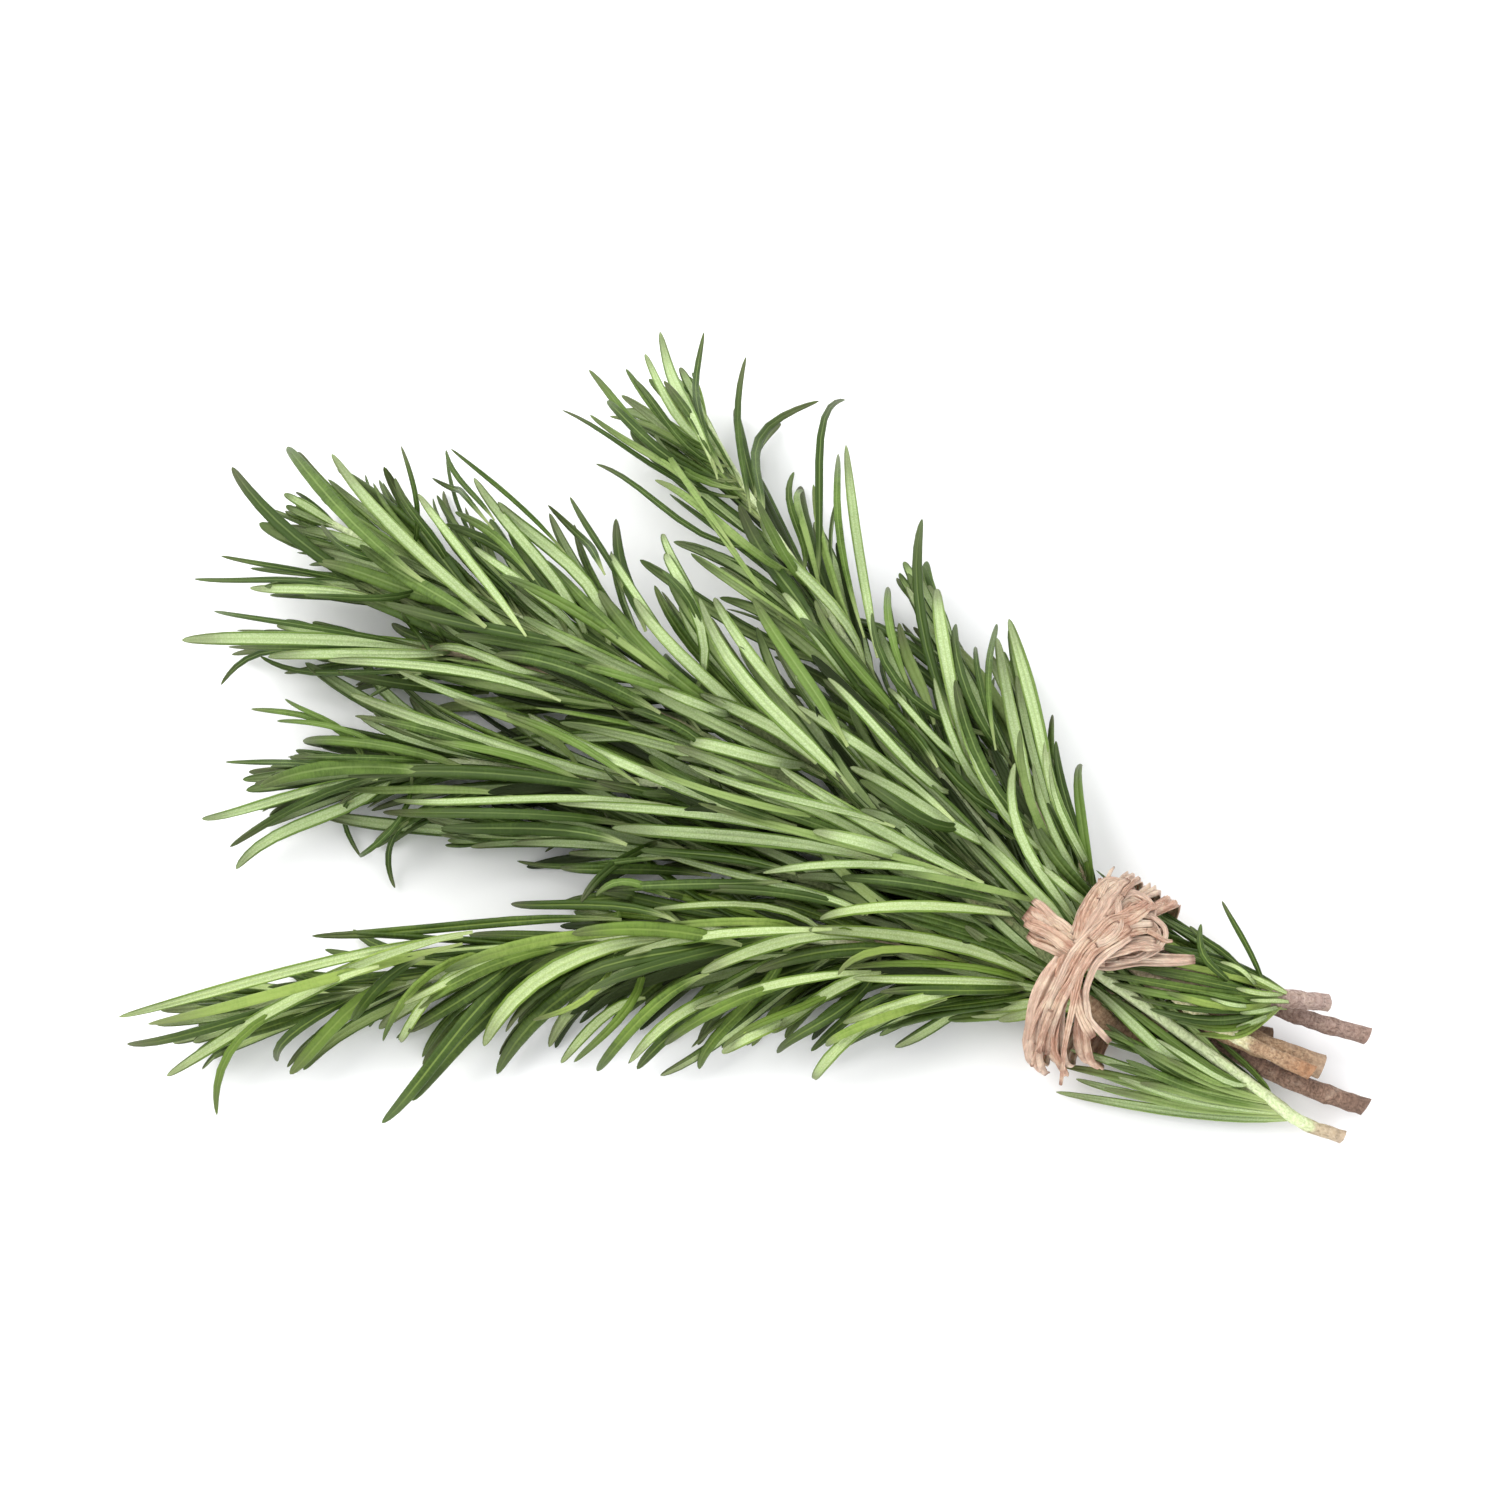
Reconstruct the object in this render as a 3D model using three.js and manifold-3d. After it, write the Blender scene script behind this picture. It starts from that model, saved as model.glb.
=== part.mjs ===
// A bunch of rosemary: eight sprigs of different length, laid together and tied near their cut ends with flat strands of raffia.
// Each sprig is a woody stem and, as one piece, the leaves that grow on it. The leaves stand in four rows; the foot of each leaf
// runs down the stem as a low ridge to the leaf below it, and the four ridges close over the growing tip in a bud.
// Millimetres, +Z up. The bunch lies on the plane z = 0 with its cut ends towards +X and its tips fanned out towards -X.
// The origin is the centre of the bunch's own footprint.
import * as THREE from "three";
import { mergeVertices } from "three/addons/utils/BufferGeometryUtils.js";
import Module from "manifold-3d";

const wasm = await Module();
wasm.setup();

// ---- driving dimensions -------------------------------------------------------------------------------------------------
const STEM_SIDES = 7; // sides of a stem's section
const STEM_STEP = 15; // mm of stem to one step of its sweep
const TAPER_POWER = 1.35; // how a stem loses thickness from its woody foot to its tip
const CLEARANCE = 0.3; // between a stem and the leaves round it, and between strands
const RIDGE_WIDTH = 1.7; // a leaf foot where it runs down the stem
const RIDGE_HEIGHT = 0.55;
const BUD_RADIUS = 1.3; // the growing tip that closes a sprig
const BUD_LENGTH = 5.5;
const LEAF_THICKNESS = 0.36; // of the leaf's width, across the rolled edges
const STRAND_THICKNESS = 0.6; // a flat strand of raffia

// ---- colours --------------------------------------------------------------------------------------------------------------
const bark = (color) => new THREE.MeshStandardMaterial({ color, roughness: 0.85, metalness: 0 });
const green = (color) => new THREE.MeshStandardMaterial({ color, roughness: 0.48, metalness: 0 });
const raffia = (color) => new THREE.MeshStandardMaterial({ color, roughness: 0.78, metalness: 0 });

// ---- measured layout ------------------------------------------------------------------------------------------------------
// Each stem: points along its centre line from the cut end to the tip, radius at both ends, and where its leaves begin (share of
// its length).
const STEMS = {
  a: {"foot":1.25,"tip":0.55,"leafy":0.054,"color":"#9a8f63","leafColor":"#5f7d45","points":[[98.06,-68.11,3.15],[91.14,-65.9,4.62],[85.1,-62.1,6.61],[79.16,-58.29,8.89],[72.92,-56.12,12.61],[67.23,-51.98,15.94],[61.5,-47.54,17.89],[55.9,-43.23,19.78],[51.45,-37.23,20.27],[47.3,-31.07,19.86],[42.91,-25.19,18.69],[38.45,-19.27,18.3],[33.94,-13.37,18.37],[29.49,-7.42,18.49],[25.22,-1.34,18.44],[21.23,4.92,18.18],[17.42,11.29,17.79],[13.68,17.68,17.21],[9.88,24.01,16.37],[6.08,30.3,15.28],[2.33,36.6,14.07],[-1.29,42.97,12.86],[-4.66,49.49,11.67],[-7.91,56.06,10.45]]},
  b: {"foot":1.55,"tip":0.6,"leafy":0.291,"color":"#8a6f5c","leafColor":"#587640","points":[[102.03,-63.17,3.35],[93.68,-60.48,4.0],[85.64,-56.98,4.2],[77.97,-52.75,3.86],[70.09,-49.49,4.62],[63.93,-43.22,6.86],[56.4,-39.51,9.41],[48.95,-34.45,11.85],[41.84,-29.14,13.41],[34.67,-24.26,14.74],[27.45,-19.33,15.69],[20.09,-14.5,16.3],[12.7,-9.61,16.71],[5.25,-4.65,17.2],[-2.37,-0.12,17.71],[-10.2,3.8,18.02],[-18.1,7.51,17.48],[-26.0,11.05,16.28],[-33.76,14.94,15.1],[-41.39,19.13,13.88],[-48.97,23.43,12.63],[-56.55,27.76,11.49],[-64.11,32.14,10.46],[-71.67,36.54,9.45]]},
  c: {"foot":2.0,"tip":0.6,"leafy":0.268,"color":"#b98f63","leafColor":"#54723c","points":[[94.26,-57.41,8.33],[86.66,-54.84,8.87],[79.14,-51.89,9.84],[71.48,-49.09,10.21],[62.37,-52.82,11.13],[55.94,-47.97,14.58],[49.94,-41.45,15.65],[43.69,-36.25,17.04],[37.35,-31.37,18.66],[30.69,-26.91,19.53],[23.9,-22.63,19.92],[17.14,-18.33,20.03],[10.41,-14.06,19.9],[3.57,-10.05,19.38],[-3.4,-6.24,18.46],[-10.35,-2.31,17.15],[-17.41,1.38,15.83],[-24.59,4.88,14.75],[-31.98,7.85,13.65],[-39.6,10.17,12.64],[-47.36,12.02,11.71],[-55.21,13.52,10.89],[-63.12,14.73,10.17],[-71.03,15.92,9.45]]},
  d: {"foot":1.4,"tip":0.6,"leafy":0.09,"color":"#8f7266","leafColor":"#4d6b38","points":[[102.58,-51.65,5.2],[94.9,-49.77,6.25],[87.2,-47.28,6.96],[79.22,-44.31,6.23],[63.97,-35.58,8.05],[59.06,-35.95,5.82],[55.33,-36.59,4.8],[49.52,-35.56,5.63],[42.83,-32.49,6.86],[35.71,-29.42,7.94],[28.55,-26.2,8.73],[21.46,-22.76,9.15],[14.47,-19.07,9.35],[7.38,-15.58,9.43],[0.01,-12.76,9.45],[-7.68,-10.95,9.35],[-15.5,-9.81,9.17],[-23.34,-8.84,8.97],[-31.16,-7.7,8.82],[-38.99,-6.62,8.67],[-46.85,-5.9,8.51],[-54.75,-5.91,8.33],[-62.62,-6.61,8.14],[-70.48,-7.4,7.95]]},
  e: {"foot":1.5,"tip":0.6,"leafy":0.04,"color":"#8c7267","leafColor":"#64833f","points":[[95.43,-47.06,10.32],[87.69,-46.73,12.27],[80.03,-46.4,14.04],[72.21,-44.07,18.24],[62.39,-45.57,11.43],[54.98,-46.02,9.21],[48.13,-44.61,9.78],[40.78,-42.52,10.82],[33.21,-40.46,11.45],[25.54,-38.64,11.37],[17.81,-37.17,10.98],[10.0,-36.22,10.53],[2.16,-35.61,10.0],[-5.71,-35.39,9.53],[-13.58,-35.67,9.27],[-21.43,-36.41,9.15],[-29.23,-37.49,9.03],[-36.98,-38.89,8.79],[-44.64,-40.73,8.48],[-52.29,-42.64,8.14],[-60.0,-44.23,7.83],[-67.77,-45.55,7.54],[-75.55,-46.76,7.24],[-83.33,-47.99,6.95]]},
  f: {"foot":1.2,"tip":0.5,"leafy":0.468,"color":"#a9876a","leafColor":"#52703b","points":[[91.96,-59.06,12.46],[85.5,-56.19,13.11],[79.12,-53.16,14.02],[72.89,-50.4,18.01],[66.87,-45.83,19.9],[61.66,-41.41,17.01],[57.12,-36.43,17.49],[53.58,-30.4,18.49],[50.73,-24.34,19.17],[47.77,-17.91,19.45],[44.85,-11.46,19.18],[42.05,-4.99,18.52],[39.19,1.43,17.61],[36.19,7.74,16.43],[33.12,13.94,14.95],[30.04,20.15,13.45]]},
  g: {"foot":1.1,"tip":0.5,"leafy":0.548,"color":"#9a7d66","leafColor":"#4c6936","points":[[86.73,-51.36,5.31],[81.71,-50.52,5.84],[76.8,-49.17,6.19],[72.04,-46.42,6.36],[68.3,-43.42,8.95],[64.55,-40.19,10.83],[61.22,-36.35,12.34],[58.71,-31.92,10.8],[56.5,-27.68,11.19],[54.39,-23.03,11.88],[52.56,-18.2,11.85],[51.03,-13.3,11.33],[49.65,-8.37,10.63],[48.34,-3.43,9.97],[47.14,1.57,9.46],[46.06,6.59,8.95]]},
  h: {"foot":1.1,"tip":0.5,"leafy":0.288,"color":"#7d6a55","leafColor":"#42602f","points":[[84.95,-47.34,2.01],[79.18,-47.39,1.91],[72.34,-46.76,1.96],[65.46,-46.85,2.84],[60.72,-45.77,5.13],[56.33,-43.52,3.56],[51.06,-41.83,3.59],[45.67,-39.95,4.0],[40.5,-37.39,4.58],[35.28,-34.92,5.14],[29.99,-32.68,5.53],[24.64,-30.59,5.84],[19.23,-28.67,6.07],[13.77,-26.84,6.24],[8.28,-25.15,6.36],[2.73,-23.64,6.44],[-2.87,-22.3,6.5],[-8.5,-21.11,6.52],[-14.15,-20.08,6.51],[-19.84,-19.23,6.46],[-25.56,-18.65,6.38],[-31.31,-18.34,6.25],[-37.06,-18.16,6.1],[-42.8,-17.93,5.95]]},
};

// Each leaf: the four control points of its centre line from foot to tip, the direction its upper face looks, and its width.
const LEAVES = {
  a: [
    [1.17,36.81,14.89,-10.5,42.56,14.03,-18.65,53.33,12.54,-26.86,63.17,10.01,0.69,0.7,-0.21,2.68],
    [3.54,32.71,15.67,-8.95,39.03,14.37,-19.85,48.17,11.9,-31.13,56.31,8.79,0.52,0.82,0.24,2.96],
    [10.57,20.78,15.64,-4.36,25.55,15.36,-13.42,38.35,11.92,-25.05,46.88,7.72,0.6,0.79,-0.12,2.7],
    [-0.5,39.78,14.34,-7.32,46.62,15.03,-14.42,53.25,15.96,-20.13,61.1,15.38,0.63,0.62,-0.46,2.65],
    [-0.19,39.16,14.45,-8.55,43.2,14.45,-13.01,52.54,14.29,-19.0,59.73,12.79,0.64,0.55,-0.54,2.73],
    [-2.2,42.71,13.79,-7.99,48.54,15.15,-13.33,55.47,16.78,-16.69,63.6,16.89,0.32,0.37,-0.87,2.89],
    [-7.69,54.3,11.37,-10.65,58.76,12.32,-13.35,63.71,12.56,-14.81,69.26,11.8,0.17,0.1,-0.98,2.95],
    [-5.69,50.02,12.27,-10.37,55.35,13.86,-8.28,61.79,14.7,-7.55,68.18,14.51,-0.9,-0.06,-0.42,3.08],
    [0.14,42.44,13.99,-1.62,49.6,13.48,-1.75,57.24,12.99,-0.72,64.58,11.1,-0.98,-0.05,-0.17,2.68],
    [3.18,37.2,15.0,-0.12,45.22,14.48,4.08,53.73,13.47,11.79,57.62,11.15,-0.88,0.3,-0.37,2.77],
    [13.28,20.28,17.8,11.8,32.52,16.42,9.5,46.15,15.05,16.56,56.77,11.96,-1.0,0.09,-0.04,3.13],
    [21.47,6.73,17.04,20.0,21.17,16.95,17.57,35.34,13.73,16.9,49.46,10.12,-0.93,-0.03,0.37,2.7],
    [9.73,26.12,16.99,7.95,30.66,18.29,5.85,35.19,20.06,7.36,40.34,20.11,-0.92,-0.03,-0.4,2.73],
    [18.18,8.0,18.89,3.81,8.94,18.8,-6.67,19.3,17.9,-17.79,27.26,15.99,0.47,0.88,0.09,2.73],
    [14.31,14.51,18.44,-0.24,17.1,17.59,-10.76,28.02,16.04,-23.0,35.17,13.48,0.49,0.83,-0.28,2.88],
    [22.84,0.43,19.4,14.66,8.76,21.77,5.73,16.35,25.59,-4.27,23.54,27.38,0.44,0.72,-0.54,3.01],
    [17.87,8.67,18.88,9.69,17.34,21.63,0.73,24.78,25.82,-7.59,33.75,27.94,0.47,0.69,-0.55,2.62],
    [85.17,-64.06,5.21,77.86,-59.04,7.9,63.32,-57.05,7.6,58.03,-44.69,7.22,-0.18,-0.38,0.91,2.65],
    [85.15,-64.11,5.19,75.48,-62.5,6.2,63.26,-60.69,3.87,51.25,-60.01,1.35,0.03,0.69,0.73,2.83],
    [84.6,-63.77,5.43,74.82,-60.58,7.14,64.32,-58.95,4.44,54.4,-57.44,1.95,0.1,0.85,0.52,2.94],
    [85.16,-64.08,5.19,78.57,-61.33,6.3,70.0,-58.42,5.74,62.61,-53.71,3.53,0.08,0.29,0.95,2.76],
    [85.15,-64.14,5.17,80.53,-64.57,4.78,70.43,-62.66,3.68,60.51,-61.61,0.95,0.01,0.51,0.86,2.74],
    [55.09,-39.46,20.93,47.54,-29.86,22.19,41.12,-19.19,23.69,34.94,-8.29,24.36,-0.69,-0.31,-0.66,2.76],
    [31.6,-11.98,19.49,26.0,-2.92,21.62,19.95,5.21,24.93,13.37,13.18,27.54,-0.33,0.18,-0.93,2.7],
    [85.93,-64.48,7.75,80.13,-64.56,10.79,71.32,-62.48,15.22,62.76,-59.79,19.13,-0.08,0.83,-0.55,3.01],
    [11.89,18.67,17.9,2.84,27.08,18.22,-6.99,34.7,19.44,-17.74,40.81,21.71,0.31,0.64,-0.7,3.04],
    [43.72,-24.41,17.52,36.9,-15.19,12.98,32.55,-6.31,5.12,25.41,2.69,0.95,-0.03,0.6,0.8,2.78],
    [36.63,-15.05,17.38,33.07,-3.91,16.15,31.38,7.71,13.84,29.85,19.24,10.4,-0.94,0.05,0.34,2.75],
    [82.96,-62.8,6.16,72.64,-57.82,10.35,61.17,-53.8,13.97,50.43,-51.26,20.12,0.43,0.52,0.74,2.47],
    [30.77,-10.85,17.28,23.46,-2.33,12.82,16.29,3.86,4.66,8.21,12.03,0.95,0.19,0.81,0.56,2.87],
    [16.91,10.34,16.7,12.37,19.28,12.49,6.88,25.81,5.21,3.51,35.08,0.95,-0.19,0.58,0.79,2.83],
    [2.37,34.84,13.37,-4.91,44.15,10.05,-10.25,55.71,6.25,-21.45,59.6,0.95,0.22,0.78,0.58,2.8]
  ],
  b: [
    [8.03,-5.24,18.22,-1.17,3.68,19.11,-9.33,14.05,20.34,-13.0,26.81,20.04,-0.8,-0.5,-0.34,2.74],
    [-61.96,29.73,11.73,-69.93,21.75,12.91,-78.62,39.53,14.2,-86.65,43.98,13.85,-0.15,-0.07,-0.99,3.1],
    [-55.24,28.15,12.63,-63.06,34.25,12.73,-71.84,39.98,12.99,-77.75,48.37,11.65,-0.63,-0.7,-0.33,2.93],
    [-45.92,22.84,14.05,-54.78,30.12,13.52,-63.79,37.64,13.12,-70.11,47.31,11.07,-0.71,-0.7,-0.07,3.01],
    [-35.35,17.06,15.79,-44.32,24.84,16.37,-54.17,32.25,18.33,-60.79,42.58,17.8,-0.51,-0.43,-0.74,3.15],
    [-43.56,21.56,14.46,-49.71,28.37,16.17,-58.09,34.99,20.33,-58.0,45.73,21.41,-0.69,-0.21,-0.69,2.69],
    [-23.26,11.19,17.65,-26.85,27.25,16.81,-41.79,35.5,15.31,-50.89,47.99,12.68,-0.69,-0.57,-0.44,2.82],
    [-22.64,10.9,17.76,-24.96,26.44,18.93,-37.48,35.94,20.01,-49.4,45.08,19.76,-0.76,-0.57,-0.31,3.11],
    [-4.89,2.42,16.59,-11.06,16.01,18.09,-23.51,25.15,16.45,-28.94,38.6,13.89,-0.82,-0.52,0.24,2.7],
    [0.45,-0.48,16.44,-5.44,12.87,17.15,-19.37,21.11,14.53,-22.24,35.91,11.3,-0.8,-0.44,0.4,2.68],
    [8.56,-5.5,15.87,5.17,9.58,16.43,-8.04,18.91,13.51,-12.92,32.77,10.01,-0.86,-0.44,0.27,2.98],
    [-12.88,6.28,18.72,-19.26,18.74,20.31,-30.32,27.82,21.84,-41.04,36.72,21.9,-0.69,-0.58,-0.44,2.98],
    [-55.63,26.06,12.72,-66.85,23.82,12.37,-78.21,26.55,11.73,-88.9,29.84,9.71,0.11,0.99,-0.04,2.69],
    [-52.14,24.05,13.25,-66.03,21.38,12.33,-79.72,26.65,10.97,-93.56,26.22,8.23,0.08,0.92,-0.37,2.84],
    [-46.91,21.06,14.05,-58.23,20.76,13.16,-69.51,22.79,11.77,-80.61,23.29,9.07,0.04,0.98,0.21,2.68],
    [-60.28,28.76,12.04,-67.34,28.64,14.28,-74.77,29.97,16.87,-81.81,33.61,18.09,-0.17,0.4,-0.9,2.94],
    [-4.11,-0.51,18.84,-14.65,4.41,22.07,-25.74,8.14,26.2,-36.22,12.61,31.26,-0.17,0.57,-0.81,2.83],
    [-24.86,9.53,17.58,-35.52,15.0,19.17,-46.73,19.97,21.28,-57.5,23.57,26.74,-0.19,0.44,-0.88,2.52],
    [-45.35,22.49,14.17,-54.69,27.0,16.32,-62.83,32.3,19.58,-70.84,36.09,25.22,-0.47,0.23,-0.85,2.56],
    [32.43,-21.2,16.29,23.44,-13.62,20.26,15.37,-5.31,24.97,7.85,2.75,31.03,-0.62,-0.03,-0.79,2.46],
    [26.8,-17.41,17.02,18.39,-9.04,18.95,10.23,-0.31,21.51,4.49,9.88,25.69,-0.79,-0.24,-0.57,2.82],
    [9.19,-5.96,18.18,1.21,1.89,22.44,-6.11,10.44,27.75,-12.71,19.56,33.08,-0.82,-0.4,-0.41,2.48],
    [3.97,-2.74,18.49,-5.53,3.98,21.66,-14.46,11.42,25.92,-23.22,18.74,30.93,-0.53,-0.01,-0.85,2.59],
    [-9.84,4.74,18.76,-20.16,11.19,21.03,-30.0,18.33,23.87,-38.82,26.42,27.61,-0.56,-0.34,-0.75,2.52],
    [-18.46,8.88,18.4,-28.46,16.02,19.11,-38.39,23.74,20.1,-43.52,33.77,26.29,-0.44,0.03,-0.9,2.79],
    [46.95,-34.69,10.61,41.55,-33.65,11.96,32.88,-30.08,13.08,23.45,-31.51,12.28,0.09,1.0,0.0,2.48],
    [19.08,-15.28,15.02,7.91,-11.37,11.9,-3.37,-8.74,7.38,-13.9,-6.57,0.95,-0.1,0.82,0.56,2.56],
    [2.12,-4.29,16.2,-8.82,0.18,13.52,-20.0,3.57,9.86,-30.69,3.15,3.42,-0.13,0.88,0.46,2.88],
    [-29.51,11.7,14.76,-39.52,16.59,11.36,-49.79,20.81,7.13,-60.19,24.32,2.45,-0.23,0.51,0.83,2.33],
    [-40.78,17.7,13.03,-52.23,20.91,11.01,-64.07,22.71,7.72,-76.05,25.05,5.36,0.11,0.99,-0.02,2.73],
    [-49.58,22.64,11.67,-61.31,26.07,9.78,-72.95,27.75,6.73,-84.81,29.52,4.46,-0.11,0.77,0.62,2.55],
    [-61.24,29.4,10.01,-67.49,32.05,9.95,-73.77,34.85,9.26,-80.4,36.32,7.87,0.12,0.82,0.56,2.15],
    [-46.26,23.03,12.0,-54.03,29.28,8.31,-60.27,36.46,1.29,-68.85,43.7,0.95,-0.64,-0.15,0.75,2.63]
  ],
  c: [
    [-59.42,13.27,11.47,-68.89,15.62,13.11,-78.42,16.4,15.05,-87.96,18.28,15.51,-0.16,-0.1,-0.98,3.14],
    [-65.79,14.39,10.69,-75.28,14.87,11.3,-85.03,14.28,11.91,-94.71,15.12,10.96,0.01,0.64,-0.77,2.65],
    [-55.0,12.37,11.94,-65.92,11.74,11.09,-79.7,16.42,10.47,-88.33,8.29,7.94,-0.15,0.96,0.24,3.01],
    [-47.44,10.85,12.77,-58.79,10.04,11.25,-71.08,7.05,9.0,-81.54,13.14,5.77,-0.07,0.76,0.64,2.88],
    [-40.36,9.15,11.58,-48.13,9.89,10.74,-53.91,14.12,8.05,-57.28,20.35,4.24,-0.6,-0.64,0.47,2.67],
    [-56.26,12.63,11.82,-65.08,12.33,12.91,-74.0,11.71,14.71,-82.86,13.61,14.81,-0.06,0.79,-0.61,2.93],
    [49.26,-39.08,17.76,44.9,-34.39,21.39,38.66,-26.43,25.81,32.83,-18.62,30.25,-0.31,0.26,-0.91,2.9],
    [49.24,-39.09,17.75,40.96,-33.27,22.06,32.8,-25.94,28.0,24.15,-18.39,32.81,-0.71,-0.23,-0.66,2.54],
    [-1.14,-8.85,20.13,-11.73,-2.53,21.18,-22.59,2.8,23.21,-33.72,7.18,26.37,-0.35,-0.11,-0.93,2.79],
    [-17.52,0.08,17.15,-28.01,5.49,19.09,-39.26,10.0,22.49,-50.38,15.67,22.72,-0.17,0.08,-0.98,2.82],
    [-24.99,3.7,15.91,-36.08,9.09,17.79,-47.23,13.19,20.93,-58.37,16.44,25.24,-0.28,0.24,-0.93,2.52],
    [-32.6,8.88,14.65,-44.46,12.76,15.13,-55.86,17.44,17.09,-67.59,21.53,18.0,-0.33,-0.41,-0.85,2.89],
    [-51.2,11.63,12.42,-61.54,12.87,17.9,-71.45,12.68,25.04,-81.42,10.2,31.72,-0.52,0.57,-0.63,2.6],
    [47.05,-41.28,17.72,41.73,-37.09,18.85,33.25,-31.5,21.39,25.62,-24.56,22.86,0.27,0.63,-0.73,2.61],
    [23.32,-23.9,21.23,12.92,-20.57,21.75,2.55,-17.03,22.93,-7.91,-19.61,26.05,-0.08,0.95,-0.31,2.55],
    [5.02,-12.51,20.66,-6.54,-8.18,20.61,-18.29,-4.07,20.37,-30.4,-3.14,23.68,-0.07,0.55,-0.83,2.63],
    [-9.29,-4.34,16.21,-21.26,-2.16,13.66,-33.04,-1.61,10.2,-44.2,-2.39,4.86,-0.15,0.95,0.28,2.9],
    [-18.68,0.61,16.92,-30.68,3.92,15.1,-43.08,5.61,14.65,-54.99,9.09,13.46,0.17,0.97,-0.17,2.61],
    [-30.88,6.11,15.0,-41.38,7.72,16.3,-52.17,7.88,18.54,-62.1,7.69,23.7,-0.35,0.4,-0.85,2.42],
    [22.04,-19.78,21.25,13.74,-10.73,21.95,6.11,-0.94,23.68,-1.08,9.01,26.37,-0.81,-0.54,-0.22,2.47],
    [-17.35,2.51,14.7,-25.55,9.5,11.8,-33.92,16.59,8.09,-37.69,26.63,3.1,-0.88,-0.41,0.23,2.54],
    [-30.43,8.25,12.77,-37.5,16.56,9.0,-42.86,25.37,2.5,-45.41,37.25,0.95,-0.94,-0.18,0.3,2.9],
    [20.88,-19.09,18.52,11.73,-13.72,15.22,3.61,-7.01,11.54,-3.76,-2.47,4.11,-0.36,0.49,0.79,2.61],
    [8.14,-11.39,18.23,-1.37,-6.52,13.43,-8.81,-1.1,4.79,-18.95,4.16,0.95,-0.49,0.31,0.81,2.67],
    [-0.33,-9.33,17.7,-10.2,-4.88,13.16,-19.5,-2.1,6.98,-28.99,0.63,0.95,-0.47,0.49,0.73,2.47],
    [-32.43,6.6,12.61,-43.8,9.1,9.15,-54.52,11.99,2.56,-66.58,9.74,0.95,-0.33,0.59,0.74,2.64],
    [-62.86,15.53,9.38,-66.46,16.43,9.47,-70.06,17.03,9.09,-73.35,18.56,8.53,-0.36,-0.8,0.47,1.88],
    [-53.84,14.14,10.06,-61.87,15.31,8.31,-70.71,16.31,7.55,-77.78,19.5,3.28,-0.46,-0.63,0.62,2.34]
  ],
  d: [
    [-60.22,-5.5,9.04,-67.9,-2.7,9.05,-74.74,2.88,9.7,-83.39,3.31,8.21,-0.35,-0.92,0.17,2.7],
    [-58.08,-5.26,7.37,-66.28,-3.42,8.2,-74.08,0.19,6.65,-81.92,2.75,3.94,-0.35,-0.84,0.42,3.12],
    [-52.46,-5.13,9.35,-61.04,-2.99,10.5,-68.62,1.58,11.6,-77.12,3.81,11.38,-0.35,-0.9,-0.26,3.04],
    [-57.42,-5.2,9.19,-66.86,-5.12,9.76,-76.49,-5.45,10.89,-86.09,-6.28,10.27,-0.02,-0.6,-0.8,3.06],
    [-58.0,-7.09,9.15,-68.31,-9.37,9.28,-79.35,-10.65,9.72,-89.37,-15.4,8.26,-0.25,0.94,0.24,2.94],
    [-61.5,-7.36,8.97,-70.1,-10.76,8.63,-77.76,-15.6,8.27,-85.32,-20.04,6.16,-0.46,0.88,-0.09,2.93],
    [-60.75,-7.34,7.37,-68.37,-12.95,7.94,-78.54,-15.86,6.29,-84.79,-22.78,3.19,-0.54,0.84,0.07,3.02],
    [-48.87,-7.25,7.5,-54.93,-10.27,7.64,-61.62,-14.61,5.87,-65.17,-20.37,2.48,-0.63,0.78,0.0,2.9],
    [-49.62,-7.21,9.39,-55.88,-9.46,8.74,-62.28,-12.29,7.76,-68.91,-13.33,5.45,-0.33,0.94,0.08,2.67],
    [-46.08,-7.37,7.55,-53.46,-10.99,7.67,-62.02,-16.48,5.33,-59.42,-25.32,1.53,-0.81,0.42,0.41,2.83],
    [15.58,-20.98,10.38,3.36,-19.07,11.32,-9.1,-17.96,12.63,-21.68,-17.6,12.31,0.08,0.99,-0.09,2.97],
    [24.39,-25.59,10.13,10.56,-29.24,10.28,-2.91,-23.96,10.33,-15.96,-20.2,8.99,0.13,0.99,-0.08,2.86],
    [-27.05,-7.26,9.93,-35.97,-4.44,11.1,-45.24,-1.48,12.79,-53.57,3.73,12.9,-0.4,-0.83,-0.38,2.69],
    [83.47,-44.03,8.48,79.37,-44.24,9.63,70.69,-40.11,13.07,60.73,-39.96,14.4,-0.12,0.28,-0.95,3.05],
    [83.49,-43.96,8.51,82.21,-43.17,9.29,74.51,-39.83,11.4,66.3,-37.27,11.95,-0.35,-0.52,-0.78,3.01],
    [71.72,-41.29,8.66,60.63,-35.71,9.7,49.34,-30.35,11.72,38.83,-23.53,13.34,0.4,0.85,-0.34,2.54],
    [27.98,-24.58,9.94,17.24,-20.86,14.58,7.08,-16.15,20.24,-4.05,-11.91,24.08,-0.07,0.67,-0.74,2.94],
    [-32.18,-8.6,9.84,-43.11,-8.2,13.63,-56.18,-8.85,15.58,-60.07,-10.81,28.29,-0.74,0.48,-0.47,2.54],
    [16.23,-21.29,10.41,6.47,-17.76,15.43,-3.22,-14.61,21.54,-9.9,-18.92,31.33,-0.59,0.71,-0.39,2.75],
    [-41.78,-5.51,9.6,-53.38,-1.32,10.82,-63.92,3.93,13.49,-73.92,10.61,15.84,-0.58,-0.6,-0.55,2.87],
    [47.96,-34.96,4.94,35.75,-31.78,3.94,23.92,-28.67,1.4,11.68,-26.35,0.95,0.08,0.84,0.53,2.81],
    [-19.59,-10.42,8.01,-28.24,-10.46,5.9,-37.31,-9.62,1.44,-45.49,-15.01,0.95,-0.36,0.93,0.1,2.7],
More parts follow.
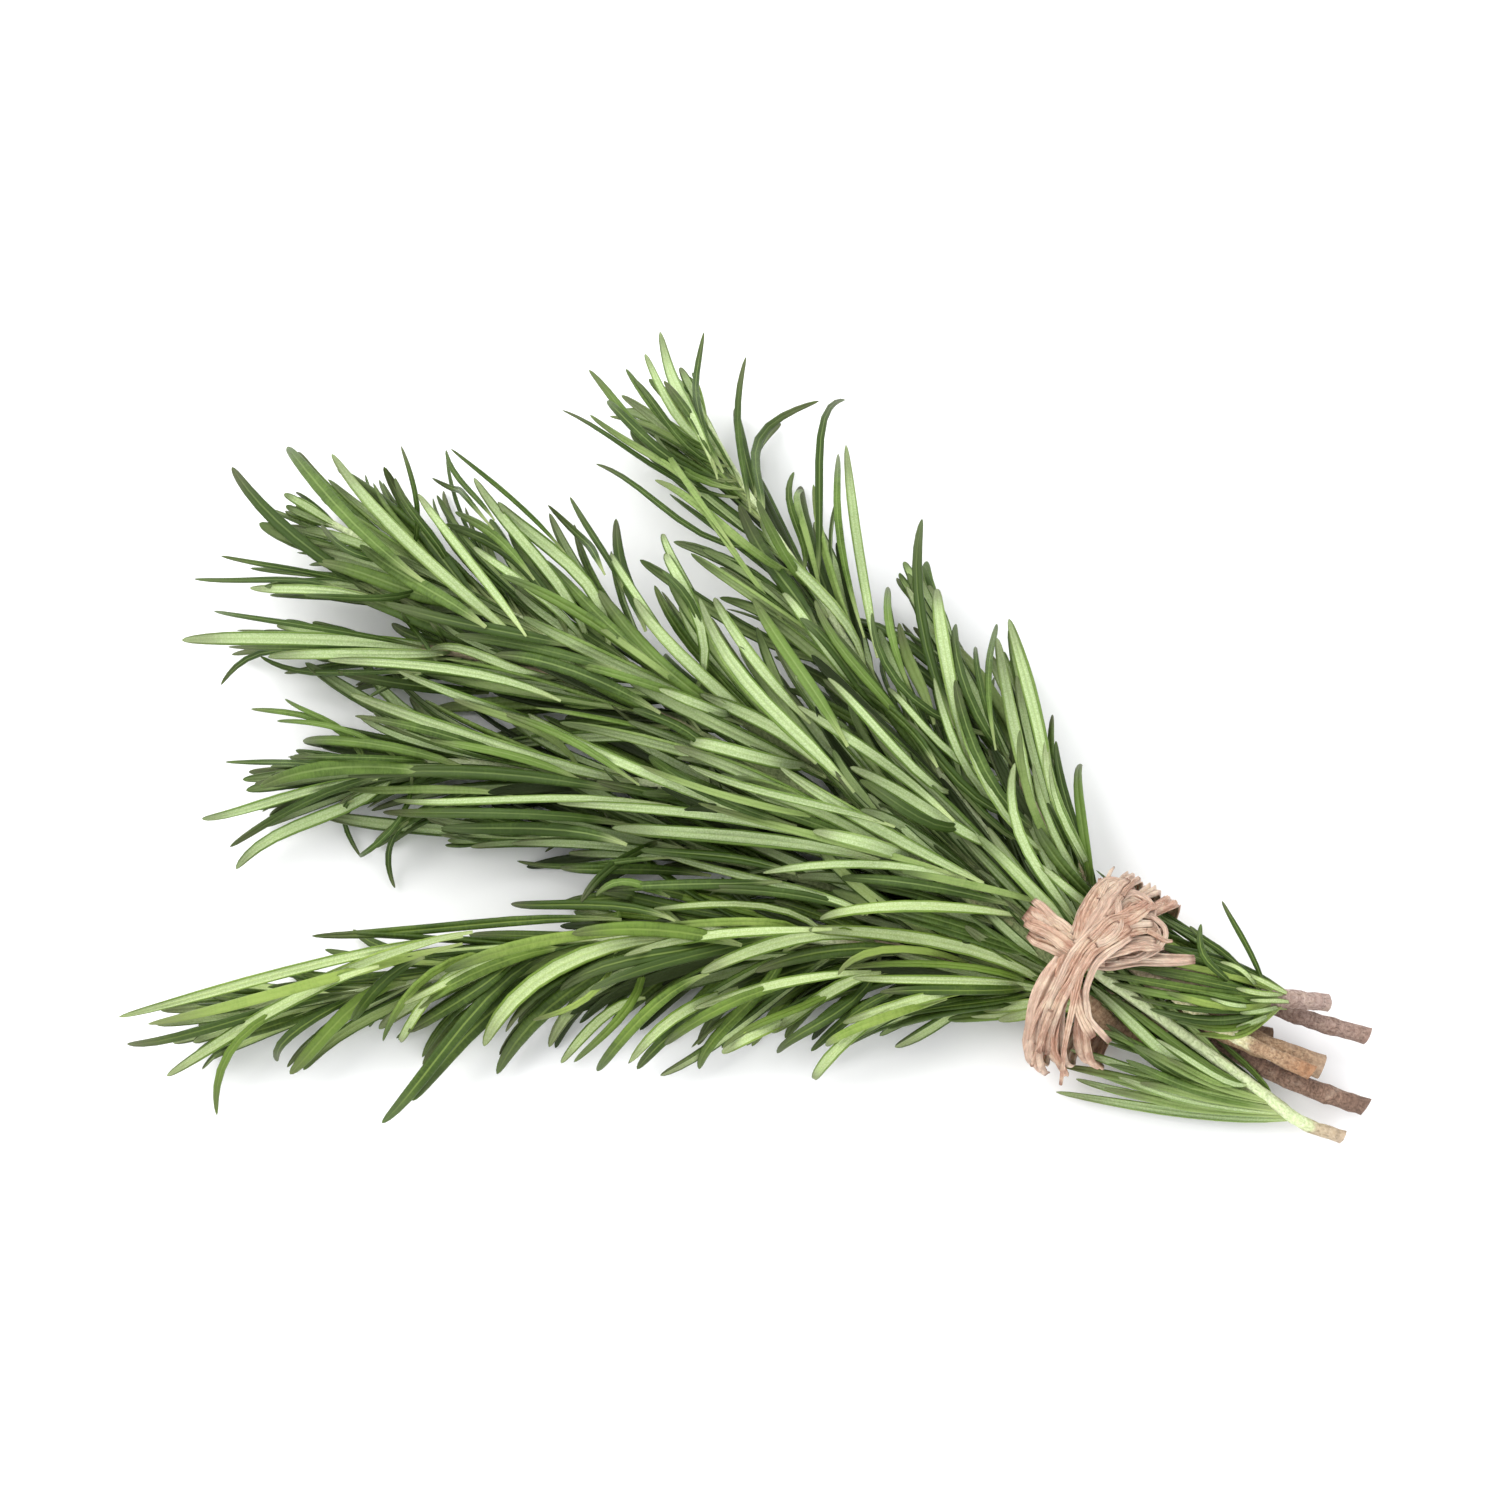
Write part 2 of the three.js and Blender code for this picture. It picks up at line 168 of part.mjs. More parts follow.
    [-29.35,-9.0,7.84,-40.45,-8.77,5.75,-52.01,-7.71,1.36,-63.28,-12.3,0.95,-0.26,0.95,0.16,2.45],
    [42.47,-30.8,5.76,33.34,-25.68,5.3,24.55,-19.62,4.09,16.48,-13.02,0.95,-0.48,-0.26,0.84,2.33],
    [8.9,-15.28,8.26,1.61,-10.96,6.16,-4.88,-6.62,1.66,-11.25,-0.69,0.95,-0.73,-0.64,0.23,2.7],
    [-46.72,-5.36,7.52,-56.79,-4.97,5.66,-66.66,-4.62,1.6,-76.94,-2.8,0.95,-0.33,-0.18,0.93,2.59],
    [-62.22,-7.37,8.95,-67.86,-7.32,9.58,-73.51,-7.85,9.97,-78.95,-8.81,11.34,-0.25,0.15,-0.96,2.23],
    [-58.66,-7.12,7.34,-63.67,-7.33,6.22,-69.22,-7.75,5.9,-73.51,-9.5,2.89,-0.51,0.56,0.66,2.39]
  ],
  e: [
    [-30.71,-36.77,9.99,-43.18,-29.69,10.26,-57.69,-32.64,10.28,-71.13,-35.47,9.0,-0.03,-1.0,-0.09,3.18],
    [-73.58,-45.52,8.18,-80.94,-39.05,8.96,-93.59,-47.81,10.05,-102.95,-49.44,9.33,-0.04,-0.15,-0.99,2.68],
    [-74.71,-47.43,8.08,-83.55,-47.47,8.31,-92.04,-50.41,8.59,-100.32,-53.55,7.28,-0.25,0.95,-0.18,2.73],
    [-71.31,-47.03,8.29,-79.47,-49.91,7.82,-88.35,-52.16,7.58,-94.67,-58.2,5.4,-0.43,0.85,0.29,2.92],
    [-76.66,-47.76,6.46,-82.25,-51.92,6.65,-90.32,-56.39,6.25,-87.04,-63.97,3.19,-0.82,0.56,-0.13,2.76],
    [-59.82,-45.04,8.8,-66.5,-46.51,7.85,-74.06,-48.25,7.43,-77.11,-54.77,4.84,-0.5,0.79,0.36,3.05],
    [-51.65,-43.5,7.18,-60.1,-47.06,7.4,-69.35,-50.31,6.56,-75.26,-57.32,3.17,-0.52,0.82,0.22,2.85],
    [-33.64,-39.48,7.83,-42.37,-47.68,8.85,-54.0,-54.67,7.0,-59.29,-65.41,3.91,-0.68,0.6,0.41,3.17],
    [-36.42,-39.88,9.84,-44.45,-43.2,10.78,-52.95,-46.42,12.03,-58.83,-53.21,11.8,-0.52,0.82,-0.24,2.7],
    [-31.04,-39.02,9.96,-40.06,-40.78,9.55,-48.53,-45.36,9.06,-56.08,-51.0,6.98,-0.43,0.83,0.36,2.64],
    [-14.79,-37.14,8.23,-24.14,-42.5,8.96,-33.8,-48.99,7.4,-40.52,-57.5,4.25,-0.62,0.78,0.01,2.83],
    [-16.88,-37.25,10.37,-24.9,-40.74,11.4,-35.08,-43.08,13.18,-39.2,-52.15,13.21,-0.55,0.83,0.08,2.96],
    [-5.28,-36.62,8.45,-14.51,-41.42,8.81,-23.34,-47.85,7.1,-29.88,-55.38,3.55,-0.62,0.76,0.2,2.64],
    [4.76,-37.2,11.36,-5.17,-43.16,10.52,-15.25,-49.57,9.63,-23.93,-57.18,7.19,-0.53,0.8,-0.29,3.12],
    [10.98,-37.6,9.42,0.65,-42.65,10.22,-8.41,-50.1,8.01,-17.46,-56.74,4.62,-0.52,0.84,-0.15,2.82],
    [16.21,-38.46,12.07,5.77,-44.36,11.33,-3.08,-53.16,10.3,-14.07,-58.14,7.91,-0.55,0.83,0.08,3.15],
    [25.64,-40.11,10.1,14.27,-45.64,10.69,4.77,-55.52,8.03,-7.58,-56.53,4.38,-0.48,0.84,0.27,3.04],
    [32.16,-41.69,9.88,23.24,-45.97,10.75,15.43,-54.62,9.72,5.59,-54.57,6.47,-0.46,0.87,0.17,2.7],
    [39.27,-43.59,9.38,28.86,-46.26,10.13,20.27,-53.19,6.75,11.39,-58.27,2.89,-0.5,0.83,0.26,2.66],
    [46.69,-45.14,9.08,37.68,-44.16,9.37,31.85,-50.57,7.29,24.6,-53.27,3.89,-0.36,0.91,0.21,3.08],
    [-64.88,-43.99,8.64,-74.13,-44.21,10.03,-83.65,-42.92,12.2,-93.28,-44.59,12.66,-0.13,-0.43,-0.89,2.87],
    [-20.95,-37.43,10.25,-30.12,-37.71,11.75,-38.74,-41.83,14.27,-46.46,-47.57,15.16,-0.38,0.57,-0.73,3.13],
    [84.94,-44.61,15.14,81.05,-42.29,17.03,78.55,-38.04,19.96,77.48,-32.77,21.9,-0.87,-0.49,-0.03,3.17],
    [84.18,-44.6,12.2,76.34,-44.69,14.83,68.12,-42.36,13.91,59.83,-41.86,13.12,-0.08,-0.73,0.68,2.75],
    [83.92,-47.6,12.2,78.17,-47.86,14.39,68.73,-48.02,14.72,59.61,-46.21,14.13,0.06,-0.33,0.94,2.66],
    [84.94,-44.72,15.11,81.69,-46.62,15.64,71.91,-43.37,20.54,73.6,-36.27,23.56,-0.6,-0.79,-0.09,3.04],
    [84.76,-47.58,15.01,84.2,-45.55,12.99,73.65,-41.96,16.31,62.02,-41.7,17.24,-0.1,-0.88,0.46,3.09],
    [30.89,-41.28,12.54,19.58,-39.08,17.41,8.88,-38.44,23.42,-0.98,-38.97,31.0,-0.53,0.38,-0.76,2.95],
    [17.22,-36.13,12.16,5.5,-35.84,16.04,-6.0,-34.63,20.91,-16.92,-35.58,27.12,-0.44,0.08,-0.9,2.68],
    [9.49,-37.47,11.73,-1.4,-39.74,15.63,-11.18,-43.55,20.94,-15.11,-50.44,30.65,-0.83,0.18,-0.53,2.85],
    [-1.34,-36.73,10.99,-12.55,-35.92,15.01,-23.4,-36.41,19.9,-31.51,-37.18,29.15,-0.66,-0.05,-0.75,2.41],
    [38.2,-43.29,12.07,26.58,-44.67,15.41,15.83,-47.74,19.71,7.24,-54.8,25.1,-0.61,0.71,-0.36,2.61],
    [32.16,-41.63,9.83,24.38,-41.16,6.87,15.8,-39.1,0.95,8.97,-46.4,0.95,-0.58,0.44,0.68,2.47],
    [27.63,-40.42,10.16,16.85,-41.63,7.55,3.81,-38.44,2.16,-3.21,-49.71,0.95,-0.65,0.46,0.6,2.9],
    [12.32,-37.71,9.45,2.67,-37.71,6.56,-6.85,-39.19,0.95,-17.63,-40.54,0.95,-0.39,0.8,0.46,2.39],
    [-58.1,-42.75,6.93,-70.06,-44.56,4.41,-81.95,-44.92,0.95,-94.4,-45.66,0.95,-0.11,-0.82,0.56,2.43],
    [-71.59,-45.25,8.3,-77.65,-46.32,8.54,-83.89,-47.06,8.45,-89.95,-47.3,10.11,-0.17,-0.13,-0.98,2.45]
  ],
  f: [
    [35.38,7.01,17.29,24.32,4.64,18.4,28.46,25.14,19.13,29.46,33.12,18.51,-0.62,-0.09,-0.78,3.19],
    [38.53,0.36,18.62,26.18,-5.18,17.75,24.74,13.64,16.08,23.84,22.34,13.74,0.75,0.57,0.33,3.01],
    [37.48,2.64,18.21,32.33,3.45,18.62,33.44,14.67,19.28,32.3,20.02,18.33,-0.72,-0.19,-0.66,2.63],
    [40.75,-4.47,19.31,37.82,0.82,20.96,34.81,6.47,22.32,34.8,13.36,22.46,-0.12,0.13,-0.98,2.95],
    [44.26,-7.78,19.82,40.65,-2.08,20.06,38.46,4.07,19.95,37.95,10.64,18.89,-0.74,-0.25,-0.63,2.79],
    [45.76,-11.06,18.12,41.8,-2.72,17.24,39.35,5.8,15.57,41.45,14.43,12.05,-0.86,-0.01,0.5,3.1],
    [50.07,-25.48,20.01,37.96,-20.95,21.81,31.32,-9.27,23.54,26.03,2.26,24.1,0.69,0.65,-0.31,2.68],
    [51.14,-27.73,19.82,41.31,-21.49,22.44,38.04,-9.54,25.99,33.99,1.18,27.88,0.62,0.54,-0.57,2.72],
    [51.62,-28.59,19.74,46.47,-18.0,22.89,40.5,-7.63,26.17,34.55,1.55,32.27,-0.22,0.38,-0.9,2.66],
    [45.37,-14.93,20.2,41.64,-5.46,22.15,37.18,3.83,24.46,32.17,12.08,29.05,-0.04,0.41,-0.91,2.48],
    [39.35,-1.32,18.89,31.69,7.04,21.77,22.99,14.03,26.45,12.66,19.68,29.62,0.41,0.86,-0.3,2.65],
    [34.85,12.42,14.52,32.7,18.33,12.16,30.02,24.84,9.95,30.77,30.53,5.24,-0.85,0.26,0.47,2.22],
    [39.68,-1.97,17.03,35.83,6.31,12.54,31.91,12.39,3.77,26.81,20.77,0.95,-0.1,0.71,0.69,2.64],
    [51.8,-24.05,20.03,48.8,-14.19,19.76,45.81,-4.43,19.97,44.62,5.72,20.74,-0.71,-0.03,-0.7,1.97],
    [34.91,12.33,16.33,33.39,15.77,15.23,31.88,19.46,14.42,30.71,23.36,14.24,-0.71,-0.28,-0.65,2.31],
    [33.46,15.0,14.01,31.95,19.18,13.04,30.27,23.62,11.66,29.76,28.24,9.93,-0.91,-0.02,0.41,2.11],
    [39.09,-0.62,16.88,36.0,6.14,14.07,32.18,12.61,10.89,28.36,18.38,6.4,-0.04,0.64,0.77,1.75],
    [33.72,10.77,14.71,31.92,15.23,13.54,29.75,19.38,12.25,27.32,23.26,10.61,-0.04,0.35,0.93,2.32]
  ],
  g: [
    [49.6,-4.76,11.11,46.94,2.4,11.97,45.19,9.89,12.65,44.02,17.55,12.19,-0.51,-0.06,-0.86,2.96],
    [48.51,-7.62,11.41,45.51,0.5,10.49,42.33,8.89,10.65,41.74,17.62,8.53,-0.09,-0.12,-0.99,2.63],
    [53.03,-22.07,12.76,50.72,-16.14,13.73,48.42,-10.33,14.43,50.13,-3.81,13.94,-0.87,-0.14,-0.47,2.72],
    [56.21,-24.65,10.5,53.77,-21.46,11.81,53.51,-11.91,10.69,52.23,-2.99,8.97,-0.9,-0.19,0.4,2.79],
    [56.28,-24.62,10.47,56.24,-21.51,10.65,55.55,-14.1,9.45,56.0,-6.78,6.91,-0.59,0.07,0.8,3.18],
    [54.46,-25.8,12.45,46.99,-30.44,13.73,46.97,-17.03,15.68,43.53,-10.9,16.16,0.65,0.59,-0.48,2.81],
    [54.5,-25.64,12.47,52.39,-22.46,13.53,49.48,-17.94,14.99,48.54,-12.29,14.94,-0.02,0.18,-0.98,2.63],
    [52.34,-14.28,12.37,50.7,-8.85,11.71,50.46,-3.2,10.55,51.38,2.35,8.53,-0.99,-0.03,0.11,2.84],
    [49.51,-11.22,11.97,48.03,-2.9,13.41,45.2,5.27,15.09,44.44,12.62,20.24,-0.19,0.45,-0.87,2.49],
    [51.04,-16.51,10.64,43.25,-7.52,10.18,34.13,-0.04,8.78,23.92,6.34,7.52,0.46,0.82,0.35,2.46],
    [49.56,-11.53,11.98,45.27,-2.53,10.82,42.09,7.59,9.02,34.32,14.55,11.24,0.66,0.61,-0.44,2.16],
    [54.43,-25.45,10.44,50.87,-17.5,8.29,45.9,-8.39,6.02,40.91,0.71,3.76,0.25,0.36,0.9,2.9],
    [48.91,-1.97,8.96,47.38,3.44,7.14,46.78,9.01,5.11,45.91,13.89,1.68,-0.42,0.46,0.78,2.04],
    [48.85,-8.82,11.61,47.51,-3.3,12.18,45.25,2.02,13.49,43.54,7.51,15.03,0.32,0.44,-0.84,1.88],
    [50.17,-13.63,12.29,47.56,-5.24,13.76,44.19,3.1,14.93,40.62,9.5,20.74,0.39,0.68,-0.63,2.02],
    [47.51,-3.6,9.11,46.41,2.23,8.31,45.02,7.99,7.5,43.18,13.51,6.11,0.66,0.36,0.65,2.06]
  ],
  h: [
    [-22.12,-18.32,7.29,-31.62,-16.41,7.56,-41.45,-16.29,7.72,-51.13,-17.36,6.43,0.03,0.99,0.11,2.85],
    [-14.29,-21.1,7.41,-21.61,-22.96,7.66,-29.95,-25.2,7.84,-37.68,-22.35,6.51,-0.06,0.96,0.27,2.9],
    [-10.33,-21.8,5.59,-16.62,-21.6,6.31,-23.4,-22.48,5.97,-27.26,-27.92,3.19,-0.37,0.88,0.3,2.65],
    [-4.41,-23.13,7.41,-15.71,-25.86,6.91,-26.84,-33.49,5.88,-38.59,-29.19,3.51,-0.2,0.84,0.51,3.18],
    [45.17,-38.26,5.27,40.01,-36.66,6.66,31.58,-33.01,8.55,23.01,-29.55,10.12,-0.31,-0.28,-0.91,2.61],
    [25.82,-32.34,6.75,15.08,-30.23,10.01,3.62,-29.33,13.5,-4.94,-30.06,22.19,-0.38,0.74,-0.55,2.34],
    [14.42,-28.25,7.22,3.61,-27.9,11.41,-6.73,-29.19,17.17,-16.22,-33.12,23.78,-0.54,0.71,-0.45,2.72],
    [4.76,-25.3,7.38,-6.22,-26.73,9.41,-16.46,-30.4,12.46,-25.78,-34.4,18.07,-0.59,0.61,-0.54,2.72],
    [-12.29,-21.42,7.46,-22.94,-26.3,10.07,-32.41,-33.03,13.97,-39.46,-40.28,21.08,-0.72,0.54,-0.44,2.96],
    [24.59,-29.59,4.75,15.9,-21.37,4.93,7.7,-12.3,3.81,3.65,-0.8,0.95,-0.78,-0.36,0.51,2.5],
    [13.04,-25.7,5.21,2.23,-20.34,3.15,-8.21,-13.86,0.95,-19.5,-8.44,0.95,-0.5,-0.73,0.46,2.68],
    [-6.66,-20.66,5.54,-18.17,-17.06,4.24,-29.46,-12.43,1.09,-41.13,-7.92,0.95,-0.39,-0.58,0.71,2.67],
    [44.26,-40.3,3.02,38.85,-39.0,2.95,29.86,-36.4,3.12,21.05,-33.33,3.92,0.23,0.66,0.72,2.55],
    [18.84,-29.68,5.05,7.12,-31.07,5.38,-4.47,-34.58,4.47,-16.33,-37.21,4.99,-0.3,0.94,-0.13,2.84],
    [10.43,-24.94,5.27,2.64,-22.63,3.87,-5.16,-20.28,0.95,-12.57,-16.05,0.95,-0.35,-0.12,0.93,2.66],
    [0.63,-22.25,5.48,-8.37,-21.62,3.93,-16.81,-18.95,0.95,-25.95,-19.89,0.95,-0.15,0.7,0.7,2.29],
    [-35.71,-18.9,6.87,-40.65,-18.6,7.95,-45.74,-18.94,9.16,-50.49,-19.07,11.52,-0.42,0.26,-0.87,2.25],
    [-30.2,-17.55,5.42,-36.69,-17.14,4.61,-43.13,-16.66,3.85,-48.87,-14.62,1.5,-0.36,-0.76,0.54,2.3]
  ],
};

// Each strand: points of its centre line with the direction its flat face looks and its width there.
const STRANDS = [
  [
    [51.66,-39.81,24.74,-0.01,-0.02,1.0,1.4],
    [49.51,-43.42,24.28,-0.11,-0.16,0.98,1.5],
    [47.7,-47.66,22.9,-0.22,-0.33,0.92,2.01],
    [46.77,-51.6,20.71,-0.33,-0.51,0.79,2.72],
    [46.53,-54.73,17.9,-0.45,-0.69,0.58,3.0],
    [46.69,-56.77,14.25,-0.53,-0.82,0.2,3.01],
    [48.05,-56.95,10.01,-0.52,-0.8,-0.29,3.02],
    [48.93,-54.4,5.38,-0.38,-0.58,-0.72,3.03],
    [52.04,-48.85,1.68,-0.18,-0.28,-0.94,3.05],
    [56.13,-42.0,0.35,-0.0,-0.0,-1.0,3.06],
    [59.83,-35.8,1.49,0.17,0.26,-0.95,3.07],
    [62.76,-30.78,4.71,0.35,0.53,-0.77,3.08],
    [64.05,-27.76,8.98,0.5,0.77,-0.4,3.09],
    [64.03,-26.89,13.19,0.54,0.84,0.08,3.05],
    [63.19,-27.79,17.12,0.47,0.72,0.5,2.75],
    [60.94,-30.06,20.71,0.33,0.51,0.79,2.2],
    [58.14,-33.15,23.12,0.2,0.31,0.93,1.7],
    [54.8,-35.51,24.28,0.11,0.16,0.98,1.35]
  ],
  [
    [53.33,-40.9,24.74,-0.01,-0.02,1.0,1.4],
    [51.22,-44.54,24.28,-0.11,-0.16,0.98,1.5],
    [50.51,-49.48,22.9,-0.22,-0.33,0.92,2.01],
    [49.89,-53.48,20.71,-0.33,-0.51,0.79,2.72],
    [50.17,-55.89,17.9,-0.45,-0.69,0.58,3.0],
    [50.87,-57.2,14.25,-0.53,-0.82,0.2,3.01],
    [52.49,-57.09,10.01,-0.52,-0.8,-0.29,3.02],
    [52.96,-54.86,5.38,-0.38,-0.58,-0.72,3.03],
    [55.41,-50.27,1.68,-0.18,-0.28,-0.94,3.05],
    [59.15,-43.96,0.35,-0.0,-0.0,-1.0,3.06],
    [62.85,-37.76,1.49,0.17,0.26,-0.95,3.07],
    [65.78,-32.74,4.71,0.35,0.53,-0.77,3.08],
    [67.07,-29.72,8.98,0.5,0.77,-0.4,3.09],
    [67.05,-28.85,13.19,0.54,0.84,0.08,3.05],
    [66.21,-29.75,17.12,0.47,0.72,0.5,2.75],
    [63.66,-31.83,20.71,0.33,0.51,0.79,2.2],
    [60.56,-34.71,23.12,0.2,0.31,0.93,1.7],
    [56.48,-36.6,24.28,0.11,0.16,0.98,1.35]
  ],
  [
    [55.01,-41.99,24.74,-0.01,-0.02,1.0,1.4],
    [52.93,-45.65,24.28,-0.11,-0.16,0.98,1.5],
    [53.62,-50.85,22.9,-0.22,-0.33,0.92,2.01],
    [53.85,-54.06,20.71,-0.33,-0.51,0.79,2.72],
    [54.38,-56.18,17.9,-0.45,-0.69,0.58,3.0],
    [55.25,-57.31,14.25,-0.53,-0.82,0.2,3.01],
    [56.92,-57.22,10.01,-0.52,-0.8,-0.29,3.02],
    [57.0,-55.31,5.38,-0.38,-0.58,-0.72,3.03],
    [58.83,-51.61,1.68,-0.18,-0.28,-0.94,3.05],
    [62.17,-45.92,0.35,-0.0,-0.0,-1.0,3.06],
    [65.87,-39.72,1.49,0.17,0.26,-0.95,3.07],
    [68.8,-34.7,4.71,0.35,0.53,-0.77,3.08],
    [70.09,-31.68,8.98,0.5,0.77,-0.4,3.09],
    [70.07,-30.81,13.19,0.54,0.84,0.08,3.05],
    [69.23,-31.71,17.12,0.47,0.72,0.5,2.75],
    [66.39,-33.59,20.71,0.33,0.51,0.79,2.2],
    [62.98,-36.28,23.12,0.2,0.31,0.93,1.7],
    [58.16,-37.69,24.28,0.11,0.16,0.98,1.35]
  ],
];

// The tie's knot, made of strands that join where they cross.
const KNOT = [
  [
    [57.4,-37.44,25.96,0.09,0.13,0.99,3.6],
    [55.03,-39.73,26.72,0.02,0.04,1.0,3.2],
    [52.4,-42.05,26.87,-0.04,-0.06,1.0,2.9],
    [51.11,-44.53,26.3,-0.09,-0.14,0.99,3.2],
    [50.5,-47.25,25.25,-0.15,-0.23,0.96,3.4]
  ],
  [
    [53.05,-41.71,26.81,-0.03,-0.04,1.0,2.6],
    [50.53,-39.78,26.92,-0.02,-0.03,1.0,3.0],
    [47.7,-37.66,26.95,-0.02,-0.03,1.0,3.2],
    [44.84,-35.6,27.25,-0.01,-0.02,1.0,2.6]
  ],
  [
    [52.73,-42.49,26.65,-0.04,-0.06,1.0,2.4],
    [49.88,-41.18,26.61,-0.05,-0.08,1.0,2.6],
    [47.35,-40.19,26.55,-0.06,-0.09,0.99,2.6],
    [45.16,-38.98,26.25,-0.06,-0.1,0.99,1.8]
  ],
  [
    [53.38,-41.39,26.83,-0.02,-0.03,1.0,2.6],
    [56.65,-39.06,26.61,0.05,0.08,1.0,3.4],
    [60.71,-35.82,25.29,0.15,0.23,0.96,3.8],
    [64.53,-33.25,23.34,0.25,0.39,0.88,3.0]
  ],
  [
    [53.03,-42.67,26.76,-0.04,-0.06,1.0,2.6],
    [57.21,-41.69,26.74,0.02,0.02,1.0,3.6],
    [62.15,-39.56,25.91,0.1,0.16,0.98,4.0],
    [66.56,-37.26,24.35,0.2,0.31,0.93,3.0]
  ],
  [
    [53.36,-42.96,26.55,-0.04,-0.07,1.0,2.4],
    [57.84,-43.57,26.35,-0.01,-0.01,1.0,2.6],
    [63.17,-42.55,24.55,0.07,0.11,0.99,2.3],
    [67.7,-42.79,24.15,0.12,0.19,0.97,2.1],
    [72.1,-42.67,23.55,0.18,0.28,0.94,1.6]
  ],
  [
    [53.61,-39.56,26.74,0.01,0.02,1.0,2.4],
    [49.36,-44.62,25.67,-0.12,-0.18,0.98,2.8],
    [47.09,-49.23,23.77,-0.24,-0.37,0.9,3.1],
    [46.18,-53.57,20.98,-0.36,-0.56,0.75,3.1],
    [46.35,-57.16,17.24,-0.48,-0.74,0.47,3.0],
    [47.51,-58.5,13.51,-0.54,-0.83,0.1,2.7],
    [48.59,-58.31,9.68,-0.52,-0.8,-0.29,2.3]
  ],
  [
    [54.11,-39.89,26.64,0.01,0.02,1.0,2.2],
    [51.55,-46.04,25.67,-0.12,-0.18,0.98,2.4],
    [49.41,-51.72,23.35,-0.26,-0.4,0.88,2.3],
    [48.88,-55.84,20.21,-0.39,-0.6,0.7,2.1],
    [50.44,-58.03,16.33,-0.5,-0.77,0.38,1.9],
    [51.43,-58.7,12.55,-0.54,-0.84,0.0,1.6],
    [52.15,-58.51,8.64,-0.5,-0.77,-0.38,1.3],
    [52.78,-57.72,4.44,-0.4,-0.62,-0.67,0.9]
  ],
];

// ---- geometry -------------------------------------------------------------------------------------------------------------
const v3 = (a) => new THREE.Vector3(a[0], a[1], a[2]);

// Drops the triangles that have closed up to a line, as at the poles of a turned shape.
function withoutSlivers(g) {
  const kept = [];
  for (let i = 0; i < g.index.count; i += 3) {
    const [a, b, c] = [g.index.getX(i), g.index.getX(i + 1), g.index.getX(i + 2)];
    if (a !== b && b !== c && c !== a) kept.push(a, b, c);
  }
  g.setIndex(kept);
  return g;
}

// Moves every vertex of a straight geometry that stands on the Y axis to where `place(t, x, z, ring)` puts it, t being 0..1
// along a unit height and ring the row of a turned profile.
function bent(geometry, place) {
  const g = geometry;
  g.deleteAttribute("normal");
  g.deleteAttribute("uv");
  const p = g.getAttribute("position");
  for (let i = 0; i < p.count; i++) {
    const y = p.getY(i) + 0.5;
    const q = place(THREE.MathUtils.clamp(y, 0, 1), p.getX(i), p.getZ(i), Math.round(y));
    p.setXYZ(i, q.x, q.y, q.z);
  }
  return withoutSlivers(mergeVertices(g, 1e-4));
}

function solid(geometry) {
  const g = geometry.index ? geometry : mergeVertices(geometry, 1e-4);
  const made = new wasm.Manifold(
    new wasm.Mesh({
      numProp: 3,
      vertProperties: new Float32Array(g.getAttribute("position").array),
      triVerts: new Uint32Array(g.index.array),
    }),
  );
  if (made.volume() >= 0) return made;
  const turned = new Uint32Array(g.index.array);
  for (let i = 0; i < turned.length; i += 3) [turned[i], turned[i + 1]] = [turned[i + 1], turned[i]];
  return new wasm.Manifold(
    new wasm.Mesh({ numProp: 3, vertProperties: new Float32Array(g.getAttribute("position").array), triVerts: turned }),
  );
}

function geometryOf(made) {
  const m = made.getMesh();
  const g = new THREE.BufferGeometry();
  const flat = new Float32Array(m.triVerts.length * 3);
  for (let i = 0; i < m.triVerts.length; i++)
    for (let k = 0; k < 3; k++) flat[3 * i + k] = m.vertProperties[m.triVerts[i] * m.numProp + k];
  g.setAttribute("position", new THREE.BufferAttribute(flat, 3));
  g.computeVertexNormals();
  return g;
}

// A curve's own frame: along it, level across it, and away from it upwards.
function frameAt(curve, t) {
  const o = curve.getPointAt(t);
  const along = curve.getTangentAt(t);
  const up = new THREE.Vector3(0, 0, 1).addScaledVector(along, -along.z).normalize();
  const side = new THREE.Vector3().crossVectors(along, up);
  return { o, along, up, side };
}

const curveOf = (points) => new THREE.CatmullRomCurve3(points.map(v3), false, "centripetal");
const radiusAt = (s, t) => s.tip + (s.foot - s.tip) * Math.pow(1 - t, TAPER_POWER);

function stemGeometry(s, grow = 0) {
  const curve = curveOf(s.points);
  const steps = Math.max(5, Math.round(curve.getLength() / STEM_STEP));
  return bent(new THREE.CylinderGeometry(1, 1, 1, STEM_SIDES, steps), (t, x, z) => {
    const f = frameAt(curve, t);
    const r = radiusAt(s, t) + grow;
    return f.o.clone().addScaledVector(f.side, x * r).addScaledVector(f.up, z * r);
  });
}

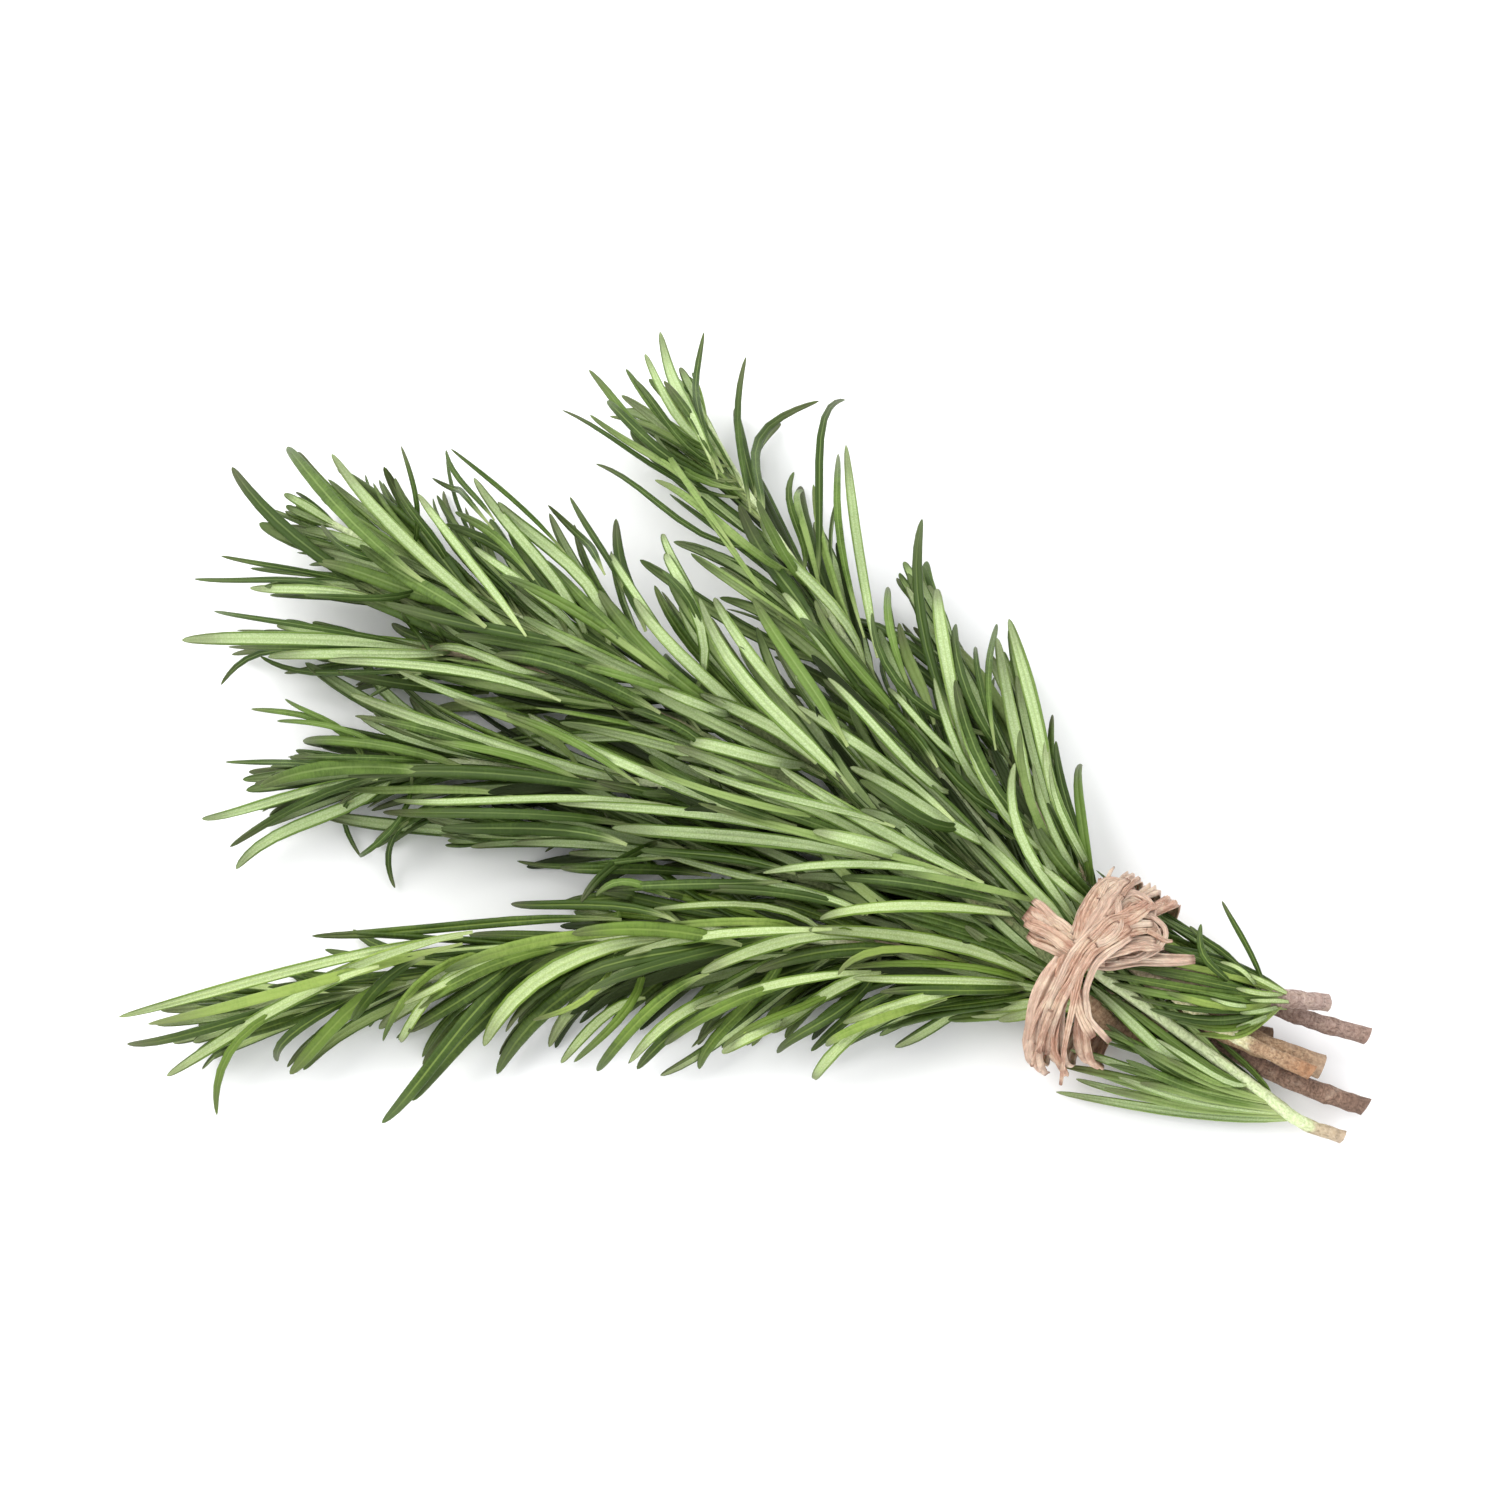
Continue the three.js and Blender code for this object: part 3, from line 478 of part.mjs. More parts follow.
// One of the four ridges that leaf feet make along a stem. It runs on past the stem's end and closes over it.
function ridgeGeometry(s, angle) {
  const curve = curveOf(s.points);
  const length = curve.getLength();
  const over = 2.2;
  const steps = Math.max(5, Math.round((length * (1 - s.leafy)) / 16));
  const end = frameAt(curve, 1);
  return bent(new THREE.CylinderGeometry(1, 1, 1, 3, steps), (u, x, z) => {
    const d = s.leafy * length + u * (length * (1 - s.leafy) + over);
    const f = d >= length ? { ...end, o: end.o.clone().addScaledVector(end.along, d - length) } : frameAt(curve, d / length);
    const past = THREE.MathUtils.clamp((d - length + 0.6) / over, 0, 1);
    const lift = (radiusAt(s, Math.min(1, d / length)) + CLEARANCE + RIDGE_HEIGHT * 0.75) * (1 - 0.45 * past);
    const out = f.up.clone().multiplyScalar(Math.cos(angle)).addScaledVector(f.side, Math.sin(angle));
    const across = new THREE.Vector3().crossVectors(f.along, out);
    return f.o
      .clone()
      .addScaledVector(out, lift - z * RIDGE_HEIGHT * 0.62)
      .addScaledVector(across, x * RIDGE_WIDTH * 0.5);
  });
}

function budGeometry(s) {
  const end = frameAt(curveOf(s.points), 1);
  const profile = [[0, 0.55], [0.62, 0.5], [1, 1.3], [0.94, 2.3], [0.55, 3.9], [0, BUD_LENGTH]].map(
    ([r, y]) => new THREE.Vector2(r * BUD_RADIUS, y),
  );
  const g = new THREE.LatheGeometry(profile, 6);
  g.deleteAttribute("normal");
  g.deleteAttribute("uv");
  g.applyMatrix4(new THREE.Matrix4().makeBasis(end.side, end.along, end.up).setPosition(end.o));
  return withoutSlivers(mergeVertices(g, 1e-4));
}

// A needle leaf: narrow at the foot, the same width along most of its length, with a blunt tip, an arched upper side and a flat
// underside.
function leafGeometry(l) {
  const curve = new THREE.CubicBezierCurve3(v3(l.slice(0, 3)), v3(l.slice(3, 6)), v3(l.slice(6, 9)), v3(l.slice(9, 12)));
  const face = v3(l.slice(12, 15));
  const width = l[15];
  const chord = v3(l.slice(9, 12)).sub(v3(l.slice(0, 3))).length();
  const straight = curve.getLength() < chord * 1.02;
  const rings = straight ? [0, 0.13, 0.8, 1] : [0, 0.13, 0.48, 0.82, 1];
  const shape = straight ? [0, 0.72, 0.9, 0] : [0, 0.72, 1, 0.86, 0];
  const profile = rings.map((t, i) => new THREE.Vector2(i === 0 || i === rings.length - 1 ? 0 : 1, i));
  const g = new THREE.LatheGeometry(profile, 3);
  g.translate(0, -0.5, 0);
  return bent(g, (_, x, z, i) => {
    const t = rings[i];
    const along = curve.getTangent(t);
    const up = face.clone().addScaledVector(along, -face.dot(along)).normalize();
    const side = new THREE.Vector3().crossVectors(along, up);
    const w = width * shape[i] * 0.5;
    return curve
      .getPoint(t)
      .addScaledVector(side, x * w * 1.155)
      .addScaledVector(up, z * w * LEAF_THICKNESS * 1.3);
  });
}

// A flat strand along its points: [x, y, z, face x, face y, face z, width].
function strandGeometry(rows, thickness = STRAND_THICKNESS) {
  const curve = curveOf(rows);
  const at = (t) => {
    const k = Math.min(rows.length - 1.000001, t * (rows.length - 1));
    const i = Math.floor(k);
    return { i, f: k - i };
  };
  const steps = Math.round((rows.length - 1) * 1.4);
  return bent(new THREE.BoxGeometry(1, 1, 1, 1, steps, 1), (t, x, z) => {
    const { i, f } = at(t);
    const a = rows[i], b = rows[Math.min(i + 1, rows.length - 1)];
    const along = curve.getTangent(t);
    const face = v3(a.slice(3, 6)).lerp(v3(b.slice(3, 6)), f);
    face.addScaledVector(along, -face.dot(along)).normalize();
    const side = new THREE.Vector3().crossVectors(along, face);
    const w = a[6] + (b[6] - a[6]) * f;
    return curve.getPoint(t).addScaledVector(side, x * w).addScaledVector(face, z * thickness);
  });
}

const union = (list) => {
  let work = list;
  while (work.length > 1) {
    const next = [];
    for (let i = 0; i < work.length; i += 2) next.push(i + 1 < work.length ? work[i].add(work[i + 1]) : work[i]);
    work = next;
  }
  return work[0];
};
const largest = (made) => made.decompose().reduce((a, b) => (b.volume() > a.volume() ? b : a));

// ---- the bunch ------------------------------------------------------------------------------------------------------------
const bunch = new THREE.Group();
bunch.name = "rosemary_bunch";

function addMesh(parent, name, geometry, material) {
  const mesh = new THREE.Mesh(geometry, material);
  mesh.name = name;
  parent.add(mesh);
  return mesh;
}

for (const [key, s] of Object.entries(STEMS)) {
  const sprig = new THREE.Group();
  sprig.name = `sprig_${key}`;
  addMesh(sprig, `sprig_${key}_stem`, stemGeometry(s), bark(s.color));
  const ridges = [0.25, 0.75, 1.25, 1.75].map((a) => solid(ridgeGeometry(s, a * Math.PI)));
  const leaves = LEAVES[key].map((l) => solid(leafGeometry(l)));
  const room = solid(stemGeometry(s, CLEARANCE * 0.9));
  const clear = (m) => (m.intersect(room).isEmpty() ? m : m.subtract(room));
  const made = largest(union([...ridges, solid(budGeometry(s)), ...leaves].map(clear)));
  addMesh(sprig, `sprig_${key}_leaves`, geometryOf(made), green(s.leafColor));
  bunch.add(sprig);
}

const tie = new THREE.Group();
tie.name = "raffia_tie";
STRANDS.forEach((rows, i) => addMesh(tie, `raffia_strand_${i + 1}`, strandGeometry(rows), raffia(["#d9b491", "#dcb998", "#cfa683"][i])));
addMesh(tie, "raffia_knot", geometryOf(largest(union(KNOT.map((rows) => solid(strandGeometry(rows)))))), raffia("#e0c3a6"));
bunch.add(tie);

export default bunch;
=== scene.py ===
# A bunch of rosemary sprigs tied near their cut ends with raffia, lying on a pale surface.
# Lengths in the tables are millimetres in the frame of the CAD model; everything in Blender is metres.
import math

import bmesh
import bpy
import numpy as np
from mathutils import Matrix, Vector


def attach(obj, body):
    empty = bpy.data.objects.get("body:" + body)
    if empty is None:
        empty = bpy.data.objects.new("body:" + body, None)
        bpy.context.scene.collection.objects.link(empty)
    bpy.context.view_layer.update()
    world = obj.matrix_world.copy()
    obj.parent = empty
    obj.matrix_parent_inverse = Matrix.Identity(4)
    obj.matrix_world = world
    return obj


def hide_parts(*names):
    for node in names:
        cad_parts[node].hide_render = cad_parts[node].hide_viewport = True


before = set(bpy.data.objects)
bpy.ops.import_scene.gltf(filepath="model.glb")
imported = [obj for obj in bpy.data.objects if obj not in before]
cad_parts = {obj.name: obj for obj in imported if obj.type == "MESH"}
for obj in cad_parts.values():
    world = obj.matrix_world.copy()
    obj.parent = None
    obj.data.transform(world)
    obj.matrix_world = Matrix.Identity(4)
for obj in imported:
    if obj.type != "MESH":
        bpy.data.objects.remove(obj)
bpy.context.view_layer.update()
MM = 0.001
RNG = np.random.default_rng(20)

# ---- tables --------------------------------------------------------------------------------------------------------------
# Each stem: points from the cut end to the tip, radius at both ends, share of the length where its leaves begin.
STEMS = {
    "a": {"points":[[98.06,-68.11,3.15],[91.14,-65.9,4.62],[85.17,-61.84,6.55],[79.07,-57.92,9.15],[73.14,-54.17,11.95],[67.39,-50.57,14.75],[61.55,-46.84,17.35],[55.9,-43.23,19.78],[51.45,-37.23,20.27],[47.3,-31.07,19.86],[42.91,-25.19,18.69],[38.45,-19.27,18.3],[33.94,-13.37,18.37],[29.49,-7.42,18.49],[25.22,-1.34,18.44],[21.23,4.92,18.18],[17.42,11.29,17.79],[13.68,17.68,17.21],[9.88,24.01,16.37],[6.08,30.3,15.28],[2.33,36.6,14.07],[-1.29,42.97,12.86],[-4.66,49.49,11.67],[-7.91,56.06,10.45]],"foot":1.25,"tip":0.55,"leafy":0.054},
    "b": {"points":[[102.03,-63.17,3.35],[93.68,-60.48,4.0],[85.64,-56.98,4.2],[77.97,-52.75,3.86],[70.09,-49.49,4.62],[63.93,-43.22,6.86],[56.4,-39.51,9.41],[48.95,-34.45,11.85],[41.84,-29.14,13.41],[34.67,-24.26,14.74],[27.45,-19.33,15.69],[20.09,-14.5,16.3],[12.7,-9.61,16.71],[5.25,-4.65,17.2],[-2.37,-0.12,17.71],[-10.2,3.8,18.02],[-18.1,7.51,17.48],[-26.0,11.05,16.28],[-33.76,14.94,15.1],[-41.39,19.13,13.88],[-48.97,23.43,12.63],[-56.55,27.76,11.49],[-64.11,32.14,10.46],[-71.67,36.54,9.45]],"foot":1.55,"tip":0.6,"leafy":0.291},
    "c": {"points":[[94.26,-57.41,8.33],[86.66,-54.84,8.87],[79.14,-51.89,9.84],[71.48,-49.09,10.21],[62.37,-52.82,11.13],[55.94,-47.97,14.58],[49.94,-41.45,15.65],[43.69,-36.25,17.04],[37.35,-31.37,18.66],[30.69,-26.91,19.53],[23.9,-22.63,19.92],[17.14,-18.33,20.03],[10.41,-14.06,19.9],[3.57,-10.05,19.38],[-3.4,-6.24,18.46],[-10.35,-2.31,17.15],[-17.41,1.38,15.83],[-24.59,4.88,14.75],[-31.98,7.85,13.65],[-39.6,10.17,12.64],[-47.36,12.02,11.71],[-55.21,13.52,10.89],[-63.12,14.73,10.17],[-71.03,15.92,9.45]],"foot":2.0,"tip":0.6,"leafy":0.268},
    "d": {"points":[[102.58,-51.65,5.2],[94.9,-49.77,6.25],[87.2,-47.28,6.96],[79.22,-44.31,6.23],[63.97,-35.58,8.05],[59.06,-35.95,5.82],[55.33,-36.59,4.8],[49.52,-35.56,5.63],[42.83,-32.49,6.86],[35.71,-29.42,7.94],[28.55,-26.2,8.73],[21.46,-22.76,9.15],[14.47,-19.07,9.35],[7.38,-15.58,9.43],[0.01,-12.76,9.45],[-7.68,-10.95,9.35],[-15.5,-9.81,9.17],[-23.34,-8.84,8.97],[-31.16,-7.7,8.82],[-38.99,-6.62,8.67],[-46.85,-5.9,8.51],[-54.75,-5.91,8.33],[-62.62,-6.61,8.14],[-70.48,-7.4,7.95]],"foot":1.4,"tip":0.6,"leafy":0.09},
    "e": {"points":[[95.43,-47.06,10.32],[87.69,-46.73,12.27],[80.03,-46.4,14.04],[72.21,-44.07,18.24],[62.39,-45.57,11.43],[54.98,-46.02,9.21],[48.13,-44.61,9.78],[40.78,-42.52,10.82],[33.21,-40.46,11.45],[25.54,-38.64,11.37],[17.81,-37.17,10.98],[10.0,-36.22,10.53],[2.16,-35.61,10.0],[-5.71,-35.39,9.53],[-13.58,-35.67,9.27],[-21.43,-36.41,9.15],[-29.23,-37.49,9.03],[-36.98,-38.89,8.79],[-44.64,-40.73,8.48],[-52.29,-42.64,8.14],[-60.0,-44.23,7.83],[-67.77,-45.55,7.54],[-75.55,-46.76,7.24],[-83.33,-47.99,6.95]],"foot":1.5,"tip":0.6,"leafy":0.04},
    "f": {"points":[[91.96,-59.06,12.46],[85.5,-56.19,13.11],[79.12,-53.16,14.02],[72.89,-50.4,18.01],[66.87,-45.83,19.9],[61.66,-41.41,17.01],[57.12,-36.43,17.49],[53.58,-30.4,18.49],[50.73,-24.34,19.17],[47.77,-17.91,19.45],[44.85,-11.46,19.18],[42.05,-4.99,18.52],[39.19,1.43,17.61],[36.19,7.74,16.43],[33.12,13.94,14.95],[30.04,20.15,13.45]],"foot":1.2,"tip":0.5,"leafy":0.468},
    "g": {"points":[[86.73,-51.36,5.31],[81.71,-50.52,5.84],[76.8,-49.17,6.19],[72.04,-46.42,6.36],[68.3,-43.42,8.95],[64.55,-40.19,10.83],[61.22,-36.35,12.34],[58.71,-31.92,10.8],[56.5,-27.68,11.19],[54.39,-23.03,11.88],[52.56,-18.2,11.85],[51.03,-13.3,11.33],[49.65,-8.37,10.63],[48.34,-3.43,9.97],[47.14,1.57,9.46],[46.06,6.59,8.95]],"foot":1.1,"tip":0.5,"leafy":0.548},
    "h": {"points":[[84.95,-47.34,2.01],[79.18,-47.39,1.91],[72.34,-46.76,1.96],[65.46,-46.85,2.84],[60.72,-45.77,5.13],[56.33,-43.52,3.56],[51.06,-41.83,3.59],[45.67,-39.95,4.0],[40.5,-37.39,4.58],[35.28,-34.92,5.14],[29.99,-32.68,5.53],[24.64,-30.59,5.84],[19.23,-28.67,6.07],[13.77,-26.84,6.24],[8.28,-25.15,6.36],[2.73,-23.64,6.44],[-2.87,-22.3,6.5],[-8.5,-21.11,6.52],[-14.15,-20.08,6.51],[-19.84,-19.23,6.46],[-25.56,-18.65,6.38],[-31.31,-18.34,6.25],[-37.06,-18.16,6.1],[-42.8,-17.93,5.95]],"foot":1.1,"tip":0.5,"leafy":0.288},
}

# Each leaf: four control points of its centre line from foot to tip, the direction its upper face looks, its width, its
# turn, and its tone. The tone is partly random and partly painted light and shade: leaves deep under others are darker,
# top-layer leaves lighter, and above 1.5 is near-black painted shade.
LEAVES = {
    "a": [
        [0.01,40.63,13.3,-14.07,38.78,20.17,-20.13,54.43,14.79,-27.03,63.5,10.11,0.03,-0.34,0.94,1.6,0.1,0.466],
        [0.84,39.16,13.58,-11.82,38.03,14.18,-21.25,51.18,12.51,-31.64,56.64,8.89,0.03,-0.34,0.94,1.1,0.62,0.034],
        [6.01,30.42,15.26,-8.54,26.42,14.64,-15.39,41.6,14.5,-25.74,47.21,7.82,0.02,-0.32,0.95,1.1,-0.1,0.175],
        [-1.02,42.48,12.95,-11.0,39.36,16.13,-20.9,51.11,23.4,-23.77,56.91,12.55,0.03,-0.34,0.94,1.7,0.03,0.097],
        [-3.96,48.11,11.92,-11.45,46.5,15.74,-16.71,55.43,17.35,-20.47,61.6,15.48,0.02,-0.35,0.94,1.4,0.04,0.384],
        [-2.42,45.09,12.47,-10.52,44.22,15.29,-14.23,53.81,17.69,-19.06,59.5,16.23,0.02,-0.34,0.94,1.3,-0.32,0.215],
        [-4.15,48.48,11.85,-10.82,47.17,18.27,-14.6,56.6,20.27,-17.2,63.74,16.99,-0.02,0.35,-0.94,1.48,-0.08,0.849],
        [-4.81,38.53,27.2,-11.67,53.34,38.26,-11.93,56.01,11.94,-14.82,69.77,11.9,-0.02,0.35,-0.93,2.05,-0.12,0.595],
        [-3.75,38.74,27.2,-7.3,44.11,32.24,-10.11,50.12,28.26,-13.69,55.16,26.62,0.02,-0.35,0.94,1.5,0.27,0.157],
        [-4.69,37.61,27.2,-8.66,50.99,35.5,-9.63,56.12,12.69,-7.21,68.69,14.61,0.02,-0.35,0.94,1.2,0.02,0.188],
        [0.75,34.45,19.62,-0.49,43.77,21.22,-3.07,54.16,10.48,-0.03,65.46,11.2,0.0,-0.34,0.94,1.2,-0.23,0.167],
        [2.82,29.85,29.95,3.19,37.76,30.29,-4.15,54.92,2.57,12.47,57.4,11.25,-0.0,-0.34,0.94,1.6,0.05,0.158],
        [11.71,20.97,16.81,13.31,33.66,28.78,9.54,49.94,30.96,16.9,57.27,12.06,-0.02,-0.34,0.94,1.4,0.15,0.056],
        [21.66,8.47,21.59,19.64,20.9,21.56,17.89,35.64,12.44,17.07,49.79,10.22,0.03,0.31,-0.95,1.82,0.11,0.849],
        [19.55,12.22,20.63,13.9,32.76,17.57,14.86,30.88,40.47,15.68,48.05,10.52,-0.02,-0.32,0.95,1.4,-0.35,0.428],
        [9.51,24.62,16.28,11.64,31.04,16.57,4.7,34.39,22.3,8.03,41.37,20.21,-0.01,-0.32,0.95,1.4,-0.43,0.219],
        [19.75,7.36,18.05,18.16,17.77,23.07,5.02,25.06,19.23,2.46,29.91,30.05,0.02,0.3,-0.95,1.94,-0.34,0.858],
        [12.24,10.7,25.53,7.58,19.13,30.1,3.23,26.81,10.73,-1.19,36.6,17.63,-0.01,-0.31,0.95,2.6,0.05,0.055],
        [6.78,13.64,21.84,-1.12,25.86,21.82,-8.25,31.58,32.59,-10.47,41.63,16.46,0.01,-0.32,0.95,1.1,0.52,0.98],
        [-1.1,25.51,23.52,-9.77,34.7,33.99,-10.75,41.57,17.52,-15.69,50.85,12.76,0.02,-0.33,0.94,1.1,0.41,0.894],
        [-7.56,36.89,20.65,-12.36,43.2,21.76,-18.65,48.39,9.7,-26.76,55.3,10.05,0.03,-0.34,0.94,1.3,-0.46,0.892],
        [9.73,24.25,16.33,1.81,21.72,26.96,-7.06,34.31,28.81,-15.22,39.58,21.26,0.01,-0.32,0.95,1.6,0.13,0.849],
        [16.46,-8.57,28.85,10.18,0.72,36.59,5.75,8.57,26.0,1.15,18.24,23.42,-0.01,-0.28,0.96,2.2,0.3,0.595],
        [24.04,0.45,18.38,16.42,1.74,23.83,8.69,13.28,35.05,6.11,19.27,22.91,0.02,0.29,-0.96,1.82,0.01,0.44],
        [24.98,-0.98,18.43,18.83,-0.23,23.32,15.66,8.85,28.56,8.82,13.13,28.83,-0.03,-0.28,0.96,2.3,0.92,0.112],
        [33.67,-20.23,25.53,25.25,-10.22,20.26,17.27,-9.42,35.11,8.47,-1.24,26.87,0.04,0.26,-0.97,1.94,0.28,0.434],
        [34.03,-13.48,18.37,29.51,-18.02,30.64,19.06,-5.05,37.33,13.34,3.04,28.45,0.04,0.26,-0.97,1.82,0.36,0.429],
        [41.55,-23.37,18.5,33.16,-22.1,26.85,26.05,-13.75,21.19,16.87,-11.37,26.37,0.05,0.24,-0.97,2.28,0.31,0.427],
        [37.41,-17.91,18.28,31.78,-24.68,25.09,23.05,-19.85,40.45,18.5,-13.29,25.39,-0.05,-0.24,0.97,2.0,0.09,0.083],
        [30.95,-11.93,28.31,27.55,-6.47,30.48,25.48,-0.36,17.63,17.0,3.57,25.46,-0.04,-0.27,0.96,1.7,-0.35,0.135],
        [27.16,-4.17,18.49,24.18,-0.1,26.42,13.86,7.18,28.32,11.29,16.37,28.29,-0.03,-0.28,0.96,1.6,0.12,0.561],
        [11.05,22.07,16.66,8.57,20.77,23.73,4.3,27.72,28.03,1.8,32.16,32.55,-0.01,-0.31,0.95,1.7,0.28,0.483],
        [12.81,19.15,17.04,9.89,31.73,27.36,6.72,39.13,15.48,9.8,44.09,3.24,-0.01,-0.32,0.95,1.2,-0.18,0.933],
        [83.74,-60.57,7.11,77.04,-60.62,10.65,68.02,-53.53,16.47,58.93,-47.21,17.55,-0.08,-0.11,0.99,1.5,0.2,0.55],
        [86.12,-62.16,6.21,69.33,-60.37,10.87,66.67,-55.29,18.1,55.71,-45.6,17.75,0.12,0.18,-0.98,2.1,0.0,0.597],
        [88.1,-63.64,5.52,69.26,-60.7,9.34,67.31,-58.55,15.17,58.32,-51.67,15.95,-0.08,-0.11,0.99,1.7,-0.5,0.187],
        [87.11,-62.89,5.85,75.28,-61.35,11.16,71.6,-58.87,13.78,62.76,-55.11,15.95,-0.08,-0.11,0.99,1.7,0.4,0.906],
        [88.78,-64.13,5.3,72.69,-62.05,9.59,70.86,-61.22,12.53,61.57,-57.29,14.35,-0.08,-0.1,0.99,1.6,-0.2,0.353],
        [89.81,-64.82,4.99,71.07,-63.36,8.08,70.57,-62.92,10.1,60.47,-59.62,11.75,0.12,0.16,-0.98,1.6,0.3,0.856],
        [90.17,-65.04,4.89,69.74,-63.98,6.3,72.22,-63.98,8.73,58.35,-61.09,9.75,-0.08,-0.1,0.99,1.5,-0.3,0.982],
        [82.72,-59.91,7.54,78.87,-62.49,12.43,73.61,-57.79,13.38,66.25,-54.28,16.75,0.13,0.17,-0.98,1.2,-0.2,0.432],
        [85.1,-61.46,6.58,67.22,-61.94,10.29,62.29,-58.86,8.99,51.91,-56.84,6.15,-0.07,-0.1,0.99,1.6,0.2,0.988],
        [84.42,-61.01,6.84,63.12,-60.79,12.17,63.2,-57.37,11.48,52.96,-54.82,9.75,0.11,0.17,-0.98,1.6,-0.2,0.594],
        [83.06,-60.13,7.4,71.07,-60.25,13.55,66.61,-55.47,15.03,57.3,-52.69,16.15,-0.07,-0.11,0.99,1.5,0.3,0.6],
        [87.77,-63.39,5.63,70.26,-60.91,12.32,69.76,-59.99,11.44,58.82,-57.63,12.55,-0.08,-0.1,0.99,1.3,0.4,0.815],
        [89.12,-64.36,5.2,71.71,-62.82,9.34,70.74,-61.34,10.93,64.04,-60.57,11.55,-0.08,-0.1,0.99,1.3,-0.4,0.99],
        [81.68,-59.92,7.98,76.75,-62.15,12.99,74.4,-59.62,12.69,67.87,-57.08,15.95,-0.08,-0.11,0.99,1.1,0.5,0.822],
        [90.9,-65.44,4.69,77.2,-65.36,3.4,69.35,-63.96,3.43,51.16,-60.51,2.35,0.12,0.16,-0.98,1.7,0.1,0.848],
        [90.53,-65.24,4.79,73.94,-63.67,5.52,64.79,-62.34,5.76,54.23,-58.86,5.35,0.12,0.16,-0.98,1.5,0.1,0.852],
        [88.44,-63.88,5.41,75.82,-63.87,5.37,66.21,-61.41,7.6,56.05,-57.71,7.35,-0.08,-0.1,0.99,1.5,-0.2,0.947],
        [18.68,8.26,18.39,3.81,8.94,18.8,-6.67,19.3,17.9,-17.79,27.26,15.99,0.47,0.88,0.09,2.73,0.65,0.118],
        [23.34,0.62,18.87,14.66,8.76,19.07,5.73,16.35,21.73,-4.27,23.54,23.52,0.44,0.72,-0.54,3.01,0.26,0.18],
        [60.0,-44.88,19.08,52.35,-38.12,22.36,45.3,-30.2,25.15,37.46,-22.59,25.47,-0.35,-0.12,-0.93,2.45,-0.14,0.765],
        [47.16,-30.23,20.03,42.95,-19.33,18.44,39.16,-8.71,17.72,35.71,2.08,18.49,-0.7,-0.16,-0.7,2.48,0.37,2.6],
        [32.04,-11.7,18.95,26.0,-2.92,19.41,19.95,5.21,21.78,13.37,13.18,24.39,-0.33,0.18,-0.93,2.7,3.15,0.238],
        [67.34,-52.25,14.0,56.88,-47.16,16.74,46.15,-41.43,18.95,35.89,-35.19,22.38,0.51,0.76,0.39,1.73,0.07,0.269],
        [54.3,-41.61,20.33,46.31,-32.31,20.75,38.47,-22.47,21.29,31.83,-11.78,20.99,0.76,0.56,-0.33,2.58,0.31,2.3],
        [36.87,-18.26,19.05,28.23,-9.21,20.9,19.25,-1.04,23.66,10.72,7.77,25.73,0.11,0.47,-0.88,2.34,0.56,2.23],
        [26.4,-3.73,18.87,18.66,3.21,20.02,10.74,10.51,21.1,1.98,16.29,24.11,0.25,0.62,-0.75,2.73,-0.02,0.649],
        [20.46,5.35,18.58,11.03,12.81,20.54,1.0,18.79,23.66,-9.07,25.3,25.42,0.39,0.88,-0.25,2.86,0.09,0.93],
        [6.79,28.23,15.15,-2.56,36.42,12.88,-12.38,43.85,9.98,-19.89,53.48,7.02,0.61,0.76,0.22,2.74,-1.49,0.244],
        [3.37,34.09,14.11,-4.93,42.58,11.93,-13.44,50.35,9.19,-22.34,57.99,7.14,0.41,0.74,0.53,2.8,0.33,0.209],
        [-2.91,45.34,12.73,-7.35,50.7,12.39,-11.37,56.32,11.62,-16.62,60.76,12.9,0.34,0.43,-0.84,2.16,3.37,0.901],
        [77.21,-56.67,9.59,68.87,-50.09,13.49,60.31,-43.37,17.81,52.83,-34.75,20.85,-0.1,-0.45,0.89,1.67,-0.07,0.269],
        [66.47,-49.7,16.61,60.48,-42.72,17.45,55.07,-35.08,19.47,49.55,-27.41,22.08,-0.84,-0.54,0.04,1.56,-0.78,0.251],
        [59.43,-44.32,17.71,53.05,-34.22,18.31,47.83,-23.33,17.61,42.22,-12.59,17.03,-0.83,-0.31,0.46,2.56,-0.18,2.1],
        [43.3,-24.72,18.06,36.9,-15.19,12.98,32.55,-6.31,5.12,25.41,2.69,0.95,-0.03,0.6,0.8,2.78,-0.06,0.12],
        [36.23,-15.47,17.86,33.07,-3.91,16.15,31.38,7.71,13.84,29.85,19.24,10.4,-0.94,0.05,0.34,2.75,-1.14,0.235],
        [27.31,-3.15,17.8,25.15,6.61,13.58,24.41,16.21,8.4,24.44,24.63,0.95,-0.55,0.51,0.66,2.89,-0.62,0.149],
        [21.63,5.37,17.61,18.24,15.01,16.31,15.5,25.2,14.31,11.54,35.03,12.84,-0.9,-0.16,0.4,2.76,-1.59,0.185],
        [16.34,14.14,17.05,12.67,25.12,13.13,8.38,36.72,10.24,9.39,45.57,0.95,-0.67,0.37,0.65,2.72,0.38,0.162],
        [1.5,39.02,13.19,1.33,45.78,9.53,0.71,52.23,4.88,6.09,57.01,0.95,-0.87,0.49,0.03,2.62,0.18,0.152],
        [85.64,-63.56,5.49,80.87,-59.55,4.03,72.68,-54.45,3.34,64.91,-48.69,2.43,-0.07,0.16,0.99,1.62,0.06,0.095],
        [83.46,-62.29,6.4,72.64,-57.82,9.1,61.17,-53.8,12.18,50.43,-51.26,18.33,0.43,0.52,0.74,1.53,0.16,0.317],
        [71.57,-53.1,12.4,61.11,-47.23,15.67,51.41,-39.64,17.84,41.96,-32.37,21.55,0.29,0.05,0.96,1.6,0.16,0.307],
        [62.24,-46.9,16.87,53.37,-39.77,17.51,45.56,-32.1,17.43,38.45,-23.75,17.75,-0.37,-0.29,0.88,2.83,0.67,0.132],
        [54.31,-41.75,19.02,47.56,-31.33,17.77,40.82,-21.07,15.74,33.84,-10.82,15.31,-0.22,0.01,0.98,2.4,-0.87,0.08],
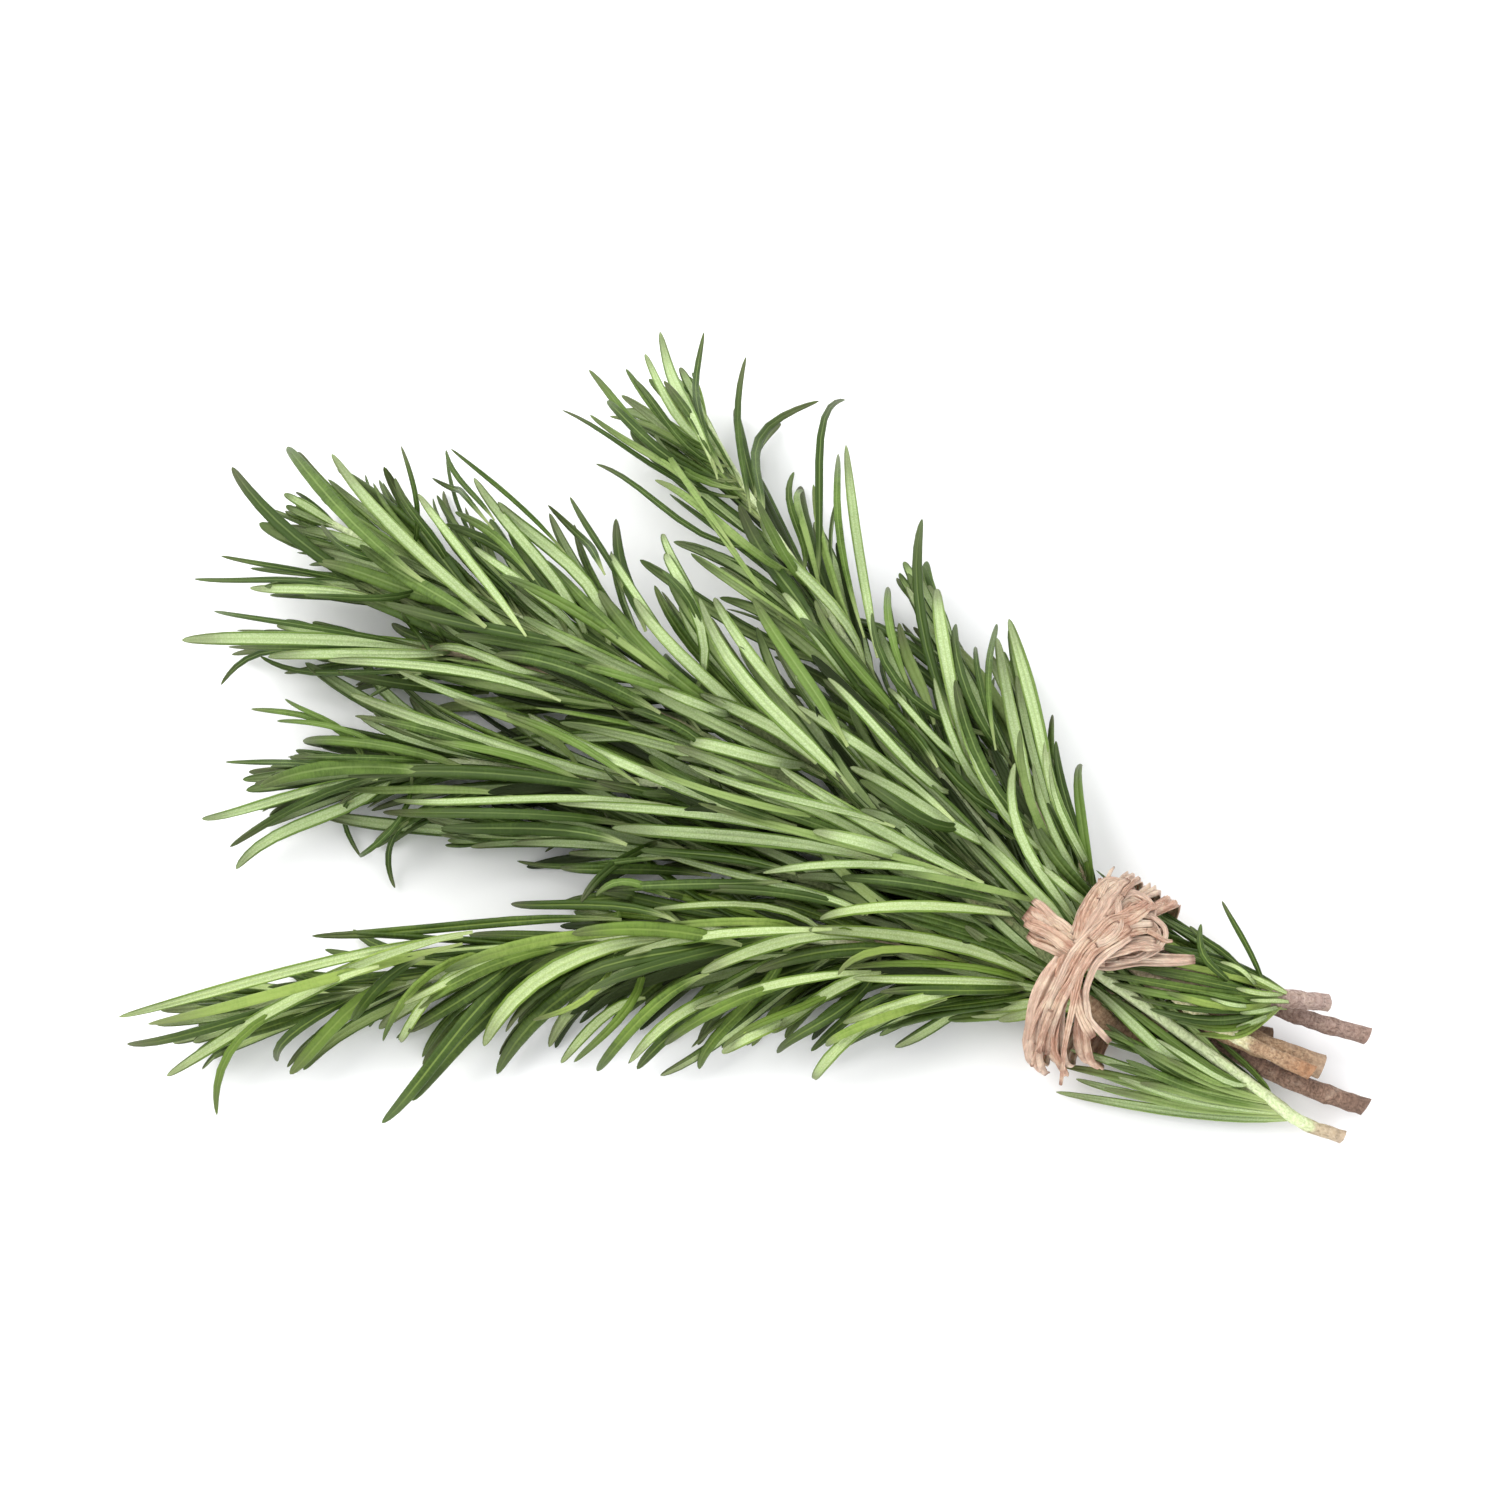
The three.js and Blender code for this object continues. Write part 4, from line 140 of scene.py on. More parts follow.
        [47.25,-30.01,18.78,40.27,-20.95,13.91,34.16,-11.44,8.65,27.51,-4.03,0.95,-0.37,0.42,0.83,2.66,0.1,0.298],
        [37.46,-18.85,17.88,29.41,-10.05,14.75,20.9,-1.65,11.02,13.1,7.77,8.47,-0.04,0.35,0.94,2.64,-0.05,0.265],
        [31.22,-10.63,17.84,23.46,-2.33,12.82,16.29,3.86,4.66,8.21,12.03,0.95,0.19,0.81,0.56,2.87,0.51,0.205],
        [24.42,-0.96,17.86,17.2,7.43,13.01,10.59,14.24,5.61,2.47,21.51,0.95,0.16,0.82,0.55,2.78,-0.05,0.245],
        [17.24,10.7,17.27,12.37,19.28,12.49,6.88,25.81,5.21,3.51,35.08,0.95,-0.19,0.58,0.79,2.83,-0.13,0.255],
        [12.01,19.48,16.39,7.42,26.59,12.03,3.03,34.06,7.57,-2.67,38.78,0.95,-0.12,0.72,0.68,2.61,3.88,2.1],
        [5.1,31.17,14.65,-0.24,40.98,9.94,-5.56,49.81,2.98,-11.18,60.32,0.95,-0.27,0.33,0.9,2.57,0.51,0.079],
        [2.72,35.23,13.9,-4.91,44.15,10.05,-10.25,55.71,6.25,-21.45,59.6,0.95,0.22,0.78,0.58,2.8,2.3,0.76],
        [-3.43,46.42,11.88,-6.45,52.62,9.36,-9.5,59.27,8.12,-13.04,64.58,4.41,-0.34,0.27,0.9,2.29,-0.29,0.933],
        [56.49,-41.77,20.27,53.07,-36.93,21.75,49.17,-31.43,23.08,44.98,-26.29,24.41,-0.55,-0.13,-0.83,2.2,0.32,0.116],
        [46.29,-30.83,20.14,38.07,-21.77,21.07,29.91,-13.24,23.18,21.13,-7.96,30.29,0.15,0.75,-0.65,2.42,-0.3,0.33],
        [44.78,-26.78,19.55,42.82,-21.37,18.39,41.15,-15.95,18.43,39.11,-10.78,19.99,-0.95,-0.19,-0.24,1.92,0.42,2.6],
        [32.44,-10.44,18.96,28.59,-2.87,20.49,24.58,4.84,21.38,21.82,12.48,24.79,-0.81,-0.08,-0.58,1.98,-0.77,0.348],
        [18.82,9.93,18.34,15.49,19.03,19.86,11.81,28.1,21.41,11.19,37.69,24.35,-0.61,0.16,-0.77,2.11,1.36,0.845],
        [-0.71,41.21,13.55,-3.67,46.55,14.15,-6.85,51.62,14.4,-9.7,56.77,15.66,0.23,0.41,-0.88,1.85,1.88,0.219],
        [-5.89,51.41,11.56,-7.97,54.04,12.13,-10.05,57.09,11.94,-12.22,59.69,13.5,0.22,0.49,-0.85,2.18,2.62,0.864],
        [85.63,-63.59,5.53,81.97,-62.62,5.44,75.46,-58.88,6.97,70.39,-53.42,9.03,-0.3,-0.71,0.64,1.18,2.34,0.119],
        [73.59,-56.38,10.77,66.91,-53.66,11.94,60.47,-49.76,14.32,53.79,-45.58,17.05,0.61,0.67,0.42,1.26,0.53,0.216],
        [56.69,-44.01,19.72,50.55,-36.47,21.6,44.29,-28.77,23.54,39.21,-20.28,21.99,0.16,0.14,-0.98,2.02,-0.16,0.726],
        [58.89,-45.75,17.73,50.21,-37.92,19.74,42.42,-29.08,20.81,34.28,-20.49,20.81,0.73,0.68,-0.06,1.92,0.45,0.463],
        [33.26,-13.39,17.85,27.39,-8.92,17.06,21.44,-4.29,16.31,15.09,-0.79,13.81,0.47,0.88,0.13,1.79,-1.57,0.215],
        [36.07,-17.2,19.04,28.51,-9.95,21.19,20.71,-2.07,22.45,12.53,2.92,28.35,-0.18,0.42,-0.89,2.07,-0.82,0.319],
        [28.07,-6.09,18.89,22.63,0.45,20.22,16.88,6.93,21.37,11.62,13.55,23.81,0.46,0.68,-0.57,1.75,0.18,0.14],
        [21.15,4.22,18.65,15.19,10.33,19.89,9.66,17.02,20.58,2.45,21.03,23.78,0.2,0.71,-0.67,2.04,-0.83,0.214],
        [19.41,7.17,18.44,15.63,12.55,18.0,11.6,17.78,18.37,8.02,23.3,19.57,0.23,0.43,-0.87,1.65,1.74,0.139],
        [13.74,16.67,17.73,10.12,21.72,18.95,6.34,27.13,18.65,2.57,30.73,22.71,0.22,0.67,-0.71,1.67,1.77,0.331],
        [8.92,24.79,16.55,0.26,33.51,14.31,-8.71,41.9,12.63,-17.88,49.82,9.82,0.65,0.73,-0.23,2.03,0.33,0.095],
        [1.74,36.92,14.36,-5.05,43.34,12.72,-11.32,50.61,11.58,-20.38,53.94,10.07,0.48,0.85,0.21,1.81,0.13,0.214],
        [1.73,36.91,14.36,-4.19,41.82,13.02,-10.17,46.45,12.07,-16.84,50.31,11.28,0.44,0.82,-0.37,1.8,3.12,0.324],
        [-2.9,45.35,12.73,-6.25,49.88,13.08,-9.36,54.99,12.93,-13.65,59.1,14.0,0.62,0.66,-0.42,2.12,1.32,0.763],
        [86.23,-62.13,5.75,83.72,-59.32,4.93,77.77,-54.65,6.02,71.47,-50.96,8.24,-0.28,-0.63,0.72,1.27,0.25,0.079],
        [86.25,-62.11,5.74,85.71,-59.74,5.25,81.5,-55.72,6.09,76.91,-52.24,7.31,-0.24,-0.48,0.84,1.22,-0.38,0.633],
        [79.57,-58.09,8.57,75.67,-54.02,10.86,71.25,-50.69,13.21,67.09,-47.38,15.59,-0.59,-0.81,0.03,1.36,-1.7,0.273],
        [85.13,-61.51,6.23,77.87,-56.85,6.38,70.8,-52.44,7.36,64.46,-46.93,6.46,-0.45,-0.53,0.72,1.17,0.15,0.304],
        [74.56,-55.01,10.88,69.32,-51.24,14.3,64.3,-46.49,17.08,59.07,-42.29,20.29,-0.57,-0.77,0.29,1.12,1.14,0.692],
        [65.61,-49.27,15.45,60.89,-42.99,17.06,55.9,-36.23,18.7,52.15,-28.31,19.35,-0.6,-0.43,0.67,1.26,-0.07,0.263],
        [56.48,-41.55,18.54,51.56,-34.32,18.6,47.53,-26.02,17.42,42.21,-18.48,17.6,-0.62,-0.27,0.73,1.81,0.24,0.288],
        [57.45,-42.65,19.99,52.83,-34.78,20.51,49.41,-26.36,21.65,45.26,-18.18,22.29,-0.9,-0.31,-0.31,1.8,-1.23,0.296],
        [43.31,-24.72,18.06,39.09,-16.69,14.58,34.83,-7.81,11.94,33.22,-1.51,3.82,-0.66,0.34,0.67,1.92,0.15,2.3],
        [42.83,-24.12,18.04,36.66,-15.92,14.73,31.08,-7.52,10.51,25.29,1.35,8.12,-0.34,0.2,0.92,2.06,-0.03,0.154],
        [38.63,-18.66,17.89,34.12,-7.97,14.91,29.02,2.86,13.11,28.66,12.96,5.86,-0.88,0.16,0.45,1.99,-1.12,0.325],
        [35.78,-14.81,19.0,31.63,-6.75,18.16,27.61,1.03,18.65,24.73,9.2,20.84,-0.92,-0.25,-0.3,1.9,2.54,0.14],
        [27.3,-3.16,17.8,24.52,2.85,14.48,22.11,8.85,11.1,23.21,13.05,4.67,-0.89,0.34,0.29,1.71,-0.88,0.257],
        [21.33,5.84,17.58,17.26,13.5,15.5,13.84,21.02,13.07,10.22,28.56,11.01,-0.09,0.31,0.95,1.81,0.86,0.294],
        [19.87,8.29,17.45,18.2,15.36,17.55,16.8,22.77,17.09,15.13,30.13,16.55,-0.99,-0.14,0.03,2.03,0.29,2.18],
        [15.61,15.34,17.92,14.59,22.98,17.12,12.93,30.33,16.47,15.32,37.79,16.87,-0.95,0.25,0.17,1.82,-0.27,0.066],
        [13.63,18.66,16.57,11.23,23.13,13.11,9.49,27.38,9.37,8.32,30.78,4.38,-0.24,0.76,0.6,1.65,-0.3,0.281],
        [10.42,24.02,15.84,7.1,31.83,12.4,3.65,40.01,9.87,2.07,46.73,3.58,-0.76,0.27,0.59,1.72,0.83,0.183],
        [8.36,27.38,15.35,5.76,33.32,12.89,2.99,39.37,10.7,1.57,45.28,7.07,-0.58,0.26,0.77,1.67,0.18,2.1],
        [2.14,37.89,13.42,0.19,45.33,10.4,-1.17,52.79,7.4,-1.87,59.44,2.49,-0.87,0.22,0.44,1.78,0.84,0.137],
        [85.64,-63.56,5.51,80.68,-59.21,4.74,72.18,-53.6,4.59,63.77,-48.18,6.15,0.16,0.2,0.97,1.28,-1.2,0.264],
        [85.65,-63.55,5.52,82.31,-60.62,5.56,75.82,-56.52,6.71,69.79,-52.29,9.05,0.3,0.1,0.95,1.25,1.07,0.221],
        [81.7,-59.4,7.64,73.8,-55.68,10.24,65.76,-51.86,13.77,57.45,-48.77,17.37,0.25,-0.3,0.92,1.09,0.92,0.333],
        [80.68,-60.67,7.54,73.26,-58.15,9.85,65.73,-56.05,12.87,58.0,-54.66,16.07,0.39,0.22,0.9,1.21,0.07,0.077],
        [72.56,-53.73,11.89,65.54,-49.24,14.16,59.12,-43.8,16.65,52.77,-37.68,16.51,-0.5,-0.57,0.65,1.05,0.1,0.103],
        [67.92,-52.61,13.7,62.87,-49.51,15.36,57.55,-45.92,16.07,52.64,-42.08,17.69,0.44,0.42,0.8,1.15,0.79,0.71],
        [60.91,-45.69,17.27,55.39,-39.77,16.77,50.99,-33.45,15.8,47.79,-27.33,11.77,-0.75,-0.1,0.66,1.99,2.87,0.307],
        [50.86,-37.58,19.5,47.86,-33.21,18.12,44.42,-28.93,16.63,41.04,-24.5,15.49,-0.18,0.22,0.96,1.8,-1.11,0.101],
        [54.56,-39.71,19.07,48.73,-32.2,17.66,43.36,-23.68,16.13,38.13,-15.2,13.83,-0.64,-0.18,0.75,2.05,0.61,0.239],
        [47.67,-30.62,18.87,41.5,-22.79,15.92,36.1,-14.88,12.56,30.06,-7.35,9.38,-0.6,-0.04,0.8,1.98,3.93,0.15],
        [38.6,-20.35,17.91,33.09,-12.65,15.14,27.26,-5.5,11.77,21.57,2.15,9.47,0.2,0.56,0.81,1.83,-0.33,0.165],
        [32.0,-11.71,17.87,23.98,-5.62,17.95,16.23,1.04,18.05,6.77,4.79,16.22,0.32,0.81,0.49,1.94,-1.66,0.262],
        [23.39,2.44,17.77,19.49,10.16,13.1,16.08,17.72,7.67,14.6,25.16,0.95,-0.13,0.65,0.75,2.05,-0.41,2.34],
        [24.1,-0.5,17.87,15.53,7.96,15.53,7.05,17.31,13.8,-3.23,21.38,7.19,0.19,0.75,0.64,2.22,0.44,0.225],
        [19.57,8.76,17.39,15.35,16.17,13.15,10.65,24.54,10.49,10.58,28.07,0.96,-0.82,0.38,0.44,2.02,0.76,2.3],
        [17.24,10.7,17.27,14.09,16.55,13.63,10.14,22.41,10.43,8.11,26.52,3.8,-0.56,0.53,0.64,1.97,0.23,0.102],
        [12.17,21.11,16.25,7.77,29.76,12.07,4.26,38.3,7.12,-0.23,46.44,2.23,-0.52,0.31,0.8,2.24,-0.94,2.1],
        [13.76,16.58,16.8,5.14,25.33,14.7,-3.78,33.36,11.98,-13.02,41.18,9.51,0.46,0.81,0.37,2.0,-0.45,0.094],
        [5.48,30.51,14.78,0.96,35.92,12.44,-3.01,41.94,10.46,-8.5,46.05,7.44,0.24,0.73,0.64,1.65,1.0,2.91],
        [4.83,31.63,14.57,-0.66,39.84,10.28,-6.22,47.59,5.4,-12.37,55.18,0.95,0.4,0.72,0.57,2.03,0.07,0.281],
        [-1.29,42.24,12.58,-3.31,46.95,9.87,-6.03,51.87,8.18,-7.26,55.21,3.46,-0.42,0.52,0.74,1.72,3.32,0.223],
        [-1.58,42.68,12.46,-4.87,46.27,9.37,-8.1,49.88,6.36,-11.78,50.38,1.67,-0.11,0.91,0.41,1.77,0.88,0.276],
        [-5.51,50.63,11.17,-8.5,54.05,10.71,-10.65,58.02,9.79,-14.33,60.77,9.6,0.73,0.65,-0.21,2.29,-0.28,0.904],
        [-4.94,49.46,11.36,-7.62,52.47,10.15,-9.46,56.18,9.2,-12.79,58.4,7.83,0.34,0.72,0.61,2.22,-0.68,0.766],
        [18.03,9.43,18.3,8.6,16.87,19.1,0.27,26.43,19.91,-12.0,28.16,22.95,0.29,0.9,-0.34,2.67,-0.04,0.201],
        [30.32,-9.39,17.88,22.05,-1.66,15.97,14.78,7.64,14.68,4.78,12.09,10.08,0.09,0.61,0.79,2.27,-0.39,0.226],
        [3.38,34.1,14.12,-4.65,43.49,11.37,-12.25,53.26,9.06,-21.59,60.76,4.98,0.54,0.75,0.38,2.33,1.13,0.984],
        [20.74,4.88,18.6,11.99,12.78,19.47,4.54,23.2,19.76,-7.28,26.74,23.08,0.2,0.68,-0.71,2.51,0.51,0.101],
        [22.23,2.41,18.76,13.66,9.15,18.84,6.45,17.51,18.76,-4.38,19.23,20.44,0.22,0.75,-0.63,2.35,-0.19,0.271],
        [0.36,39.29,13.15,-7.07,45.29,11.92,-12.87,54.29,9.44,-23.43,55.62,8.53,0.3,0.87,0.39,2.4,-0.36,0.971]
    ],
    "b": [
        [-60.78,21.87,12.57,-71.35,27.05,15.35,-81.18,33.81,19.65,-87.16,44.48,13.95,0.13,-0.31,0.94,2.4,0.22,0.035],
        [-52.58,20.83,22.24,-65.51,28.68,26.94,-73.4,40.45,25.77,-78.26,48.87,11.75,0.12,-0.32,0.94,2.3,-0.08,0.383],
        [-37.11,10.83,23.07,-48.48,21.04,21.53,-62.52,33.94,17.38,-70.63,47.82,11.17,-0.09,0.31,-0.95,2.39,0.4,0.861],
        [-43.02,16.41,18.26,-49.6,24.62,24.11,-57.47,37.76,1.18,-60.96,43.08,17.9,0.09,-0.31,0.95,2.3,-0.05,0.043],
        [-57.23,28.15,11.39,-53.83,33.64,15.76,-55.01,37.91,22.47,-57.82,45.52,21.51,0.09,-0.32,0.94,1.0,-0.21,0.16],
        [-41.79,31.83,23.09,-44.83,35.83,26.12,-49.54,39.9,20.71,-50.41,45.4,19.86,0.08,-0.33,0.94,1.0,0.03,0.121],
        [-30.11,27.54,18.4,-35.97,33.12,24.98,-42.47,39.73,19.61,-49.54,45.44,20.26,0.07,-0.33,0.94,1.0,-0.49,0.2],
        [-25.8,10.95,16.31,-28.25,20.88,24.13,-39.4,30.09,18.61,-45.54,40.13,20.72,-0.06,0.31,-0.95,2.05,-0.1,0.429],
        [-23.04,9.7,16.76,-20.94,22.24,23.61,-36.04,30.69,12.88,-41.34,35.45,22.0,-0.05,0.31,-0.95,2.28,0.09,0.433],
        [-28.98,12.49,15.83,-33.45,21.73,30.56,-42.31,33.66,6.41,-50.38,33.28,16.99,0.07,-0.31,0.95,1.9,0.24,0.111],
        [-35.86,10.23,28.06,-41.56,19.72,23.67,-49.94,28.47,28.39,-54.96,37.71,19.54,-0.08,0.31,-0.95,1.6,-0.02,0.852],
        [-26.25,11.17,16.24,-28.77,15.89,26.91,-43.07,23.53,27.83,-45.63,29.37,16.54,-0.06,0.3,-0.95,1.48,0.16,0.69],
        [-63.12,23.35,13.15,-70.97,25.2,16.27,-80.25,27.88,9.64,-89.06,29.98,9.81,0.13,-0.3,0.94,1.1,-0.4,0.138],
        [-66.38,21.11,17.95,-74.36,23.94,20.2,-82.99,25.82,7.17,-93.72,26.37,8.33,0.13,-0.3,0.94,1.1,0.22,0.079],
        [-61.43,20.02,17.32,-69.81,20.38,23.46,-76.35,22.61,13.61,-83.77,23.95,10.91,-0.12,0.3,-0.95,1.71,-0.11,0.848],
        [-52.4,25.39,12.1,-54.62,18.04,19.41,-65.58,18.53,22.84,-73.74,20.62,17.53,0.1,-0.3,0.95,1.3,-0.34,0.12],
        [-56.79,27.9,11.46,-62.9,24.07,26.09,-67.45,26.07,22.99,-71.63,33.98,14.91,0.11,-0.31,0.94,1.2,-0.01,0.055],
        [-43.2,20.14,13.58,-52.42,17.5,19.57,-61.86,25.42,15.78,-71.84,27.05,15.53,0.1,-0.3,0.95,2.7,0.03,0.436],
        [-42.64,12.38,26.2,-49.3,16.78,30.66,-57.6,24.72,12.03,-63.69,26.65,25.81,0.09,-0.3,0.95,2.5,0.16,0.353],
        [-49.33,23.64,12.57,-48.39,28.41,18.94,-56.93,33.35,19.14,-58.76,40.12,20.74,0.09,-0.32,0.94,1.5,-0.29,0.067],
        [-35.0,21.37,23.49,-40.08,26.86,29.2,-42.86,31.79,18.63,-48.91,35.4,16.99,0.07,-0.32,0.95,1.6,-0.21,0.398],
        [-16.52,12.59,22.97,-18.84,19.73,26.28,-21.79,25.41,11.47,-21.98,35.32,13.58,0.04,-0.3,0.95,2.1,-0.26,0.037],
        [-11.18,8.52,22.98,-16.73,15.31,27.36,-21.66,23.71,24.57,-22.68,28.41,15.7,-0.03,0.3,-0.95,1.48,0.22,0.427],
        [-19.93,20.05,19.3,-22.67,26.05,22.7,-25.86,31.91,12.48,-29.78,39.1,13.99,0.04,-0.31,0.95,1.2,0.32,0.076],
        [-6.83,18.93,14.04,-10.22,22.22,18.93,-13.72,27.11,25.05,-13.96,31.79,16.16,-0.02,0.31,-0.95,1.48,0.36,0.443],
        [-7.85,2.66,18.0,-6.31,8.46,24.14,-6.0,13.66,32.1,-13.66,19.97,32.55,0.01,-0.29,0.96,1.7,-0.42,0.1],
        [-8.77,3.11,18.02,-2.16,10.08,29.4,-13.75,20.04,38.71,-13.15,26.75,20.75,-0.02,0.3,-0.95,1.94,-0.22,0.428],
        [3.3,-3.44,17.33,-3.45,2.31,22.4,-13.24,7.79,28.29,-18.43,17.78,24.9,-0.02,0.28,-0.96,2.17,-0.01,0.859],
        [17.44,-15.48,25.55,8.14,-6.5,34.55,-3.32,3.32,21.79,-7.65,16.02,30.49,0.0,0.27,-0.96,2.85,0.36,0.692],
        [10.52,-3.26,23.57,3.29,2.86,27.78,-2.9,11.82,28.69,-5.31,19.15,20.54,0.0,0.28,-0.96,1.94,-0.12,0.854],
        [-6.93,2.22,17.96,-10.63,1.39,28.24,-20.2,9.83,28.05,-26.06,14.49,22.73,0.03,-0.28,0.96,1.2,0.16,0.983],
        [-6.48,1.99,17.94,-7.26,-1.58,28.71,-22.25,2.84,35.47,-28.16,6.26,24.98,0.03,-0.28,0.96,1.6,-0.2,0.437],
        [-3.3,0.38,17.76,-12.05,1.17,32.83,-18.73,11.94,20.0,-24.63,20.95,19.26,0.03,-0.28,0.96,2.6,-0.06,0.467],
        [-14.59,6.34,23.12,-24.04,11.97,32.16,-26.11,19.97,12.56,-33.43,25.7,20.76,0.04,-0.3,0.95,2.2,0.42,0.382],
        [-12.9,5.09,17.92,-19.86,9.45,28.23,-29.5,18.16,23.17,-40.53,21.62,25.32,0.04,-0.29,0.96,2.0,-0.43,0.515],
        [11.43,-10.61,25.69,7.27,-5.71,27.81,1.22,0.09,15.91,-7.53,1.65,23.85,0.01,0.27,-0.96,2.51,-0.18,0.432],
        [10.97,-8.45,16.82,7.1,-11.51,23.94,-5.44,-9.03,33.42,-9.17,-5.78,21.2,0.0,0.26,-0.97,2.51,0.27,0.686],
        [-2.85,0.14,17.74,-2.47,-2.61,24.12,-8.3,-1.11,28.6,-14.09,0.87,29.53,-0.01,0.27,-0.96,1.82,-0.12,0.69],
        [-26.82,8.93,25.61,-37.75,9.95,31.9,-48.39,14.76,19.41,-59.35,16.78,25.34,0.08,-0.29,0.95,2.0,-0.11,0.075],
        [-23.19,21.27,26.32,-26.65,27.6,29.57,-24.89,31.45,3.25,-33.4,37.18,15.44,0.05,-0.31,0.95,1.4,-0.11,0.141],
        [-41.9,30.23,23.09,-50.4,37.93,33.39,-46.87,43.38,-2.47,-53.37,43.1,12.28,0.08,-0.33,0.94,1.2,0.25,0.066],
        [-46.57,21.49,13.54,-58.23,20.76,13.16,-69.51,22.79,11.77,-80.61,23.29,9.07,0.04,0.98,0.21,2.68,-0.46,0.134],
        [-60.06,29.24,11.51,-67.34,28.64,13.08,-74.77,29.97,15.16,-81.81,33.61,16.38,-0.17,0.4,-0.9,2.94,-0.12,0.244],
        [47.76,-34.51,12.72,41.44,-30.79,16.08,32.15,-24.68,19.58,23.13,-17.61,21.65,-0.0,0.43,-0.9,2.57,-1.05,0.084],
        [29.23,-19.72,16.16,20.74,-12.96,17.69,11.89,-6.07,20.56,5.59,2.55,26.0,-0.5,0.12,-0.86,2.51,-0.46,0.31],
        [13.23,-10.75,17.33,2.62,-6.23,20.82,-8.3,-2.06,25.14,-19.23,2.44,29.46,-0.14,0.54,-0.83,2.75,-0.08,0.22],
        [-3.94,0.02,18.34,-14.65,4.41,22.07,-25.74,8.14,26.2,-36.22,12.61,31.26,-0.17,0.57,-0.81,2.83,-0.36,0.768],
        [-45.6,22.04,13.63,-54.69,27.0,14.34,-62.83,32.3,16.75,-70.84,36.09,22.39,-0.47,0.23,-0.85,2.56,-1.08,0.816],
        [48.69,-33.22,12.74,46.52,-25.34,14.45,42.18,-15.33,18.2,44.33,-4.13,22.02,-0.99,-0.06,-0.11,2.41,0.73,0.15],
        [40.51,-27.32,14.51,32.69,-19.14,19.51,25.51,-10.78,25.22,18.42,-2.66,31.65,-0.74,-0.12,-0.66,2.88,-1.02,0.166],
        [32.11,-21.66,15.79,23.44,-13.62,20.26,15.37,-5.31,24.97,7.85,2.75,31.03,-0.62,-0.03,-0.79,2.46,-0.3,0.339],
        [26.38,-17.77,16.52,18.39,-9.04,18.95,10.23,-0.31,21.51,4.49,9.88,25.69,-0.79,-0.24,-0.57,2.82,-0.02,0.143],
        [8.84,-6.32,17.62,1.21,1.89,19.44,-6.11,10.44,23.47,-12.71,19.56,28.8,-0.82,-0.4,-0.41,2.48,-1.22,0.268],
        [-42.07,20.1,14.2,-51.2,28.78,11.79,-59.53,38.25,11.12,-69.75,45.43,10.2,-0.57,-0.6,-0.56,2.86,1.02,0.247],
        [-57.85,29.04,11.73,-64.52,35.35,10.78,-72.08,40.57,9.92,-76.6,48.65,9.91,-0.81,-0.58,0.01,2.51,0.77,0.316],
        [47.39,-34.39,11.14,41.55,-33.65,11.96,32.88,-30.08,13.08,23.45,-31.51,12.28,0.09,1.0,0.0,2.48,0.1,0.252],
        [19.41,-14.89,15.57,7.91,-11.37,11.9,-3.37,-8.74,7.38,-13.9,-6.57,0.95,-0.1,0.82,0.56,2.56,-0.32,0.2],
        [2.44,-3.82,16.69,-8.82,0.18,13.52,-20.0,3.57,9.86,-30.69,3.15,3.42,-0.13,0.88,0.46,2.88,1.98,0.217],
        [-8.17,2.0,17.11,-19.59,3.8,13.33,-30.31,3.9,7.97,-41.54,3.76,3.55,-0.27,0.87,0.42,2.56,3.69,0.18],
        [-15.4,5.57,17.06,-26.35,7.53,12.5,-36.06,10.57,5.85,-46.74,8.27,0.95,-0.51,0.59,0.62,2.65,0.76,0.233],
        [-29.47,12.23,15.28,-39.52,16.59,11.36,-49.79,20.81,7.13,-60.19,24.32,2.45,-0.23,0.51,0.83,2.33,1.25,0.307],
        [-40.66,18.22,13.56,-52.23,20.91,11.01,-64.07,22.71,7.72,-76.05,25.05,5.36,0.11,0.99,-0.02,2.73,0.41,0.165],
        [-49.44,23.19,12.17,-61.31,26.07,9.78,-72.95,27.75,6.73,-84.81,29.52,4.46,-0.11,0.77,0.62,2.55,0.59,0.267],
        [-60.95,29.85,10.53,-67.49,32.05,9.95,-73.77,34.85,9.26,-80.4,36.32,7.87,0.12,0.82,0.56,2.15,0.33,0.177],
        [48.39,-32.94,11.07,44.42,-27.36,7.48,37.84,-19.57,4.82,30.99,-11.89,2.56,-0.68,-0.38,0.62,2.87,-0.81,0.254],
        [46.14,-31.33,11.64,37.83,-22.52,10.76,29.72,-13.15,9.22,21.44,-4.0,7.01,-0.56,-0.31,0.76,2.92,0.27,0.331],
        [39.65,-26.7,13.11,31.54,-17.99,11.78,23.99,-8.87,9.32,17.27,1.16,7.57,-0.84,-0.47,0.27,2.38,1.45,0.266],
        [27.48,-18.48,14.93,19.28,-9.89,13.1,11.08,-1.02,10.51,5.52,9.82,7.88,-0.83,-0.47,0.3,2.5,-0.47,0.073],
        [-3.95,1.35,17.12,-14.37,6.34,12.25,-23.38,11.48,5.49,-34.01,15.66,0.95,-0.55,-0.01,0.84,3.02,-0.96,0.188],
        [-11.76,5.21,17.13,-19.98,11.95,12.89,-28.59,17.77,7.98,-32.74,26.18,0.95,-0.86,-0.46,0.21,2.44,-0.91,0.072],
        [-25.86,11.71,15.67,-33.4,20.08,10.61,-39.33,28.62,3.91,-44.23,39.57,0.95,-0.76,-0.04,0.64,2.83,3.26,0.111],
        [-34.87,16.18,14.35,-42.72,24.85,10.4,-50.3,33.24,5.6,-52.44,44.71,0.95,-0.92,-0.24,0.3,2.38,3.66,0.165],
        [-46.5,22.55,12.53,-54.03,29.28,8.31,-60.27,36.46,1.29,-68.85,43.7,0.95,-0.64,-0.15,0.75,2.63,-1.7,0.335],
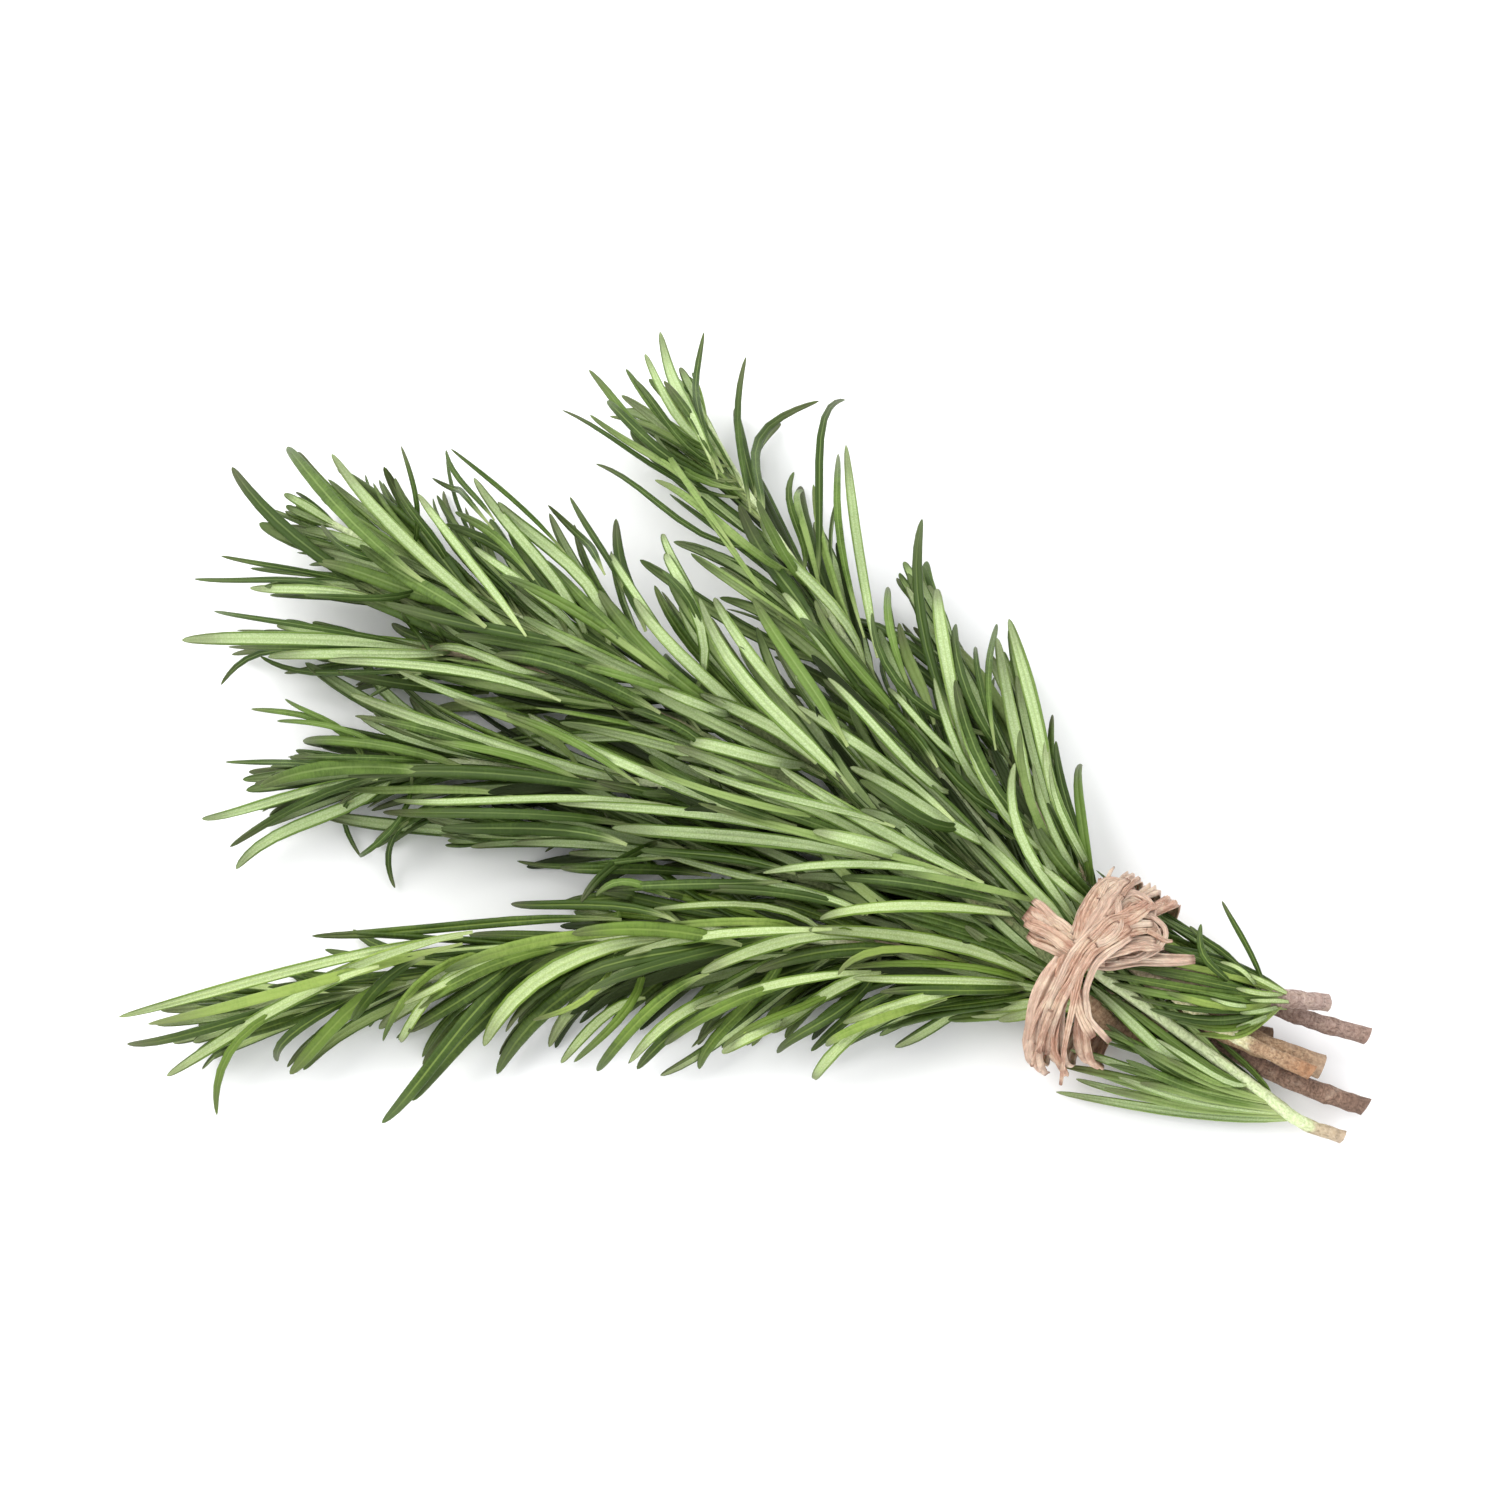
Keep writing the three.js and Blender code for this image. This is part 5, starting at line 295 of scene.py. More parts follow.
        [-56.01,27.97,11.1,-61.51,32.43,7.72,-66.9,35.75,2.04,-70.71,42.57,0.95,-0.77,-0.03,0.64,2.41,3.36,0.948],
        [47.76,-34.52,12.71,44.12,-33.11,14.21,37.88,-29.05,16.34,32.14,-23.99,17.56,0.54,0.46,0.71,2.01,1.79,0.14],
        [47.8,-34.5,12.74,46.9,-33.06,14.84,42.47,-29.95,16.91,37.92,-26.46,17.58,-0.09,0.35,-0.93,1.99,0.68,0.278],
        [40.14,-28.94,14.42,33.84,-24.33,18.45,26.34,-18.41,19.87,21.38,-17.83,27.85,-0.47,0.58,-0.67,1.8,-0.57,0.232],
        [40.14,-28.95,14.43,32.76,-24.56,19.43,24.33,-18.32,23.09,18.34,-20.02,32.41,-0.69,0.34,-0.64,1.97,-0.53,0.2],
        [29.74,-20.06,16.11,22.31,-14.42,18.44,13.71,-8.47,20.95,11.22,-2.16,29.89,-0.56,0.41,-0.72,2.2,0.55,2.17],
        [17.32,-13.45,17.09,11.52,-10.84,18.58,5.05,-7.52,19.13,0.61,-7.42,25.05,-0.37,0.74,-0.56,1.64,-1.06,0.272],
        [-5.01,0.56,18.34,-11.91,1.9,19.35,-18.73,3.24,20.52,-25.71,3.46,21.89,-0.08,0.81,-0.58,2.01,1.45,0.259],
        [-0.43,-2.02,18.2,-8.95,1.32,19.83,-17.42,4.23,21.64,-25.92,7.11,23.41,0.07,0.84,-0.54,1.78,0.19,0.299],
        [-15.98,5.95,18.2,-21.12,8.48,19.67,-26.84,10.63,19.95,-30.9,12.53,24.16,-0.48,0.05,-0.88,1.79,0.4,0.203],
        [-25.16,10.19,16.92,-35.16,12.81,17.35,-45.19,14.77,18.53,-55.1,17.4,18.7,0.09,0.83,-0.55,1.89,0.0,2.3],
        [-33.7,14.4,15.63,-41.93,18.93,16.61,-50.27,23.4,16.01,-58.25,26.87,19.81,-0.14,0.38,-0.92,2.06,-0.97,0.221],
        [-33.7,14.4,15.62,-42.93,18.02,14.86,-52.65,21.47,14.88,-62.24,25.2,14.55,0.11,0.53,-0.84,2.01,0.63,0.13],
        [-48.31,22.53,13.27,-54.01,25.61,15.41,-59.91,28.18,17.18,-63.66,29.95,22.79,-0.49,0.5,-0.71,1.87,-1.21,0.987],
        [-57.56,27.83,11.85,-63.07,29.92,12.91,-68.55,33.09,13.0,-74.03,32.47,16.14,-0.31,0.53,-0.79,1.75,0.75,0.895],
        [48.69,-33.22,12.72,47.67,-28.82,13.49,44.19,-22.52,15.24,42.03,-15.89,18.11,-0.87,-0.12,-0.47,1.7,0.38,0.093],
        [48.39,-32.95,11.11,46.11,-29.44,10.56,41.41,-23.55,10.05,36.53,-17.81,10.44,-0.56,-0.36,0.74,2.06,0.53,0.074],
        [41.48,-28.02,14.28,36.78,-23.01,16.74,31.84,-17.85,19.14,27.71,-12.52,22.67,-0.83,-0.49,-0.27,1.81,-0.67,0.156],
        [37.17,-25.04,15.11,28.92,-18.18,18.8,20.63,-10.37,21.64,14.95,-4.71,30.61,-0.71,0.15,-0.69,1.98,-0.39,0.267],
        [37.68,-25.37,15.04,29.5,-17.53,19.27,19.92,-9.87,21.78,16.46,-1.23,30.27,-0.7,0.14,-0.71,2.15,0.2,0.249],
        [23.16,-15.66,16.78,16.76,-9.41,18.19,10.51,-3.05,19.9,4.44,3.49,21.69,-0.77,-0.58,-0.26,1.79,3.74,2.87],
        [24.18,-16.32,16.71,18.74,-9.93,17.58,11.95,-4.0,17.96,8.91,3.87,21.27,-0.88,-0.42,-0.22,1.8,0.03,0.082],
        [12.29,-8.51,17.42,8.01,-1.44,18.22,4.3,5.89,19.36,1.8,13.61,21.95,-0.89,-0.13,-0.43,2.08,-0.85,0.256],
        [15.16,-10.43,17.25,7.34,-2.63,19.43,-1.4,4.42,21.38,-5.76,14.28,25.35,-0.62,-0.1,-0.77,2.09,2.82,0.328],
        [5.38,-4.15,17.79,-0.83,2.71,19.22,-7.72,8.57,21.01,-10.99,17.13,23.0,-0.9,-0.4,-0.16,1.86,-0.99,0.692],
        [3.14,-2.76,17.93,-3.11,4.86,18.07,-8.56,12.69,18.58,-14.03,20.48,19.96,-0.86,-0.5,0.05,1.94,-0.78,0.152],
        [-10.02,4.16,18.3,-15.45,9.49,17.91,-21.03,14.43,17.9,-25.21,20.64,17.06,-0.71,-0.58,-0.4,1.7,-0.95,0.339],
        [-18.68,8.36,17.89,-26.07,12.14,17.28,-33.6,16.54,16.85,-38.26,19.79,23.77,-0.45,0.37,-0.82,1.99,-0.47,0.185],
        [-18.14,8.13,17.96,-24.84,12.44,18.16,-31.89,16.74,18.18,-38.34,21.92,18.98,-0.27,-0.14,-0.95,1.71,3.05,0.225],
        [-31.47,14.32,15.92,-37.25,19.59,15.14,-43.16,25.24,14.83,-49.13,30.78,13.99,-0.54,-0.55,-0.64,2.03,0.3,0.291],
        [-38.42,18.11,13.81,-44.38,24.78,12.79,-50.52,30.92,11.71,-53.9,38.91,9.58,-0.86,-0.42,-0.3,1.77,-0.28,0.301],
        [-52.51,25.97,11.63,-57.57,31.93,10.05,-63.48,37.53,7.9,-65.39,45.75,6.39,-0.84,-0.25,0.47,1.82,-0.48,0.096],
        [3.58,-3.06,16.75,-4.14,1.25,14.46,-12.22,6.21,13.32,-18.93,10.25,7.68,-0.32,0.33,0.89,2.04,0.43,0.255],
        [-20.33,7.93,16.61,-27.3,10.45,12.82,-34.61,13.34,9.18,-41.05,12.99,3.19,-0.61,0.14,0.78,1.97,1.07,0.04],
        [-18.5,7.08,16.85,-25.51,9.05,13.16,-34.11,11.92,11.13,-38.29,10.86,2.91,-0.38,0.84,0.38,1.86,1.12,0.11],
        [-28.18,11.62,15.48,-37.54,14.76,11.74,-47.19,19.55,9.26,-55.51,18.21,2.13,-0.37,0.64,0.67,2.1,-1.44,2.1],
        [-53.06,25.23,12.52,-60.45,27.16,11.84,-68.05,29.51,11.64,-76.02,30.18,11.02,0.11,0.98,0.17,1.69,-0.16,0.811],
        [-49.94,23.49,12.09,-58.5,26.66,9.02,-67.29,30.82,7.26,-75.16,31.18,1.25,-0.26,0.7,0.67,1.94,-0.03,0.229],
        [-63.49,31.41,10.88,-68.09,32.52,10.69,-72.85,34.14,10.62,-77.8,35.11,10.31,0.19,0.93,-0.31,2.23,-0.04,0.151],
        [48.36,-32.98,11.1,46.24,-31.52,10.2,41.62,-27.63,10.43,37.28,-23.42,10.59,-0.35,-0.44,0.83,1.82,0.26,0.322],
        [48.38,-32.96,11.11,43.46,-27.61,10.04,38.67,-22.09,9.33,35.56,-16.49,5.23,-0.88,-0.23,0.43,1.66,0.53,2.4],
        [39.65,-26.7,13.13,33.51,-20.09,13.49,26.91,-14.17,13.7,22.66,-6.34,12.92,-0.61,-0.32,0.72,2.04,3.19,0.163],
        [29.14,-19.61,14.7,22.32,-15.12,12.41,15.67,-9.58,11.49,10.72,-6.58,4.82,-0.61,0.15,0.78,1.85,-0.26,0.097],
        [20.7,-14.05,15.53,11.34,-8.63,12.24,2.63,-2.36,8.63,-6.21,2.51,3.02,-0.54,0.11,0.83,1.96,-0.55,0.16],
        [20.71,-14.04,15.55,12.25,-4.8,15.07,3.69,4.04,13.82,-1.83,15.24,12.95,-0.86,-0.49,0.12,2.34,0.14,0.067],
        [-1.62,0.14,17.06,-6.71,4.55,14.59,-13.84,9.59,14.08,-13.75,13.68,6.32,-0.84,0.19,0.5,1.71,0.46,0.195],
        [-3.94,1.36,17.12,-9.82,5.28,13.87,-15.99,9.83,10.85,-17.96,13.13,3.12,-0.69,0.33,0.64,1.92,-0.04,0.084],
        [-7.62,1.76,17.12,-17.93,6.96,12.88,-28.9,11.83,10.09,-36.9,14.83,0.95,-0.58,0.29,0.76,2.16,1.21,0.332],
        [-9.39,4.05,17.15,-17.15,8.18,12.8,-25.97,11.67,9.37,-28.79,16.88,0.95,-0.57,0.54,0.62,1.79,0.34,0.303],
        [-22.76,10.26,16.14,-31.2,14.99,11.54,-38.93,18.7,4.38,-45.74,26.25,0.95,-0.75,-0.18,0.63,2.03,0.88,0.15],
        [-25.33,11.45,15.75,-31.32,16.66,12.38,-37.67,22.42,9.38,-40.21,27.95,2.35,-0.79,0.03,0.61,2.09,0.43,0.151],
        [-37.67,17.72,13.91,-41.98,24.2,12.89,-45.25,30.88,11.2,-47.74,38.26,11.04,-0.93,-0.32,-0.17,1.84,3.31,0.154],
        [-38.4,18.12,13.78,-41.95,22.99,11.76,-45.08,28.19,9.4,-47.35,33.52,6.12,-0.8,0.01,0.59,1.79,1.54,0.103],
        [-45.48,21.98,12.69,-52.49,28.62,9.39,-60.28,34.4,5.04,-64.93,43.06,0.95,-0.63,0.03,0.78,1.95,0.08,0.846],
        [-43.72,21.0,12.96,-51.74,25.92,9.16,-58.4,30.97,2.54,-66.82,36.12,0.95,-0.41,0.3,0.86,1.95,0.49,0.219],
        [-59.2,28.82,10.72,-63.52,31.32,8.62,-68.01,33.53,6.78,-72.17,35.74,4.19,-0.07,0.73,0.68,1.54,-1.62,0.174],
        [-58.28,29.26,10.78,-62.09,33.1,8.53,-65.5,36.99,6.33,-68.14,40.77,2.89,-0.9,-0.29,0.32,1.68,0.07,0.804],
        [-33.11,15.22,14.64,-41.18,23.87,11.63,-52.08,30.52,8.75,-53.92,42.34,3.88,-0.91,-0.25,0.32,2.47,-0.47,0.246],
        [-12.65,5.45,18.25,-20.94,13.04,16.77,-30.11,19.54,15.83,-35.52,29.37,14.41,-0.73,-0.63,-0.27,2.26,3.87,2.1],
        [-58.7,28.53,10.81,-66.54,32.24,9.48,-74.43,35.75,8.08,-82.09,39.68,6.63,0.38,0.9,0.21,2.27,2.82,0.221],
        [-40.18,19.07,13.53,-48.08,26.84,12.5,-57.29,33.04,10.33,-61.99,43.24,9.4,-0.82,-0.56,-0.12,2.53,0.11,0.205],
        [-41.27,18.58,14.38,-53.07,22.93,14.13,-64.42,28.77,12.79,-76.89,30.52,14.82,0.2,0.87,-0.45,2.69,0.54,0.151],
        [-43.84,21.07,13.9,-53.16,28.44,12.33,-62.86,35.19,10.87,-71.26,43.61,10.11,-0.53,-0.67,-0.52,2.39,-0.22,0.889],
        [4.87,-3.84,17.82,-2.4,3.91,19.46,-10.95,10.53,21.05,-15.09,20.15,24.24,-0.84,-0.52,-0.14,2.31,0.57,0.279],
        [-44.3,20.24,13.9,-56.56,22.45,13.14,-68.64,25.7,12.29,-80.97,23.43,13.4,-0.01,1.0,-0.03,2.61,0.64,0.091],
        [-30.17,13.72,16.14,-38.3,21.69,13.82,-47.1,29.07,12.8,-52.28,39.26,14.53,-0.53,-0.29,-0.8,2.3,0.49,0.132],
        [-11.76,5.22,17.15,-19.66,14.48,15.48,-27.25,23.64,13.45,-29.27,35.56,9.93,-0.87,-0.18,0.46,2.21,-0.26,0.3],
        [-19.74,8.87,17.73,-27.17,16.03,17.47,-35.78,22.32,17.16,-39.8,32.08,18.74,-0.66,-0.38,-0.65,2.25,-0.03,0.124],
        [-44.22,21.3,12.89,-51.43,28.99,10.34,-59.62,36.03,8.01,-63.31,45.64,3.94,-0.86,-0.5,0.08,2.35,0.18,0.902],
        [-12.64,5.46,18.26,-20.39,14.83,17.05,-28.91,23.9,15.85,-33.12,35.74,15.34,-0.87,-0.5,0.02,2.72,-0.8,0.291],
        [-37.15,17.44,13.99,-43.82,27.52,11.4,-50.15,37.47,7.94,-51.63,49.49,4.84,-0.94,-0.33,-0.13,2.31,-0.01,0.107],
        [-44.34,21.36,13.83,-51.17,27.76,12.18,-58.96,33.25,11.6,-63.08,41.48,14.27,-0.7,-0.35,-0.62,2.45,3.4,0.767]
    ],
    "c": [
        [-53.3,13.18,11.08,-63.02,12.13,24.42,-80.28,11.21,34.67,-88.95,18.42,15.61,0.12,-0.29,0.95,1.1,0.24,0.116],
        [-48.31,14.29,7.25,-62.02,12.43,18.29,-79.44,12.95,19.62,-94.85,14.73,11.06,-0.12,0.29,-0.95,2.62,0.11,0.597],
        [-65.55,10.06,15.76,-74.55,9.93,21.76,-83.52,15.3,10.41,-88.46,7.73,8.04,0.13,-0.28,0.95,1.2,-0.46,0.169],
        [-53.84,6.87,18.15,-64.54,5.68,25.87,-75.39,10.29,-0.58,-81.23,11.09,13.88,0.12,-0.28,0.95,1.1,0.29,0.073],
        [-49.59,12.48,11.47,-52.93,7.15,26.33,-70.6,11.44,15.96,-78.23,7.46,25.54,-0.11,0.28,-0.95,1.94,0.16,0.851],
        [-30.51,1.65,19.64,-42.15,7.39,19.83,-55.57,7.51,22.62,-68.95,8.28,21.03,-0.08,0.28,-0.96,1.94,-0.06,0.435],
        [-43.91,8.35,0.95,-49.72,5.72,12.57,-57.11,6.02,12.51,-67.91,7.83,15.54,0.09,-0.27,0.96,1.9,0.22,0.137],
        [-51.0,8.62,15.59,-54.4,15.4,12.55,-57.03,17.54,10.11,-56.62,15.38,24.32,0.09,-0.29,0.95,1.0,-0.39,0.2],
        [-49.13,12.39,11.52,-52.13,15.71,14.62,-49.03,10.68,21.49,-52.01,13.97,23.87,0.09,-0.29,0.95,0.9,-0.15,0.032],
        [-31.55,0.87,5.61,-37.83,0.15,15.14,-46.15,1.27,21.89,-57.31,6.27,21.45,-0.07,0.27,-0.96,2.05,-0.51,0.44],
        [-50.5,10.64,15.88,-63.84,11.96,16.74,-75.43,8.38,26.95,-86.52,12.44,14.62,0.12,-0.28,0.95,1.1,-0.32,0.154],
        [-30.97,7.48,13.79,-37.69,2.55,27.89,-47.59,14.98,14.43,-52.37,10.64,18.89,-0.07,0.28,-0.96,1.82,-0.34,0.858],
        [-20.33,4.62,26.55,-30.08,6.05,33.26,-38.05,12.1,18.7,-47.78,11.48,24.69,0.06,-0.29,0.96,1.8,0.19,0.209],
        [-13.98,-1.73,24.28,-22.34,2.48,29.02,-33.82,7.0,29.18,-41.4,9.05,21.35,0.05,-0.28,0.96,2.1,0.1,0.186],
        [-56.17,13.16,11.3,-65.08,12.33,12.91,-74.0,11.71,14.71,-82.86,13.61,14.81,-0.06,0.79,-0.61,2.93,0.15,0.114],
        [28.84,-24.78,20.46,19.63,-16.31,20.43,11.19,-7.46,22.3,1.64,0.5,23.52,-0.68,-0.54,-0.5,2.5,-0.13,2.52],
        [20.93,-21.7,20.76,10.25,-16.59,23.82,-0.25,-11.88,27.6,-11.63,-9.14,31.11,-0.03,0.82,-0.57,2.42,0.46,0.573],
        [-0.82,-8.43,19.6,-11.73,-2.53,20.27,-22.59,2.8,21.92,-33.72,7.18,25.08,-0.35,-0.11,-0.93,2.79,1.1,0.318],
        [-17.23,0.52,16.62,-28.01,5.49,19.09,-39.26,10.0,22.49,-50.38,15.67,22.72,-0.17,0.08,-0.98,2.82,0.43,2.6],
        [-32.68,8.45,14.04,-44.46,12.76,15.13,-55.86,17.44,17.09,-67.59,21.53,18.0,-0.33,-0.41,-0.85,2.89,2.77,0.295],
        [5.34,-12.0,20.21,-6.54,-8.18,20.61,-18.29,-4.07,20.37,-30.4,-3.14,23.68,-0.07,0.55,-0.83,2.63,-0.34,0.899],
        [-9.17,-3.8,16.72,-21.26,-2.16,13.66,-33.04,-1.61,10.2,-44.2,-2.39,4.86,-0.15,0.95,0.28,2.9,0.87,0.197],
        [-18.43,1.09,16.4,-30.68,3.92,15.1,-43.08,5.61,14.65,-54.99,9.09,13.46,0.17,0.97,-0.17,2.61,1.31,0.264],
        [-30.53,6.57,14.52,-41.38,7.72,13.56,-52.17,7.88,14.62,-62.1,7.69,19.78,-0.35,0.4,-0.85,2.42,-1.7,0.219],
        [-62.62,14.33,10.54,-68.38,13.76,11.31,-74.45,13.57,11.81,-80.06,11.77,13.63,-0.29,0.86,-0.42,2.17,-0.42,0.181],
        [48.73,-39.27,15.18,44.54,-32.19,17.33,37.31,-23.23,19.31,31.52,-13.13,20.62,-0.83,-0.52,-0.17,2.6,-0.49,0.083],
        [21.81,-20.29,20.75,13.74,-10.73,21.95,6.11,-0.94,23.68,-1.08,9.01,26.37,-0.81,-0.54,-0.22,2.47,-1.37,0.243],
        [-7.54,-3.17,18.22,-14.71,6.87,15.92,-21.29,17.0,14.13,-22.74,29.51,13.88,-0.91,-0.3,-0.29,2.48,0.14,0.192],
        [-17.73,2.12,15.21,-25.55,9.5,11.8,-33.92,16.59,8.09,-37.69,26.63,3.1,-0.88,-0.41,0.23,2.54,-0.07,0.085],
        [-30.72,7.84,13.32,-37.5,16.56,9.0,-42.86,25.37,2.5,-45.41,37.25,0.95,-0.94,-0.18,0.3,2.9,0.58,0.281],
        [48.72,-39.28,15.11,43.48,-34.1,10.92,35.53,-26.07,9.58,27.75,-18.25,9.81,-0.03,0.13,0.99,3.15,0.32,0.115],
        [36.44,-29.68,17.74,27.16,-23.0,12.98,19.12,-16.15,6.9,10.7,-9.55,0.95,-0.72,-0.24,0.65,2.99,4.1,0.225],
        [33.74,-27.88,18.1,25.21,-20.74,14.16,15.79,-13.16,11.79,13.35,-6.78,0.95,-0.9,-0.0,0.45,2.71,-1.35,0.173],
        [20.65,-19.54,19.07,11.73,-13.72,15.22,3.61,-7.01,11.54,-3.76,-2.47,4.11,-0.36,0.49,0.79,2.61,0.64,0.288],
        [7.85,-11.74,18.83,-1.37,-6.52,13.43,-8.81,-1.1,4.79,-18.95,4.16,0.95,-0.49,0.31,0.81,2.67,0.96,2.56],
        [-0.19,-8.81,18.23,-10.2,-4.88,13.16,-19.5,-2.1,6.98,-28.99,0.63,0.95,-0.47,0.49,0.73,2.47,-0.04,0.281],
        [-12.48,-1.93,16.12,-22.8,0.3,11.26,-32.14,3.03,2.41,-44.2,0.45,0.95,-0.37,0.77,0.53,2.76,-0.37,0.213],
        [-20.46,2.11,14.8,-31.63,4.21,10.69,-41.64,6.44,3.5,-53.33,5.48,0.95,-0.21,0.93,0.29,2.69,-0.9,0.848],
        [-32.37,7.2,13.05,-43.8,9.1,9.15,-54.52,11.99,2.56,-66.58,9.74,0.95,-0.33,0.59,0.74,2.64,4.02,0.158],
        [-44.6,10.87,11.55,-54.14,12.68,7.72,-63.07,14.33,1.25,-73.69,14.56,0.95,-0.42,-0.05,0.9,2.54,0.44,0.245],
        [-54.6,13.77,10.55,-63.63,15.32,7.45,-71.9,17.41,2.3,-81.28,18.73,0.95,-0.45,-0.24,0.86,2.59,0.42,0.073],
        [47.35,-40.81,17.27,46.06,-40.05,17.89,41.88,-36.71,19.25,37.9,-33.18,20.79,-0.11,0.41,-0.91,1.85,0.21,0.156],
        [48.94,-39.37,17.12,48.33,-37.36,17.89,44.52,-33.34,18.51,40.48,-29.74,18.72,-0.44,-0.28,-0.85,1.89,-0.29,0.53],
        [46.87,-40.45,17.34,39.42,-37.49,17.86,32.12,-35.29,20.46,24.65,-34.86,24.89,-0.1,0.96,-0.26,1.93,-1.7,0.272],
        [41.83,-33.63,18.74,33.91,-28.03,20.22,26.4,-22.15,22.81,19.68,-16.18,27.84,-0.28,0.47,-0.84,1.82,0.25,0.19],
        [27.22,-23.7,20.65,22.13,-18.86,22.16,16.94,-14.13,23.46,14.06,-8.75,27.48,-0.59,0.06,-0.81,1.92,-0.03,0.112],
        [28.35,-24.47,20.53,23.16,-20.69,22.91,17.41,-16.6,23.6,14.42,-12.76,28.75,-0.72,-0.06,-0.69,1.91,0.39,0.159],
        [15.88,-18.45,20.79,10.0,-16.02,23.56,4.07,-13.77,26.54,-2.0,-13.95,30.48,-0.15,0.93,-0.33,1.74,-0.08,0.82],
        [0.85,-9.38,19.78,-9.05,-3.28,19.09,-20.2,2.85,17.67,-28.77,7.04,26.26,-0.34,0.38,-0.86,2.14,-1.37,0.224],
        [-16.02,-0.06,16.81,-22.12,3.48,18.38,-28.17,6.46,20.13,-34.33,8.57,22.88,-0.22,0.46,-0.86,1.71,3.28,0.23],
        [-14.26,0.44,16.99,-22.23,4.35,17.74,-29.88,8.75,19.16,-37.87,12.64,19.06,-0.38,-0.47,-0.8,2.11,-1.19,0.232],
        [-35.8,9.44,13.6,-43.45,13.12,14.2,-51.49,16.67,14.66,-58.85,21.28,16.5,-0.31,-0.21,-0.93,1.98,2.41,0.304],
        [-36.33,9.59,13.55,-42.19,11.26,15.54,-48.5,12.8,16.59,-51.55,15.37,22.06,-0.73,-0.23,-0.65,1.88,-0.02,0.15],
        [-46.36,12.23,12.3,-54.39,16.42,11.09,-62.32,20.37,11.25,-68.37,26.67,13.98,-0.64,-0.46,-0.61,1.98,0.54,0.079],
        [-45.82,12.12,12.37,-51.9,15.14,12.01,-58.24,17.9,11.39,-62.22,21.82,15.76,-0.75,-0.29,-0.6,1.79,-0.13,0.254],
        [-59.38,13.77,10.91,-63.98,13.9,11.76,-68.96,14.29,12.06,-73.66,13.57,13.76,-0.28,0.18,-0.94,2.15,0.55,0.275],
        [47.31,-40.83,17.23,40.2,-39.23,18.24,30.64,-36.2,21.28,20.5,-34.42,24.31,0.26,0.95,0.18,1.96,-1.13,0.198],
        [47.16,-40.6,15.09,42.95,-38.37,14.73,36.08,-33.95,15.02,28.79,-30.18,14.81,0.37,0.72,0.58,2.06,-0.52,0.134],
        [40.9,-35.39,16.66,33.54,-32.3,16.71,26.35,-28.73,16.79,18.36,-28.58,15.05,0.01,0.66,0.75,1.96,-0.08,0.131],
        [25.81,-24.85,20.7,17.84,-21.31,22.68,10.08,-15.93,23.4,1.65,-16.18,27.46,-0.17,0.67,-0.72,1.86,0.6,0.639],
        [26.29,-25.18,20.65,15.36,-21.2,21.86,4.25,-17.09,23.82,-6.93,-15.9,28.96,-0.13,0.81,-0.57,1.95,3.27,0.302],
        [14.73,-17.72,20.78,5.96,-14.26,22.72,-2.82,-9.27,23.1,-11.25,-10.38,28.52,-0.15,0.84,-0.52,1.79,0.17,0.29],
        [2.02,-10.05,19.89,-5.08,-7.3,20.3,-12.25,-4.46,19.83,-19.3,-2.54,22.44,0.03,0.71,-0.71,1.72,-0.12,0.337],
        [-6.5,-5.26,18.59,-16.33,-2.84,20.24,-25.92,-1.09,21.65,-34.17,-1.81,27.82,-0.48,0.36,-0.8,1.93,4.4,0.695],
        [-20.14,1.94,16.15,-27.1,3.79,15.19,-34.68,5.75,14.71,-40.93,5.36,19.74,-0.41,0.35,-0.84,2.03,0.69,0.304],
        [-14.33,-0.9,17.08,-26.08,3.12,17.86,-37.57,7.68,18.52,-49.79,8.46,21.08,0.04,0.91,-0.42,2.12,-0.71,0.692],
        [-25.96,4.75,15.19,-36.4,6.54,15.3,-47.05,9.15,14.5,-57.78,8.53,17.12,-0.14,0.59,-0.8,1.88,0.48,0.04],
        [-26.97,5.24,15.0,-36.48,6.51,13.29,-45.97,7.74,12.26,-55.49,8.47,10.8,-0.02,0.97,0.23,1.79,3.51,2.1],
        [-42.85,10.49,12.73,-50.02,9.33,12.1,-57.09,8.48,12.19,-63.17,4.55,11.35,-0.43,0.9,0.04,2.01,2.72,0.103],
        [-39.09,9.35,12.19,-48.49,9.84,9.21,-58.18,10.82,6.11,-67.36,8.31,2.05,-0.42,0.65,0.64,1.89,-0.28,0.063],
        [-47.8,11.53,11.2,-58.13,11.63,9.33,-68.4,11.85,7.71,-78.33,10.82,4.61,-0.25,0.85,0.46,1.93,-0.06,0.172],
        [-54.3,12.8,11.52,-60.36,13.28,11.54,-66.27,13.16,12.23,-71.33,13.31,15.8,-0.48,-0.06,-0.87,1.84,-0.86,0.294],
        [-59.31,13.76,10.12,-66.57,13.95,9.16,-73.71,14.47,8.31,-80.79,14.68,6.95,-0.14,0.54,0.83,2.06,-0.28,0.126],
        [-59.38,13.78,10.91,-66.64,14.59,11.59,-73.79,15.23,11.87,-80.89,15.79,13.04,-0.09,0.63,-0.77,2.12,-1.06,0.072],
        [48.91,-39.39,17.12,46.26,-36.63,18.3,41.09,-31.58,20.1,35.29,-27.11,21.37,-0.61,-0.48,-0.63,1.7,0.02,0.276],
        [28.78,-24.68,18.71,19.17,-17.67,16.56,9.24,-10.2,15.68,0.68,-2.78,10.31,-0.34,0.15,0.93,1.9,1.61,0.079],
        [12.98,-14.77,19.16,6.63,-11.21,16.08,0.46,-7.23,13.53,-4.12,-3.39,8.29,-0.63,0.12,0.76,1.85,-0.8,2.53],
        [5.01,-10.1,18.62,-2.52,-4.14,15.08,-10.64,1.65,12.4,-14.52,8.27,5.25,-0.82,-0.17,0.55,1.8,-1.27,0.114],
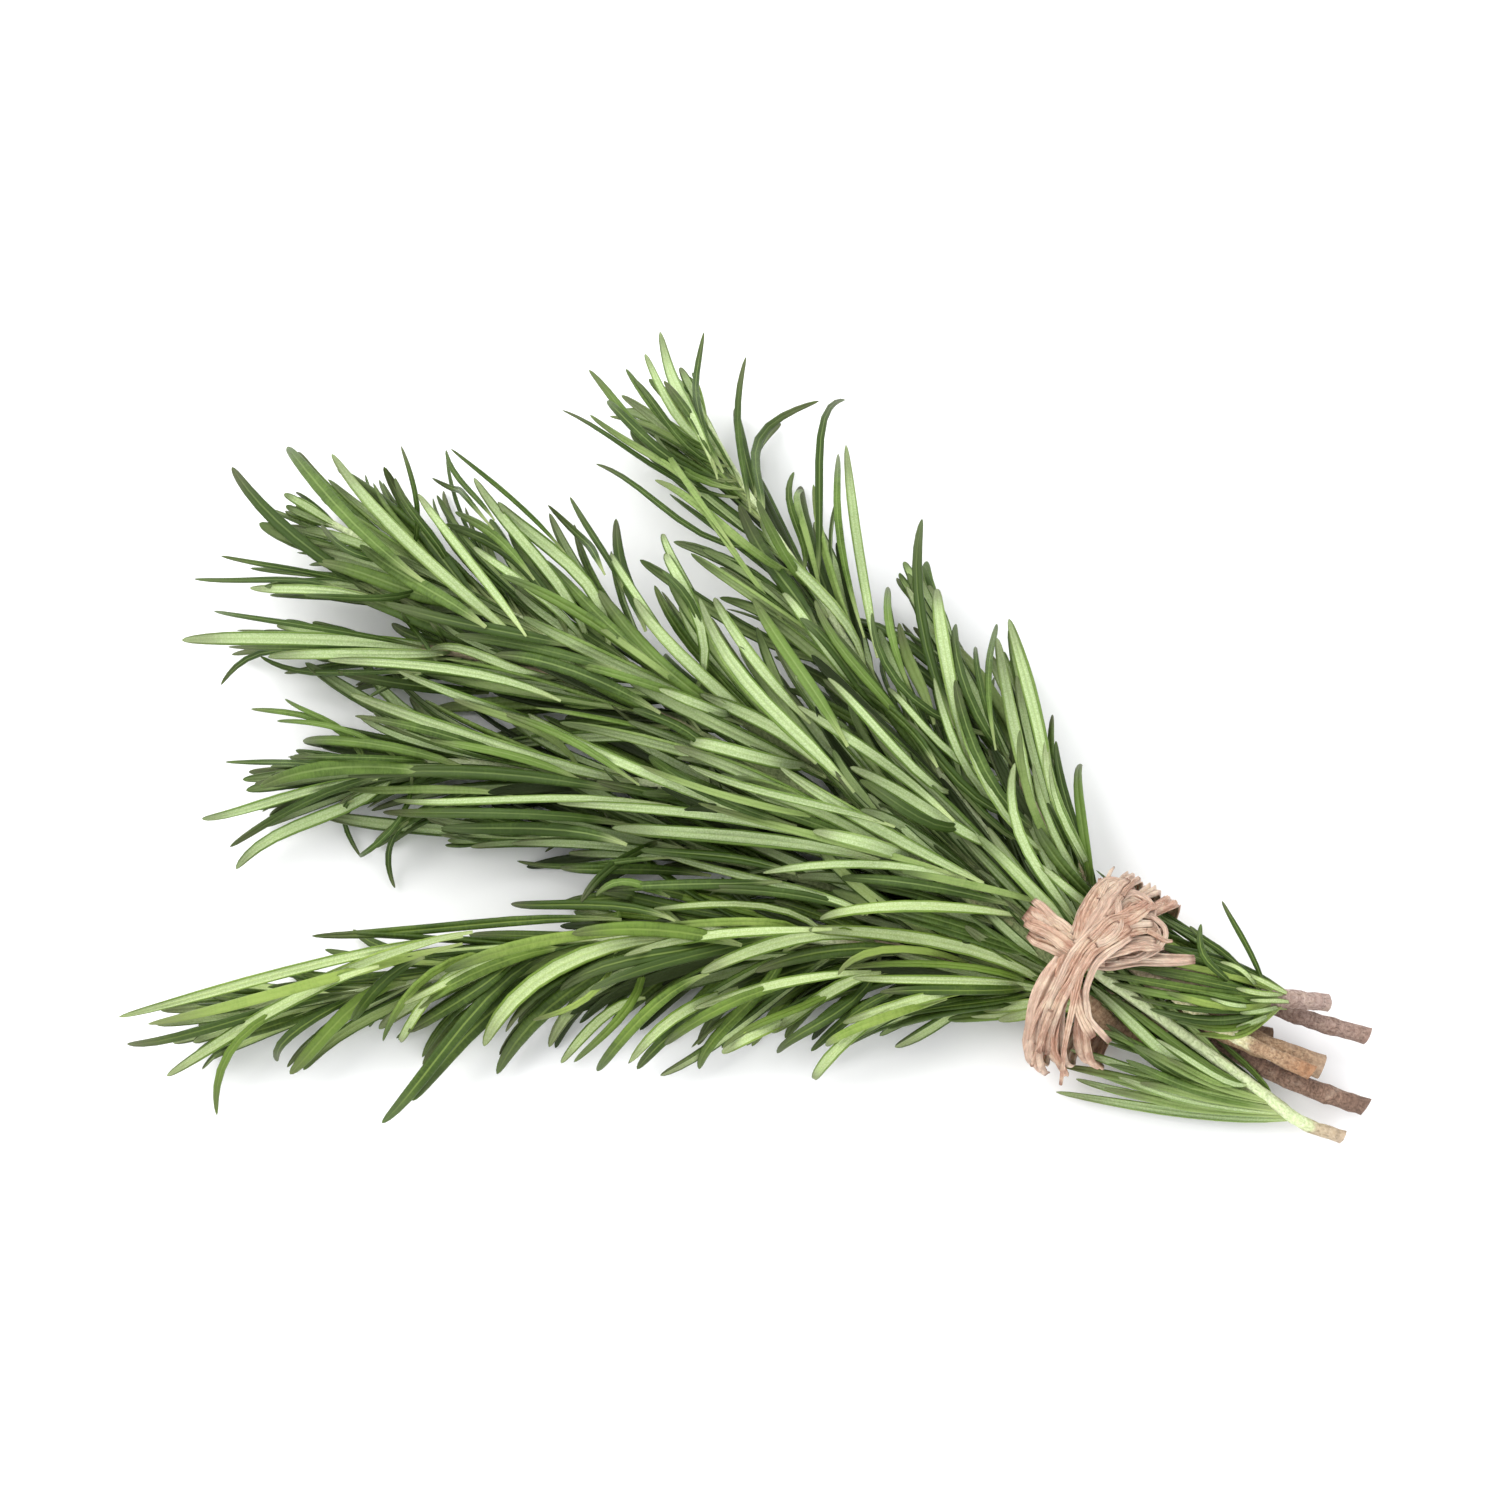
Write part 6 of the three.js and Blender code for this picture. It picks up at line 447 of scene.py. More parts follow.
        [2.85,-8.85,18.44,-2.81,-1.82,14.75,-7.57,5.17,10.57,-8.69,12.98,4.67,-0.96,-0.07,0.28,2.23,0.69,0.154],
        [-7.85,-2.95,16.87,-12.39,3.02,15.22,-17.65,8.63,13.69,-17.6,15.77,9.83,-0.98,-0.2,0.06,1.79,-0.75,0.247],
        [-20.46,3.42,14.8,-25.29,6.41,11.37,-30.56,9.65,8.64,-32.24,12.36,2.45,-0.88,-0.11,0.47,1.78,0.48,0.316],
        [-27.62,6.77,13.71,-38.17,12.38,9.78,-48.18,18.11,5.15,-57.79,24.9,0.95,-0.65,-0.5,0.57,2.28,0.12,0.04],
        [-28.15,6.95,13.66,-36.67,12.33,12.59,-45.46,17.07,10.85,-52.71,24.18,9.9,-0.64,-0.68,0.36,2.01,0.77,2.3],
        [-63.0,15.03,9.87,-66.46,16.43,9.47,-70.06,17.03,9.09,-73.35,18.56,8.53,-0.36,-0.8,0.47,1.88,0.05,0.084],
        [47.17,-40.59,15.05,45.55,-39.71,13.8,41.66,-35.88,14.18,38.42,-31.82,15.31,0.23,0.14,0.96,1.82,-0.15,2.82],
        [37.4,-30.34,17.63,31.69,-26.87,15.9,26.06,-22.31,15.21,21.3,-19.62,10.24,-0.65,-0.17,0.74,1.88,3.26,0.184],
        [27.8,-26.19,18.68,21.01,-20.94,15.82,13.92,-16.37,12.56,6.62,-12.76,8.34,-0.32,0.43,0.84,2.01,1.57,0.109],
        [14.75,-17.73,19.17,9.92,-14.36,16.91,4.64,-11.28,14.88,-0.62,-9.33,11.56,-0.37,0.3,0.88,1.7,-0.09,0.145],
        [7.85,-11.73,18.83,0.14,-4.91,14.46,-6.51,2.15,9.53,-12.17,8.4,2.35,-0.71,0.09,0.7,2.17,-0.57,2.3],
        [-4.02,-5.08,17.51,-8.23,-1.78,14.2,-12.27,1.67,10.64,-14.8,5.94,6.33,-0.91,-0.31,0.27,1.78,-0.32,0.17],
        [-14.14,-1.0,15.85,-23.68,1.76,13.07,-33.17,3.72,9.66,-42.7,6.69,7.42,0.17,0.98,0.1,2.0,-1.04,2.57],
        [-19.98,3.16,14.9,-31.02,7.29,10.53,-41.59,11.84,5.99,-52.39,15.46,1.04,-0.26,0.5,0.82,2.25,1.25,0.094],
        [-21.66,2.72,14.63,-31.61,5.39,10.8,-42.14,8.73,7.71,-51.56,8.15,0.95,-0.24,0.83,0.5,1.92,4.4,0.144],
        [-34.17,7.81,12.81,-41.79,10.41,9.25,-49.45,12.19,5.95,-56.25,13.88,0.95,-0.56,0.15,0.81,2.04,1.27,2.6],
        [-35.69,9.39,12.69,-39.83,12.63,9.0,-45.86,13.78,4.64,-47.4,19.28,0.95,-0.88,-0.47,0.09,1.94,0.31,2.3],
        [-45.92,11.15,11.39,-52.14,12.18,8.32,-58.6,13.26,6.18,-63.42,12.61,1.1,-0.61,0.51,0.6,1.74,0.95,0.256],
        [-41.98,11.25,11.85,-51.87,12.94,8.51,-61.9,15.53,5.42,-71.69,16.8,0.95,-0.48,-0.26,0.84,1.95,0.56,0.169],
        [-54.07,13.68,10.6,-61.87,15.31,8.31,-70.71,16.31,7.55,-77.78,19.5,3.28,-0.46,-0.63,0.62,2.34,1.15,0.307],
        [-58.51,13.62,10.16,-68.36,14.38,7.56,-78.54,15.75,6.02,-87.84,15.05,1.51,-0.3,0.41,0.86,2.12,0.51,0.327],
        [4.02,-9.51,18.54,0.79,-4.96,16.39,-3.56,-0.79,14.01,-1.99,4.36,10.11,-0.93,0.14,0.35,2.12,-0.43,0.252],
        [-45.73,12.06,11.47,-50.19,14.29,10.56,-56.08,14.71,9.93,-59.96,18.48,8.3,-0.51,-0.72,0.46,2.01,0.4,0.184],
        [-38.94,10.36,13.18,-42.56,11.67,12.69,-46.46,13.19,12.38,-50.43,14.46,12.64,-0.22,-0.4,-0.89,1.94,0.33,0.085],
        [-58.38,14.44,10.17,-67.95,15.65,7.73,-77.77,17.73,6.74,-86.92,18.95,2.85,-0.2,0.4,0.9,2.23,0.71,0.312]
    ],
    "d": [
        [-63.61,-6.71,8.12,-66.69,1.74,11.61,-75.75,1.74,12.38,-83.21,3.46,8.31,0.12,-0.27,0.96,1.1,0.12,0.435],
        [-63.61,-6.71,8.12,-64.48,0.42,10.13,-72.14,0.29,13.42,-77.12,4.3,11.48,0.12,-0.26,0.96,1.0,-0.06,0.52],
        [-57.65,-6.11,8.26,-62.2,-1.68,14.7,-71.97,0.09,13.42,-78.69,1.2,8.89,0.11,-0.26,0.96,1.0,0.4,0.527],
        [-45.84,-8.28,12.52,-57.09,-3.37,12.56,-69.62,-3.57,16.07,-75.2,-0.22,1.31,0.11,-0.26,0.96,1.9,0.28,0.465],
        [-53.52,-5.86,8.36,-51.34,-8.98,22.0,-63.75,-9.24,25.7,-74.85,-8.55,22.09,0.1,-0.26,0.96,1.0,0.23,0.189],
        [-63.47,-9.94,20.18,-74.88,-11.08,29.71,-76.47,-6.77,11.61,-86.91,-6.3,10.37,0.13,-0.25,0.96,1.0,-0.26,0.086],
        [-51.49,-9.9,17.38,-60.92,-9.33,20.52,-71.03,-9.64,22.97,-78.36,-15.22,28.32,0.11,-0.25,0.96,2.6,0.2,0.426],
        [-61.29,-9.34,10.9,-72.14,-10.16,12.0,-81.91,-17.22,18.58,-90.68,-15.6,8.36,-0.13,0.24,-0.96,1.82,-0.27,0.597],
        [-58.74,-8.92,12.86,-68.78,-12.77,19.34,-77.35,-13.72,6.57,-86.14,-19.89,6.26,0.12,-0.24,0.96,1.8,-0.61,0.159],
        [-57.65,-6.11,8.26,-63.53,-16.09,8.23,-78.39,-14.89,9.3,-85.44,-22.97,3.29,-0.12,0.24,-0.96,2.28,0.08,0.6],
        [-65.24,-12.73,9.38,-67.49,-13.74,12.91,-69.07,-14.0,-3.58,-64.64,-20.74,2.58,0.11,-0.24,0.96,0.9,-0.01,0.032],
        [-56.28,-6.0,8.29,-53.15,-16.99,12.0,-63.58,-24.44,18.13,-64.8,-20.59,2.68,0.1,-0.24,0.97,1.1,0.34,0.117],
        [-56.06,-16.17,9.25,-58.41,-18.91,13.4,-61.67,-19.98,0.99,-58.89,-25.86,1.63,0.1,-0.23,0.97,1.1,0.32,0.052],
        [-17.38,-9.57,9.12,-29.93,-11.39,23.68,-50.03,-0.8,11.27,-65.45,3.18,18.49,-0.07,0.26,-0.96,2.39,-0.35,0.695],
        [0.77,-18.55,21.45,-13.34,-14.06,29.29,-29.12,-7.03,24.36,-36.38,1.48,12.27,-0.04,0.26,-0.97,1.94,-0.09,0.69],
        [-12.16,-15.21,15.59,-30.88,-12.51,17.15,-47.46,-19.29,29.42,-58.95,-12.28,8.14,-0.07,0.24,-0.97,1.6,0.49,0.863],
        [-38.64,-12.68,13.16,-48.98,-13.15,21.88,-58.78,-9.33,2.29,-65.75,-12.23,14.71,0.09,-0.25,0.96,1.5,0.14,0.9],
        [-18.86,-12.59,14.2,-33.29,-11.67,22.67,-49.81,-8.22,16.04,-65.28,-11.04,19.29,0.07,-0.25,0.97,2.2,0.0,0.078],
        [-18.32,-17.07,9.11,-30.65,-19.01,29.98,-50.99,-19.37,26.16,-60.8,-13.79,5.95,0.07,-0.24,0.97,1.9,0.24,0.168],
        [13.96,-21.85,17.31,-0.54,-19.02,26.5,-15.47,-15.07,14.03,-30.94,-15.57,19.18,-0.02,0.24,-0.97,1.82,-0.26,0.692],
        [-19.35,-23.16,21.43,-27.64,-19.45,21.17,-38.48,-18.14,11.31,-50.51,-17.94,11.62,0.06,-0.24,0.97,2.3,-0.03,0.107],
        [-12.39,-23.59,14.05,-21.85,-24.92,19.73,-28.62,-24.58,5.61,-38.17,-22.37,6.61,0.04,-0.23,0.97,1.1,-0.07,0.137],
        [-13.92,-18.5,6.39,-18.02,-22.72,13.16,-23.24,-24.3,14.64,-26.96,-31.46,16.02,0.04,-0.23,0.97,1.7,-0.37,0.037],
        [21.61,-26.02,22.68,7.69,-22.72,25.02,-10.17,-17.47,5.6,-21.67,-21.14,24.73,-0.0,0.23,-0.97,2.74,0.35,0.424],
        [-27.42,-8.25,8.89,-30.45,-0.62,12.68,-40.56,-0.9,18.02,-48.3,1.96,19.76,0.06,-0.26,0.96,1.4,-0.02,0.989],
        [-27.12,-11.1,16.44,-34.57,-7.94,19.25,-43.16,-6.7,21.37,-51.78,-5.48,21.38,0.07,-0.26,0.96,1.6,0.26,0.597],
        [-17.45,-13.01,21.14,-26.76,-8.38,30.41,-30.57,-2.87,16.66,-40.71,0.47,17.11,0.05,-0.26,0.96,1.5,-0.46,0.559],
        [-36.54,-6.93,8.72,-40.65,-7.03,21.14,-52.3,-3.6,23.37,-63.72,-2.5,25.34,0.08,-0.26,0.96,1.5,0.05,0.178],
        [15.24,-18.7,20.63,4.47,-19.11,27.15,-8.55,-17.64,36.99,-17.21,-10.7,25.11,0.0,-0.25,0.97,1.5,0.74,0.978],
        [24.03,-21.52,26.99,13.31,-17.15,26.48,1.29,-17.15,30.18,-9.37,-11.3,27.37,0.01,0.25,-0.97,1.71,-0.65,0.696],
        [35.61,-28.86,21.58,21.68,-25.74,29.66,6.19,-20.28,19.52,-7.7,-18.06,29.06,-0.02,-0.23,0.97,1.5,0.38,0.98],
        [34.88,-28.73,21.58,24.53,-27.05,27.93,11.74,-26.74,25.23,2.78,-26.93,17.46,0.03,0.23,-0.97,1.48,0.23,0.685],
        [19.54,-35.39,24.34,11.75,-28.9,17.32,-1.15,-26.38,9.17,-17.07,-20.94,10.66,0.01,0.22,-0.97,1.6,-0.48,0.859],
        [38.4,-29.96,23.21,26.74,-23.64,22.36,15.4,-19.92,31.16,5.54,-10.73,23.94,0.04,0.24,-0.97,2.28,-0.2,0.692],
        [28.52,-26.19,8.73,30.23,-24.35,19.0,18.16,-26.74,38.95,10.85,-21.65,24.74,0.04,0.23,-0.97,2.39,0.24,0.856],
        [50.13,-33.4,20.76,41.36,-31.05,23.41,31.43,-29.47,24.24,24.83,-30.09,32.55,-0.06,-0.22,0.97,1.3,0.01,0.936],
        [8.23,-19.59,19.87,-2.39,-20.47,33.99,-14.73,-13.29,33.13,-15.86,-6.61,16.07,0.01,-0.25,0.97,1.7,-0.16,0.124],
        [-5.18,-8.51,22.42,-8.82,-4.17,23.58,-13.38,-2.81,24.92,-18.52,-0.54,22.56,0.02,-0.27,0.96,1.8,0.34,0.105],
        [19.18,-34.13,18.52,11.45,-30.45,19.3,1.67,-30.24,19.82,-7.5,-29.47,17.58,-0.01,-0.22,0.98,1.8,-0.39,0.157],
        [44.58,-33.28,19.95,33.17,-30.15,21.9,20.63,-31.04,32.59,15.37,-27.65,16.92,-0.05,-0.22,0.97,1.8,0.09,0.128],
        [8.1,-27.38,18.67,-0.28,-23.66,16.62,-6.21,-22.72,11.91,-17.35,-23.04,17.35,0.01,-0.23,0.97,1.9,0.52,0.111],
        [-5.87,-24.4,4.39,-16.28,-22.83,6.12,-24.03,-27.71,21.57,-30.9,-23.95,8.25,0.03,-0.23,0.97,1.9,-0.29,0.189],
        [5.87,-28.07,16.09,-3.28,-29.43,19.26,-14.81,-28.97,19.75,-23.9,-29.31,15.4,0.02,-0.22,0.97,1.8,0.41,0.178],
        [-12.51,-30.42,14.89,-16.43,-29.28,18.52,-21.03,-26.83,19.65,-24.54,-30.34,15.5,0.03,-0.22,0.97,1.4,0.27,0.436],
        [85.91,-46.16,6.9,83.73,-44.15,21.92,68.69,-42.0,19.85,60.14,-40.18,20.25,-0.08,-0.12,0.99,1.6,-0.4,0.113],
        [86.78,-46.46,6.95,80.06,-46.55,23.58,70.68,-43.97,21.02,58.17,-42.59,19.95,-0.08,-0.12,0.99,1.5,0.3,0.481],
        [89.83,-47.5,6.84,77.12,-49.35,24.38,71.67,-49.36,21.18,58.93,-45.95,21.15,-0.08,-0.12,0.99,1.6,0.25,0.591],
        [85.86,-47.5,6.9,79.34,-51.38,24.76,71.74,-51.0,21.17,61.72,-48.15,21.55,-0.08,-0.12,0.99,1.4,0.9,0.033],
        [87.6,-48.1,6.96,78.48,-51.77,22.96,76.61,-52.75,16.79,65.01,-50.04,20.35,-0.08,-0.12,0.99,1.6,-0.3,0.088],
        [88.52,-47.06,6.93,85.01,-49.89,20.44,83.05,-49.81,14.98,79.72,-50.35,18.55,0.14,0.19,-0.97,1.0,0.3,0.684],
        [87.16,-47.95,6.96,83.61,-51.37,18.91,82.3,-51.16,13.79,79.25,-52.31,16.75,0.14,0.18,-0.97,1.0,0.0,0.853],
        [84.12,-46.92,6.7,78.19,-51.43,29.79,78.65,-48.96,16.73,74.54,-48.52,21.75,0.14,0.19,-0.97,0.9,0.1,0.438],
        [88.96,-47.21,6.9,77.35,-43.0,26.02,73.0,-41.7,18.9,63.46,-38.3,19.95,-0.08,-0.12,0.99,1.3,-0.2,0.156],
        [85.91,-46.16,6.9,82.12,-49.9,23.86,73.94,-47.56,20.27,66.63,-45.37,21.55,-0.08,-0.12,0.99,1.2,0.5,0.397],
        [-49.51,-6.6,8.97,-55.88,-9.46,8.32,-62.28,-12.29,7.16,-68.91,-13.33,4.85,-0.33,0.94,0.08,2.67,-0.2,0.172],
        [-27.01,-7.8,9.41,-35.97,-4.44,11.1,-45.24,-1.48,12.79,-53.57,3.73,12.9,-0.4,-0.83,-0.38,2.69,0.28,0.761],
        [82.57,-46.3,7.76,75.29,-43.86,8.03,64.55,-40.08,8.35,54.18,-35.37,8.21,0.21,0.59,-0.78,1.7,-0.84,2.37],
        [71.98,-40.87,8.1,60.63,-35.71,9.7,49.34,-30.35,11.72,38.83,-23.53,13.34,0.4,0.85,-0.34,1.57,0.94,2.19],
        [60.66,-38.01,6.83,49.92,-40.18,6.31,38.35,-44.75,5.35,26.92,-47.53,1.5,-0.18,0.8,-0.58,2.85,0.53,0.17],
        [56.53,-37.24,5.78,47.0,-35.61,10.53,36.82,-33.95,14.24,30.51,-33.98,23.5,-0.29,0.89,-0.35,2.66,1.36,0.277],
        [27.66,-25.04,9.44,17.24,-20.86,14.58,7.08,-16.15,20.24,-4.05,-11.91,24.08,-0.07,0.67,-0.74,2.94,0.71,0.086],
        [19.61,-22.43,9.77,8.37,-18.17,13.42,-2.89,-14.73,17.28,-13.08,-10.86,23.33,-0.43,0.06,-0.9,2.7,3.29,0.266],
        [10.17,-17.57,10.01,-1.58,-15.07,12.13,-13.27,-13.35,14.47,-24.65,-11.66,18.33,-0.12,0.78,-0.62,2.57,-1.7,0.172],
        [-27.93,-8.66,9.39,-39.67,-6.81,11.9,-51.13,-5.73,16.01,-60.36,-2.82,24.14,-0.55,-0.27,-0.79,2.63,0.89,0.316],
        [-48.92,-6.6,9.03,-59.46,-8.02,12.71,-69.16,-10.14,18.44,-77.25,-14.49,26.34,-0.72,0.23,-0.66,2.36,-0.86,0.08],
        [-55.28,-6.42,8.76,-63.31,-8.94,7.62,-72.14,-10.29,7.29,-79.32,-15.26,9.33,-0.51,0.66,-0.55,2.28,2.92,0.061],
        [83.44,-44.48,7.95,79.53,-39.78,8.8,72.22,-33.98,10.0,63.96,-29.56,10.58,-0.5,-0.59,-0.63,1.61,1.97,0.191],
        [83.43,-44.5,7.96,75.43,-39.45,10.04,66.09,-33.02,12.38,57.39,-26.22,16.21,-0.6,-0.3,-0.74,1.69,0.84,0.11],
        [70.78,-38.74,7.93,59.81,-33.64,8.07,48.04,-28.03,8.4,35.63,-26.42,4.94,-0.17,-0.83,-0.53,1.58,-0.44,0.317],
        [61.5,-35.82,7.09,50.49,-32.37,8.77,39.69,-29.46,10.4,29.36,-25.57,13.92,-0.46,-0.51,-0.73,2.49,-1.25,0.242],
        [47.24,-32.99,7.15,38.69,-25.48,11.63,31.42,-17.02,16.78,26.77,-8.24,24.29,-0.73,0.02,-0.69,2.84,1.08,0.118],
        [36.06,-28.74,8.55,29.21,-19.72,12.13,24.31,-9.85,16.58,18.58,-0.22,20.71,-0.86,-0.17,-0.48,2.59,0.06,2.95],
        [26.41,-24.42,9.55,18.24,-15.61,10.34,10.56,-6.38,11.99,4.33,4.18,12.41,-0.86,-0.51,-0.09,2.54,-0.6,0.191],
        [16.41,-20.78,9.89,6.47,-17.76,13.26,-3.22,-14.61,18.44,-9.9,-18.92,28.23,-0.59,0.71,-0.39,2.75,-0.52,2.54],
        [5.47,-14.49,9.88,-4.17,-9.47,12.35,-14.05,-4.82,14.27,-22.21,1.02,19.29,-0.63,-0.68,-0.36,2.68,0.35,0.327],
        [-30.01,-7.39,9.33,-41.95,-4.32,11.01,-53.31,-0.73,13.83,-64.71,2.72,17.2,-0.4,-0.24,-0.89,2.85,-1.3,0.121],
        [-41.92,-5.96,9.02,-53.38,-1.32,7.83,-63.92,3.93,9.22,-73.92,10.61,11.57,-0.58,-0.6,-0.55,2.87,-0.31,0.205],
        [-64.49,-6.52,8.37,-69.21,-6.54,9.03,-74.29,-6.77,9.33,-79.36,-6.93,9.67,-0.03,-0.87,-0.49,2.03,-0.4,0.207],
        [82.4,-46.0,6.12,75.87,-45.39,4.06,65.62,-42.54,2.67,56.04,-37.77,3.06,-0.19,-0.32,0.93,1.78,3.72,0.072],
        [82.4,-45.98,6.15,71.38,-42.19,7.14,59.42,-37.93,7.75,48.8,-31.43,10.02,0.43,0.87,0.22,1.74,1.2,0.072],
        [62.52,-38.39,5.03,53.73,-39.42,1.75,43.82,-41.31,0.95,34.06,-42.31,0.95,-0.07,0.88,-0.46,2.78,-0.35,0.163],
        [57.42,-37.26,4.31,45.28,-37.73,2.43,32.66,-39.13,0.95,19.87,-38.46,0.95,-0.1,0.7,0.7,2.7,0.55,0.259],
        [48.02,-35.0,5.52,35.75,-31.78,3.94,23.92,-28.67,1.4,11.68,-26.35,0.95,0.08,0.84,0.53,2.81,4.09,0.166],
        [30.25,-27.71,7.73,18.53,-26.36,6.16,7.29,-23.38,2.37,-3.78,-28.59,0.95,-0.4,0.76,0.51,2.29,0.1,0.255],
        [13.88,-19.5,8.7,3.18,-17.76,8.47,-7.84,-16.81,7.62,-18.69,-14.91,6.26,0.05,0.99,0.15,2.77,-0.86,2.88],
        [4.25,-15.39,8.71,-7.42,-17.01,6.75,-17.94,-20.28,3.08,-27.53,-27.18,0.95,-0.57,0.8,0.18,2.4,2.39,2.1],
        [-9.18,-11.39,8.72,-18.13,-12.98,6.8,-26.72,-14.27,3.91,-33.87,-19.48,0.95,-0.53,0.5,0.68,2.66,0.18,0.15],
        [-19.63,-9.87,8.52,-28.24,-10.46,5.9,-37.31,-9.62,1.44,-45.49,-15.01,0.95,-0.36,0.93,0.1,2.7,0.18,2.6],
        [-29.3,-8.47,8.37,-40.45,-8.77,5.75,-52.01,-7.71,1.36,-63.28,-12.3,0.95,-0.26,0.95,0.16,2.45,0.41,0.318],
        [-43.35,-6.84,8.05,-55.13,-7.78,5.81,-66.5,-9.78,2.6,-78.32,-10.54,1.26,-0.26,0.22,0.94,2.67,-0.46,0.254],
        [-51.67,-6.51,7.88,-61.88,-8.67,5.89,-71.77,-10.98,2.88,-81.35,-15.16,0.95,-0.46,0.66,0.59,2.3,0.86,0.064],
        [-64.43,-7.08,7.82,-70.02,-8.85,6.64,-76.21,-10.11,5.91,-81.31,-13.18,3.61,-0.44,0.55,0.71,2.15,3.72,0.299],
        [73.2,-39.6,6.41,62.81,-32.52,6.77,52.57,-25.13,7.11,41.71,-19.35,9.76,-0.21,-0.47,0.86,1.67,2.59,0.131],
        [66.52,-37.13,5.87,54.56,-35.38,3.61,42.54,-34.62,0.95,30.02,-36.17,0.95,0.1,-0.75,-0.66,2.77,2.31,2.93],
        [56.59,-35.64,4.24,45.06,-30.82,2.89,34.07,-25.51,1.02,25.24,-16.72,0.95,-0.33,-0.2,0.92,2.55,1.39,0.126],
        [42.25,-31.31,6.26,33.34,-25.68,5.3,24.55,-19.62,4.09,16.48,-13.02,0.95,-0.48,-0.26,0.84,2.33,3.81,0.154],
        [29.61,-25.81,7.83,22.64,-16.3,4.7,17.25,-6.06,0.95,15.83,6.35,0.95,-0.94,-0.2,0.28,2.49,-0.02,0.215],
        [21.89,-22.17,8.41,12.6,-16.51,5.66,3.13,-11.58,1.08,-4.02,-2.8,0.95,-0.5,-0.15,0.85,2.37,0.31,0.334],
        [8.64,-15.66,8.85,1.61,-10.96,6.16,-4.88,-6.62,1.66,-11.25,-0.69,0.95,-0.73,-0.64,0.23,2.7,3.04,0.165],
        [-1.38,-12.06,8.93,-9.01,-7.32,6.13,-17.91,-4.4,1.53,-23.51,3.95,0.95,-0.69,-0.72,-0.07,2.57,-0.28,0.246],
        [-10.93,-9.99,8.76,-21.65,-5.11,5.73,-31.89,-0.37,0.95,-41.18,7.68,0.95,-0.63,-0.77,-0.03,2.6,0.05,0.333],
        [-20.88,-8.66,8.52,-32.08,-7.27,5.59,-43.32,-5.62,0.95,-55.17,-3.27,0.95,-0.32,-0.16,0.93,3.01,-1.14,0.189],
        [-36.09,-6.54,8.26,-47.86,-3.87,5.44,-59.35,-0.86,0.99,-71.33,2.72,0.95,-0.35,-0.45,0.82,2.47,-0.63,0.113],
        [-46.65,-5.7,8.14,-56.79,-4.97,5.66,-66.66,-4.62,1.6,-76.94,-2.8,0.95,-0.33,-0.18,0.93,2.59,3.6,0.224],
        [-54.48,-5.56,7.94,-64.52,-5.82,5.84,-74.39,-6.25,3.31,-84.28,-5.59,0.95,-0.25,-0.72,0.65,2.53,-0.41,0.155],
        [82.57,-46.3,7.79,78.79,-44.73,9.36,72.09,-42.48,11.03,65.31,-40.44,12.8,0.01,0.77,-0.64,1.21,0.62,0.11],
        [82.57,-46.29,7.77,77.47,-44.16,8.37,69.61,-41.47,9.34,62.32,-37.65,8.28,0.04,0.17,-0.99,1.18,2.3,0.133],
        [75.63,-42.63,6.3,65.36,-38.52,8.06,54.92,-34.52,9.65,46.28,-27.54,10.95,0.43,0.87,-0.25,1.43,3.04,0.122],
        [77.11,-41.46,8.05,68.9,-37.17,10.54,61.65,-31.85,14.24,53.61,-26.89,16.28,-0.3,0.17,-0.94,1.29,1.3,0.138],
        [61.32,-38.1,7.04,52.78,-37.86,7.76,43.85,-40.31,8.17,35.08,-42.9,6.86,0.08,-0.29,-0.95,2.14,4.11,0.259],
        [53.06,-36.59,6.04,46.2,-36.81,9.41,39.69,-36.55,12.94,35.05,-38.67,18.69,-0.34,0.94,-0.07,1.73,1.13,0.23],
        [43.38,-33.27,7.46,36.19,-30.43,11.69,28.35,-26.76,14.67,23.04,-27.29,22.26,-0.65,0.37,-0.67,2.04,-0.34,0.089],
        [43.64,-31.84,7.59,36.37,-29.47,10.26,29.0,-26.33,12.88,22.0,-22.52,15.67,-0.52,-0.28,-0.81,1.99,-0.02,0.227],
        [34.22,-29.38,8.63,24.94,-26.64,11.39,15.3,-22.22,12.89,5.73,-22.3,17.64,-0.18,0.73,-0.66,1.96,-0.45,0.212],
        [34.22,-29.4,8.64,24.91,-28.07,12.03,15.51,-26.39,14.35,8.24,-28.41,21.17,-0.53,0.68,-0.5,2.08,0.65,0.325],
        [23.32,-24.38,9.64,12.89,-23.93,9.3,2.42,-21.71,10.62,-6.03,-28.68,8.57,-0.45,0.89,0.05,1.79,0.13,0.074],
        [6.85,-16.3,10.07,-0.69,-15.41,11.23,-8.09,-14.68,12.52,-15.13,-16.53,15.05,-0.19,0.97,-0.17,1.93,0.56,0.26],
        [6.85,-16.29,10.09,-1.13,-14.45,12.54,-9.66,-12.62,14.77,-16.99,-14.19,20.05,-0.4,0.55,-0.73,1.88,3.45,0.13],
        [-14.71,-10.56,9.74,-21.65,-11.14,10.52,-29.08,-10.94,11.07,-35.87,-13.57,12.94,-0.3,0.93,-0.22,1.91,-0.21,2.6],
        [-22.99,-9.39,9.48,-32.83,-9.79,9.22,-42.59,-10.16,9.57,-52.12,-11.5,11.85,-0.21,0.96,-0.16,1.93,0.13,0.04],
        [-26.56,-8.88,9.41,-35.0,-8.89,11.22,-43.36,-9.02,12.75,-50.94,-10.26,16.64,-0.3,0.82,-0.49,2.1,1.41,0.127],
        [-37.03,-7.37,9.2,-48.11,-7.61,11.23,-58.52,-8.78,14.94,-68.78,-9.32,19.92,-0.48,0.19,-0.86,2.05,0.48,0.08],
        [-32.77,-7.01,9.27,-43.65,-5.91,13.15,-56.14,-5.0,14.82,-63.02,-2.46,25.24,-0.56,0.4,-0.72,2.0,-0.83,0.192],
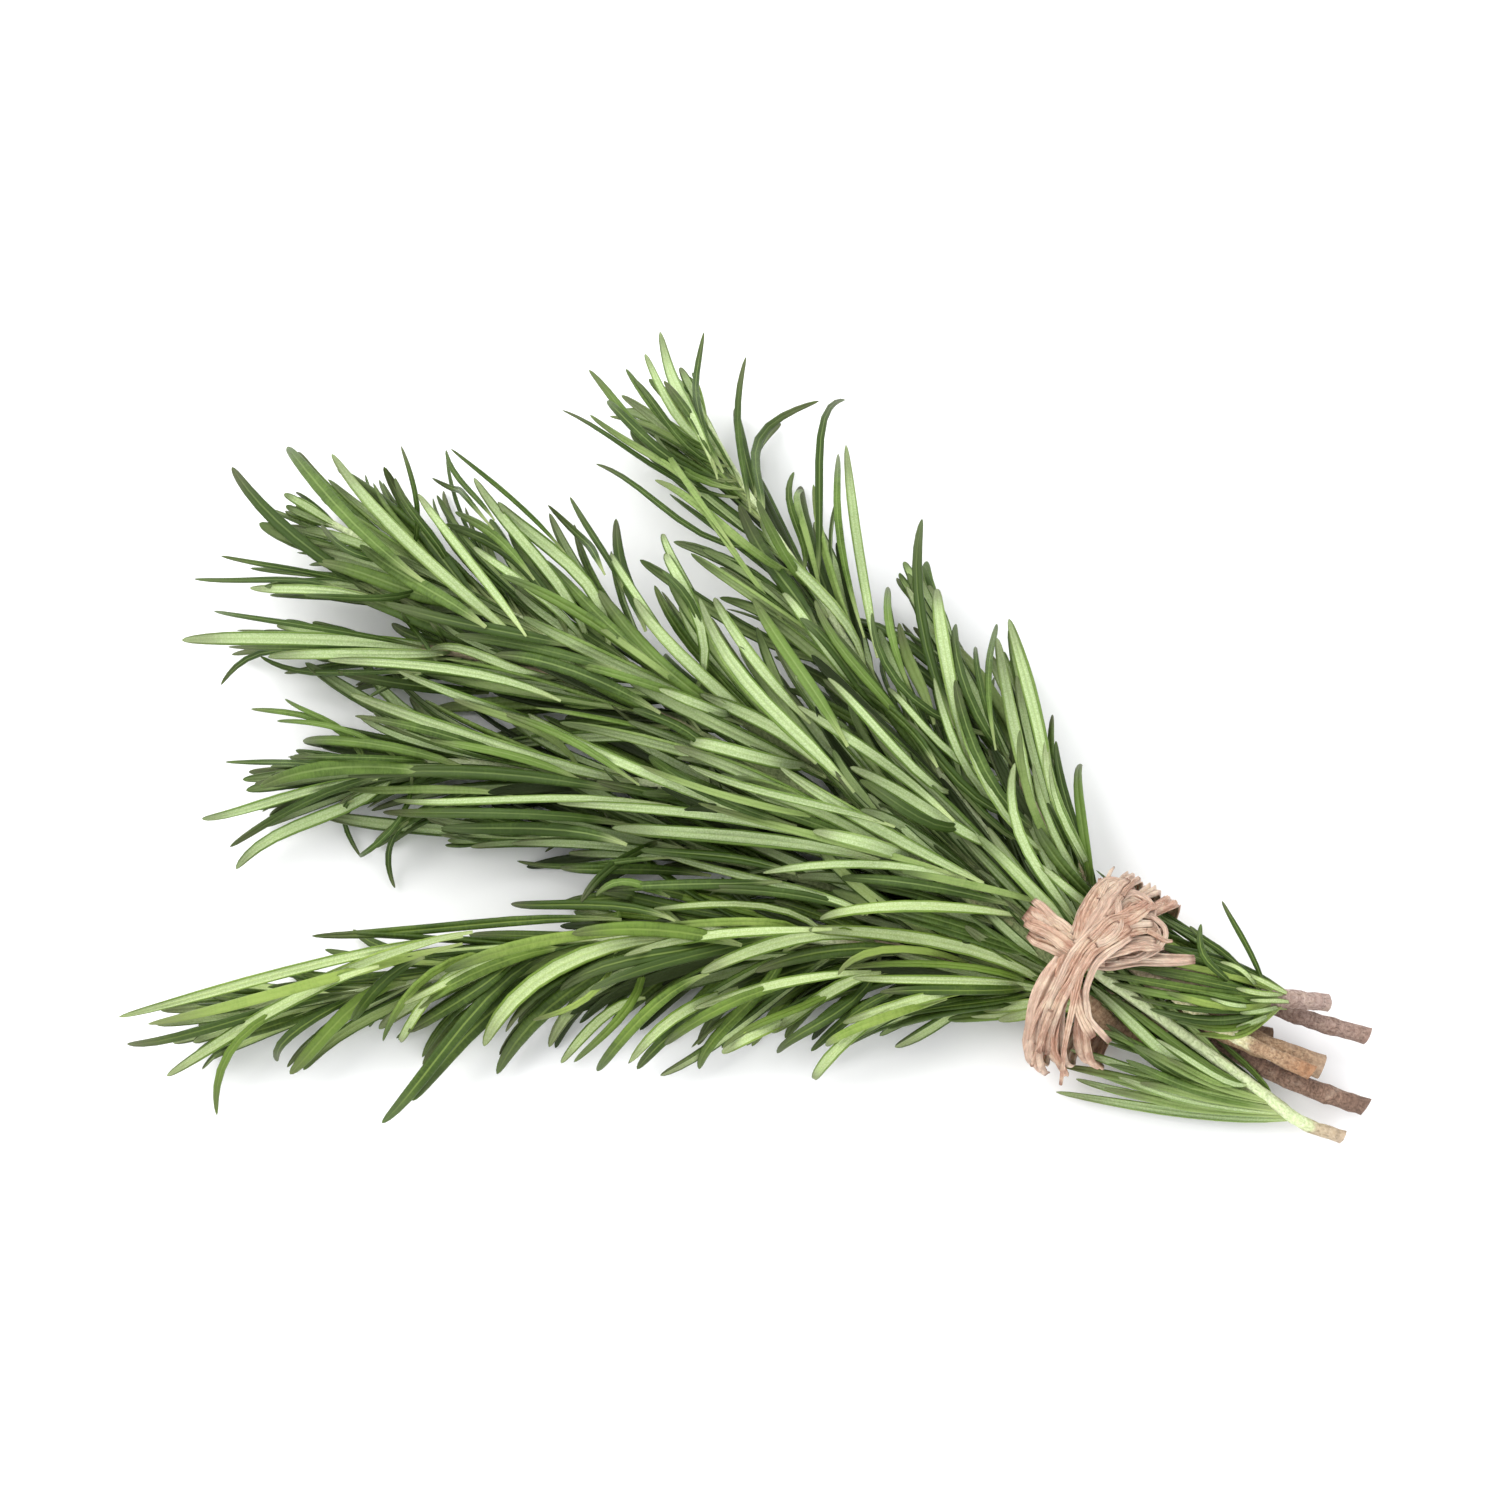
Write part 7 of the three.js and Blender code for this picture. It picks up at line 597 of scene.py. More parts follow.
        [-51.69,-6.51,8.91,-57.52,-8.22,7.69,-63.78,-9.66,7.02,-67.7,-13.51,10.47,-0.57,0.82,-0.12,1.69,0.0,0.15],
        [-60.29,-6.72,8.53,-66.25,-7.95,9.56,-72.65,-9.13,9.86,-78.59,-10.59,12.16,-0.33,0.56,-0.76,2.08,0.15,2.1],
        [-60.05,-6.04,8.53,-66.27,-6.55,9.94,-72.57,-6.95,10.69,-78.51,-7.11,13.07,-0.23,-0.56,-0.79,2.45,0.49,0.087],
        [83.44,-44.51,7.99,79.77,-41.72,11.16,73.07,-37.38,14.31,65.98,-34.06,17.82,-0.47,-0.08,-0.88,1.4,1.09,0.238],
        [83.44,-44.49,7.97,79.49,-40.6,10.39,72.27,-35.14,12.46,64.09,-30.81,12.52,-0.52,-0.57,-0.64,1.43,-1.36,0.138],
        [81.53,-43.59,7.95,74.44,-38.9,7.75,67.89,-33.88,8.97,61.22,-29.09,10.45,-0.61,-0.79,0.07,1.06,-1.2,0.159],
        [69.03,-37.97,7.95,62.51,-32.75,6.97,55.54,-29.0,6.38,49.96,-24.35,3.09,-0.42,-0.8,-0.43,1.07,0.23,0.117],
        [70.21,-38.28,6.41,62.78,-33.48,5.96,55.22,-29.7,4.52,48.06,-25.91,1.51,-0.34,-0.88,-0.32,1.07,0.64,0.196],
        [58.44,-35.87,6.01,50.66,-32.9,6.53,42.84,-30.35,7.48,35.17,-27.8,9.62,-0.39,-0.92,-0.07,1.84,0.34,0.197],
        [58.44,-35.87,6.02,51.35,-34.16,7.97,44.81,-32.9,9.58,39.16,-29.92,12.48,-0.53,-0.67,-0.52,1.85,1.47,0.154],
        [34.22,-27.96,8.73,29.75,-23.75,9.17,25.53,-19.55,10.17,21.37,-15.13,10.4,-0.76,-0.58,-0.3,1.87,1.93,0.322],
        [39.88,-30.41,8.06,31.41,-22.37,9.26,22.1,-15.07,11.67,17.83,-3.53,11.9,-0.81,-0.39,-0.44,1.94,-0.61,0.083],
        [22.64,-22.58,9.7,18.86,-18.65,9.4,15.35,-14.75,9.64,11.62,-11.06,9.84,-0.69,-0.6,0.4,1.84,-0.08,2.15],
        [12.49,-17.4,9.99,7.08,-15.08,12.92,1.64,-12.26,15.47,-1.87,-9.98,20.89,-0.56,0.4,-0.73,1.8,4.1,0.126],
        [17.65,-21.4,9.84,9.39,-17.41,13.18,0.7,-13.46,14.9,-6.13,-11.53,21.73,-0.53,0.33,-0.78,1.76,2.13,0.067],
        [8.63,-15.67,8.88,-1.03,-9.15,9.07,-11.41,-3.22,9.51,-20.08,4.95,7.72,-0.64,-0.61,0.47,1.82,4.22,0.174],
        [3.37,-13.71,9.86,-4.85,-10.33,12.41,-13.73,-7.08,14.1,-21.01,-3.2,19.23,-0.41,0.12,-0.9,1.86,-0.54,0.279],
        [-8.76,-10.32,9.8,-17.34,-6.36,9.3,-25.75,-2.24,9.37,-34.02,2.2,8.81,-0.46,-0.8,-0.37,2.18,3.04,0.648],
        [-8.17,-10.4,8.82,-15.08,-6.65,8.29,-21.59,-2.79,7.62,-27.55,1.66,5.6,-0.59,-0.48,0.65,1.89,-0.44,0.238],
        [-17.89,-9.06,9.61,-26.75,-7.76,10.01,-35.32,-5.92,11.69,-43.59,-4.61,15.62,-0.5,-0.4,-0.77,1.88,3.83,0.062],
        [-19.27,-8.86,9.57,-27.12,-5.76,8.26,-34.83,-3.32,8.3,-40.32,2.09,11.45,-0.63,-0.5,-0.59,1.92,-0.27,0.215],
        [-28.63,-7.59,9.36,-38.03,-6.0,10.74,-47.18,-4.0,11.94,-56.34,-2.56,13.83,-0.32,-0.49,-0.81,1.79,1.08,0.233],
        [-32.77,-7.0,9.26,-40.79,-4.46,10.58,-48.44,-1.62,12.33,-56.18,1.16,13.79,-0.43,-0.58,-0.69,1.96,-1.25,0.103],
        [-46.11,-5.71,8.89,-51.96,-3.4,9.42,-57.87,-1.83,10.0,-62.44,2.22,11.33,-0.51,-0.56,-0.66,1.9,0.29,0.194],
        [-39.67,-6.1,8.21,-49.77,-0.81,7.61,-61.94,2.79,6.6,-65.56,15.21,5.1,-0.81,-0.58,-0.01,2.17,-1.13,0.339],
        [-55.32,-5.56,7.93,-60.52,-4.57,7.97,-66.18,-4.56,8.04,-71.45,-2.68,7.07,-0.24,-0.93,-0.28,1.62,-0.33,2.3],
        [-53.93,-5.57,8.75,-61.75,-6.64,9.7,-69.62,-6.89,11.59,-74.25,-8.99,18.62,-0.71,0.21,-0.67,2.09,3.1,0.113],
        [-62.23,-6.88,8.45,-67.86,-7.32,9.58,-73.51,-7.85,9.97,-78.95,-8.81,11.34,-0.25,0.15,-0.96,2.23,-1.27,0.08],
        [-63.1,-6.37,8.42,-67.63,-5.7,8.42,-72.12,-6.33,8.15,-76.35,-4.95,8.78,-0.19,-0.92,-0.33,2.05,2.53,0.067],
        [82.41,-46.04,6.13,80.81,-47.32,5.92,75.76,-46.15,5.41,70.94,-44.19,5.04,0.28,0.96,-0.04,1.07,2.31,2.87],
        [82.42,-46.01,6.08,81.2,-45.84,3.85,76.13,-44.44,2.14,70.88,-43.2,0.95,-0.04,0.66,0.75,1.22,0.35,0.259],
        [82.4,-45.99,6.15,74.28,-44.0,6.58,62.8,-39.21,6.4,50.77,-36.25,7.44,0.21,0.63,0.75,1.32,0.34,0.101],
        [78.08,-43.99,6.08,72.4,-42.42,5.27,67.19,-40.07,5.13,61.57,-38.89,4.86,0.24,0.92,0.3,1.11,-0.56,0.339],
        [59.75,-37.68,4.64,52.78,-35.69,5.03,44.49,-36.31,3.48,37.42,-33.42,6.64,-0.25,-0.96,-0.16,1.69,-1.08,0.082],
        [48.82,-35.28,5.4,39.78,-32.36,4.15,31.11,-29.34,3.01,22.45,-26.47,0.95,-0.28,-0.08,0.96,2.1,0.41,0.091],
        [25.83,-25.62,9.54,17.45,-22.81,10.98,9.19,-20.2,12.63,0.85,-17.76,14.26,0.08,0.84,-0.54,1.91,-0.69,2.9],
        [12.65,-18.83,8.71,6.77,-15.92,5.88,1.13,-13.9,1.35,-5.46,-11.28,0.95,-0.45,0.15,0.88,2.15,-0.39,0.061],
        [2.95,-14.88,8.72,-4.52,-13.74,7.61,-12.04,-12.32,6.45,-19.36,-14.16,4.49,-0.24,0.82,0.53,1.96,0.01,0.195],
        [-18.27,-10.05,9.64,-26.77,-10.57,11.18,-35.43,-10.82,11.68,-42.5,-13.06,16.36,-0.46,0.34,-0.82,2.0,0.23,2.6],
        [-19.63,-9.87,8.52,-28.27,-9.77,6.53,-36.89,-9.32,4.93,-44.64,-11.4,1.16,-0.39,0.29,0.87,1.76,-0.99,2.1],
        [-32.06,-8.08,8.33,-40.31,-9.7,8.3,-48.59,-10.6,7.89,-55.61,-15.34,7.27,-0.43,0.78,0.46,1.86,3.01,0.229],
        [-32.87,-7.95,8.3,-39.92,-6.92,6.07,-46.34,-6.44,2.32,-53.36,-5.9,0.95,-0.44,0.01,0.9,1.88,1.41,0.132],
        [-46.71,-6.69,7.97,-52.58,-8.11,7.41,-58.44,-9.56,6.46,-63.53,-13.0,5.58,-0.48,0.86,0.2,1.87,0.02,0.167],
        [-44.71,-5.81,8.17,-50.64,-5.62,5.69,-56.6,-5.99,2.08,-62.99,-4.57,0.95,-0.48,-0.38,0.79,1.79,2.61,0.077],
        [-53.06,-6.44,7.87,-60.45,-6.81,5.95,-68.24,-7.6,4.21,-75.76,-8.84,1.56,-0.38,0.09,0.92,1.92,-0.51,0.08],
        [-54.44,-6.44,7.86,-59.72,-8.5,6.07,-65.01,-10.4,4.59,-68.31,-13.98,0.95,-0.78,0.57,0.24,1.69,3.06,0.065],
        [-64.99,-7.11,7.8,-68.78,-7.33,6.54,-72.67,-7.72,6.08,-76.22,-8.28,4.43,-0.35,0.42,0.84,2.07,-0.04,0.08],
        [-63.61,-7.01,8.39,-67.9,-8.92,8.21,-72.53,-9.68,8.14,-76.14,-12.68,8.32,-0.5,0.82,-0.29,1.91,-0.19,0.216],
        [83.23,-44.59,5.94,78.87,-42.44,5.35,71.22,-38.38,4.17,62.92,-35.97,5.07,0.31,0.7,-0.64,1.08,0.51,0.295],
        [74.96,-40.51,6.25,67.96,-35.46,6.86,61.0,-29.58,7.16,53.05,-25.72,9.0,-0.4,-0.69,0.6,1.15,-0.41,0.156],
        [65.13,-36.75,5.68,58.68,-36.68,4.46,52.21,-37.44,0.95,45.02,-39.04,0.95,0.16,0.28,-0.95,1.84,1.0,0.084],
        [69.65,-38.11,6.32,58.59,-35.52,4.45,47.6,-33.43,0.95,35.85,-32.57,0.95,-0.04,-0.93,-0.37,1.38,2.34,0.218],
        [52.68,-34.61,4.52,46.16,-31.51,2.88,40.15,-27.39,0.95,35.06,-21.82,0.95,-0.56,-0.3,0.77,2.27,2.22,0.255],
        [55.3,-35.33,4.25,47.79,-28.96,3.68,40.35,-22.38,1.72,40.52,-11.79,0.95,-0.96,-0.29,0.02,2.01,-0.15,0.281],
        [43.53,-31.73,6.03,35.44,-27.15,4.87,27.0,-22.72,3.16,20.81,-15.49,0.95,-0.44,-0.08,0.9,2.16,-0.59,0.304],
        [44.82,-32.15,5.82,37.56,-27.43,5.88,29.52,-23.4,7.22,24.45,-16.56,4.18,-0.73,-0.61,0.3,1.99,1.11,0.149],
        [28.89,-25.49,7.94,25.31,-21.1,7.85,21.5,-16.82,7.23,20.01,-11.11,6.12,-0.84,-0.21,0.5,1.9,-0.13,0.269],
        [31.53,-28.26,7.59,23.48,-24.45,5.89,15.37,-21.32,4.19,7.77,-17.88,0.95,-0.44,-0.13,0.89,1.92,3.14,0.079],
        [20.11,-21.27,8.51,14.45,-16.38,8.81,8.82,-11.57,8.6,3.42,-6.47,8.18,-0.73,-0.66,0.16,1.88,-0.55,0.155],
        [20.65,-21.54,8.46,13.54,-16.71,6.45,6.99,-11.73,4.16,0.95,-6.42,0.95,-0.57,-0.09,0.82,2.01,0.95,0.162],
        [-1.39,-12.07,8.94,-8.19,-9.81,6.21,-16.13,-9.73,2.17,-21.93,-4.06,0.95,-0.61,-0.63,0.48,2.12,-0.38,0.303],
        [3.37,-13.71,9.84,-7.54,-8.58,9.16,-18.67,-4.12,9.2,-29.41,1.2,8.26,-0.47,-0.85,0.25,1.96,0.83,2.51],
        [-15.91,-9.33,8.65,-23.21,-8.1,6.4,-30.01,-6.67,3.55,-36.89,-5.15,0.95,-0.47,-0.41,0.78,1.97,0.14,0.217],
        [-16.65,-10.27,8.57,-23.58,-9.14,6.25,-30.45,-8.7,3.68,-37.22,-7.57,1.0,-0.42,-0.27,0.86,1.97,-0.69,0.04],
        [-25.03,-8.1,8.44,-34.35,-6.7,6.05,-44.1,-6.28,2.19,-53.16,-1.85,0.95,-0.37,-0.21,0.91,2.13,0.16,0.323],
        [-25.03,-8.08,8.43,-32.94,-3.95,6.47,-40.62,0.04,3.08,-47.25,6.37,0.95,-0.72,-0.66,0.21,1.87,-0.76,2.57],
        [-36.9,-6.42,8.25,-44.48,-2.81,7.18,-52.74,-0.32,6.21,-57.03,6.91,3.48,-0.67,-0.72,-0.15,1.95,-1.7,0.148],
        [-32.77,-6.99,9.25,-42.86,-1.87,8.45,-54.96,1.11,9.07,-60.71,12.01,7.01,-0.74,-0.65,0.17,1.94,-0.94,0.069],
        [-48.1,-6.62,7.92,-55.95,-6.5,5.49,-63.49,-7.26,1.34,-71.78,-7.91,0.95,-0.32,-0.42,0.85,2.14,-0.51,0.08],
        [-52.53,-5.57,8.02,-58.49,-3.88,6.8,-64.7,-2.22,5.69,-70.3,-0.22,2.82,-0.48,-0.58,0.66,1.68,-0.05,0.15],
        [-60.87,-6.12,7.88,-65.89,-5.19,7.92,-70.81,-4.79,7.81,-75.58,-3.48,7.31,-0.24,-0.79,0.56,2.21,3.06,0.086],
        [-58.61,-6.58,7.86,-63.67,-7.33,6.22,-69.22,-7.75,5.9,-73.51,-9.5,2.89,-0.51,0.56,0.66,2.39,-1.7,2.3],
        [-49.51,-6.57,8.98,-60.15,-7.55,10.48,-71.24,-8.27,10.5,-81.27,-11.06,14.27,-0.32,0.53,-0.79,2.25,-0.12,0.15],
        [-34.84,-7.7,9.24,-44.72,-10.65,8.12,-55.09,-12.86,7.48,-61.77,-20.7,10.8,-0.61,0.68,-0.4,2.16,-1.7,0.185],
        [-25.15,-9.09,8.45,-37.27,-11.44,7.7,-50.48,-10.8,7.34,-59.94,-19.37,4.89,-0.45,0.74,0.5,2.76,-0.14,0.085],
        [-38.29,-6.26,8.23,-50.65,-4.53,6.19,-63.04,-3.22,4.36,-74.97,-0.63,1.21,-0.27,-0.71,0.65,2.68,-0.46,0.219],
        [-45.35,-6.74,9.08,-57.42,-8.68,8.37,-70.1,-9.61,7.53,-80.97,-14.73,11.42,-0.35,0.55,-0.76,2.42,-0.58,0.082],
        [-55.32,-5.57,7.92,-65.1,-6.44,6.76,-74.95,-7.48,7.18,-84.59,-8.03,5.35,-0.06,-0.38,0.92,2.19,3.35,0.229],
        [-31.49,-8.18,8.32,-42.26,-10.48,6.64,-53.37,-12.36,4.86,-62.33,-18.83,1.19,-0.5,0.71,0.5,2.7,-0.24,0.086],
        [-55.83,-6.42,7.86,-60.93,-9.0,6.02,-68.03,-10.37,5.01,-67.65,-16.16,0.75,-0.94,0.26,0.24,2.13,2.97,0.261],
        [-60.29,-6.72,8.52,-67.72,-8.22,9.0,-75.67,-9.07,8.48,-83.31,-11.0,9.62,-0.13,0.42,-0.9,2.45,0.51,0.118]
    ],
    "e": [
        [-20.4,-33.86,13.52,-36.23,-32.83,14.12,-54.27,-35.09,6.98,-71.61,-35.66,9.1,0.08,-0.21,0.97,1.8,-0.24,0.184],
        [-46.19,-37.1,15.39,-64.97,-41.6,25.28,-83.77,-44.87,11.73,-102.77,-49.29,9.43,-0.13,0.2,-0.97,1.94,-0.07,0.689],
        [-46.23,-38.29,15.39,-66.28,-42.01,11.0,-78.96,-52.21,33.33,-97.03,-51.47,14.87,0.13,-0.19,0.97,1.9,0.17,0.976],
        [-63.08,-44.78,7.71,-75.71,-46.29,11.68,-90.57,-56.05,20.06,-101.62,-53.4,7.38,0.14,-0.18,0.97,1.7,-0.18,0.159],
        [-59.14,-43.11,20.81,-71.36,-44.56,14.8,-84.66,-54.06,14.89,-95.14,-58.38,5.5,-0.13,0.18,-0.97,2.17,0.25,0.442],
        [-72.74,-46.33,7.35,-78.08,-51.5,23.7,-88.15,-54.25,7.45,-87.01,-64.49,3.29,0.14,-0.18,0.97,1.5,-0.12,0.552],
        [-62.62,-44.7,7.73,-69.43,-49.44,13.86,-76.8,-55.32,20.2,-77.06,-55.79,4.94,0.13,-0.18,0.98,1.8,-0.41,0.058],
        [-55.3,-43.3,8.02,-62.68,-43.76,13.93,-69.0,-54.07,12.38,-74.69,-58.38,7.4,0.11,-0.18,0.98,2.5,-0.33,0.55],
        [-44.53,-36.61,16.72,-57.79,-40.77,25.69,-69.52,-44.13,11.89,-82.77,-48.72,10.8,-0.11,0.2,-0.97,2.05,-0.6,0.86],
        [-52.37,-40.44,15.0,-58.56,-41.84,13.7,-62.06,-47.17,11.72,-63.16,-52.1,21.74,0.1,-0.19,0.98,1.9,0.01,0.126],
        [-38.09,-39.13,8.75,-48.08,-38.33,16.63,-55.96,-45.28,15.06,-59.13,-53.72,11.9,0.09,-0.2,0.98,1.8,-0.6,0.803],
        [-39.9,-39.56,8.68,-49.26,-39.18,16.95,-55.69,-54.71,16.36,-57.33,-51.97,2.26,-0.09,0.19,-0.98,1.6,-0.08,0.689],
        [-37.63,-39.03,8.77,-40.23,-45.66,21.87,-48.96,-47.18,6.4,-55.24,-51.97,10.47,0.08,-0.19,0.98,2.1,0.17,0.171],
        [-31.68,-37.89,8.97,-38.48,-37.84,15.22,-48.06,-44.32,13.1,-55.43,-48.45,16.33,-0.08,0.2,-0.98,1.6,0.19,0.859],
        [-29.84,-37.59,9.02,-42.32,-41.75,14.45,-50.61,-60.23,14.69,-59.76,-65.93,4.01,0.08,-0.18,0.98,2.4,-0.11,0.104],
        [-12.93,-37.27,14.04,-24.98,-37.58,16.46,-38.54,-44.79,18.01,-42.92,-53.93,8.5,-0.05,0.2,-0.98,2.96,0.07,0.687],
        [-14.11,-35.71,9.26,-22.87,-42.77,16.3,-35.65,-46.57,7.95,-41.0,-57.85,4.35,0.05,-0.19,0.98,2.9,-0.38,0.212],
        [-21.07,-36.37,9.16,-21.35,-48.64,22.47,-29.23,-48.03,7.89,-34.75,-50.24,11.84,0.05,-0.19,0.98,1.1,-0.36,0.987],
        [-16.54,-46.25,10.1,-21.68,-46.99,12.6,-26.55,-50.98,4.98,-30.53,-55.9,3.65,-0.04,0.18,-0.98,1.82,-0.16,0.431],
        [-6.09,-43.24,15.35,-14.25,-47.31,22.95,-20.98,-55.36,16.65,-24.41,-57.86,7.29,0.03,-0.18,0.98,2.0,-0.11,0.389],
        [-1.35,-43.65,5.39,-6.83,-47.04,11.07,-12.32,-50.28,22.03,-18.75,-57.75,15.11,-0.02,0.19,-0.98,2.17,-0.14,0.687],
        [-3.52,-46.78,10.7,-8.16,-49.43,14.1,-13.59,-51.3,4.03,-17.94,-57.09,4.72,0.02,-0.18,0.98,2.1,-0.47,0.194],
        [7.29,-35.97,10.35,5.22,-46.13,9.33,-6.78,-51.83,13.39,-7.74,-57.04,4.48,0.0,-0.19,0.98,2.1,0.1,0.351],
        [11.16,-46.68,5.33,6.45,-49.62,8.23,1.39,-53.49,20.55,-3.9,-55.72,12.0,0.01,0.18,-0.98,2.28,-0.18,0.856],
        [21.91,-43.24,16.02,15.87,-44.58,19.89,9.54,-46.89,4.25,4.24,-52.61,13.06,0.02,0.19,-0.98,2.28,-0.09,0.442],
        [22.05,-37.92,11.22,22.04,-48.63,11.46,7.67,-52.86,20.6,5.1,-54.75,6.57,-0.02,-0.19,0.98,1.8,0.15,0.071],
        [25.22,-45.67,14.62,19.56,-48.27,19.47,15.31,-50.33,8.67,10.66,-54.68,8.01,-0.03,-0.19,0.98,1.8,0.19,0.198],
        [23.7,-49.23,16.93,15.28,-55.83,26.92,12.03,-58.04,12.04,11.22,-58.45,2.99,0.02,0.18,-0.98,2.05,0.21,0.592],
        [45.91,-44.02,10.08,35.32,-43.85,11.75,23.39,-50.49,24.66,15.82,-50.83,12.35,0.05,0.19,-0.98,1.94,0.24,0.85],
        [48.59,-44.72,9.72,42.51,-48.35,14.66,33.13,-46.86,10.23,25.59,-49.76,12.82,-0.06,-0.19,0.98,1.4,0.46,0.101],
        [46.35,-44.14,10.01,39.62,-44.85,19.76,26.48,-44.27,14.71,17.27,-44.97,20.38,0.06,0.2,-0.98,1.71,-0.44,0.69],
        [44.56,-34.48,18.9,32.72,-33.16,24.4,16.64,-35.42,32.55,12.11,-34.06,14.93,0.04,0.22,-0.98,2.05,0.19,0.694],
        [50.38,-45.18,9.47,41.35,-39.67,26.55,19.7,-33.71,5.21,10.14,-37.85,24.03,0.05,0.21,-0.98,2.39,-0.19,0.687],
        [21.59,-37.83,11.19,16.07,-35.24,24.09,0.83,-38.66,15.04,-7.24,-44.21,20.69,0.01,0.21,-0.98,2.51,-0.29,0.434],
        [13.86,-37.03,20.83,0.06,-40.13,33.72,-8.6,-34.37,6.77,-19.66,-41.56,21.37,-0.01,0.21,-0.98,1.94,0.4,0.435],
        [4.97,-35.79,10.19,-1.23,-39.78,19.32,-16.04,-42.05,19.89,-25.38,-45.83,14.73,0.02,-0.2,0.98,1.9,-0.17,0.125],
        [20.29,-43.24,17.18,9.22,-46.14,27.86,2.43,-44.07,10.01,-8.44,-49.04,15.08,0.01,0.19,-0.98,1.82,0.14,0.441],
        [13.77,-36.62,10.76,6.92,-29.8,20.67,-11.18,-31.5,10.03,-14.75,-34.76,25.7,-0.0,0.22,-0.98,1.6,0.56,0.435],
        [10.07,-36.23,10.53,7.38,-34.47,22.62,-6.42,-36.59,22.15,-15.63,-35.64,16.82,0.0,-0.21,0.98,1.5,-0.31,0.819],
        [-0.69,-38.95,17.26,-9.1,-36.67,19.52,-19.55,-36.21,21.32,-28.28,-37.14,17.62,0.03,-0.21,0.98,2.6,-0.16,0.441],
        [-11.44,-36.02,22.5,-18.89,-31.42,20.31,-32.92,-31.93,13.43,-39.25,-29.04,3.61,0.05,-0.22,0.98,1.7,-0.17,0.03],
        [-1.53,-35.45,9.76,-6.49,-41.72,20.76,-22.8,-39.99,19.69,-30.45,-45.15,11.29,0.03,-0.2,0.98,2.4,0.36,0.071],
        [27.07,-38.98,11.42,21.64,-39.46,21.37,8.91,-38.76,13.24,1.47,-43.48,17.85,-0.02,-0.2,0.98,2.4,0.2,0.144],
        [38.8,-41.97,11.03,31.69,-38.2,13.98,18.2,-38.83,23.67,14.82,-44.7,21.48,-0.04,-0.2,0.98,1.3,-0.21,0.978],
        [47.69,-44.5,9.83,41.39,-42.56,23.05,24.03,-39.99,10.78,15.95,-43.64,21.89,-0.06,-0.2,0.98,1.4,0.53,0.564],
        [46.8,-44.27,9.95,41.49,-47.07,17.08,30.11,-45.64,16.45,21.69,-46.79,17.92,-0.06,-0.19,0.98,1.7,-0.04,0.179],
        [8.85,-44.64,15.03,0.52,-46.15,18.26,-9.68,-51.46,15.87,-13.31,-53.46,6.82,0.01,-0.19,0.98,1.9,-0.26,0.477],
        [19.76,-37.5,11.09,16.22,-49.42,11.13,3.54,-47.86,14.97,-3.87,-55.45,15.07,-0.02,-0.19,0.98,1.8,0.83,0.556],
        [-28.92,-37.44,9.04,-35.92,-38.93,14.68,-47.51,-44.18,17.42,-54.5,-48.97,12.13,0.07,-0.2,0.98,2.0,0.4,0.443],
        [-17.07,-36.61,16.47,-29.6,-35.69,12.75,-39.43,-41.31,27.25,-49.07,-42.77,14.35,0.06,-0.21,0.98,2.2,-0.35,0.812],
        [32.75,-47.0,13.26,24.35,-50.1,18.74,14.08,-55.79,30.52,13.01,-54.74,12.98,-0.03,-0.18,0.98,1.6,-0.08,0.846],
        [-17.36,-35.98,9.2,-14.87,-45.96,10.84,-21.1,-51.47,15.58,-27.74,-58.0,16.56,0.03,-0.19,0.98,1.5,-0.11,0.485],
        [89.13,-46.13,11.92,80.34,-41.56,17.14,74.89,-40.57,18.52,64.89,-38.97,18.45,-0.08,-0.12,0.99,1.5,0.5,0.032],
        [86.87,-46.04,12.46,81.88,-44.92,19.39,72.88,-43.29,20.95,63.55,-41.84,21.15,-0.08,-0.12,0.99,1.1,0.2,0.973],
        [88.23,-46.09,12.15,80.68,-49.28,21.2,66.66,-46.4,23.95,57.3,-44.59,21.75,-0.08,-0.12,0.99,1.5,-0.6,0.211],
        [85.9,-47.35,12.65,80.8,-53.67,16.3,77.06,-53.05,17.25,69.23,-51.85,19.55,-0.08,-0.12,0.99,1.4,0.5,0.399],
        [88.18,-47.42,12.15,79.2,-55.0,15.02,80.3,-53.3,14.58,72.69,-53.53,17.15,-0.09,-0.11,0.99,1.3,0.1,0.854],
        [89.13,-46.13,11.92,86.03,-46.23,17.54,84.54,-45.14,16.77,80.9,-43.82,18.75,0.14,0.19,-0.97,1.0,0.4,0.852],
        [88.68,-46.11,12.03,83.26,-47.56,19.95,82.61,-47.0,17.91,79.03,-46.53,19.95,0.14,0.19,-0.97,1.0,-0.4,0.848],
        [89.53,-47.47,11.81,86.47,-47.61,16.5,84.45,-48.39,17.17,81.36,-48.3,18.95,0.15,0.19,-0.97,0.9,0.2,0.429],
        [84.12,-46.01,12.99,80.81,-44.79,21.99,80.55,-42.57,17.9,76.54,-42.34,20.35,0.14,0.2,-0.97,0.9,0.3,0.433],
        [80.5,-45.8,13.88,74.27,-44.09,27.31,72.46,-42.24,20.28,73.54,-36.31,21.45,-0.08,-0.13,0.99,1.3,0.2,0.106],
        [85.03,-46.02,12.82,82.13,-40.4,19.56,79.87,-37.38,19.16,77.4,-31.95,18.95,-0.09,-0.13,0.99,1.1,0.3,0.169],
        [83.66,-46.01,13.08,77.69,-38.82,19.34,74.66,-39.87,19.24,72.06,-36.1,18.95,-0.08,-0.13,0.99,1.2,0.2,0.193],
        [89.13,-46.13,11.92,78.09,-47.5,21.84,73.32,-45.35,22.07,64.71,-44.26,21.75,-0.08,-0.12,0.99,1.2,0.2,0.133],
        [86.36,-47.36,12.56,78.91,-50.87,20.48,74.8,-49.92,21.22,67.48,-47.58,21.95,-0.08,-0.12,0.99,1.3,-0.2,0.939],
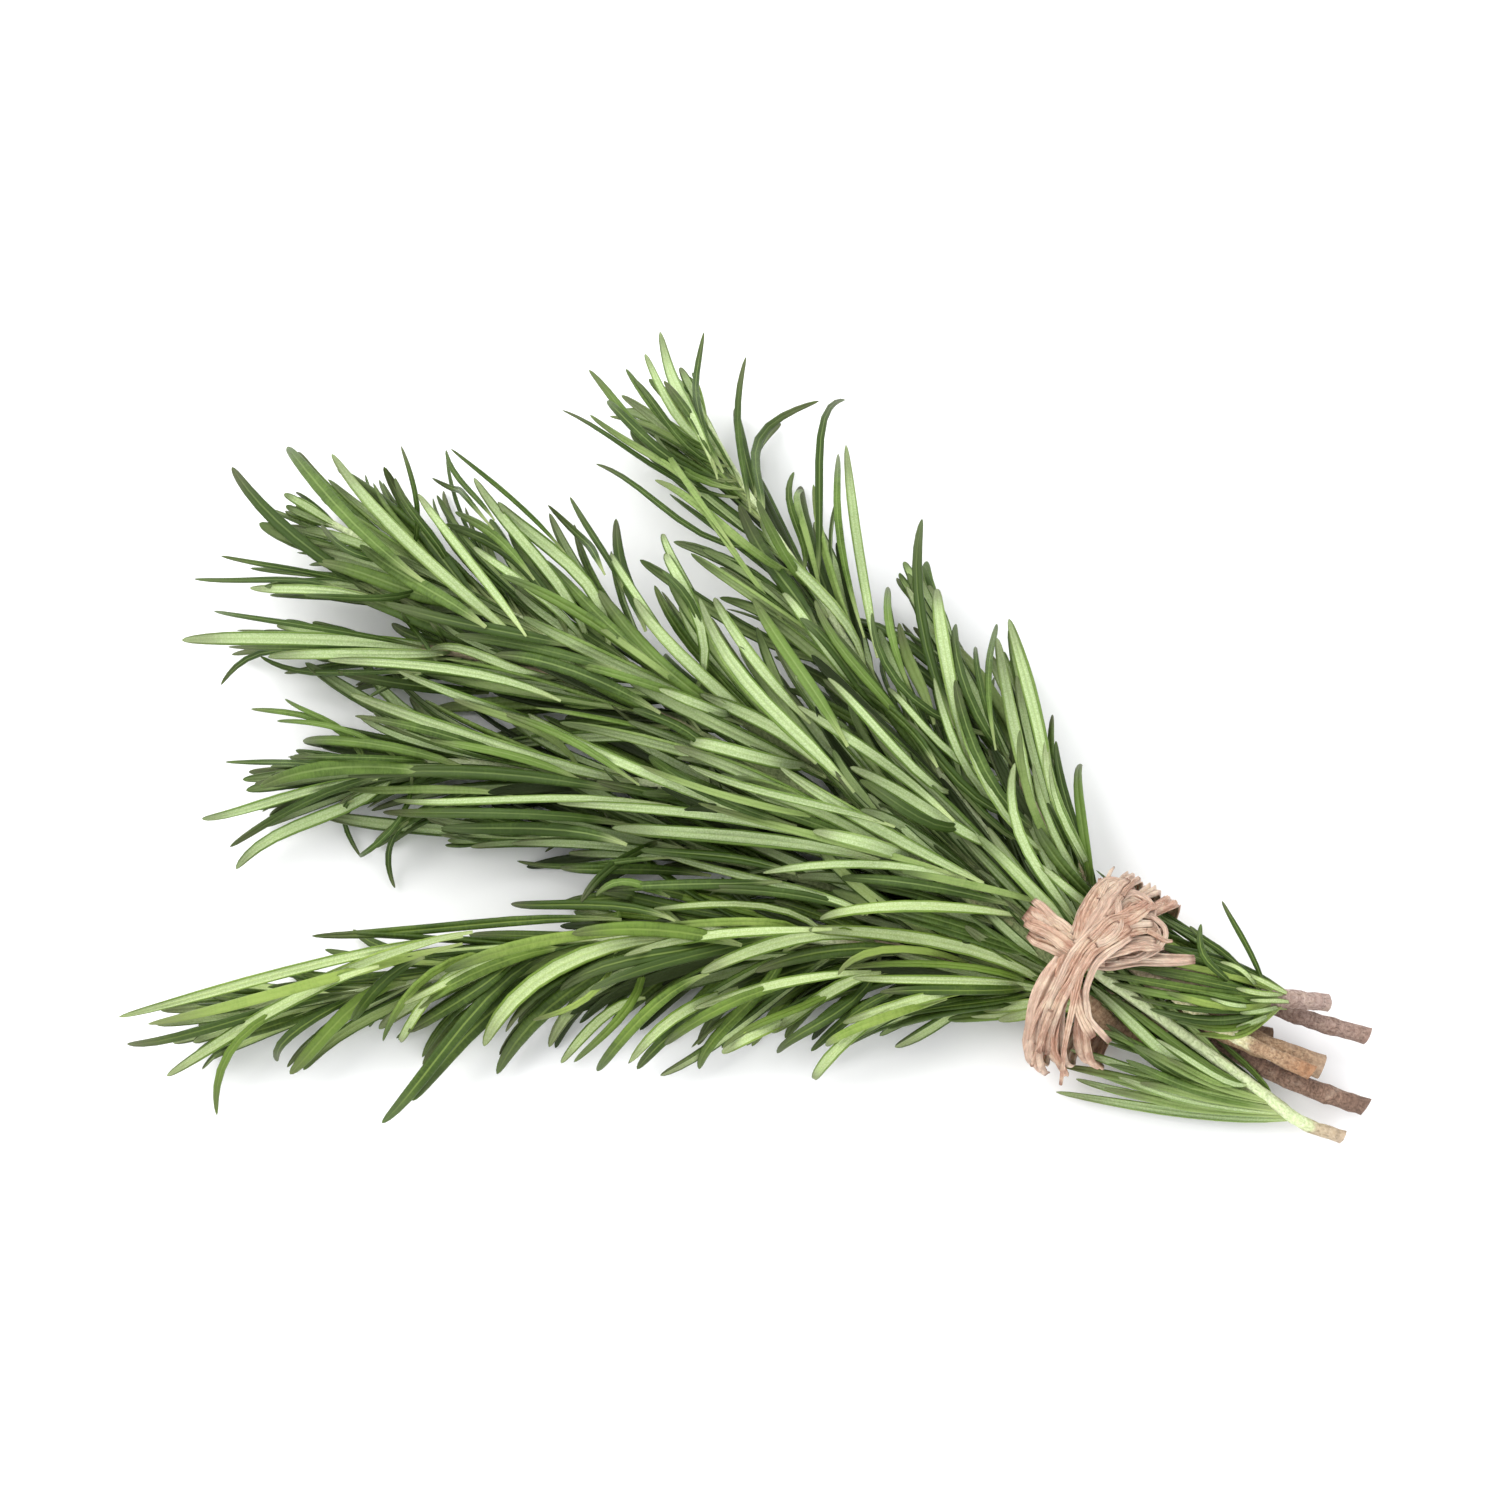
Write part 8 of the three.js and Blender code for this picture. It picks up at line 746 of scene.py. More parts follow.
        [85.49,-46.02,12.73,78.78,-41.32,20.05,74.37,-38.15,18.46,67.36,-34.22,17.95,-0.08,-0.13,0.99,1.1,0.6,0.102],
        [31.16,-39.27,11.49,-44.88,-23.24,1.44,-5.92,-30.83,9.5,-25.34,-27.04,5.35,0.01,-0.13,0.99,2.1,0.2,0.208],
        [31.16,-39.27,11.49,-39.56,-25.68,0.5,-6.29,-31.67,7.93,-24.35,-29.38,4.35,0.01,-0.13,0.99,2.1,-0.3,0.067],
        [31.16,-39.27,11.49,-33.77,-21.78,2.0,-4.64,-29.82,10.03,-22.66,-25.51,6.15,0.0,-0.14,0.99,2.0,0.3,0.522],
        [31.16,-39.27,11.49,-48.66,-25.45,-0.13,-7.8,-32.75,6.66,-27.71,-31.2,3.35,0.01,-0.13,0.99,1.9,0.1,0.423],
        [31.16,-39.27,11.49,-27.93,-23.84,1.7,-1.94,-29.92,9.73,-19.32,-26.54,6.15,0.0,-0.14,0.99,2.0,0.4,0.2],
        [-0.14,-35.84,9.85,-4.75,-38.69,0.87,-10.57,-42.09,3.58,-17.61,-49.95,1.35,0.01,-0.12,0.99,2.3,0.3,2.0],
        [4.04,-36.06,10.12,-0.22,-37.99,0.3,-8.8,-45.03,3.46,-12.95,-51.62,1.25,0.01,-0.12,0.99,2.4,-0.4,0.474],
        [8.68,-36.43,10.44,4.06,-37.84,-0.56,-4.18,-44.51,3.87,-7.97,-52.46,1.25,0.0,-0.12,0.99,2.2,0.1,0.141],
        [13.77,-36.96,10.76,8.87,-39.09,-0.82,1.17,-43.51,3.97,-3.99,-52.96,1.25,-0.0,-0.12,0.99,2.5,0.5,2.3],
        [17.92,-37.52,10.99,12.55,-37.99,-1.05,6.14,-45.0,4.13,0.99,-52.61,1.15,-0.01,-0.12,0.99,2.3,-0.2,0.433],
        [22.96,-38.44,11.26,17.65,-38.31,-1.28,10.73,-44.91,4.22,6.47,-51.26,1.15,-0.01,-0.12,0.99,2.4,0.3,0.202],
        [27.52,-39.41,11.43,22.81,-38.11,-1.42,15.99,-45.46,4.28,10.95,-51.6,1.15,-0.02,-0.12,0.99,2.2,-0.4,2.1],
        [-4.33,-35.73,9.6,-9.04,-37.64,1.41,-14.32,-41.7,3.72,-22.27,-48.62,1.45,0.01,-0.12,0.99,2.5,0.1,0.211],
        [-7.59,-35.75,9.45,-12.23,-35.98,1.5,-19.72,-42.77,3.75,-24.27,-48.27,1.35,0.02,-0.12,0.99,2.2,0.5,0.134],
        [2.19,-35.95,10.0,-3.92,-38.35,1.67,-7.98,-40.84,4.3,-16.78,-45.76,2.35,0.01,-0.12,0.99,2.4,-0.2,0.465],
        [12.38,-36.8,10.68,5.8,-38.48,1.11,0.78,-40.79,4.53,-7.64,-46.77,2.35,-0.0,-0.12,0.99,2.5,0.3,0.119],
        [22.05,-38.26,11.22,15.98,-37.13,0.66,9.91,-43.02,4.71,2.32,-47.11,2.35,-0.01,-0.12,0.99,2.3,-0.4,0.354],
        [7.29,-36.3,10.35,0.72,-38.18,2.25,-4.37,-39.49,5.25,-13.96,-42.71,3.15,0.0,-0.13,0.99,2.4,0.1,2.2],
        [17.0,-37.38,10.94,10.86,-37.67,1.76,5.51,-40.39,5.45,-3.99,-43.89,3.15,-0.01,-0.13,0.99,2.5,0.5,0.118],
        [-2.46,-35.76,9.71,-8.09,-36.76,2.22,-14.94,-38.75,4.5,-22.29,-43.4,2.35,0.01,-0.13,0.99,2.3,-0.2,0.039],
        [26.15,-39.11,11.39,20.32,-36.52,0.88,14.39,-41.87,4.9,6.97,-46.47,2.55,-0.02,-0.12,0.99,2.4,0.3,2.0],
        [7.29,-35.63,10.35,1.11,-26.32,-0.95,-6.44,-27.24,5.45,-15.25,-26.41,2.55,0.0,-0.14,0.99,2.4,-0.4,0.031],
        [4.04,-35.39,10.12,-5.33,-23.2,-1.5,-9.57,-28.21,5.11,-19.46,-25.29,2.15,0.01,-0.14,0.99,2.3,0.1,0.148],
        [-7.59,-35.08,9.45,-13.46,-28.38,2.43,-22.22,-33.05,4.42,-31.08,-32.52,2.35,0.02,-0.13,0.99,2.2,0.5,2.3],
        [-9.45,-35.13,9.38,-17.07,-25.63,1.89,-23.88,-28.41,5.6,-30.8,-28.59,2.35,0.02,-0.14,0.99,2.2,-0.2,0.211],
        [-10.85,-35.18,9.34,-18.15,-31.82,2.52,-23.18,-35.33,4.38,-32.37,-36.27,2.35,0.02,-0.13,0.99,2.3,0.3,0.149],
        [-16.89,-36.69,9.87,-24.9,-40.74,10.11,-35.08,-43.08,11.33,-39.2,-52.15,11.36,-0.55,0.83,0.08,2.96,-0.54,0.15],
        [16.34,-37.88,11.61,5.77,-44.36,9.06,-3.08,-53.16,7.05,-14.07,-58.14,4.66,-0.55,0.83,0.08,3.15,0.12,0.174],
        [46.76,-44.61,9.61,37.68,-44.16,9.37,31.85,-50.57,7.29,24.6,-53.27,3.89,-0.36,0.91,0.21,3.08,0.4,0.284],
        [-21.01,-36.91,9.71,-30.12,-37.71,9.1,-38.74,-41.83,10.49,-46.46,-47.57,11.38,-0.38,0.57,-0.73,3.13,0.02,0.123],
        [59.88,-44.94,11.44,51.68,-43.74,12.65,43.0,-41.98,13.36,34.66,-39.83,14.02,-0.21,-0.85,-0.48,2.67,-0.39,0.389],
        [57.44,-46.63,10.97,45.24,-44.36,11.79,33.08,-42.4,13.9,21.33,-38.18,14.52,-0.17,-0.04,-0.99,2.63,-1.09,0.31],
        [-24.45,-36.33,9.62,-36.56,-37.95,10.35,-48.55,-38.95,12.71,-60.53,-40.96,15.26,-0.22,-0.38,-0.9,2.62,0.85,0.091],
        [-69.41,-46.25,7.92,-76.8,-48.51,8.14,-84.85,-50.37,7.84,-89.82,-54.18,13.29,-0.63,0.3,-0.72,2.24,0.28,0.185],
        [61.25,-46.6,12.05,52.39,-47.73,10.13,42.82,-48.28,8.53,33.16,-49.5,8.12,-0.05,0.92,-0.4,2.46,-1.58,0.622],
        [54.02,-46.27,10.91,42.11,-44.97,10.58,30.46,-42.46,12.14,18.6,-41.52,14.39,0.12,0.99,0.02,2.49,1.01,2.76],
        [-29.18,-38.17,9.56,-39.24,-45.1,7.08,-47.94,-52.71,7.4,-54.48,-62.84,7.77,-0.83,0.55,-0.08,2.77,-1.7,0.133],
        [-74.63,-46.93,7.57,-81.07,-49.16,7.23,-87.64,-50.94,7.08,-94.11,-53.12,7.0,-0.29,0.85,-0.45,2.32,1.16,0.141],
        [84.84,-45.11,14.55,77.72,-40.18,11.86,67.48,-35.52,13.22,56.54,-33.23,16.06,-0.27,-0.91,0.31,1.82,0.61,0.308],
        [75.14,-43.66,16.35,64.27,-43.45,12.18,54.04,-43.86,5.17,42.61,-43.76,0.95,0.27,-0.86,-0.43,1.55,0.36,0.305],
        [62.54,-44.62,12.78,50.67,-42.54,11.81,39.07,-39.84,12.07,27.62,-36.16,12.85,-0.28,-0.7,-0.66,2.48,0.14,0.063],
        [48.45,-43.34,11.14,37.12,-38.4,11.97,25.99,-32.88,14.0,14.04,-29.41,15.78,-0.4,-0.74,-0.53,3.01,-1.42,0.107],
        [40.76,-41.81,11.44,29.99,-36.14,13.98,18.5,-31.37,16.26,11.01,-21.94,20.51,-0.62,-0.43,-0.66,2.68,-1.54,0.104],
        [25.96,-38.05,10.64,15.11,-32.81,8.84,4.4,-27.0,6.46,-6.43,-21.92,3.04,-0.51,-0.59,0.62,2.8,-0.05,0.201],
        [4.2,-35.22,9.55,-6.92,-29.47,7.01,-17.59,-23.72,4.66,-24.08,-13.08,6.63,-0.64,-0.55,-0.53,2.62,3.22,0.04],
        [-31.86,-37.51,9.4,-44.35,-36.76,8.62,-56.76,-35.26,8.66,-69.19,-34.99,7.6,-0.12,-0.99,-0.01,2.8,-0.26,0.115],
        [-70.91,-45.65,7.8,-79.5,-46.07,7.16,-87.98,-46.78,6.88,-96.44,-47.62,6.55,0.06,-1.0,-0.04,2.25,-1.7,0.328],
        [84.15,-45.3,12.43,72.64,-45.22,10.9,60.22,-43.7,9.99,48.02,-41.7,7.61,-0.11,0.15,0.98,1.64,-0.03,2.74],
        [55.9,-44.57,9.11,43.45,-42.17,6.63,31.47,-38.39,4.94,19.81,-34.19,2.13,-0.34,-0.53,0.78,2.75,-1.0,0.215],
        [32.28,-41.16,10.4,24.38,-41.16,6.87,15.8,-39.1,0.95,8.97,-46.4,0.95,-0.58,0.44,0.68,2.47,1.34,0.255],
        [27.77,-39.91,10.69,16.85,-41.63,7.55,3.81,-38.44,2.16,-3.21,-49.71,0.95,-0.65,0.46,0.6,2.9,3.3,0.224],
        [12.35,-37.18,9.98,2.67,-37.71,6.56,-6.85,-39.19,0.95,-17.63,-40.54,0.95,-0.39,0.8,0.46,2.39,0.16,0.173],
        [-1.92,-34.92,9.15,-11.99,-35.15,5.13,-22.4,-34.37,0.95,-33.77,-35.68,0.95,-0.28,-0.33,0.9,3.03,0.6,0.179],
        [-9.99,-36.23,8.77,-21.77,-37.18,5.64,-33.47,-38.1,0.95,-45.56,-41.25,0.95,-0.24,-0.23,0.94,2.55,0.2,2.3],
        [-25.07,-37.54,8.48,-34.66,-40.56,5.8,-45.14,-42.26,1.38,-53.61,-49.49,0.95,-0.49,0.39,0.78,2.82,0.67,0.339],
        [-35.38,-38.11,8.33,-46.54,-40.1,4.86,-57.57,-42.27,0.95,-69.55,-40.9,0.95,-0.2,-0.64,0.74,2.65,3.39,0.129],
        [-46.72,-40.76,7.89,-56.11,-41.41,5.21,-66.15,-45.21,0.95,-75.94,-40.47,0.95,-0.33,-0.56,0.76,2.36,0.31,0.274],
        [-58.07,-43.31,7.43,-70.06,-44.56,4.41,-81.95,-44.92,0.95,-94.4,-45.66,0.95,-0.11,-0.82,0.56,2.43,0.02,0.184],
        [-70.88,-45.65,7.04,-78.51,-46.5,5.79,-86.57,-47.57,5.14,-94.51,-48.01,3.31,-0.16,-0.18,0.97,2.55,0.53,0.07],
        [60.57,-46.67,11.73,53.95,-47.53,12.47,47.45,-48.91,12.09,41.2,-50.13,11.03,-0.01,0.33,-0.94,2.15,0.34,0.974],
        [60.57,-46.66,11.72,53.07,-46.96,12.47,45.71,-47.61,11.62,38.79,-48.18,9.66,0.11,0.08,-0.99,2.21,0.09,0.853],
        [56.03,-44.52,11.12,47.97,-42.78,12.61,40.86,-39.7,15.94,35.29,-36.82,22.22,-0.71,-0.51,-0.49,2.0,-0.58,0.326],
        [54.76,-46.38,10.92,47.98,-46.15,9.48,41.3,-45.63,10.39,34.67,-45.03,12.52,-0.3,0.36,-0.88,1.99,-1.14,0.083],
        [42.69,-42.3,11.3,37.08,-39.47,13.3,31.61,-36.7,15.25,26.6,-33.24,17.45,-0.6,-0.49,-0.63,1.76,0.67,0.805],
        [25.04,-39.37,12.07,14.74,-39.11,10.57,4.62,-38.99,10.93,-5.3,-40.55,13.58,-0.29,0.84,-0.45,2.04,-0.06,0.15],
        [6.79,-36.71,11.03,0.45,-37.12,11.65,-6.04,-37.62,13.16,-11.49,-40.43,16.61,-0.55,0.68,-0.48,1.94,-0.56,0.184],
        [-16.89,-36.67,9.88,-23.39,-38.9,9.79,-29.25,-41.84,11.63,-35.41,-44.5,14.0,-0.59,0.68,-0.42,2.04,2.16,0.15],
        [-45.96,-40.58,8.9,-56.66,-42.42,10.27,-67.31,-44.01,11.84,-78.05,-45.1,13.38,-0.06,-0.8,-0.6,2.16,0.86,0.196],
        [-52.13,-42.1,8.65,-59.53,-43.08,9.27,-67.4,-44.06,10.62,-73.42,-42.81,16.28,-0.49,-0.4,-0.77,1.77,-0.68,0.269],
        [-62.58,-45.06,8.16,-70.06,-47.66,7.38,-77.06,-50.62,8.6,-84.02,-53.29,11.61,-0.55,0.57,-0.61,1.78,4.11,0.216],
        [-71.45,-45.76,7.77,-77.65,-46.32,8.54,-83.89,-47.06,8.45,-89.95,-47.3,10.11,-0.17,-0.13,-0.98,2.45,4.4,0.085],
        [-72.16,-46.6,7.73,-77.28,-47.78,8.55,-82.81,-48.84,8.76,-88.09,-50.48,9.94,-0.31,0.61,-0.73,2.1,0.71,0.22],
        [72.99,-45.16,17.1,67.87,-46.75,12.58,63.68,-48.42,7.83,59.95,-50.57,2.82,-0.7,0.69,0.16,1.15,-0.18,0.275],
        [64.77,-46.14,14.1,55.57,-47.43,11.86,46.47,-48.98,9.32,36.86,-49.21,9.38,-0.07,0.84,-0.53,1.81,0.16,0.55],
        [64.78,-46.13,14.09,53.14,-47.11,10.36,40.86,-49.31,7.13,28.69,-45.54,5.95,-0.03,-0.94,-0.33,1.97,2.77,0.603],
        [51.71,-45.65,9.19,43.83,-45.29,8.34,35.84,-43.36,8.93,27.69,-43.84,7.73,-0.09,0.44,0.9,1.76,0.02,0.339],
        [55.5,-46.46,10.92,44.33,-45.67,9.18,33.44,-43.03,9.86,22.25,-42.81,11.23,0.14,0.85,0.51,1.79,-0.98,0.113],
        [39.41,-43.09,9.92,30.21,-43.89,8.75,21.13,-44.97,6.8,12.84,-48.93,3.66,-0.51,0.66,0.55,1.94,-0.49,0.212],
        [28.33,-40.08,10.65,19.87,-41.28,8.02,11.04,-40.55,4.42,5.94,-47.96,0.95,-0.71,0.37,0.6,1.99,0.79,0.076],
        [16.98,-37.96,10.17,6.03,-39.45,8.83,-4.59,-41.46,7.24,-14.67,-44.51,3.97,-0.36,0.91,0.2,2.23,1.12,0.29],
        [4.14,-36.55,9.46,-5.14,-40.05,9.19,-14.49,-42.96,8.59,-19.96,-51.41,7.03,-0.7,0.65,0.3,1.81,0.27,0.315],
        [-8.09,-36.18,10.12,-15.42,-38.51,8.32,-23.04,-40.1,7.74,-28.92,-44.84,10.09,-0.52,0.48,-0.7,1.88,-0.6,0.04],
        [-6.12,-36.09,10.15,-13.64,-39.63,9.27,-21.36,-42.14,9.57,-26.17,-48.93,8.53,-0.74,0.62,-0.25,1.92,-0.4,2.6],
        [-20.19,-36.88,8.59,-26.89,-40.24,6.82,-33.59,-43.54,5.23,-37.91,-48.61,0.95,-0.78,0.52,0.36,1.85,-1.15,0.04],
        [-31.09,-38.48,8.36,-40.1,-42.01,6.61,-49.38,-45.65,4.44,-57.77,-51.14,2.16,-0.47,0.36,0.81,2.06,0.59,0.321],
        [-25.65,-37.64,8.47,-35.74,-42.72,6.33,-47.94,-44.76,2.56,-53.6,-55.67,0.95,-0.66,0.3,0.69,1.91,-0.3,0.327],
        [-55.2,-43.7,8.45,-62.13,-47.57,7.85,-70.5,-49.96,7.82,-75.22,-57.25,7.3,-0.62,0.68,-0.4,1.72,-0.1,0.15],
        [-56.53,-43.95,7.53,-62.23,-46.27,5.69,-68.14,-48.13,4.34,-72.32,-51.73,1.01,-0.65,0.72,0.24,1.59,-0.89,0.198],
        [-65.86,-45.63,8.03,-73.41,-48.22,8.43,-80.85,-51.12,9.13,-88.52,-53.21,9.82,-0.37,0.79,-0.49,1.91,1.24,0.221],
        [-76.0,-47.13,7.52,-79.79,-48.8,7.97,-84.02,-49.54,7.66,-87.34,-51.81,9.05,-0.5,0.8,-0.31,2.0,-0.34,0.101],
        [-75.98,-47.13,6.94,-81.08,-49.7,6.61,-86.22,-51.91,6.27,-90.9,-54.92,5.21,-0.55,0.78,0.31,2.17,0.67,0.29],
        [84.84,-45.12,14.52,83.67,-43.8,13.58,79.4,-42.34,14.87,75.1,-41.18,16.79,-0.46,-0.66,-0.59,1.02,-0.07,0.247],
        [84.15,-45.27,12.45,81.11,-44.03,12.79,74.57,-42.86,13.97,68.11,-41.53,15.37,-0.16,-0.98,0.14,1.31,0.48,0.675],
        [84.16,-45.26,12.46,76.1,-42.2,14.88,68.09,-39.22,17.67,61.46,-33.61,20.28,-0.15,-0.58,0.8,1.26,0.88,0.682],
        [76.08,-43.8,18.07,65.3,-43.07,14.68,54.81,-42.93,11.62,44.33,-41.58,8.76,0.24,-0.34,-0.91,1.17,-0.07,0.287],
        [63.1,-44.65,11.23,53.73,-43.54,7.73,44.05,-41.89,3.63,33.57,-40.86,2.45,-0.3,-0.42,0.86,2.14,0.42,2.28],
        [62.55,-44.62,12.76,55.45,-42.71,10.59,48.56,-40.92,9.19,41.74,-38.15,9.75,-0.4,-0.85,-0.35,1.81,-0.39,0.288],
        [55.14,-44.47,9.08,43.39,-42.0,8.3,31.71,-38.38,8.2,20.11,-34.51,8.55,-0.16,-0.38,0.91,1.88,-0.52,2.13],
        [52.45,-44.06,9.12,41.7,-40.19,10.25,30.86,-34.88,11.19,19.39,-31.9,13.19,-0.38,-0.92,-0.0,2.24,-0.25,0.254],
        [38.63,-41.27,11.59,32.65,-38.34,13.42,25.24,-36.1,13.92,21.12,-31.49,18.51,-0.7,-0.61,-0.37,1.88,-0.14,2.75],
        [24.6,-37.81,10.6,17.88,-34.81,10.04,11.5,-31.62,8.91,4.65,-29.57,8.41,-0.4,-0.67,0.63,1.85,1.17,0.279],
        [15.17,-36.24,11.44,8.33,-33.11,8.41,0.56,-31.73,6.84,-4.09,-25.59,8.52,-0.55,-0.53,-0.65,1.65,2.67,2.15],
        [-9.44,-35.03,8.89,-16.14,-33.59,5.56,-24.0,-33.12,4.25,-28.89,-29.68,0.75,-0.59,-0.37,0.71,1.84,-0.05,0.232],
        [-21.12,-35.81,8.59,-29.7,-35.42,6.9,-38.09,-34.69,5.05,-46.26,-34.0,2.23,-0.28,-0.8,0.53,2.05,0.96,0.332],
        [-27.17,-36.74,8.53,-38.02,-37.42,6.31,-48.65,-39.54,3.33,-59.32,-37.34,0.95,-0.17,-0.95,0.27,2.13,0.66,0.266],
        [-29.91,-37.18,8.5,-38.96,-37.4,8.13,-47.99,-37.3,7.34,-56.89,-38.44,6.54,-0.06,-0.86,0.51,1.8,0.2,0.152],
        [-45.42,-40.43,8.93,-53.47,-40.58,10.1,-61.31,-40.81,11.42,-68.85,-38.89,13.56,-0.28,-0.78,-0.56,2.03,-0.29,0.136],
        [-44.04,-40.07,8.0,-51.76,-38.93,6.09,-59.7,-38.4,3.62,-65.8,-32.86,0.95,-0.61,-0.61,0.51,1.84,1.02,0.281],
        [-53.2,-42.36,7.64,-62.07,-42.89,5.95,-70.95,-43.88,4.36,-79.75,-42.86,2.18,-0.16,-0.94,0.3,1.74,0.4,0.201],
        [-55.36,-42.78,7.54,-63.08,-42.45,6.11,-70.57,-42.19,4.44,-77.85,-40.27,2.52,-0.37,-0.67,0.64,1.84,0.49,0.101],
        [-68.18,-45.16,7.95,-74.03,-44.51,7.29,-80.17,-43.59,7.05,-86.35,-43.51,6.64,-0.13,-0.95,-0.29,1.78,-0.8,0.233],
        [-76.09,-46.55,7.51,-80.17,-45.88,7.23,-84.25,-46.12,7.06,-88.21,-45.05,7.22,-0.22,-0.95,0.23,2.2,2.13,0.229],
        [84.02,-47.03,12.65,78.74,-46.43,10.59,70.2,-46.1,10.29,61.84,-45.29,8.25,-0.22,-0.32,0.92,1.1,0.07,0.311],
        [84.15,-45.3,12.43,80.49,-44.97,11.74,73.49,-44.15,12.37,66.77,-42.1,13.27,-0.06,-0.47,0.88,1.08,0.65,0.55],
        [77.91,-46.12,14.95,68.92,-47.26,13.05,61.55,-48.65,9.81,54.93,-50.55,4.49,-0.48,0.83,0.28,1.15,2.76,0.164],
        [64.97,-45.98,12.41,60.65,-46.81,9.21,55.62,-47.72,6.28,50.46,-48.5,3.57,-0.46,0.6,0.65,1.71,0.54,0.336],
        [57.28,-46.32,9.36,48.5,-46.86,7.8,39.54,-46.62,6.75,30.61,-47.55,5.51,-0.18,0.66,0.73,1.83,0.59,0.096],
        [57.28,-46.31,9.36,47.08,-44.77,6.76,36.65,-43.16,5.18,26.43,-41.73,2.31,-0.18,0.36,0.92,2.15,0.55,2.49],
        [30.77,-39.1,10.57,23.29,-37.67,8.29,16.09,-35.62,5.77,8.8,-34.11,3.06,-0.42,-0.16,0.89,1.84,-0.45,0.201],
        [32.28,-41.13,10.42,24.44,-39.06,7.76,17.35,-37.68,3.0,9.29,-37.08,0.95,-0.46,0.24,0.85,1.78,0.74,0.161],
        [24.01,-37.71,10.56,15.75,-35.53,7.55,7.75,-34.22,3.09,0.14,-30.16,0.95,-0.6,-0.37,0.7,1.98,-0.58,0.327],
        [25.96,-38.08,10.64,15.6,-36.74,8.01,5.48,-34.88,5.91,-4.32,-33.34,2.37,-0.35,0.09,0.93,1.98,0.31,0.247],
        [8.35,-35.51,9.77,2.39,-35.92,6.93,-3.31,-34.95,2.75,-9.65,-36.0,0.95,-0.59,-0.0,0.81,1.92,1.19,0.309],
        [10.4,-36.97,9.86,2.0,-36.68,7.12,-6.05,-36.31,3.04,-14.45,-37.58,0.95,-0.41,0.61,0.67,2.11,0.06,0.218],
        [-4.69,-36.02,8.94,-9.9,-38.02,6.29,-15.84,-38.78,1.73,-18.69,-45.28,0.95,-0.77,0.21,0.61,1.72,-0.61,0.295],
        [1.42,-35.08,9.37,-9.01,-33.2,6.01,-19.65,-32.56,1.79,-29.76,-28.46,0.75,-0.44,-0.35,0.83,2.12,3.19,0.297],
        [-13.53,-36.44,8.68,-20.41,-38.46,5.93,-29.07,-37.9,1.45,-32.78,-45.82,0.95,-0.72,0.61,0.32,1.93,0.16,2.1],
        [-12.79,-35.25,8.83,-22.91,-36.36,5.63,-32.83,-36.85,0.95,-43.47,-38.39,0.95,-0.29,-0.18,0.94,2.08,0.81,0.04],
        [-25.65,-37.62,8.47,-32.6,-39.31,6.31,-39.3,-40.73,3.28,-45.53,-43.84,0.95,-0.46,-0.13,0.88,1.92,-0.98,0.228],
        [-26.61,-36.64,8.54,-37.4,-36.22,6.67,-47.86,-35.48,4.31,-58.35,-34.41,1.97,-0.2,-0.93,0.31,2.11,0.16,0.192],
        [-39.24,-39.94,8.17,-46.77,-42.33,5.65,-53.64,-45.04,1.49,-61.26,-48.03,0.95,-0.48,0.36,0.8,1.8,-0.86,0.079],
        [-37.89,-39.63,8.22,-44.77,-43.02,5.96,-51.52,-46.26,1.91,-58.09,-51.26,0.95,-0.63,0.38,0.68,1.78,0.03,0.281],
        [-50.75,-41.78,7.72,-56.35,-43.46,5.49,-62.23,-44.01,2.3,-68.12,-46.21,0.95,-0.51,0.39,0.76,1.84,-0.29,0.169],
        [-51.89,-43.02,7.67,-57.88,-45.39,5.4,-63.78,-46.97,1.73,-68.63,-51.71,0.95,-0.55,0.18,0.82,2.04,0.4,0.18],
        [-61.18,-44.79,7.38,-67.64,-46.08,5.39,-73.8,-47.54,2.98,-79.98,-48.95,0.95,-0.47,0.14,0.87,1.95,0.23,0.152],
        [-62.14,-44.06,7.27,-71.26,-44.36,5.21,-80.48,-44.26,2.21,-90.04,-43.75,0.95,-0.26,-0.4,0.88,2.15,-0.32,0.124],
        [-70.76,-46.41,7.03,-77.69,-47.88,5.51,-84.7,-49.36,4.88,-91.08,-51.08,2.03,-0.35,0.2,0.92,2.4,0.95,2.24],
        [-74.16,-46.24,6.97,-78.62,-46.83,5.26,-83.74,-47.3,4.37,-87.89,-47.86,1.19,-0.46,0.11,0.88,2.27,1.76,0.195],
        [19.69,-38.45,10.28,9.99,-40.71,8.04,-0.4,-42.15,6.13,-6.78,-49.27,1.24,-0.6,0.76,0.25,2.51,-0.76,0.103],
        [48.96,-45.09,9.44,37.27,-46.95,9.38,25.31,-47.36,10.23,14.94,-53.46,8.03,-0.37,0.88,0.29,2.42,4.4,0.298],
        [28.33,-40.08,10.66,19.71,-42.19,8.92,11.47,-43.95,6.55,5.31,-49.8,3.31,-0.55,0.83,0.04,2.54,0.09,0.317],
        [10.32,-37.0,11.24,-0.81,-42.17,9.69,-11.87,-47.55,9.67,-19.13,-57.45,12.18,-0.67,0.73,-0.15,2.57,0.06,0.286],
        [-51.89,-43.03,7.68,-55.81,-45.08,6.0,-60.9,-46.43,5.8,-62.54,-49.58,2.23,-0.81,0.34,0.48,1.95,-0.21,0.105],
        [-62.03,-44.95,8.17,-73.48,-46.89,9.78,-85.39,-49.1,8.88,-95.8,-51.43,14.17,-0.32,0.18,-0.93,2.25,-0.92,0.195],
        [-6.71,-36.13,10.15,-16.27,-41.15,10.05,-28.51,-43.15,9.73,-32.08,-54.63,11.52,-0.81,0.56,-0.19,2.58,1.25,0.15],
        [1.51,-36.39,10.65,-8.67,-40.11,10.14,-19.9,-41.79,9.92,-27.18,-50.58,10.88,-0.62,0.78,0.09,2.45,0.7,2.3],
